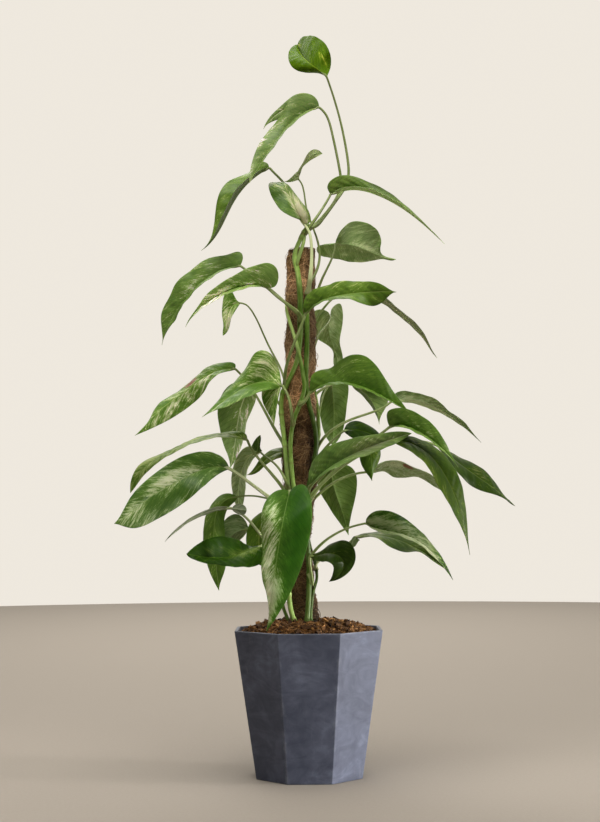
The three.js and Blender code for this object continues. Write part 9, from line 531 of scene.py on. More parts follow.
   "petiole": [[74.7,-39.5,325.1,1.3],[69.2,-38.5,324.3,1.31],[63.8,-37.5,323.1,1.33],[58.4,-36.5,321.6,1.35],[53,-35.5,319.9,1.38],[47.8,-34.6,317.9,1.4],[42.7,-33.6,315.6,1.44],[37.7,-32.7,313.1,1.47],[32.8,-31.8,310.3,1.51],[28.1,-30.9,307.3,1.55],[23.5,-30,304,1.6],[19.1,-29.1,300.4,1.64],[15,-28.3,296.6,1.69],[11.1,-26.3,292.6,1.74],[7.4,-23.6,288.2,1.79],[4,-20.5,283.7,1.84],[.9,-17.3,278.9,1.9]],
   "lobes": [],
   "finish": {"tone": 0.574, "pale": 0.3, "wash": [-0.049, -0.049], "cool": [0.831, 0.85], "under": 0.75, "marks": [[.154,-.5,.129,.257,.3], [.286,-.25,.095,.247,.2], [.419,1,.233,1.773,.5], [.69,1,.126,1.916,.5], [.102,1,.114,1.944,.35]]}},
  {"name": "leaf_32", "slot": "leaf_deep", "stem": "B",
   "blade": [[3.7,-36.3,283.5,4.2,-35.6,284.3,3.2,-37,282.7],[5.7,-40.4,283.6,6.7,-39.3,286.4,4.5,-41.5,281],[7.7,-44.6,283.9,9.6,-41.4,287.5,5.5,-47.8,280.3],[9.6,-49,284.4,12.6,-42.8,288.6,6.5,-55.3,279.8],
   [11.5,-53.5,284.9,15.5,-43.6,289.8,7.6,-63.6,279.4],[13.4,-58,285.5,18.3,-44.3,291.4,8.7,-72,279.2],[15.3,-62.4,286.1,20.8,-48,293.4,9.9,-77.4,279],[17.2,-66.7,286.6,23.2,-52.2,295.4,11.1,-82.2,278.9],
   [19.1,-70.8,287.2,25.6,-56.7,297.4,12.3,-86.6,278.8],[20.9,-74.7,287.7,28.1,-61.7,299.3,13.6,-90.4,278.8],[22.8,-78.4,288,30.7,-67.2,301,14.8,-93.9,278.8],[24.8,-81.7,288.3,33.3,-72.9,302.4,16.1,-97,278.8],
   [26.7,-84.8,288.4,36.1,-78.6,303.6,17.3,-99.6,278.8],[28.6,-87.4,288.3,39,-83.6,304.4,18.5,-101.8,278.8],[30.5,-89.7,288,42,-87.8,304.8,19.8,-103.6,278.8],[32.3,-91.6,287.6,45,-91,304.7,21,-105,278.7],
   [34.1,-93.2,287,47.9,-93.1,304,22.3,-106,278.5],[35.9,-94.4,286.2,50.7,-94.4,302.7,23.5,-106.7,278.2],[37.6,-95.3,285.2,53,-95.3,300.8,24.7,-107,277.9],[39.1,-95.8,284.1,54.9,-95.8,298.4,25.9,-106.9,277.4],
   [40.6,-96,282.8,56.5,-96,295.8,27,-106.5,276.8],[41.9,-96,281.4,57.7,-96,293,28.1,-105.9,276.1],[43,-96,279.8,58.5,-96,290,29.1,-105.2,275.2],[43.8,-95.9,278,58.9,-95.9,287,29.9,-104.5,274.2],
   [44.2,-95.9,276.1,59,-95.9,283.9,30.5,-103.7,273],[44.2,-95.8,274.1,58.7,-95.8,280.9,30.9,-103,271.8],[44,-95.7,272.2,58,-95.7,277.9,31.1,-102.3,270.5],[43.5,-95.6,270.3,57,-95.6,275,31.1,-101.6,269.2],
   [42.8,-95.4,268.5,55.6,-95.4,272.2,31.1,-100.8,267.9],[41.9,-95.1,266.7,54,-95.1,269.6,30.9,-100,266.6],[40.9,-94.8,265.1,52.2,-94.8,267.1,30.7,-99,265.4],[39.7,-94.4,263.5,50.1,-94.4,264.8,30.4,-97.9,264.1],
   [38.5,-93.9,262,47.9,-93.9,262.7,30.1,-96.6,262.8],[37.2,-93.3,260.5,45.5,-93.3,260.8,29.7,-95.2,261.6],[35.8,-92.6,259.1,43,-92.6,259,29.3,-93.7,260.3],[34.3,-91.8,257.9,40.3,-91.8,257.5,28.8,-92.3,259.1],
   [32.7,-90.8,256.7,37.6,-90.8,256.2,28.3,-91,257.9],[31.1,-89.7,255.6,34.7,-89.7,255.1,27.7,-89.8,256.7],[29.3,-88.5,254.7,31.7,-88.5,254.2,27.1,-88.5,255.5],[27.5,-87.1,253.9,28.7,-87.1,253.6,26.4,-87.1,254.4],
   [25.7,-85.5,253.3,26,-85.5,253.2,25.4,-85.5,253.4]],
   "petiole": [[3.7,-36.3,283.5,1.8],[1.9,-36.1,281.7,1.81],[1.9,-35.9,278.2,1.82],[2.1,-35.7,274.8,1.83],[2.5,-35.5,271.3,1.85],[3,-35.3,267.8,1.87],[3.4,-35.1,264.4,1.89],[3.9,-34.9,260.9,1.92],[4.5,-34.8,257.4,1.94],[5,-34.6,254,1.97],[5.5,-34.4,250.5,2],[6,-34.2,247.1,2.03],[4.9,-34,248.7,2.06],[4,-31.5,251.9,2.09],[3.1,-27.4,255.1,2.13],[2.2,-22.7,258.3,2.16],[1.3,-17.7,261.5,2.2]],
   "lobes": [],
   "finish": {"tone": 0.494, "pale": 0.22, "shine": 0.4, "wash": [0.049, 0.049], "cool": [0.674, 0.85], "under": 1.177, "marks": []}},
  {"name": "leaf_33", "slot": "leaf_green", "stem": "C",
   "blade": [[63.1,-4,307.5,62.5,-3.1,308,63.7,-4.9,307],[66.4,-4,308.2,62.2,-3,307.8,66.4,-5.1,305.6],[69.7,-4.1,308.7,65.5,-1,309.5,69.6,-7.3,306],[73,-4.1,309.2,69.1,1.9,310.9,72.8,-10.6,306.7],
   [76.4,-4.2,309.5,72.9,5.7,311.8,76,-14.6,307.2],[79.8,-4.3,309.7,76.8,9.9,312.5,79.1,-19.2,307.7],[83.2,-4.5,309.8,80.6,11.1,313.1,82.4,-20.7,307.7],[86.5,-4.6,309.7,84.4,12,313.5,85.6,-21.8,307.1],
   [89.9,-4.8,309.5,88.2,12.6,313.9,88.7,-22.6,306.1],[93.2,-5,309.2,92,12.8,314.3,91.7,-23.1,304.6],[96.6,-5.2,308.8,95.8,12.9,314.7,94.5,-23.4,302.9],[99.9,-5.5,308.2,99.5,12.7,314.9,97.3,-23.5,301],
   [103.2,-5.7,307.6,103.3,12.3,315.1,100.1,-23.3,299.1],[106.5,-6,306.8,107.1,11.8,315.2,102.9,-23.1,297.3],[109.7,-6.3,305.9,110.8,11.1,315.2,105.7,-22.8,295.5],[112.9,-6.5,305,114.5,10.2,315,108.6,-22.4,293.8],
   [116.1,-6.8,303.9,118.2,9.3,314.7,111.6,-22.1,292.3],[119.2,-7.1,302.8,121.9,8.3,314.1,114.6,-22,290.8],[122.4,-7.4,301.5,125.5,7.3,313.4,117.7,-22,289.6],[125.4,-7.7,300.2,129.1,6.2,312.5,120.9,-22.2,288.6],
   [128.5,-8,298.9,132.6,5,311.4,124.1,-22.6,287.9],[131.5,-8.3,297.4,136,3.8,310.1,127.4,-23.1,287.5],[134.5,-8.7,295.9,139.4,2.6,308.6,130.7,-23.7,287.4],[137.4,-9.1,294.3,142.6,1.2,307,134,-24.3,287.7],
   [140.3,-9.5,292.7,145.8,-.3,305.2,137.3,-24.8,288.1],[143.2,-10,291,148.8,-1.8,303.2,140.6,-25,288.3],[146,-10.5,289.3,151.8,-3.4,301.2,143.9,-25.1,288],[148.8,-11,287.5,154.7,-5.1,298.9,147.1,-25,287.1],
   [151.6,-11.6,285.7,157.4,-6.9,296.6,150,-24.8,285.4],[154.3,-12.1,283.9,160,-8.7,294.2,152.7,-24.5,283.5],[157,-12.8,282,162.5,-10.4,291.7,155.3,-24.1,281.3],[159.7,-13.4,280.1,165,-12,289,157.9,-23.7,279.1],
   [162.3,-14,278.1,167.3,-13.4,286.3,160.5,-23.2,277],[164.9,-14.7,276.2,169.6,-14.5,283.5,163.2,-22.7,275.1],[167.5,-15.4,274.2,171.8,-15.4,280.6,166.1,-21.6,273.2],[170.1,-16.2,272.1,173.9,-16.2,277.6,169,-20.4,271.3],
   [172.6,-16.9,270.1,175.8,-16.9,274.5,171.9,-19.6,269.5],[175.2,-17.7,268,177.7,-17.7,271.4,174.8,-19.2,267.7],[177.7,-18.5,265.9,179.5,-18.5,268.3,177.5,-19.2,265.8],[180.1,-19.4,263.8,181.1,-19.4,265,180.1,-19.6,263.8],
   [182.6,-20.3,261.7,182.8,-20.2,262,182.4,-20.3,261.5]],
   "petiole": [[63.1,-4,307.5,1.5],[59.8,-3.2,304.4,1.51],[56.3,-2.5,301.6,1.53],[52.7,-1.8,298.9,1.55],[49,-1,296.4,1.58],[45.2,-.2,294.1,1.6],[41.3,.5,291.9,1.64],[37.3,1.2,289.8,1.67],[33.3,2,287.8,1.71],[29.3,2.8,285.8,1.75],[25.3,3.5,283.7,1.8],[21.4,4.2,281.5,1.84],[17.6,5,279,1.89],[14,4.8,276.3,1.94],[10.9,3.7,273.1,1.99],[9.7,2,269,2.04],[11.1,0,264.8,2.1]],
   "lobes": [[[63,-5.5,307.5,60.4,-5.5,308.8,68.2,-5.5,303.5],[62.1,-6,306.5,59.4,-6,307.8,67.2,-6,302.9],[61.2,-6.5,305.6,58.4,-6.5,306.7,66.3,-6.5,302.1],[60.4,-7,304.6,57.5,-7,305.5,65.6,-7,301.2],[59.6,-7.5,303.6,56.7,-7.5,304.2,64.9,-7.5,300.2],[58.8,-8,302.5,56.1,-8,302.9,64.3,-8,299.2],[58.2,-8.5,301.4,55.6,-8.5,301.6,63.7,-8.5,298.2],[57.6,-9,300.2,55.3,-9,300.2,63,-9,297.2],[57.3,-9.5,299,55.2,-9.5,298.7,62.3,-9.5,296.2],[57.1,-10,297.7,55.5,-10,297.3,61.5,-10,295.4],[57.3,-10.5,296.4,56.2,-10.5,296,60.5,-10.5,294.7],[57.6,-11,295.2,57.1,-11,295,59.4,-11,294.2],[58.2,-11.5,294.1,57.9,-11.5,294.2,58.5,-11.5,294]]],
   "finish": {"tone": 0.632, "pale": 0.203, "stalk": 0.45, "lobe_pale": 0.3, "wash": [0.163, 0.06], "cool": [1.041, 1.041], "under": 0.75, "marks": [[.175,1,.118,1.827,.154], [.452,.4,.136,.306,.035], [.651,1,.12,2.753,.28], [.025,1,.084,2.493,.245]], "shades": [[.401,.75,.156,.627,-.35]], "washes": [[.401,.75,.156,.627,-.2]]}},
  {"name": "leaf_34", "slot": "leaf_deep", "stem": "C",
   "blade": [[49.1,16.6,447.9,49,17.2,448.9,49.3,16,446.9],[50.6,17,448.3,49.7,17.9,451.1,51,16.1,445],[52.1,17.4,448.6,50.4,19.9,452.9,52.1,14.8,444],[53.6,17.8,448.9,51.4,22.8,454.7,53.2,12.8,443],
   [55.1,18.2,449.1,52.5,26.1,456.5,54.3,10.2,442],[56.6,18.7,449.3,53.9,29.7,458.1,55.4,7.4,441],[58.1,19.1,449.4,55.4,31,459.3,56.6,6.9,440.2],[59.7,19.5,449.5,57,32,460.4,57.8,6.8,439.4],
   [61.2,20,449.5,58.7,32.9,461.2,59.1,7,438.7],[62.7,20.5,449.5,60.6,33.7,461.7,60.4,7.3,438],[64.2,21,449.5,62.4,34.5,462.1,61.7,7.8,437.4],[65.8,21.5,449.3,64.3,35.1,462.3,63,8.3,436.8],
   [67.3,22,449.2,66.2,35.7,462.3,64.4,9,436.2],[68.8,22.5,449,68,36.3,462.2,65.8,9.8,435.7],[70.3,23,448.8,69.9,36.9,462,67.2,10.6,435.2],[71.8,23.5,448.5,71.7,37.4,461.7,68.6,11.5,434.7],
   [73.3,24.1,448.2,73.5,37.9,461.2,70,12.4,434.3],[74.8,24.6,447.9,75.3,38.3,460.7,71.4,13.3,433.9],[76.3,25.2,447.5,77.1,38.8,460.1,72.9,14.2,433.6],[77.7,25.8,447.1,78.8,39.2,459.4,74.3,15.1,433.2],
   [79.2,26.3,446.6,80.5,39.7,458.7,75.8,16,432.9],[80.6,26.9,446.2,82.2,40,457.9,77.2,17,432.6],[82.1,27.5,445.7,83.8,40.3,457,78.7,18,432.4],[83.5,28.1,445.1,85.4,40.5,456,80.2,19.1,432.2],
   [84.9,28.7,444.6,87,40.7,455,81.7,20.2,432],[86.3,29.3,444,88.5,40.8,453.9,83.2,21.4,431.8],[87.7,29.9,443.4,90,40.9,452.8,84.7,22.5,431.7],[89.1,30.6,442.7,91.4,40.9,451.6,86.2,23.7,431.6],
   [90.5,31.2,442.1,92.8,40.9,450.4,87.8,25,431.5],[91.9,31.9,441.4,94.2,40.9,449.1,89.3,26.2,431.5],[93.2,32.5,440.7,95.5,40.8,447.8,90.8,27.5,431.4],[94.6,33.2,440,96.8,40.6,446.5,92.4,28.9,431.5],
   [95.9,33.8,439.3,98,40.4,445.1,93.9,30.3,431.5],[97.2,34.5,438.5,99.2,40.2,443.6,95.5,31.9,431.6],[98.5,35.2,437.7,100.3,39.5,442.2,97.1,33.6,431.7],[99.9,35.9,436.9,101.4,38.7,440.6,98.6,35.1,431.8],
   [101.2,36.6,436.1,102.5,38.3,439.1,100.2,36.3,432],[102.4,37.3,435.3,103.5,38.2,437.5,101.7,37.2,432.1],[103.7,38,434.5,104.4,38.4,436,103.2,38,432.3],[105,38.8,433.6,105.4,38.9,434.4,104.7,38.8,432.5],
   [106.3,39.5,432.7,106.4,39.5,433,106.2,39.5,432.5]],
   "petiole": [[49.1,16.6,447.9,1.5],[45.8,16.8,445.6,1.51],[42.6,17,443.1,1.53],[39.5,17.3,440.5,1.55],[36.4,17.8,437.8,1.58],[33.5,18.3,435.1,1.6],[30.6,18.9,432.2,1.64],[27.8,19.6,429.3,1.67],[25.1,20.4,426.3,1.71],[22.5,21.2,423.2,1.75],[20,22.2,420,1.8],[17.6,22.7,416.8,1.84],[15.3,22.4,413.4,1.89],[13.1,22.9,410,1.94],[10.9,21.9,406.5,1.99],[8.9,20.2,402.9,2.04],[6.9,18.9,399.3,2.1]],
   "lobes": [],
   "finish": {"tone": 0.406, "shine": 0.4, "pale": 0.18, "wash": [-0.183, -0.12], "cool": [0.3, 0.85], "under": 0.75, "marks": []}},
  {"name": "leaf_35", "slot": "leaf_green", "stem": "C",
   "blade": [[33.4,65.6,516.8,32.3,65.8,516.3,34.5,65.3,517.2],[33.9,67.3,514.8,28.8,68.3,515.7,38.4,67,519.2],[34.3,68.9,512.8,27.1,71.9,514.4,41,68.4,520.6],[34.7,70.5,510.8,25.5,76.3,513.1,43.8,69.8,521.4],
   [35.1,72.1,508.8,24.1,81.2,511.6,46.7,71.5,521.7],[35.4,73.5,506.8,23,86.1,510,49.5,73.2,521.5],[35.8,75,504.8,21.9,88.3,508.1,52.3,74.9,520.8],[36.1,76.3,502.7,21,90.1,506,54.7,76.3,519.3],
   [36.3,77.6,500.6,20.3,91.6,503.9,56.5,77.6,517.2],[36.6,78.8,498.6,19.7,92.8,501.7,57.5,78.8,514.6],[36.8,79.9,496.5,19.2,93.7,499.4,57.9,79.9,511.9],[37,80.9,494.4,18.8,94.5,497.1,58.1,80.9,509.1],
   [37.2,81.8,492.3,18.5,95.1,494.7,58,81.7,506.3],[37.3,82.6,490.2,18.3,95.6,492.4,57.8,82.2,503.5],[37.4,83.4,488,18.1,95.9,490,57.4,82.1,500.7],[37.5,84,485.9,18.1,96,487.6,57,81.5,497.8],
   [37.6,84.5,483.8,18.1,96,485.2,56.5,80.4,494.8],[37.7,84.9,481.6,18.1,96,482.8,56.1,79.1,491.9],[37.7,85.2,479.4,18.3,95.8,480.3,55.6,77.9,489],[37.8,85.4,477.3,18.4,95.5,477.9,55.2,77,486.1],
   [37.8,85.5,475.1,18.7,95.1,475.5,54.9,76.5,483.2],[37.7,85.4,472.9,18.9,94.5,473.1,54.5,76.2,480.3],[37.7,85.4,470.7,19.2,93.8,470.6,54.2,76.4,477.5],[37.7,85.4,468.5,19.6,92.9,468.2,53.9,76.7,474.7],
   [37.6,85.3,466.3,19.9,91.7,465.7,53.6,77.4,471.9],[37.6,85.2,464.1,20.4,90.4,463.3,53.2,78.2,469.1],[37.5,85.1,461.9,20.8,88.9,460.8,52.8,79.3,466.4],[37.4,85,459.7,21.3,87.4,458.4,52.4,80.6,463.6],
   [37.3,84.8,457.5,21.9,86.2,456,51.8,81.8,460.9],[37.2,84.5,455.3,22.6,85.2,453.7,51.2,82.7,458.2],[37.1,84.3,453.1,23.3,84.5,451.4,50.5,83.4,455.4],[37,83.9,450.9,24.1,84,449.1,49.7,83.6,452.7],
   [36.9,83.5,448.7,25,83.5,446.9,48.7,83.5,450],[36.8,83.1,446.5,26,83.1,444.7,47.6,83.1,447.4],[36.6,82.5,444.3,27.1,82.5,442.5,46.3,82.5,444.8],[36.5,81.9,442.1,28.3,81.9,440.4,44.9,81.9,442.2],
   [36.3,81.3,439.9,29.6,81.3,438.4,43.3,81.3,439.8],[36.2,80.5,437.7,31,80.5,436.5,41.6,80.5,437.4],[36,79.6,435.5,32.5,79.6,434.6,39.8,79.6,435.2],[35.9,78.7,433.3,34.1,78.7,432.8,37.8,78.7,433],
   [35.7,77.7,431,35.4,77.7,431,36,77.7,431.1]],
   "petiole": [[33.4,65.6,516.8,1.3],[29.7,59.4,512,1.31],[26.5,53.7,506.9,1.32],[23.9,48.5,501.6,1.34],[21.8,43.8,496.1,1.36],[20.1,39.6,490.6,1.39],[18.8,36,485,1.41],[17.7,32.9,479.4,1.44],[16.9,30.4,473.9,1.48],[16.2,28.1,468.3,1.51],[15.6,26,462.8,1.55],[15.1,24.2,457.3,1.59],[14.7,22.5,451.8,1.62],[14.3,20.2,446.3,1.67],[13.9,17.4,440.8,1.71],[13.6,14.6,435.3,1.75],[13.2,11.6,429.8,1.8]],
   "lobes": [],
   "finish": {"under": 1.427, "pale": 0.125, "wash": [-0.066, -0.066], "cool": [0.863, 0.863], "tone": 1.241, "marks": []}},
  {"name": "leaf_36", "slot": "leaf_variegated", "stem": "C",
   "blade": [[112.8,26.9,487.1,113.3,27.5,486.2,112.3,26.4,488],[116.1,28.1,488.7,117,29.2,486.7,113.8,27.3,492.2],[119.4,29.3,490,120.6,32.4,487.1,115.7,27,495.5],[122.9,30.5,491.1,124.3,36.7,487.5,118.3,25.9,498.2],
   [126.5,31.8,491.9,128,41.9,487.9,121.4,24.3,500.1],[130.1,33.1,492.4,131.8,47.6,488.1,124.9,22.2,501.2],[133.7,34.4,492.7,135.4,50.3,488,128.7,22.2,501.7],[137.3,35.8,492.7,139,52.8,487.7,132.5,22.3,501.6],
   [140.9,37.2,492.5,142.6,55,487.3,136.3,22.6,500.9],[144.5,38.7,492.1,146.1,57.1,486.7,140.1,23.2,500.1],[148.1,40.2,491.5,149.6,59.1,486.1,143.8,24,499.2],[151.7,41.7,490.7,153.1,61.1,485.4,147.7,25.1,498.4],
   [155.2,43.3,489.8,156.5,62.9,484.5,151.5,26.4,497.7],[158.7,45,488.8,160,64.7,483.6,155.4,28,497.1],[162.1,46.7,487.6,163.4,66.4,482.6,159.3,29.7,496.4],[165.6,48.4,486.4,166.7,68.1,481.5,163.1,31.6,495.5],
   [168.9,50.1,485,170.1,69.8,480.3,167,33.5,494.5],[172.3,51.9,483.6,173.4,71.4,479.1,170.7,35.4,493.1],[175.6,53.8,482.2,176.7,73.1,477.8,174.2,37.3,491.4],[179,55.7,480.6,180,74.7,476.5,177.5,39.1,489.2],
   [182.3,57.6,479,183.3,76.3,475.1,180.4,41,486.7],[185.5,59.6,477.4,186.5,77.9,473.6,183.2,42.9,484],[188.8,61.6,475.7,189.8,79.4,472.2,186.1,45,481.4],[192,63.6,474,193,80.9,470.6,189,47.3,478.8],
   [195.2,65.7,472.1,196.2,82.3,469,192.3,49.8,476.6],[198.4,67.8,470.3,199.3,83.7,467.4,195.7,52.5,474.5],[201.6,69.9,468.4,202.4,85,465.7,199.3,55.3,472.6],[204.7,72.1,466.4,205.5,86.4,463.9,202.9,58.3,470.7],
   [207.8,74.2,464.3,208.5,87.6,462.1,206.4,61.3,468.7],[210.8,76.4,462.2,211.5,88.9,460.2,209.8,64.4,466.6],[213.8,78.6,460.1,214.5,90,458.2,213.1,67.6,464.2],[216.8,80.8,457.9,217.3,91.2,456.1,216.2,70.8,461.6],
   [219.7,83,455.6,220.2,92.2,454,219.1,74,458.9],[222.6,85.1,453.3,223,93.2,451.8,221.9,77.3,456],[225.5,87.3,451,225.6,93.4,449.6,224.7,81.2,453.1],[228.3,89.4,448.6,228.2,93.6,447.3,227.5,85.2,450.1],
   [231.1,91.4,446.1,230.9,94,445,230.2,88.8,447.2],[233.8,93.4,443.6,233.5,94.9,442.6,232.9,92,444.2],[236.5,95.4,441,236.2,96,440.3,235.7,94.7,441.2],[239.1,97.2,438.4,238.9,97.4,438,238.6,97,438.4],
   [241.7,99,435.7,241.7,99.2,435.5,241.6,98.8,435.9]],
   "petiole": [[112.8,26.9,487.1,1.5],[106.2,23.8,482,1.51],[99.1,20.9,477.9,1.52],[91.7,18.3,474.6,1.54],[84.1,15.8,471.7,1.56],[76.4,13.7,469.1,1.59],[68.8,11.4,466.5,1.61],[61.2,9.2,463.7,1.64],[53.9,7.3,460.6,1.68],[46.7,5.1,457.1,1.71],[39.8,3,453,1.75],[33.2,1.3,448.5,1.79],[27.2,.8,443.4,1.82],[21.8,.6,437.6,1.87],[17.3,3.9,431.4,1.91],[13.7,9.1,424.7,1.95],[11,14.4,417.6,2]],
   "lobes": [],
   "finish": {"under": 1.429, "pale": 0.32, "grain": 1.3, "wash": [-0.022, -0.022], "cool": [1.08, 1.08], "tone": 0.953, "marks": [[.26,-.4,.187,.596,.4], [.534,-.85,.2,.857,.4], [.141,.1,.108,.405,.2], [.88,0,.2,3,-.3]]}},
  {"name": "leaf_37", "slot": "leaf_green", "stem": "C",
   "blade": [[81.5,2,427,82.7,2,427.2,80.4,2,426.8],[81.8,2,425.9,84.4,2.5,428,78.9,2.5,427.1],[82.1,1.9,424.7,85.9,3.6,428.2,77.6,3.6,426.7],[82.4,1.8,423.6,87.5,5,428.2,76.4,5,426.1],
   [82.7,1.8,422.5,89,6.6,428.1,75.3,6.6,425.5],[82.9,1.8,421.3,90.5,8.1,427.8,74.2,8,424.7],[83.2,1.7,420.2,91.9,8,427.3,73.1,7.7,423.8],[83.4,1.6,419,93.2,7.8,426.5,72.1,7.1,422.7],
   [83.6,1.6,417.9,94.3,7.4,425.5,71.3,6.2,421.5],[83.8,1.6,416.7,95.2,7.1,424.4,70.6,5.1,420.2],[84,1.5,415.6,96,6.8,423.1,70,3.9,418.8],[84.1,1.4,414.4,96.6,6.7,421.7,69.5,2.8,417.4],
   [84.3,1.4,413.3,97,6.8,420.3,69.2,2.1,416],[84.4,1.4,412.1,97.2,7,418.8,69.1,1.6,414.5],[84.6,1.3,411,97.3,7.3,417.3,69,1.3,413.1],[84.7,1.2,409.8,97.2,7.7,415.9,69.1,1.2,411.7],
   [84.8,1.2,408.6,97.1,8.1,414.4,69.2,1.2,410.3],[84.9,1.2,407.5,96.8,8.5,413,69.4,1.2,408.9],[85,1.1,406.3,96.5,8.9,411.5,69.7,1.1,407.5],[85.1,1,405.2,96,9.3,410.1,70.1,1,406.1],
   [85.1,1,404,95.6,9.6,408.7,70.5,1,404.8],[85.2,1,402.8,95,9.8,407.3,70.9,1,403.4],[85.3,.9,401.7,94.5,10,406,71.4,.9,402.1],[85.3,.8,400.5,93.9,10,404.6,72,.8,400.8],
   [85.3,.8,399.3,93.2,9.9,403.2,72.6,.8,399.5],[85.4,.8,398.2,92.5,9.7,401.9,73.2,.8,398.3],[85.4,.7,397,91.8,9.5,400.6,73.9,.8,397.1],[85.4,.6,395.8,91.1,9.2,399.2,74.6,.9,395.9],
   [85.4,.6,394.7,90.4,8.8,397.9,75.4,1.2,394.7],[85.4,.5,393.5,89.7,8.4,396.5,76.2,1.4,393.5],[85.4,.5,392.4,89.1,7.8,395.2,77,1.7,392.3],[85.3,.4,391.2,88.4,7.2,393.8,77.8,1.8,391.2],
   [85.3,.4,390,87.8,6.5,392.4,78.6,1.8,390],[85.3,.3,388.9,87.2,5.8,391,79.4,1.7,388.9],[85.3,.3,387.7,86.6,4.5,389.6,80.3,1.2,387.8],[85.2,.2,386.5,86.1,3.2,388.1,81.1,.8,386.6],
   [85.2,.2,385.4,85.7,2,386.7,81.9,.5,385.5],[85.1,.1,384.2,85.3,1.2,385.2,82.7,.2,384.3],[85.1,.1,383.1,85.1,.6,383.7,83.5,.1,383.1],[85,0,381.9,85,.2,382.2,84.2,.1,381.9],
   [84.9,0,380.7,85.2,.1,380.8,84.7,-.1,380.6]],
   "petiole": [[81.5,2,427,1.3],[74.9,2.3,426.1,1.31],[68.4,2.7,424.3,1.32],[62.1,3.4,421.9,1.34],[56.1,4.1,418.9,1.36],[50.4,5,415.4,1.39],[44.9,5.9,411.6,1.41],[39.7,6.9,407.4,1.44],[34.6,8,403,1.48],[29.8,9.3,398.4,1.51],[25.1,11.1,393.6,1.55],[20.6,12.9,388.6,1.59],[16.1,14.7,383.6,1.62],[11.9,16.5,378.4,1.67],[7.7,18.3,373.1,1.71],[3.5,20.2,367.8,1.75],[-.6,22.2,362.4,1.8]],
   "lobes": [],
   "finish": {"tone": 0.762, "pale": 0.265, "wash": [-0.038, -0.038], "cool": [0.674, 0.85], "under": 0.953, "marks": []}},
  {"name": "leaf_38", "slot": "leaf_deep", "stem": "A",
   "blade": [[-62.8,14.4,420.5,-63.1,14,421.6,-62.4,14.9,419.5],[-65.1,15.2,420.3,-67.5,14.6,425.1,-64.7,16.2,417.4],[-67.4,15.9,419.8,-69.7,14.1,426.7,-66.5,18.8,416.4],[-69.6,16.6,419.1,-72.3,13,427.8,-68.3,22.5,415.2],
   [-71.8,17.3,418.2,-75,11.3,428.2,-70.1,26.9,414],[-73.8,18.1,417.1,-77.7,9.3,427.9,-71.8,31.8,412.7],[-75.7,18.8,415.8,-80.4,9,427.1,-73.2,33.8,411.2],[-77.5,19.5,414.3,-82.8,8.9,425.8,-74.6,35.5,409.5],
   [-79.2,20.1,412.7,-85.1,8.9,424.1,-75.8,36.9,407.8],[-80.7,20.8,410.9,-87.2,9,422.3,-76.9,38.1,405.9],[-82,21.4,409,-89.1,9.1,420.2,-77.9,39.1,404],[-83.2,21.9,407.1,-90.8,9.4,418,-78.7,39.9,402.1],
   [-84.4,22.5,405,-92.3,9.7,415.7,-79.5,40.6,400.1],[-85.4,23,402.9,-93.7,10.1,413.3,-80.1,41.1,398],[-86.3,23.4,400.8,-95,10.5,410.8,-80.7,41.5,395.9],[-87.1,23.8,398.6,-96.1,10.9,408.2,-81.1,41.7,393.8],
   [-87.8,24.1,396.4,-97.1,11.3,405.6,-81.6,41.7,391.7],[-88.5,24.4,394.2,-98,11.7,402.9,-81.9,41.7,389.6],[-89.1,24.6,392,-98.7,12,400.3,-82.2,41.5,387.5],[-89.6,24.8,389.7,-99.3,12.3,397.5,-82.4,41.2,385.3],
   [-90.1,24.9,387.4,-99.8,12.5,394.8,-82.6,40.8,383.2],[-90.6,24.9,385.1,-100.2,12.8,392,-82.8,40.2,381],[-91,24.9,382.8,-100.5,13.1,389.2,-83,39.5,378.8],[-91.3,24.9,380.5,-100.7,13.4,386.5,-83.1,38.7,376.7],
   [-91.6,24.9,378.2,-100.7,13.9,383.7,-83.2,37.9,374.5],[-91.9,24.9,375.9,-100.7,14.3,380.9,-83.3,36.9,372.3],[-92.1,25,373.6,-100.6,14.9,378.1,-83.5,35.9,370.2],[-92.3,25,371.3,-100.5,15.4,375.3,-83.6,34.9,368],
   [-92.4,25,368.9,-100.2,16.1,372.5,-83.8,33.8,365.9],[-92.4,25,366.6,-99.9,16.8,369.8,-84,32.6,363.7],[-92.5,25,364.3,-99.6,17.6,367,-84.2,31.3,361.6],[-92.4,25,362,-99.2,18.4,364.3,-84.4,30,359.4],
   [-92.4,25,359.6,-98.7,19.4,361.5,-84.7,28.6,357.3],[-92.2,25,357.3,-98.2,20.5,358.8,-85.1,27.4,355.2],[-92.1,25,355,-97.5,22,356.1,-85.5,26.2,353.1],[-91.8,25,352.7,-96.7,23.4,353.4,-86,25.5,351],
   [-91.6,25,350.4,-95.8,24.2,350.8,-86.6,25.1,349],[-91.3,25,348.1,-94.6,24.7,348.3,-87.3,25,347],[-90.9,25,345.8,-93.3,25,345.8,-88.1,25,345],[-90.5,25,343.5,-91.8,25,343.4,-89,25,343.1],
   [-90,25,341.2,-90.3,25,341.3,-89.7,25,341.2]],
   "petiole": [[-62.8,14.4,420.5,1.3],[-59.8,11.1,417.8,1.31],[-56.6,7.7,415.3,1.32],[-53.5,4.2,412.8,1.34],[-50.3,.6,410.3,1.36],[-47.2,-3.1,407.8,1.39],[-44.2,-6.8,405.2,1.41],[-41.4,-10.6,402.3,1.44],[-38.9,-14.4,399.3,1.48],[-36.5,-18.6,396.1,1.51],[-34.4,-23.2,392.7,1.55],[-32.5,-27.7,389.3,1.59],[-30.8,-31.1,385.8,1.62],[-29.3,-33.8,382.2,1.67],[-28,-31.5,378.8,1.71],[-26.8,-26.8,375.3,1.75],[-25.7,-22.3,371.8,1.8]],
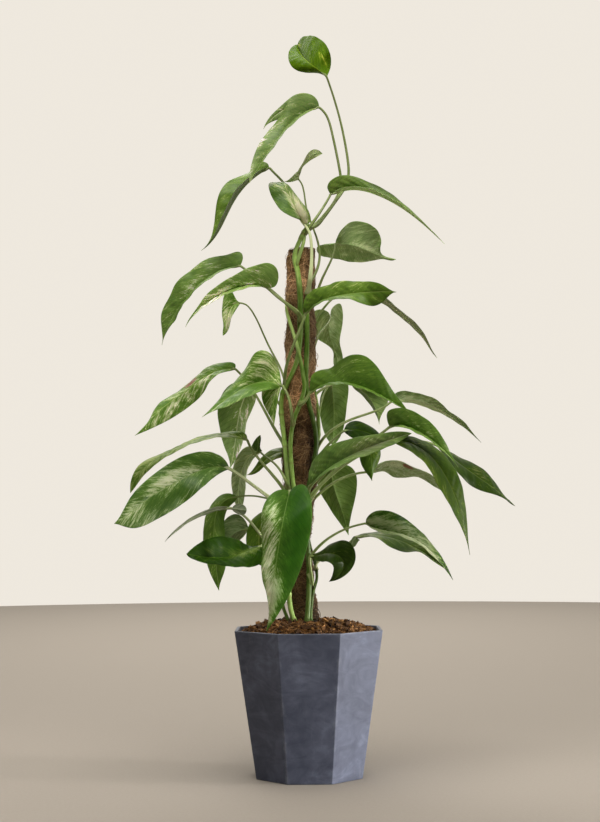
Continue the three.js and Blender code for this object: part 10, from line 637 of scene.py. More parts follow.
   "lobes": [[[-66.1,13.7,420.5,-75.3,13.7,425.2,-59.5,13.7,421.8],[-65.9,13.2,422.4,-74.5,13.2,426.9,-60.8,13.2,423.1],[-65.8,12.7,424.3,-73.7,12.7,428.6,-61.8,12.7,424.7],[-65.6,12.2,426.1,-72.9,12.2,430.2,-62.3,12.2,426.4],[-65.3,11.7,428,-72,11.7,431.9,-62.5,11.7,428.3],[-65.1,11.2,429.9,-71.1,11.2,433.5,-62.3,11.2,430.1],[-64.7,10.7,431.7,-70.2,10.7,435.1,-62.1,10.7,431.9],[-64.4,10.2,433.6,-69.1,10.2,436.6,-61.7,10.2,433.8],[-64,9.7,435.4,-68,9.7,438.1,-61.4,9.7,435.6],[-63.6,9.2,437.3,-66.7,9.2,439.5,-61.2,9.2,437.4],[-63.2,8.7,439.1,-65.3,8.7,440.7,-61.2,8.7,439.2],[-62.7,8.2,440.9,-63.8,8.2,441.8,-61.5,8.2,441],[-62.2,7.7,442.7,-62.5,7.7,442.8,-61.9,7.7,442.6]]],
   "finish": {"under": 3.306, "pale": 0.3, "wash": [0.06, 0.114], "cool": [1.08, 1.152], "tone": 1.25, "marks": []}},
  {"name": "leaf_39", "slot": "leaf_deep", "stem": "C",
   "blade": [[-25.6,21.3,420.6,-25.7,21.1,419.4,-25.6,21.5,421.8],[-27.2,21.3,420.7,-28.5,21,414.3,-27.8,21.6,426.3],[-28.9,21.2,420.7,-30,20.3,414.1,-29.6,22.4,426.5],[-30.5,21.1,420.7,-31.4,18.9,413.9,-31.3,23.9,426.7],
   [-32.1,21,420.6,-32.9,16.8,413.5,-33.1,26,426.9],[-33.7,20.8,420.4,-34.3,14.1,413.1,-34.8,28.5,427],[-35.3,20.6,420.2,-35.8,12.7,412.7,-36.6,29.5,426.9],[-36.9,20.4,419.8,-37.2,11.6,412.3,-38.3,30.1,426.7],
   [-38.4,20.2,419.4,-38.6,10.7,411.8,-40.1,30.4,426.4],[-40,19.9,419,-40.1,9.9,411.3,-41.8,30.6,426],[-41.5,19.6,418.4,-41.4,9.3,410.7,-43.4,30.6,425.5],[-43,19.3,417.8,-42.8,8.8,410.1,-45.1,30.4,425],
   [-44.5,19,417.1,-44.2,8.3,409.5,-46.7,30.2,424.4],[-45.9,18.7,416.4,-45.5,7.9,408.8,-48.3,29.9,423.7],[-47.3,18.5,415.6,-46.8,7.6,408.1,-49.9,29.5,422.9],[-48.7,18.2,414.7,-48.1,7.3,407.4,-51.4,29.2,422.1],
   [-50.1,17.9,413.8,-49.4,7.1,406.6,-52.9,28.7,421.1],[-51.4,17.7,412.9,-50.6,7,405.8,-54.4,28.2,420.2],[-52.6,17.4,411.9,-51.9,6.8,404.9,-55.8,27.7,419.1],[-53.9,17.1,410.8,-53.1,6.7,404,-57.1,27.2,418],
   [-55.1,16.8,409.8,-54.2,6.6,403.1,-58.4,26.6,416.9],[-56.3,16.6,408.7,-55.4,6.6,402.1,-59.7,26.1,415.7],[-57.4,16.4,407.5,-56.5,6.6,401.2,-60.9,25.5,414.4],[-58.6,16.1,406.4,-57.6,6.7,400.2,-62,24.8,413],
   [-59.7,15.7,405.2,-58.8,6.8,399.2,-63,24.1,411.6],[-60.8,15.4,404,-59.9,6.8,398.2,-64,23.3,410.2],[-61.9,15,402.9,-61,6.9,397.2,-65,22.5,408.8],[-63,14.6,401.7,-62.2,7,396.3,-66,21.7,407.3],
   [-64.1,14.2,400.5,-63.3,7.2,395.3,-66.9,20.8,405.8],[-65.3,13.8,399.4,-64.5,7.3,394.4,-67.8,19.9,404.3],[-66.4,13.3,398.3,-65.8,7.5,393.6,-68.7,19,402.8],[-67.6,12.9,397.2,-67,7.6,392.8,-69.6,18,401.3],
   [-68.8,12.4,396.1,-68.3,7.8,392,-70.5,16.9,399.9],[-70.1,11.9,395.1,-69.7,8,391.4,-71.5,15.8,398.4],[-71.4,11.3,394.1,-71.1,8.5,390.9,-72.5,14.4,397],[-72.7,10.8,393.2,-72.5,8.9,390.4,-73.6,12.9,395.6],
   [-74,10.3,392.4,-74,9.2,390.1,-74.7,11.6,394.3],[-75.5,9.7,391.6,-75.5,9.2,389.9,-75.9,10.4,393.1],[-76.9,9.2,391,-76.9,8.9,389.8,-77.1,9.5,391.9],[-78.4,8.6,390.4,-78.4,8.5,389.8,-78.5,8.7,390.8],
   [-79.9,8,389.9,-79.9,7.9,389.6,-79.9,8.1,390.2]],
   "petiole": [[-25.6,21.3,420.6,1.3],[-23.2,23.2,419.4,1.31],[-21,25.1,417.9,1.32],[-19.1,26.9,416,1.34],[-17.4,28.4,413.8,1.36],[-16,29.8,411.5,1.39],[-14.7,31.1,409.2,1.41],[-13.4,32.2,406.8,1.44],[-12.1,33.3,404.4,1.48],[-10.7,33.7,402.1,1.51],[-9,32.7,399.8,1.55],[-7.2,31.4,397.8,1.59],[-5,29.2,396,1.62],[-2.5,27.1,394.7,1.67],[.1,24.7,393.8,1.71],[2.8,22.4,393.4,1.75],[5.5,20.1,393.2,1.8]],
   "lobes": [],
   "finish": {"tone": 1.761, "pale": 0.26, "wash": [0.298, 0.06], "cool": [0.601, 0.85], "under": 1.25, "marks": []}},
  {"name": "leaf_40", "slot": "leaf_deep", "stem": "A",
   "blade": [[-49.5,-1.4,342.2,-48.4,-1.5,341.7,-50.6,-1.4,342.6],[-50.9,-1.4,340.9,-47.1,-.6,339.2,-54.5,-.5,342.6],[-52.2,-1.4,339.5,-46.2,.9,337.6,-56.9,1.3,342.1],[-53.5,-1.4,338.1,-45.3,2.9,335.9,-59.3,4,341.4],
   [-54.7,-1.4,336.6,-44.5,5.1,334.1,-61.6,7.3,340.5],[-55.8,-1.4,335,-43.9,7.2,332.3,-63.8,10.9,339.4],[-56.9,-1.4,333.5,-43.2,7,330.5,-65.9,11.8,338.1],[-57.8,-1.5,331.8,-42.7,6.3,328.6,-67.8,12.4,336.6],
   [-58.7,-1.5,330.1,-42.2,5.1,326.8,-69.6,12.7,335.1],[-59.5,-1.5,328.4,-41.9,3.5,324.9,-71.3,12.8,333.3],[-60.3,-1.6,326.6,-41.6,1.9,323,-72.8,12.7,331.5],[-60.9,-1.6,324.9,-41.4,.4,321,-74.2,12.4,329.5],
   [-61.5,-1.7,323.1,-41.3,-.7,319.1,-75.5,12,327.5],[-62.1,-1.7,321.2,-41.2,-1.4,317.2,-76.7,11.5,325.4],[-62.5,-1.7,319.4,-41.2,-1.7,315.3,-77.7,10.9,323.2],[-62.9,-1.8,317.5,-41.3,-1.8,313.4,-78.5,10.3,321],
   [-63.2,-1.8,315.6,-41.5,-1.8,311.5,-79.3,9.5,318.7],[-63.5,-1.8,313.8,-41.7,-1.8,309.5,-79.9,8.6,316.4],[-63.8,-1.8,311.9,-42,-1.8,307.6,-80.5,7.7,314.1],[-63.9,-1.9,310,-42.3,-1.9,305.8,-80.8,6.7,311.8],
   [-64.1,-1.9,308.1,-42.7,-1.9,303.9,-81.1,5.4,309.4],[-64.1,-1.9,306.2,-43.2,-1.9,302,-81.3,4,307],[-64.2,-1.9,304.3,-43.6,-1.9,300.1,-81.3,2.5,304.7],[-64.2,-1.9,302.4,-44.2,-1.9,298.3,-81.2,1,302.3],
   [-64.2,-1.9,300.5,-44.7,-1.9,296.5,-81,-.2,300],[-64.1,-1.9,298.6,-45.3,-1.9,294.6,-80.7,-1.2,297.6],[-64,-2,296.7,-46,-2,292.8,-80.2,-1.7,295.3],[-63.9,-2,294.8,-46.7,-2,291,-79.7,-1.9,292.9],
   [-63.7,-2,292.9,-47.4,-2,289.3,-79,-2,290.7],[-63.5,-2,291,-48.2,-2,287.5,-78.2,-2,288.4],[-63.3,-2,289.1,-49.1,-2,285.8,-77.3,-2,286.2],[-63.1,-2,287.2,-50,-2,284.1,-76.2,-2,284.1],
   [-62.8,-2,285.3,-50.9,-2,282.4,-75,-2,282],[-62.6,-2,283.5,-51.9,-2,280.8,-73.6,-2,280.1],[-62.3,-2,281.6,-52.9,-2,279.2,-72.1,-2,278.3],[-62,-2,279.7,-54,-2,277.6,-70.4,-2,276.5],
   [-61.7,-2,277.8,-55.2,-2,276.1,-68.6,-2,275],[-61.3,-2,276,-56.4,-2,274.6,-66.7,-2,273.6],[-61,-2,274.1,-57.6,-2,273.1,-64.7,-2,272.3],[-60.7,-2,272.2,-58.9,-2,271.7,-62.5,-2,271.3],
   [-60.3,-2,270.4,-60,-2,270.4,-60.6,-2,270.3]],
   "petiole": [[-49.5,-1.4,342.1,1.3],[-46.7,-3.1,340.3,1.31],[-44.4,-4.7,338,1.32],[-42.3,-6.5,335.4,1.34],[-40.5,-8.5,332.6,1.36],[-38.7,-10.5,329.8,1.39],[-37.1,-12.7,327,1.41],[-35.5,-15,324.1,1.44],[-34.1,-17.1,321.2,1.48],[-32.8,-18.8,318.2,1.51],[-31.6,-20.5,315.1,1.55],[-30.7,-21.6,312,1.59],[-29.9,-21.4,308.9,1.62],[-29.4,-20,305.6,1.67],[-29.1,-17.3,302.4,1.71],[-29,-14,299,1.75],[-29.2,-10.2,295.7,1.8]],
   "lobes": [],
   "finish": {"tone": 1.372, "pale": 0.26, "wash": [0.17, 0.06], "cool": [0.662, 0.85], "under": 1.247, "marks": []}},
  {"name": "leaf_41", "slot": "leaf_pale", "stem": "A",
   "blade": [[-77.8,15.1,318.6,-77.8,14.5,319.7,-77.8,15.6,317.6],[-79,15,318.7,-79.5,14.2,323.3,-79.4,15.9,315.9],[-80.2,14.8,318.7,-80.1,12.8,325.3,-80.2,17.8,315],[-81.4,14.7,318.7,-80.9,11,327.2,-81,20.5,314.1],
   [-82.6,14.6,318.6,-81.8,9.1,329.1,-81.9,23.9,313.2],[-83.8,14.5,318.4,-82.9,7.8,330.8,-82.8,27.7,312.3],[-85,14.4,318.2,-84.2,8.6,332.5,-83.6,28.7,311.4],[-86.1,14.4,318,-85.6,9.9,334,-84.3,29.4,310.5],
   [-87.3,14.3,317.7,-87.2,11.3,335.4,-85.1,29.8,309.5],[-88.5,14.2,317.4,-89,12.5,336.6,-85.8,30,308.6],[-89.6,14.1,317,-90.9,13.4,337.6,-86.6,30,307.7],[-90.7,14,316.6,-92.9,13.8,338.3,-87.3,29.8,306.9],
   [-91.8,13.9,316.1,-94.9,13.9,338.6,-88,29.5,306],[-92.9,13.8,315.6,-97,13.8,338.5,-88.8,29.2,305.1],[-94,13.7,315.1,-99,13.7,338.1,-89.5,28.7,304.2],[-95.1,13.6,314.5,-101,13.6,337.3,-90.3,28.1,303.4],
   [-96.1,13.5,313.9,-102.8,13.5,336.4,-91,27.5,302.5],[-97.1,13.4,313.3,-104.6,13.4,335.3,-91.8,26.9,301.7],[-98.1,13.3,312.6,-106.2,13.3,334,-92.6,26.2,300.9],[-99.1,13.2,311.9,-107.8,13.2,332.6,-93.4,25.5,300.1],
   [-100,13.1,311.2,-109.3,13.1,331.1,-94.2,24.8,299.3],[-101,12.9,310.5,-110.6,12.9,329.6,-95.1,24,298.6],[-101.9,12.8,309.7,-111.9,12.8,327.9,-95.9,23.1,297.8],[-102.8,12.7,308.9,-113,12.7,326.2,-96.8,22.1,297.2],
   [-103.6,12.5,308.1,-114.1,12.5,324.4,-97.7,21.1,296.5],[-104.5,12.4,307.2,-115,12.4,322.6,-98.6,20,295.9],[-105.3,12.2,306.4,-115.9,12.2,320.7,-99.5,18.9,295.3],[-106.1,12.1,305.5,-116.6,12.1,318.7,-100.5,17.7,294.7],
   [-106.9,11.9,304.6,-117.2,11.9,316.8,-101.4,16.5,294.2],[-107.6,11.8,303.7,-117.7,11.8,314.7,-102.4,15.2,293.8],[-108.4,11.6,302.7,-118.1,11.6,312.7,-103.4,13.9,293.4],[-109.1,11.4,301.8,-118.3,11.4,310.6,-104.5,12.8,293.1],
   [-109.8,11.3,300.8,-118.4,11.3,308.6,-105.5,12,292.8],[-110.5,11.1,299.8,-118.4,11.1,306.5,-106.6,11.4,292.6],[-111.1,11,298.8,-118.3,11,304.4,-107.8,11,292.4],[-111.8,10.8,297.8,-118,10.8,302.4,-108.9,10.8,292.3],
   [-112.4,10.6,296.8,-117.6,10.6,300.3,-110,10.6,292.2],[-113,10.5,295.8,-117.1,10.5,298.3,-111.2,10.5,292.2],[-113.5,10.3,294.7,-116.4,10.3,296.4,-112.3,10.3,292.3],[-114.1,10.2,293.7,-115.6,10.2,294.5,-113.5,10.2,292.4],
   [-114.6,10,292.6,-114.8,10,292.8,-114.4,10,292.4]],
   "petiole": [[-77.8,15.1,318.6,1.3],[-73.5,13.8,317.7,1.31],[-69.3,12.6,316.3,1.32],[-65.3,11.3,314.6,1.34],[-61.4,10.1,312.7,1.36],[-57.6,8.9,310.6,1.39],[-53.9,7.6,308.4,1.41],[-50.2,6.3,306,1.44],[-46.6,5,303.6,1.48],[-43.2,3.7,301,1.51],[-40,2.4,298.1,1.55],[-37.1,1.1,295,1.59],[-34.7,-.4,291.4,1.62],[-33,-2,287.6,1.67],[-32,-4.2,283.4,1.71],[-31.8,-6.6,279.2,1.75],[-32.2,-9.1,275.1,1.8]],
   "lobes": [],
   "finish": {"under": 1.067, "pale": 0.3, "wash": [-0.054, -0.054], "cool": [1.08, 1.12], "tone": 0.79, "marks": []}},
]


# ---------------------------------------------------------------- small helpers
def smoothstep(x, lo=0.0, hi=1.0):
    t = np.clip((x - lo) / (hi - lo), 0.0, 1.0)
    return t * t * (3.0 - 2.0 * t)


def spline(p, t):
    """Catmull-Rom through the rows of p at the row numbers t."""
    p = np.asarray(p, float)
    n = len(p)
    i = np.clip(np.floor(t).astype(int), 0, n - 2)
    f = (t - i)[:, None]
    a, b = p[np.clip(i - 1, 0, n - 1)], p[i]
    c, d = p[i + 1], p[np.clip(i + 2, 0, n - 1)]
    return 0.5 * (2 * b + (c - a) * f + (2 * a - 5 * b + 4 * c - d) * f**2 + (-a + 3 * b - 3 * c + d) * f**3)


def unit(v):
    return v / np.maximum(np.linalg.norm(v, axis=-1, keepdims=True), 1e-9)


def arc(p):
    return np.r_[0.0, np.cumsum(np.linalg.norm(np.diff(p, axis=0), axis=1))]


def smooth_rows(a, k=3):
    w = np.hanning(2 * k + 3)[1:-1]
    w = w / w.sum()
    pad = np.concatenate([np.repeat(a[:1], k, 0), a, np.repeat(a[-1:], k, 0)], 0)
    return sum(w[j] * pad[j : j + len(a)] for j in range(2 * k + 1))


class Shape:
    """Vertices in millimetres, faces, a material number per face, two UV maps and point values."""

    def __init__(self):
        self.v, self.f, self.m, self.uv1, self.uv2, self.val, self.n = [], [], [], [], [], {}, 0

    def add(self, verts, faces, mat, uv1=None, uv2=None, **values):
        verts = np.asarray(verts, float)
        k = len(verts)
        self.v.append(verts)
        for f in faces:
            self.f.append(np.asarray(f) + self.n)
            self.m.append(np.broadcast_to(mat, len(f)) if np.ndim(f) == 2 else mat)
        self.uv1.append(np.zeros((k, 2)) if uv1 is None else uv1)
        self.uv2.append(np.zeros((k, 2)) if uv2 is None else uv2)
        for name in set(self.val) | set(values):
            self.val.setdefault(name, [np.zeros(self.n)] if self.n else [])
            self.val[name].append(np.broadcast_to(values.get(name, 0.0), k).astype(float))
        self.n += k

    def object(self, name, mats, smooth=True):
        v = np.concatenate(self.v) * MM
        me = bpy.data.meshes.new(name)
        groups = [(np.asarray(f), np.asarray(m)) for f, m in zip(self.f, self.m)]
        sizes = np.concatenate([np.full(len(f), f.shape[1]) for f, _ in groups])
        loops = np.concatenate([f.ravel() for f, _ in groups]).astype(np.int32)
        start = np.r_[0, np.cumsum(sizes)[:-1]].astype(np.int32)
        me.vertices.add(len(v))
        me.vertices.foreach_set("co", v.astype(np.float32).ravel())
        me.loops.add(len(loops))
        me.loops.foreach_set("vertex_index", loops)
        me.polygons.add(len(sizes))
        me.polygons.foreach_set("loop_start", start)
        me.polygons.foreach_set("loop_total", sizes.astype(np.int32))
        me.polygons.foreach_set("material_index", np.concatenate([m for _, m in groups]).astype(np.int32))
        me.polygons.foreach_set("use_smooth", np.full(len(sizes), smooth))
        for uv_name, uv in (("vein", self.uv1), ("leaf", self.uv2)):
            layer = me.uv_layers.new(name=uv_name)
            layer.data.foreach_set("uv", np.concatenate(uv)[loops].astype(np.float32).ravel())
        for key, parts in self.val.items():
            at = me.attributes.new(key, "FLOAT", "POINT")
            at.data.foreach_set("value", np.concatenate(parts).astype(np.float32))
        me.update(calc_edges=True)
        me.validate()
        ob = bpy.data.objects.new(name, me)
        scene.collection.objects.link(ob)
        for mat in mats:
            me.materials.append(mat)
        return ob


def grid_faces(rows, cols, closed=False, flip=False):
    i = np.arange(rows - 1)[:, None]
    j = np.arange(cols if closed else cols - 1)[None, :]
    k = (j + 1) % cols
    a, b, c, d = i * cols + j, i * cols + k, (i + 1) * cols + k, (i + 1) * cols + j
    a, b, c, d = [np.broadcast_to(x, (rows - 1, j.shape[1])).ravel() for x in (a, b, c, d)]
    return np.stack([a, d, c, b] if flip else [a, b, c, d], -1)


def frames(centre, first):
    """Side and up vectors carried along a path without twist; first is the wanted up at the start."""
    t = unit(np.gradient(centre, axis=0))
    side, up = np.zeros_like(centre), np.zeros_like(centre)
    u = np.asarray(first, float)
    for i in range(len(centre)):
        u = u - t[i] * (u @ t[i])
        if np.linalg.norm(u) < 1e-5:
            u = np.cross(t[i], [1.0, 0.3, 0.2])
        u = u / np.linalg.norm(u)
        up[i] = u
        side[i] = np.cross(t[i], u)
    return t, side, up


def tube(shape, centre, radius, mat, first=(0, 0, 1), sides=12, profile=None, **values):
    """A closed tube. profile(i, angle) scales the radius; angle 0 is the side vector, 90 degrees the up vector."""
    n = len(centre)
    _, side, up = frames(centre, first)
    a = np.linspace(0, 2 * np.pi, sides, endpoint=False)
    k = np.ones((n, sides)) if profile is None else profile(np.arange(n)[:, None], a[None, :])
    r = radius[:, None] * k
    p = centre[:, None, :] + side[:, None, :] * (r * np.cos(a))[..., None] + up[:, None, :] * (r * np.sin(a))[..., None]
    s = arc(centre)
    uv1 = np.stack([np.broadcast_to(s[:, None] / 100, (n, sides)), np.broadcast_to(a[None, :] / (2 * np.pi), (n, sides))], -1)
    uv2 = np.stack([np.broadcast_to((s / max(s[-1], 1e-6))[:, None], (n, sides)), np.broadcast_to(np.cos(a)[None, :], (n, sides))], -1)
    caps = [np.arange(sides)[None, ::-1], ((n - 1) * sides + np.arange(sides))[None, :]]
    vals = {key: (np.broadcast_to(np.asarray(val)[:, None], (n, sides)).ravel() if np.ndim(val) == 1 else val) for key, val in values.items()}
    shape.add(p.reshape(-1, 3), [grid_faces(n, sides, closed=True), *caps], mat, uv1.reshape(-1, 2), uv2.reshape(-1, 2), **vals)


def ride(ob, slot, *nodes):
    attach(ob, "root")
    if nodes:
        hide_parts(*nodes)
    return ob


# ---------------------------------------------------------------- materials
class Nodes:
    """Short node builder for one material."""

    def __init__(self, name):
        self.mat = bpy.data.materials.new(name)
        self.mat.use_nodes = True
        self.t = self.mat.node_tree
        self.t.nodes.clear()
        self.out = self.t.nodes.new("ShaderNodeOutputMaterial")
        self.p = self.t.nodes.new("ShaderNodeBsdfPrincipled")
        self.t.links.new(self.p.outputs[0], self.out.inputs[0])

    def new(self, kind, **props):
        n = self.t.nodes.new("ShaderNode" + kind)
        for k, v in props.items():
            setattr(n, k, v)
        return n

    def put(self, socket, value):
        if isinstance(value, bpy.types.NodeSocket):
            self.t.links.new(value, socket)
        else:
            socket.default_value = value

    def uv(self, name):
        return self.new("UVMap", uv_map=name).outputs[0]

    def attr(self, name):
        return self.new("Attribute", attribute_name=name).outputs["Fac"]

    def obj(self):
        return self.new("TexCoord").outputs["Object"]

    def math(self, op, a, b=0.0, c=0.0, clamp=False):
        n = self.new("Math", operation=op, use_clamp=clamp)
        for s, v in zip(n.inputs, (a, b, c)):
            self.put(s, v)
        return n.outputs[0]

    def sep(self, v):
        n = self.new("SeparateXYZ")
        self.put(n.inputs[0], v)
        return n.outputs

    def xyz(self, x, y, z=0.0):
        n = self.new("CombineXYZ")
        for s, v in zip(n.inputs, (x, y, z)):
            self.put(s, v)
        return n.outputs[0]

    def mapped(self, v, scale=(1, 1, 1), location=(0, 0, 0), rotation=(0, 0, 0)):
        n = self.new("Mapping")
        self.put(n.inputs["Vector"], v)
        n.inputs["Scale"].default_value = scale
        n.inputs["Location"].default_value = location
        n.inputs["Rotation"].default_value = rotation
        return n.outputs[0]

    def noise(self, v, scale, detail=3.0, rough=0.55, distort=0.0):
        n = self.new("TexNoise")
        self.put(n.inputs["Vector"], v)
        n.inputs["Scale"].default_value = scale
        n.inputs["Detail"].default_value = detail
        n.inputs["Roughness"].default_value = rough
        n.inputs["Distortion"].default_value = distort
        return n.outputs[0]

    def ramp(self, fac, stops, ease="LINEAR"):
        n = self.new("ValToRGB")
        n.color_ramp.interpolation = ease
        el = n.color_ramp.elements
        while len(el) > 1:
            el.remove(el[-1])
        el[0].position, el[0].color = stops[0][0], (*stops[0][1], 1)
        for pos, col in stops[1:]:
            el.new(pos).color = (*col, 1)
        self.put(n.inputs[0], fac)
        return n.outputs[0]

    def step(self, v, lo, hi, a=0.0, b=1.0):
        n = self.new("MapRange", interpolation_type="SMOOTHSTEP")
        self.put(n.inputs["Value"], v)
        for key, val in (("From Min", lo), ("From Max", hi), ("To Min", a), ("To Max", b)):
            self.put(n.inputs[key], val)
        return n.outputs[0]

    def mix(self, fac, a, b, mode="MIX"):
        n = self.new("Mix", data_type="RGBA", blend_type=mode, clamp_factor=True)
        self.put(n.inputs["Factor"], fac)
        self.put(n.inputs[6], (*a, 1) if isinstance(a, tuple) and len(a) == 3 else a)
        self.put(n.inputs[7], (*b, 1) if isinstance(b, tuple) and len(b) == 3 else b)
        return n.outputs[2]

    def bump(self, height, strength, distance=0.001, normal=None):
        n = self.new("Bump")
        n.inputs["Strength"].default_value = strength
        n.inputs["Distance"].default_value = distance
        self.put(n.inputs["Height"], height)
        if normal is not None:
            self.put(n.inputs["Normal"], normal)
        return n.outputs[0]

    def finish(self, color, rough, normal=None, **fixed):
        self.put(self.p.inputs["Base Color"], color)
        self.put(self.p.inputs["Roughness"], rough)
        if normal is not None:
            self.put(self.p.inputs["Normal"], normal)
        for key, val in fixed.items():
            self.p.inputs[key.replace("_", " ")].default_value = val
        return self.mat


VEIN_PITCH = 8.0  # mm between lateral veins


def leaf_parts(n, seed):
    """Shared leaf coordinates: distance across a vein, distance from the midrib, and marbling that runs along the veins."""
    vein = n.sep(n.uv("vein"))
    leaf = n.sep(n.uv("leaf"))
    w = n.math("MULTIPLY", vein[0], 100.0)
    t = n.math("MULTIPLY", vein[1], 100.0)
    shift = n.math("MULTIPLY", n.attr("seed"), 37.0)
    lean = n.math("SUBTRACT", w, n.math("MULTIPLY", n.math("ABSOLUTE", t), 0.95))
    # the two halves of a blade are marbled each in its own way
    shift = n.math("ADD", shift, n.step(t, -0.4, 0.4, 0.0, 17.0))
    streak = n.noise(n.xyz(n.math("MULTIPLY", lean, 0.12), n.math("MULTIPLY", t, 0.075), shift), 1.0, 7.0, 0.70, 1.6)
    patch = n.noise(n.xyz(n.math("MULTIPLY", lean, 0.045), n.math("MULTIPLY", t, 0.05), n.math("ADD", shift, 9.0)), 1.0, 2.0, 0.5, 0.4)
    fleck = n.noise(n.xyz(n.math("MULTIPLY", lean, 0.40), n.math("MULTIPLY", t, 0.34), n.math("ADD", shift, 21.0)), 1.0, 5.0, 0.66, 1.2)
    return w, t, leaf, streak, patch, fleck


def tinted(n, col, depth):
    """The blade's depth of colour, partly its own and partly painted light and shade for how brightly it is lit, with
    some blades greyer and less yellow-green than others.
    """
    tone, wash = n.attr(depth), n.attr("wash_" + depth)
    red = n.math("MULTIPLY", tone, n.math("ADD", wash, 1.0))
    blue = n.math("MULTIPLY", n.math("MULTIPLY", tone, n.attr("cool_" + depth)), n.math("MULTIPLY_ADD", wash, 1.5, 1.0))
    return n.mix(1.0, col, n.xyz(red, tone, blue), "MULTIPLY")


def vein_lines(n, w, width):
    f = n.math("FRACT", n.math("DIVIDE", w, VEIN_PITCH))
    d = n.math("ABSOLUTE", n.math("SUBTRACT", f, 0.5))
    return n.step(d, 0.5, 0.5 - width)


def upper_material(name, deep, mid, light, sage, pale, cream, rough):
    n = Nodes(name)
    w, t, leaf, streak, patch, fleck = leaf_parts(n, 0)
    at = n.math("ABSOLUTE", t)
    m = n.math("ADD", n.attr("pale"), n.math("MULTIPLY", n.math("SUBTRACT", streak, 0.5), 1.6))
    m = n.math("ADD", m, n.math("MULTIPLY", n.math("SUBTRACT", patch, 0.5), 0.75))
    m = n.math("ADD", m, n.math("MULTIPLY", n.math("SUBTRACT", fleck, 0.5), n.attr("grain")))
    col = n.ramp(m, [(0.0, deep), (0.38, mid), (0.47, light), (0.492, sage), (0.62, pale), (0.82, cream)])
    line = vein_lines(n, w, 0.07)
    col = n.mix(n.math("MULTIPLY", line, 0.14), col, (0.20, 0.32, 0.05))
    rib = n.step(at, n.math("SUBTRACT", 1.45, leaf[0]), 0.35)
    col = n.mix(n.math("MULTIPLY", rib, 0.42), col, (0.25, 0.37, 0.09))
    dry = n.step(n.math("ADD", n.attr("brown"), n.math("MULTIPLY", n.math("SUBTRACT", fleck, 0.5), 0.9)), 0.40, 0.62)
    col = n.mix(dry, col, (0.17, 0.080, 0.040))
    col = tinted(n, col, "tone")
    grain = n.noise(n.xyz(n.math("MULTIPLY", w, 2.2), n.math("MULTIPLY", t, 2.2), 3.0), 1.0, 2.0)
    h = n.math("ADD", n.math("MULTIPLY", line, -0.35), n.math("MULTIPLY", grain, 0.12))
    r = n.math("ADD", rough - 0.06, n.math("MULTIPLY", patch, 0.14))
    n.put(n.p.inputs["Specular IOR Level"], n.math("MULTIPLY", n.attr("shine"), n.math("ADD", 0.20, n.math("MULTIPLY", patch, 0.16))))
    return n.finish(col, r, n.bump(h, 0.35, 0.0005), Subsurface_Weight=0.10, Subsurface_Radius=(0.6, 1.0, 0.25),
                    Subsurface_Scale=0.0015)


def under_material(name, base, light, pale, cream):
    n = Nodes(name)
    w, t, leaf, streak, patch, fleck = leaf_parts(n, 0)
    at = n.math("ABSOLUTE", t)
    m = n.math("ADD", n.attr("pale"), n.math("MULTIPLY", n.math("SUBTRACT", streak, 0.5), 1.9))
    m = n.math("ADD", m, n.math("MULTIPLY", n.math("SUBTRACT", patch, 0.5), 0.7))
    m = n.math("ADD", m, n.math("MULTIPLY", n.math("SUBTRACT", fleck, 0.5), n.attr("grain")))
    col = n.ramp(m, [(0.08, base), (0.36, light), (0.46, pale), (0.78, cream)])
    line = vein_lines(n, w, 0.09)
    col = n.mix(n.math("MULTIPLY", line, 0.30), col, (0.27, 0.34, 0.17))
    rib = n.step(at, n.math("SUBTRACT", 1.6, leaf[0]), 0.4)
    col = n.mix(n.math("MULTIPLY", rib, 0.6), col, (0.27, 0.37, 0.15))
    dry = n.step(n.math("ADD", n.attr("brown"), n.math("MULTIPLY", n.math("SUBTRACT", fleck, 0.5), 0.9)), 0.40, 0.62)
    col = n.mix(dry, col, (0.17, 0.080, 0.040))
    col = tinted(n, col, "under")
    grain = n.noise(n.xyz(n.math("MULTIPLY", w, 2.2), n.math("MULTIPLY", t, 2.2), 3.0), 1.0, 2.0)
    h = n.math("ADD", n.math("MULTIPLY", line, 0.4), n.math("MULTIPLY", grain, 0.10))
    r = n.math("ADD", 0.48, n.math("MULTIPLY", fleck, 0.12))
    return n.finish(col, r, n.bump(h, 0.4, 0.0005), Subsurface_Weight=0.10, Subsurface_Radius=(0.6, 1.0, 0.25),
                    Subsurface_Scale=0.0015, Specular_IOR_Level=0.16)


def stalk_material(name, dark, mid, light, rough=0.42):
    """Petioles and stems: long fine streaks and a browner foot."""
    n = Nodes(name)
    v = n.sep(n.uv("vein"))
    lines = n.noise(n.xyz(n.math("MULTIPLY", v[0], 3.0), n.math("MULTIPLY", v[1], 14.0), n.math("MULTIPLY", n.attr("seed"), 11.0)), 1.0, 4.0, 0.6)
    blot = n.noise(n.xyz(n.math("MULTIPLY", v[0], 9.0), n.math("MULTIPLY", v[1], 2.0), n.attr("seed")), 1.0, 3.0, 0.6)
    m = n.math("ADD", n.math("MULTIPLY", lines, 0.7), n.math("MULTIPLY", blot, 0.4))
    m = n.math("ADD", m, n.math("SUBTRACT", n.attr("pale"), 0.35))
    col = n.ramp(m, [(0.25, dark), (0.5, mid), (0.78, light)])
    col = n.mix(n.attr("brown"), col, (0.16, 0.10, 0.045))
    # tone multiplies the colour; on the stems and some petioles it also holds painted light and shade
    col = n.mix(1.0, col, n.xyz(n.attr("tone"), n.attr("tone"), n.attr("tone")), "MULTIPLY")
    r = n.math("ADD", rough - 0.05, n.math("MULTIPLY", blot, 0.12))
    return n.finish(col, r, n.bump(n.math("ADD", lines, n.math("MULTIPLY", blot, 0.5)), 0.4, 0.0006), Subsurface_Weight=0.08,
                    Subsurface_Radius=(0.6, 1.0, 0.25), Subsurface_Scale=0.002, Specular_IOR_Level=0.16)


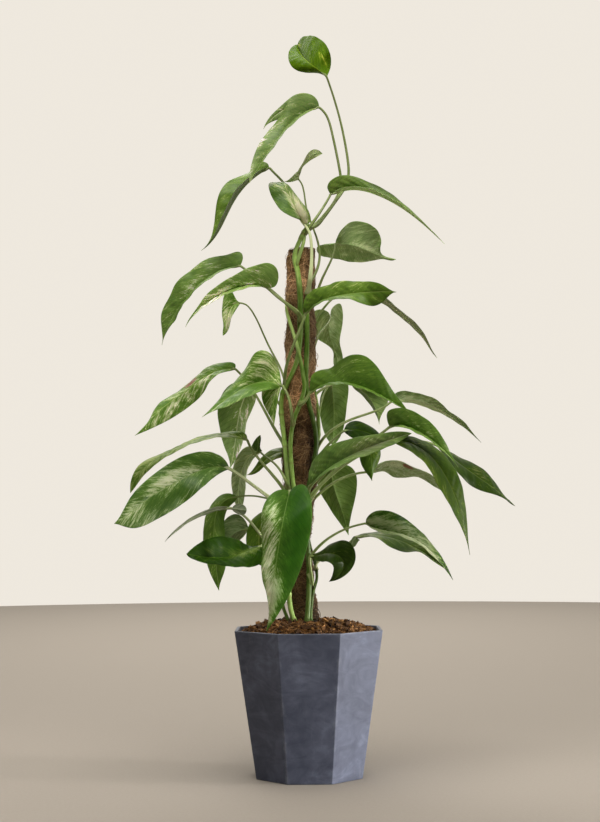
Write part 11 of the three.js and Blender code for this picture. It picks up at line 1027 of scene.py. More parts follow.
GREENS = {
    "leaf_green": ((0.030, 0.082, 0.005), (0.070, 0.152, 0.010), (0.130, 0.225, 0.026), (0.205, 0.300, 0.065), (0.340, 0.420, 0.150), (0.60, 0.62, 0.36)),
    "leaf_variegated": ((0.021, 0.078, 0.006), (0.050, 0.132, 0.012), (0.105, 0.205, 0.026), (0.190, 0.290, 0.084), (0.335, 0.430, 0.205), (0.64, 0.68, 0.48)),
    "leaf_pale": ((0.055, 0.118, 0.016), (0.105, 0.185, 0.032), (0.180, 0.262, 0.070), (0.275, 0.345, 0.150), (0.420, 0.470, 0.260), (0.66, 0.66, 0.45)),
    "leaf_deep": ((0.014, 0.050, 0.003), (0.032, 0.092, 0.006), (0.070, 0.145, 0.016), (0.140, 0.200, 0.055), (0.250, 0.300, 0.130), (0.50, 0.51, 0.32)),
}
UNDERS = {
    "leaf_green": ((0.062, 0.118, 0.014), (0.120, 0.190, 0.036), (0.200, 0.275, 0.085), (0.40, 0.44, 0.21)),
    "leaf_variegated": ((0.070, 0.125, 0.020), (0.140, 0.205, 0.052), (0.250, 0.310, 0.130), (0.46, 0.49, 0.28)),
    "leaf_pale": ((0.095, 0.145, 0.034), (0.175, 0.230, 0.080), (0.290, 0.340, 0.165), (0.48, 0.50, 0.30)),
    "leaf_deep": ((0.034, 0.068, 0.009), (0.075, 0.122, 0.026), (0.140, 0.185, 0.065), (0.32, 0.34, 0.18)),
}
ROUGH = {"leaf_green": 0.42, "leaf_variegated": 0.44, "leaf_pale": 0.48, "leaf_deep": 0.36}
upper_mats = {k: upper_material(k + "_upper", *GREENS[k], ROUGH[k]) for k in GREENS}
under_mats = {k: under_material(k + "_under", *UNDERS[k]) for k in UNDERS}
petiole_mat = stalk_material("petiole_green", (0.092, 0.138, 0.028), (0.218, 0.288, 0.084), (0.42, 0.47, 0.25))
stem_mat = stalk_material("stem_green", (0.028, 0.092, 0.006), (0.118, 0.238, 0.022), (0.36, 0.50, 0.15), 0.38)

# ---------------------------------------------------------------- leaves
HALF = np.array([0.025, 0.06, 0.11, 0.18, 0.27, 0.37, 0.47, 0.57, 0.67, 0.77, 0.86, 0.93, 0.975, 1.0])
COLS = np.r_[-HALF[::-1], 0.0, HALF]


def blade_grid(rows, pitch=1.7, least=44, most=110):
    """Fine rows of midrib and edges, with the upper side's normals."""
    rows = np.asarray(rows, float)
    s = arc(rows[:, :3])
    count = int(np.clip(s[-1] / pitch, least, most))
    q = np.linspace(0, 1, count)
    q = q + 0.35 * np.sin(2 * np.pi * q) / (-2 * np.pi) * 0.9
    t = np.interp(q * s[-1], s, np.arange(len(rows)))
    g = spline(rows, t)
    m, a, b = g[:, :3], g[:, 3:6], g[:, 6:9]
    tan = unit(np.gradient(smooth_rows(m, 2), axis=0))
    ca, cb = smooth_rows(np.cross(m - a, tan), 5), smooth_rows(np.cross(b - m, tan), 5)
    na, nb = unit(ca), unit(cb)
    nm = unit(unit(ca) + unit(cb) + 0.15 * unit(ca + cb))
    return q, arc(m), m, a, b, na, nb, smooth_rows(nm, 3)


def blade(shape, rows, spec, seed, u0=0.0, u1=1.0, lobe=False):
    rng = np.random.default_rng(seed)
    q, s, m, a, b, na, nb, nm = blade_grid(rows, least=20 if lobe else 44)
    u = u0 + (u1 - u0) * q
    n, c = len(m), len(COLS)
    wa, wb = np.linalg.norm(a - m, axis=1), np.linalg.norm(b - m, axis=1)
    wave = [rng.uniform(0, 2 * np.pi) for _ in range(6)]
    lam = rng.uniform(34, 52), rng.uniform(34, 52)
    # a blade folded nearly shut keeps its halves flat, so they never touch
    shut = smooth_rows((unit(a - m) * unit(b - m)).sum(1), 2)
    calm = 1 - 0.9 * smoothstep(shut, 0.0, 0.75)
    lump = [rng.uniform(0, 2 * np.pi, 4), rng.uniform(11, 19, 4), rng.uniform(0.2, 1.1, 4)]
    top, low = np.zeros((n, c, 3)), np.zeros((n, c, 3))
    W, T = np.zeros((n, c)), np.zeros((n, c))
    for j, v in enumerate(COLS):
        av = abs(v)
        edge, ns, w, k = (a, na, wa, 0) if v < 0 else (b, nb, wb, 1)
        turn = smoothstep(np.array([av]), 0.0, 0.3)[0]
        nv = unit(nm * (1 - turn) + ns * turn)
        t_mm = av * w
        # each half is bowed, its edge waves a little, and the lateral veins sink into it
        h = 0.055 * w * np.sin(np.pi * av) ** 0.9 * calm
        ruffle = np.sin(2 * np.pi * s / lam[k] + wave[k]) + 0.6 * np.sin(2 * np.pi * s / (lam[k] * 0.47) + wave[2 + k])
        h = h + spec["wave"] * 0.022 * w * av**2 * ruffle * smoothstep(q, 0.02, 0.2) * (1 - smoothstep(q, 0.8, 1.0)) * calm
        for ph, lam_, tilt in zip(*lump):
            h = h + 0.17 * np.sin(2 * np.pi * (s * 1.0 - tilt * t_mm * (1 if v > 0 else -1)) / lam_ + ph) * np.sin(np.pi * min(av * 1.1, 1.0)) * smoothstep(w, 5, 18) * calm
        phase = s - 0.8 * t_mm - 0.010 * t_mm**2
        window = (np.sin(np.pi * av) ** 0.7) * smoothstep(w, 4, 14)
        h = h + 0.10 * window * (0.5 - 0.5 * np.cos(2 * np.pi * phase / 8.0))
        groove = -0.32 * np.exp(-((t_mm / 1.0) ** 2)) * (1 - smoothstep(q, 0.75, 1.0)) * smoothstep(w, 1, 5)
        thick = (0.62 - 0.26 * av) * (0.55 + 0.45 * smoothstep(w, 0.2, 3))
        if av == 1.0:
            thick = thick * 0.6
        ridge = (0.95 * (1 - u) ** 1.2 + 0.16) * np.exp(-((t_mm / (1.25 - 0.7 * u)) ** 2)) * (0.0 if lobe else 1.0)
        base = m + (edge - m) * av
        top[:, j] = base + nv * (h + groove + thick / 2)[:, None]
        low[:, j] = base + nv * (h - thick / 2 - ridge)[:, None]
        W[:, j], T[:, j] = phase, t_mm * (1 if v > 0 else -1)
    V = np.broadcast_to(COLS[None, :], (n, c))
    U = np.broadcast_to(u[:, None], (n, c))
    fields = {}
    for key, start in (("marks", spec["pale"]), ("shades", 1.0), ("spots", 0.0), ("washes", 0.0)):
        field = np.full((n, c), float(start))
        for mu, mv, ru, rv, amount in spec[key]:
            field = field + amount * np.exp(-(((U - mu) / ru) ** 2) - (((V - mv) / rv) ** 2))
        fields[key] = np.tile(field.ravel(), 2)
    # painted light and shade: the shading patches lighten or deepen the tone of the upper side and the underside,
    # partly for deeper green sectors and partly for where the blade is lit or in shade
    shade = np.clip(fields["shades"], 0.15, 4.0)
    uv1 = np.stack([W / 100, T / 100], -1).reshape(-1, 2)
    uv2 = np.stack([U, V], -1).reshape(-1, 2)
    o = n * c
    verts = np.concatenate([top.reshape(-1, 3), low.reshape(-1, 3)])
    rim = []
    i = np.arange(n - 1)
    for j, flip in ((0, False), (c - 1, True)):
        x = np.stack([i * c + j, (i + 1) * c + j, o + (i + 1) * c + j, o + i * c + j], -1)
        rim.append(x[:, ::-1] if flip else x)
    j = np.arange(c - 1)
    rim.append(np.stack([j, o + j, o + j + 1, j + 1], -1)[:, ::-1])
    e = (n - 1) * c
    rim.append(np.stack([e + j, o + e + j, o + e + j + 1, e + j + 1], -1))
    shape.add(verts, [grid_faces(n, c, flip=False)], 0, np.concatenate([uv1, uv1]), np.concatenate([uv2, uv2]),
              pale=fields["marks"], tone=spec["tone"] * shade, under=spec["under"] * shade, seed=spec["seed"],
              brown=fields["spots"], shine=spec["shine"], wash_tone=np.clip(spec["wash"][0] + fields["washes"], -0.6, 0.9), wash_under=np.clip(spec["wash"][1] + fields["washes"], -0.6, 0.9),
              cool_tone=spec["cool"][0], cool_under=spec["cool"][1], grain=spec["grain"])
    back = grid_faces(n, c, flip=True) + o
    base_index = shape.n - len(verts)
    shape.f.append(back + base_index)
    shape.m.append(np.full(len(back), 1))
    for x in rim:
        shape.f.append(x + base_index)
        shape.m.append(np.full(len(x), 1))
    return m, nm, wa, wb, s


def petiole(shape, path, up, spec, winged):
    path = np.asarray(path, float)
    s = arc(path[:, :3])
    count = int(np.clip(s[-1] / 2.2, 22, 90))
    q = np.linspace(0, 1, count)
    g = spline(path, np.interp(q * s[-1], s, np.arange(len(path))))
    centre, r = g[:, :3], g[:, 3].copy()
    d = q * s[-1]
    # a slight swelling below the blade, a waist, and a foot that clasps the stem
    r = r * (1 + 0.28 * np.exp(-(((d - 7) / 4.5) ** 2)) + 0.55 * np.exp(-(((s[-1] - d) / 6.0) ** 2)))
    r[:2] *= [0.75, 0.92]
    sheath = winged * smoothstep(q, 0.45, 0.8)

    def profile(i, ang):
        groove = np.exp(-(((ang - np.pi / 2 + np.pi) % (2 * np.pi) - np.pi) / 0.55) ** 2)
        wing = np.exp(-((np.abs((ang - np.pi / 2 + np.pi) % (2 * np.pi) - np.pi) - 0.95) / 0.28) ** 2)
        return 1 - 0.26 * groove * (1 - 0.3 * sheath[i]) + (0.10 + 0.75 * sheath[i]) * wing

    brown = 0.35 * np.exp(-(((s[-1] - d) / 4.0) ** 2))
    tube(shape, centre, r, 2, up, 16, profile, pale=np.full(count, spec["stalk"]), tone=np.full(count, spec["stalk_tone"]),
         under=np.ones(count), seed=np.full(count, spec["seed"]), brown=brown)


roots = {k: [] for k in STEMS}
for number, leaf in enumerate(LEAVES):
    spec = dict(tone=1.0, pale=0.26, under=1.0, wave=1.0, stalk=0.35, stalk_tone=1.0, winged=0.35, marks=[], shades=[], spots=[],
                washes=[], cool=[1.0, 1.0], grain=1.0, shine=0.7, wash=[0.0, 0.0], lobe_pale=None)
    spec.update(leaf["finish"])
    spec["seed"] = (number * 0.618) % 1.0 + number
    shape = Shape()
    m, nm, wa, wb, s = blade(shape, leaf["blade"], spec, 100 + number)
    for k, rows in enumerate(leaf["lobes"]):
        extra = dict(spec)
        extra.update(marks=[], shades=[], spots=[], washes=[])
        if spec["lobe_pale"] is not None:
            extra["pale"] = spec["lobe_pale"]
        blade(shape, rows, extra, 500 + 10 * number + k, 0.5, 0.9, lobe=True)
    # the stalk runs on a little way under the midrib, then down to its stem
    i = int(np.searchsorted(s, 11.0))
    j = int(np.searchsorted(s, 5.0))
    p0 = leaf["petiole"][0]
    under = [[*(m[i] - nm[i] * 0.9), p0[3] * 0.45], [*(m[j] - nm[j] * 0.7), p0[3] * 0.7]]
    petiole(shape, under + leaf["petiole"], nm[min(3, len(nm) - 1)], spec, spec["winged"])
    roots[leaf["stem"]].append(leaf["petiole"][-1])
    ob = shape.object(leaf["name"] + "_living", [upper_mats[leaf["slot"]], under_mats[leaf["slot"]], petiole_mat])
    ride(ob, leaf["slot"], leaf["name"])

# ---------------------------------------------------------------- stems
# depth of the green along each stem, partly painted light and shade for where the stem is lit or shaded, and amount of
# pale streaking, against minus the height in mm
STEM_TONE_AND_SHADE = {
    "A": ([-760, -700, -668, -652, -635, -600, -540, -490, -440, -420, -404, -320, -240, -200], [1.1, 1.5, 2.1, 1.6, 0.75, 0.6, 1.0, 1.6, 1.5, 1.2, 0.9, 0.8, 0.6, 0.6]),
    "B": ([-760, -700, -670, -600, -500, -420, -320, -200], [1.4, 1.4, 1.2, 0.9, 0.6, 0.32, 0.36, 0.5]),
    "C": ([-760, -500, -440, -340, -270, -220, -200], [0.8, 0.75, 0.85, 0.5, 0.22, 0.4, 0.6]),
    "D": ([-700, -640, -600, -575, -540, -460, -400, -320, -200], [1.9, 1.9, 1.8, 1.3, 0.85, 0.9, 1.1, 1.1, 1.1]),
}
STEM_PALE = {
    "A": ([-760, -700, -600, -400, -200], [0.45, 0.5, 0.34, 0.5, 0.4]),
    "B": ([-760, -690, -560, -400, -200], [0.62, 0.60, 0.34, 0.3, 0.42]),
    "C": ([-760, -200], [0.4, 0.4]),
    "D": ([-760, -640, -590, -540, -460, -200], [0.85, 0.85, 0.8, 0.4, 0.4, 0.5]),
}
NAMES = {"A": "stem_left", "B": "stem_front", "C": "stem_back", "D": "stem_cross"}
for number, (key, path) in enumerate(STEMS.items()):
    path = [list(p) for p in path]
    last = path[-1]
    path.append([last[0] * 0.98, last[1] * 1.01, 160.0, last[3]])
    path = np.array(path)
    s = arc(path[:, :3])
    count = int(s[-1] / 1.6)
    q = np.linspace(0, 1, count)
    g = spline(path, np.interp(q * s[-1], s, np.arange(len(path))))
    centre, r = g[:, :3], g[:, 3].copy()
    rng = np.random.default_rng(900 + number)
    swell, brown = np.zeros(count), np.zeros(count)
    joints = [float(s[-1] * q[np.argmin(np.linalg.norm(centre - np.array(x[:3]), axis=1))]) for x in roots[key]]
    d = q * s[-1]
    low = d[-1] - 40
    while low > 200:
        if min([abs(low - x) for x in joints] + [99]) > 22:
            joints.append(low)
        low -= rng.uniform(34, 46)
    for x in joints:
        swell += 0.22 * np.exp(-(((d - x) / 3.2) ** 2)) - 0.06 * np.exp(-(((d - x - 2.0) / 0.9) ** 2))
        brown += 0.5 * np.exp(-(((d - x - 2.4) / 1.0) ** 2))
    r = r * (1 + swell) * (1 + 0.03 * np.sin(d / 7.0))
    r[:6] *= np.linspace(0.25, 1, 6)
    brown = np.clip(brown + 0.25 * smoothstep(d, s[-1] - 45, s[-1] - 15), 0, 0.8)
    shape = Shape()
    wob = rng.uniform(0, 6.28, 3)
    tube(shape, centre, r, 0, (0, -1, 0), 18,
         lambda i, a: 1 + 0.035 * np.cos(5 * a + wob[0]) + 0.05 * np.cos(2 * a + wob[1] + i * 0.02),
         pale=np.interp(-centre[:, 2], *STEM_PALE[key]), tone=np.interp(-centre[:, 2], *STEM_TONE_AND_SHADE[key]), seed=np.full(count, 3.3 + number), brown=brown)
    if key == "A":
        p = np.array(SHEATH)
        sa = arc(p[:, :3])
        tt = np.interp(np.linspace(0, sa[-1], 26), sa, np.arange(len(p)))
        g2 = spline(p, tt)
        rs = g2[:, 3].copy()
        rs[-3:] *= [0.95, 0.8, 0.5]
        tube(shape, g2[:, :3], rs, 0, (0, -1, 0), 14, pale=np.full(26, 0.75), tone=np.full(26, 1.1), seed=np.full(26, 8.1), brown=np.zeros(26))
    ob = shape.object(NAMES[key] + "_living", [stem_mat])
    ride(ob, "stem", NAMES[key])

# ---------------------------------------------------------------- coir pole
pole = np.array(POLE)
z_top, z_foot = pole[0, 1], 120.0


def pole_axis(z):
    zz, order = pole[:, 1], np.argsort(pole[:, 1])
    return np.interp(z, zz[order], pole[order, 0]), np.interp(z, zz[order], pole[order, 2])


def coir_radius(z, ang):
    """The wrap's lumpy surface: bands where the fibre bunches, flats and hollows."""
    _, r = pole_axis(z)
    lump = 0.060 * np.sin(z / 17.0 + 2 * ang) + 0.055 * np.sin(z / 8.5 - ang + 1.0) + 0.05 * np.sin(z / 31.0 + ang + 2.0)
    lump = lump + 0.035 * np.sin(z / 4.1 + 3 * ang) * np.sin(z / 23.0 + 1.0)
    flare = 0.10 * smoothstep(-z, -222, -196) * np.exp(-(((ang - 0.0 + np.pi) % (2 * np.pi) - np.pi) / 0.6) ** 2)
    return r * (0.955 + lump + flare)


def coir_material(name, dark, mid, light, fibres):
    n = Nodes(name)
    o = n.obj()
    fine = n.noise(n.mapped(o, (1, 1, 0.55)), 900.0, 4.0, 0.65, 0.6)
    lump = n.noise(o, 55.0, 3.0, 0.6)
    m = n.math("ADD", n.math("MULTIPLY", fine, 0.55), n.math("MULTIPLY", lump, 0.65))
    if fibres:
        m = n.math("ADD", n.math("MULTIPLY", m, 0.55), n.math("MULTIPLY", n.attr("seed"), 0.52))
    col = n.ramp(m, [(0.28, dark), (0.55, mid), (0.82, light)])
    # darker towards the soil, with lighter and darker bands up the pole
    height = n.sep(o)[2]
    height_bands = n.ramp(n.math("ADD", height, n.math("MULTIPLY", n.math("SUBTRACT", lump, 0.5), 0.05)),
                 [(0.20, (0.36, 0.32, 0.25)), (0.37, (0.66, 0.61, 0.50)), (0.405, (0.46, 0.40, 0.30)), (0.455, (0.47, 0.41, 0.31)),
                  (0.485, (1.60, 1.52, 1.42)), (0.53, (1.75, 1.65, 1.55)), (0.56, (1.05, 1.00, 0.94)), (0.61, (0.95, 0.90, 0.84)),
                  (0.64, (1.60, 1.52, 1.45)), (0.675, (1.60, 1.52, 1.45)), (0.695, (0.85, 0.78, 0.72))])
    col = n.mix(1.0, col, height_bands, "MULTIPLY")
    # painted shade: the pole's +X side is darkened, as if it were the side turned from the light
    painted_side_shade = n.step(n.math("ADD", n.sep(o)[0], n.math("MULTIPLY", n.math("SUBTRACT", lump, 0.5), 0.01)), -0.005, 0.006, 1.0, 0.58)
    col = n.mix(1.0, col, n.xyz(painted_side_shade, painted_side_shade, painted_side_shade), "MULTIPLY")
    return n.finish(col, 0.88, n.bump(fine, 0.8, 0.0008), Specular_IOR_Level=0.2, Sheen_Weight=0.1, Sheen_Roughness=0.5)


coir_mat = coir_material("coir_felt", (0.018, 0.009, 0.004), (0.190, 0.106, 0.048), (0.50, 0.31, 0.16), False)
fibre_mat = coir_material("coir_fibre", (0.038, 0.020, 0.009), (0.335, 0.205, 0.100), (0.88, 0.62, 0.37), True)
rng = np.random.default_rng(7)
shape = Shape()
zs = np.linspace(z_top - 1.0, z_foot, 300)
ang = np.linspace(0, 2 * np.pi, 56, endpoint=False)
cx, _ = pole_axis(zs)
rad = coir_radius(zs[:, None], ang[None, :]) + rng.normal(0, 0.22, (len(zs), len(ang)))
rad[0] *= 0.80
rad[1] *= 0.95
ring = np.stack([cx[:, None] + rad * np.cos(ang), rad * np.sin(ang), np.broadcast_to(zs[:, None], rad.shape) + rng.normal(0, 0.25, rad.shape)], -1)
cap = np.array([[cx[0], 0, zs[0] - 5.0], [cx[-1], 0, zs[-1]]])
k = len(zs) * len(ang)
faces = [grid_faces(len(zs), len(ang), closed=True, flip=True)]
i = np.arange(len(ang))
tri = np.concatenate([np.stack([np.full(len(ang), k), i, (i + 1) % len(ang)], -1),
                      np.stack([np.full(len(ang), k + 1), k - len(ang) + (i + 1) % len(ang), k - len(ang) + i], -1)])
shape.add(np.concatenate([ring.reshape(-1, 3), cap]), [*faces, tri], 0)
ride(shape.object("coir_felt_core", [coir_mat]), "coir", "coir_wrap")


def fibres(name, count, seed):
    """Loose strands laid round the pole at all slants, some of them looping clear of it."""
    rng = np.random.default_rng(seed)
    steps, sides = 8, 3
    z0 = rng.uniform(178, z_top - 1.5, count)
    a0 = rng.uniform(0, 2 * np.pi, count)
    slant = rng.normal(0, 0.85, count) + np.where(rng.random(count) < 0.5, 0.35, -0.35)
    length = rng.uniform(16, 58, count)
    bend = rng.normal(0, 0.03, count)
    loop = np.abs(rng.normal(0, 0.6, count)) + np.where(rng.random(count) < 0.04, rng.uniform(1.0, 3.0, count), 0)
    thick = rng.uniform(0.20, 0.46, count)
    tip = rng.random(count) < 0.10
    f = np.linspace(0, 1, steps)
    along = (f[None, :] - 0.5) * length[:, None]
    theta = slant[:, None] + bend[:, None] * along
    z = z0[:, None] + np.cumsum(np.sin(theta) * (length[:, None] / steps), 1) - length[:, None] / 2 * np.sin(slant[:, None])
    z = np.minimum(np.maximum(z, 172), z_top - 1.4 + 1.1 * np.sin(a0 * 7)[:, None])
    cx, r0 = pole_axis(z)
    a = a0[:, None] + np.cumsum(np.cos(theta) * (length[:, None] / steps) / r0, 1)
    r = coir_radius(z, a) + 0.15 + loop[:, None] * np.sin(np.pi * f[None, :]) + rng.normal(0, 0.12, z.shape)
    r = r + tip[:, None] * 2.2 * smoothstep(f, 0.7, 1.0)[None, :]
    p = np.stack([cx + r * np.cos(a), r * np.sin(a), z], -1)
    t = unit(np.gradient(p, axis=1))
    out = np.stack([np.cos(a), np.sin(a), np.zeros_like(a)], -1)
    s1 = unit(np.cross(t, out))
    s2 = np.cross(t, s1)
    b = np.linspace(0, 2 * np.pi, sides, endpoint=False)
    taper = (thick[:, None] * (1 - 0.6 * np.abs(2 * f - 1) ** 3))[:, :, None, None]
    v = p[:, :, None, :] + taper * (s1[:, :, None, :] * np.cos(b)[:, None] + s2[:, :, None, :] * np.sin(b)[:, None])
    one = grid_faces(steps, sides, closed=True)
    per = steps * sides
    base = (np.arange(count) * per)[:, None, None]
    quads = (one[None] + base).reshape(-1, 4)
    caps = (np.array([[2, 1, 0], [per - 3, per - 2, per - 1]])[None] + base).reshape(-1, 3)
    shape = Shape()
    shape.add(v.reshape(-1, 3), [quads, caps], 0, seed=np.repeat(np.clip(rng.normal(0.5, 0.22, count), 0, 1), per))
    return ride(shape.object(name, [fibre_mat]), "coir")


fibres("coir_strands_inner", 3300, 11)
fibres("coir_strands_outer", 2300, 12)

# wooden stake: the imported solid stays, with a bare wood finish
n = Nodes("stake_bare_wood")
o = n.obj()
grain = n.noise(n.mapped(o, (1, 1, 0.06)), 420.0, 5.0, 0.6, 0.8)
wood = n.ramp(grain, [(0.3, (0.18, 0.10, 0.05)), (0.7, (0.42, 0.28, 0.16))])
stake_mat = n.finish(wood, n.math("ADD", 0.55, n.math("MULTIPLY", grain, 0.2)), n.bump(grain, 0.4, 0.0008))
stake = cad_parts["pole_stake"]
stake.data.materials.clear()
stake.data.materials.append(stake_mat)

# ---------------------------------------------------------------- planter
POT_TOP, POT_BASE, POT_HEIGHT, WALL, FLOOR = 190.0, 136.0, 189.0, 4.5, 7.0


def flat(z):
    return (POT_BASE + (POT_TOP - POT_BASE) * (z / POT_HEIGHT)) / 2


def octagon(apothem, corner, per_side=9, per_arc=7):
    """Rounded octagon with the given apothem, a flat towards -Y; points run round anticlockwise."""
    corner = min(corner, apothem * 0.5)
    pts = []
    half = math.pi / 8
    for k in range(8):
        mid = k * math.pi / 4 + half  # a corner's direction
        c = (apothem - corner) / math.cos(half)
        for i in range(per_arc):
            a = mid - half + 2 * half * i / (per_arc - 1)
            pts.append((c * math.cos(mid) + corner * math.cos(a), c * math.sin(mid) + corner * math.sin(a)))
        a0, nxt = mid + half, mid + math.pi / 4
        p = np.array(pts[-1])
        e = np.array((c * math.cos(nxt) + corner * math.cos(a0), c * math.sin(nxt) + corner * math.sin(a0)))
        for i in range(1, per_side):
            pts.append(tuple(p + (e - p) * i / per_side))
    return np.array(pts)


def pot_material():
    n = Nodes("planter_slate")
    o = n.obj()
    cloud = n.noise(o, 13.0, 5.0, 0.62, 0.9)
    wisp = n.noise(n.mapped(o, (0.55, 0.55, 1.1)), 42.0, 5.0, 0.64, 1.8)
    brushed = n.noise(n.mapped(o, (1.0, 1.0, 0.05)), 210.0, 3.0, 0.6, 0.3)
    fine = n.noise(o, 900.0, 3.0, 0.6)
    m = n.math("ADD", n.math("MULTIPLY", cloud, 0.62), n.math("MULTIPLY", wisp, 0.38))
    col = n.ramp(m, [(0.28, (0.034, 0.042, 0.070)), (0.44, (0.060, 0.071, 0.113)), (0.56, (0.092, 0.107, 0.163)), (0.70, (0.160, 0.182, 0.264))])
    scuff = n.step(n.math("MULTIPLY", brushed, n.noise(o, 20.0, 2.0)), 0.36, 0.50)
    col = n.mix(n.math("MULTIPLY", scuff, 0.22), col, (0.24, 0.25, 0.31))
    dust = n.step(fine, 0.62, 0.75)
    col = n.mix(n.math("MULTIPLY", dust, 0.10), col, (0.35, 0.36, 0.42))
    worn = n.math("MULTIPLY", n.math("SUBTRACT", n.noise(n.mapped(o, (1.0, 1.0, 0.45)), 120.0, 4.0, 0.7), 0.5), 1.6)
    edge = n.step(n.math("ADD", n.attr("edge"), worn), 0.35, 1.0)
    col = n.mix(n.math("MULTIPLY", edge, 0.40), col, (0.26, 0.28, 0.34))
    r = n.math("ADD", 0.50, n.math("MULTIPLY", cloud, 0.22))
    h = n.math("ADD", n.math("MULTIPLY", fine, 0.5), n.math("ADD", brushed, cloud))
    return n.finish(col, r, n.bump(h, 0.25, 0.0006), Specular_IOR_Level=0.45)


pot_mat = pot_material()
rows = []  # (apothem, z, corner radius, edge value)
rows.append((flat(0) - 4.0, 0.0, 2.0, 0.0))
for i in range(5):
    a = math.pi / 2 * i / 4
    rows.append((flat(1.2) - 1.2 + 1.2 * math.sin(a), 1.2 - 1.2 * math.cos(a), 2.2, 0.4))
for z in np.linspace(5, POT_HEIGHT - 3, 30):
    rows.append((flat(z), z, 2.2, 0.0))
rows.append((flat(POT_HEIGHT - 1.2), POT_HEIGHT - 1.2, 2.2, 0.5))
for i in range(1, 5):
    a = math.pi / 2 * i / 4
    rows.append((flat(POT_HEIGHT - 1) - 0.9 + 0.9 * math.cos(a), POT_HEIGHT - 0.9 + 0.9 * math.sin(a), 2.2, 1.0))
for i in range(0, 5):
    a = math.pi / 2 * i / 4
    rows.append((flat(POT_HEIGHT) - WALL + 0.9 - 0.9 * math.sin(a), POT_HEIGHT - 0.9 + 0.9 * math.cos(a), 1.6, 1.0))
for z in np.linspace(POT_HEIGHT - 4, FLOOR + 3, 12):
    rows.append((flat(z) - WALL, z, 1.6, 0.0))
rows.append((flat(FLOOR) - WALL, FLOOR, 1.6, 0.0))
rings = [octagon(a, c) for a, _, c, _ in rows]
k = len(rings[0])
verts = np.concatenate([np.c_[p, np.full(k, z)] for p, (_, z, _, _) in zip(rings, rows)])
corner = (np.arange(k) % (k // 8)) < 7  # the worn arcs between the flats
edge = np.concatenate([np.maximum(e, 0.55 * corner) for *_, e in rows])
faces = [grid_faces(len(rows), k, closed=True), np.arange(k)[None, ::-1], ((len(rows) - 1) * k + np.arange(k))[None, :]]
shape = Shape()
shape.add(verts, faces, 0, edge=edge)
body = shape.object("planter_shell", [pot_mat])
cutters = []
for q in range(4):
    a = math.pi / 4 + q * math.pi / 2
    c = Shape()
    t = np.linspace(0, 2 * np.pi, 24, endpoint=False)
    p = np.concatenate([np.c_[36 * math.cos(a) + 5 * np.cos(t), 36 * math.sin(a) + 5 * np.sin(t), np.full(24, z)] for z in (-5.0, FLOOR + 5)])
    c.add(p, [grid_faces(2, 24, closed=True), np.arange(24)[None, ::-1], (24 + np.arange(24))[None, :]], 0)
    cut = c.object("drain_cut", [pot_mat])
    mod = body.modifiers.new("drain", "BOOLEAN")
    mod.operation, mod.object, mod.solver = "DIFFERENCE", cut, "EXACT"
    cutters.append(cut)
bpy.context.view_layer.update()
done = bpy.data.meshes.new_from_object(body.evaluated_get(bpy.context.evaluated_depsgraph_get()))
body.modifiers.clear()
body.data = done
for cut in cutters:
    bpy.data.objects.remove(cut)
sharp = body.modifiers.new("weighted", "WEIGHTED_NORMAL")
sharp.keep_sharp = True
ride(body, "planter", "pot")

# ---------------------------------------------------------------- potting mix


def soil_height(x, y):
    r = np.hypot(x, y)
    z = np.interp(r, [0, 14, 32, 52, 70, 82, 90], [198.5, 198.3, 197.8, 195.5, 191.0, 186.0, 181.5])
    return z + 0.9 * np.sin(x / 9.0 + 1.0) * np.sin(y / 11.0) + 0.7 * np.sin(x / 4.3) * np.cos(y / 5.1 + 2.0)


def soil_material(name, dark, mid, light):
    n = Nodes(name)
    o = n.obj()
    fine = n.noise(o, 700.0, 4.0, 0.65)
    m = n.math("ADD", n.math("MULTIPLY", fine, 0.5), n.math("MULTIPLY", n.attr("seed"), 0.6))
    col = n.ramp(m, [(0.22, dark), (0.52, mid), (0.86, light)])
    return n.finish(col, 0.86, n.bump(fine, 0.7, 0.001), Specular_IOR_Level=0.3)


mix_mat = soil_material("potting_mix_bed", (0.008, 0.005, 0.003), (0.022, 0.012, 0.007), (0.06, 0.03, 0.016))
chip_mat = soil_material("bark_chip", (0.010, 0.005, 0.002), (0.108, 0.046, 0.012), (0.44, 0.215, 0.068))
rng = np.random.default_rng(21)
shape = Shape()
levels = np.r_[np.linspace(0.02, 1.0, 26)]
surface = []
for lv in levels:
    p = octagon((flat(183) - WALL - 0.4) * lv, 1.6 * lv + 0.05, 5, 5)
    surface.append(np.c_[p, soil_height(p[:, 0], p[:, 1]) - 1.2 + rng.normal(0, 0.35, len(p))])
foot = octagon(flat(FLOOR + 0.4) - WALL - 0.8, 1.4, 5, 5)
surface.append(np.c_[foot, np.full(len(foot), FLOOR + 0.3)])
k = len(foot)
shape.add(np.concatenate(surface), [grid_faces(len(surface), k, closed=True, flip=True), np.arange(k)[None, :], ((len(surface) - 1) * k + np.arange(k))[None, ::-1]],
          0, seed=0.35)
ride(shape.object("potting_mix_mound", [mix_mat]), "potting_mix", "soil")


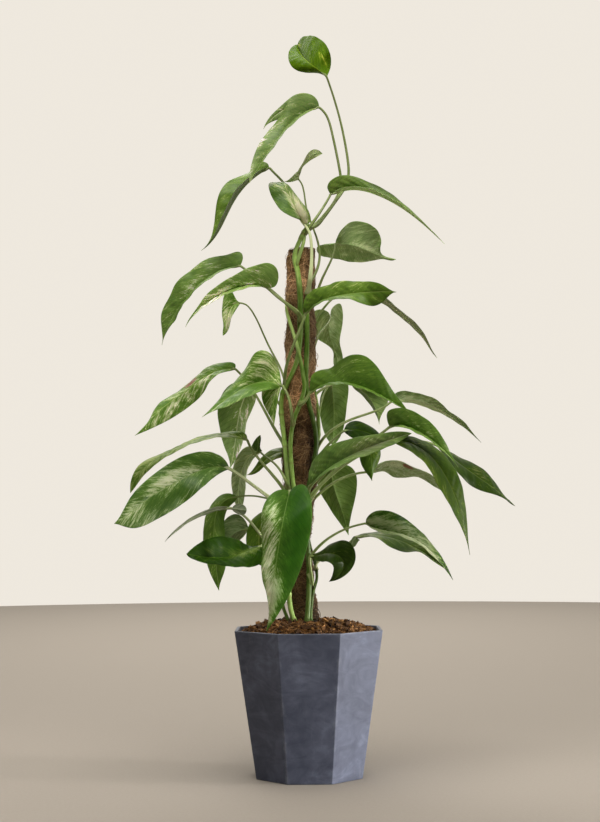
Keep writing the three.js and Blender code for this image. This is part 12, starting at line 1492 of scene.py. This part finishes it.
def chips(name, count, size, seed, flatness, lift):
    """Irregular splinters and crumbs of bark lying in a layer on the mound."""
    rng = np.random.default_rng(seed)
    ang = rng.uniform(0, 2 * np.pi, count)
    rr = np.sqrt(rng.uniform(0.0, 1.0, count))
    reach = (flat(183) - WALL - 0.5 - size * 0.62) / np.cos(((ang + np.pi / 8) % (np.pi / 4)) - np.pi / 8)
    x, y = rr * reach * np.cos(ang), rr * reach * np.sin(ang)
    cx, cr = pole_axis(np.full(count, 200.0))
    keep = np.hypot(x - cx, y) > cr * 0.93
    x, y = x[keep], y[keep]
    count = len(x)
    z = soil_height(x, y) + rng.uniform(-1.2, lift, count)
    rr = np.hypot(x, y)
    z = np.minimum(z, np.where(rr > 84, 186.5, 999))
    sx = size * rng.lognormal(0, 0.42, count)
    sy = sx * rng.uniform(0.25, 0.6, count)
    sz = sx * rng.uniform(0.5, 1.0, count) * flatness
    # an eight-cornered lump, each corner pulled about
    box = np.array([[-1, -1, -1], [1, -1, -1], [1, 1, -1], [-1, 1, -1], [-1, -1, 1], [1, -1, 1], [1, 1, 1], [-1, 1, 1]], float) * 0.5
    p = box[None] * np.stack([sx, sy, sz], -1)[:, None, :] * rng.uniform(0.55, 1.15, (count, 8, 3))
    yaw = rng.uniform(0, 2 * np.pi, count)
    tilt = rng.normal(0, 0.45, count)
    roll = rng.normal(0, 0.5, count)
    cy, sy_ = np.cos(yaw), np.sin(yaw)
    ct, st = np.cos(tilt), np.sin(tilt)
    cr_, sr_ = np.cos(roll), np.sin(roll)
    p = np.stack([p[..., 0], p[..., 1] * cr_[:, None] - p[..., 2] * sr_[:, None], p[..., 1] * sr_[:, None] + p[..., 2] * cr_[:, None]], -1)
    p = np.stack([p[..., 0] * ct[:, None] + p[..., 2] * st[:, None], p[..., 1], -p[..., 0] * st[:, None] + p[..., 2] * ct[:, None]], -1)
    p = np.stack([p[..., 0] * cy[:, None] - p[..., 1] * sy_[:, None], p[..., 0] * sy_[:, None] + p[..., 1] * cy[:, None], p[..., 2]], -1)
    p = p + np.stack([x, y, z], -1)[:, None, :]
    faces = np.array([[0, 3, 2, 1], [4, 5, 6, 7], [0, 1, 5, 4], [1, 2, 6, 5], [2, 3, 7, 6], [3, 0, 4, 7]])
    base = (np.arange(count) * 8)[:, None, None]
    shape = Shape()
    shape.add(p.reshape(-1, 3), [(faces[None] + base).reshape(-1, 4)], 0, seed=np.repeat(np.clip(rng.normal(0.5, 0.28, count), 0, 1), 8))
    return ride(shape.object(name, [chip_mat], smooth=False), "potting_mix")


chips("bark_chips", 4300, 4.8, 31, 0.40, 1.6)
chips("bark_crumbs", 9000, 2.4, 32, 0.7, 1.3)

# ---------------------------------------------------------------- floor, light, camera
n = Nodes("studio_floor")
fine = n.noise(n.obj(), 260.0, 3.0, 0.6)
floor_mat = n.finish(n.mix(fine, (0.30, 0.265, 0.225), (0.35, 0.31, 0.265)), 0.9, n.bump(fine, 0.15, 0.001))
me = bpy.data.meshes.new("studio_floor")
t = np.linspace(0, 2 * np.pi, 96, endpoint=False)
me.from_pydata([(3.9 * math.cos(a), 3.9 * math.sin(a), 0.0) for a in t], [], [list(range(96))])
me.materials.append(floor_mat)
floor = bpy.data.objects.new("studio_floor", me)
scene.collection.objects.link(floor)

world = bpy.data.worlds.new("studio")
scene.world = world
world.use_nodes = True
wt = world.node_tree
wt.nodes.clear()
w_out = wt.nodes.new("ShaderNodeOutputWorld")
w_bg = wt.nodes.new("ShaderNodeBackground")
w_tc = wt.nodes.new("ShaderNodeTexCoord")
w_sep = wt.nodes.new("ShaderNodeSeparateXYZ")
w_ramp = wt.nodes.new("ShaderNodeValToRGB")
w_map = wt.nodes.new("ShaderNodeMapRange")
wt.links.new(w_tc.outputs["Generated"], w_sep.inputs[0])
w_lean = wt.nodes.new("ShaderNodeMath")
w_lean.operation = "MULTIPLY_ADD"
wt.links.new(w_sep.outputs["X"], w_lean.inputs[0])
w_lean.inputs[1].default_value = 0.30
wt.links.new(w_sep.outputs["Y"], w_lean.inputs[2])
wt.links.new(w_lean.outputs[0], w_map.inputs["Value"])
w_map.inputs["From Min"].default_value, w_map.inputs["From Max"].default_value = -1.0, 1.0
wt.links.new(w_map.outputs[0], w_ramp.inputs[0])
el = w_ramp.color_ramp.elements
el[0].position, el[0].color = 0.0, (0.10, 0.098, 0.095, 1)
el[1].position, el[1].color = 0.86, (0.86, 0.81, 0.73, 1)
for pos, col in ((0.35, (0.10, 0.097, 0.091)), (0.62, (0.36, 0.345, 0.315))):
    el.new(pos).color = (*col, 1)
wt.links.new(w_ramp.outputs[0], w_bg.inputs[0])
w_bg.inputs[1].default_value = 1.0
# the backdrop itself is one pale tone from every side
w_pale = wt.nodes.new("ShaderNodeBackground")
w_pale.inputs[0].default_value = (0.86, 0.81, 0.73, 1)
w_path = wt.nodes.new("ShaderNodeLightPath")
w_mix = wt.nodes.new("ShaderNodeMixShader")
wt.links.new(w_path.outputs["Is Camera Ray"], w_mix.inputs[0])
wt.links.new(w_bg.outputs[0], w_mix.inputs[1])
wt.links.new(w_pale.outputs[0], w_mix.inputs[2])
wt.links.new(w_mix.outputs[0], w_out.inputs[0])


def area(name, at, aim, size, power, color=(1, 1, 1), spread=180):
    light = bpy.data.lights.new(name, "AREA")
    light.shape, light.size, light.energy, light.color = "SQUARE", size, power, color
    light.spread = math.radians(spread)
    ob = bpy.data.objects.new(name, light)
    scene.collection.objects.link(ob)
    ob.location = at
    ob.rotation_euler = (Vector(aim) - Vector(at)).to_track_quat("-Z", "Y").to_euler()
    return ob


area("key_right", (2.0, -0.36, 0.20), (0, 0, 0.07), 0.45, 2.0, (1.0, 0.97, 0.94), 28)
area("top_front", (-0.05, -0.95, 2.75), (0, 0, 0.5), 1.5, 66, (1.0, 0.97, 0.92))
area("floor_back", (0, 3.3, 2.6), (0, 2.9, 0), 3.0, 26, (1.0, 0.96, 0.90), 90)
area("back_top", (-0.5, 1.7, 2.5), (0, 0, 0.6), 1.6, 24, (1.0, 0.97, 0.92))

cam_data = bpy.data.cameras.new("camera")
cam_data.sensor_width = 36.0
cam_data.sensor_fit = "AUTO"
cam_data.lens = 63.15
cam_data.clip_start, cam_data.clip_end = 0.05, 50.0
cam = bpy.data.objects.new("camera", cam_data)
scene.collection.objects.link(cam)
cam.location = (-0.00928, -1.900, 0.33269)
cam.rotation_mode = "XYZ"
pitch = Euler((math.pi / 2 + 0.0741, 0, 0)).to_matrix() @ Euler((0, 0, -0.0062)).to_matrix()
cam.rotation_euler = pitch.to_euler()
scene.camera = cam
scene.view_settings.view_transform = "Standard"
scene.view_settings.look = "None"
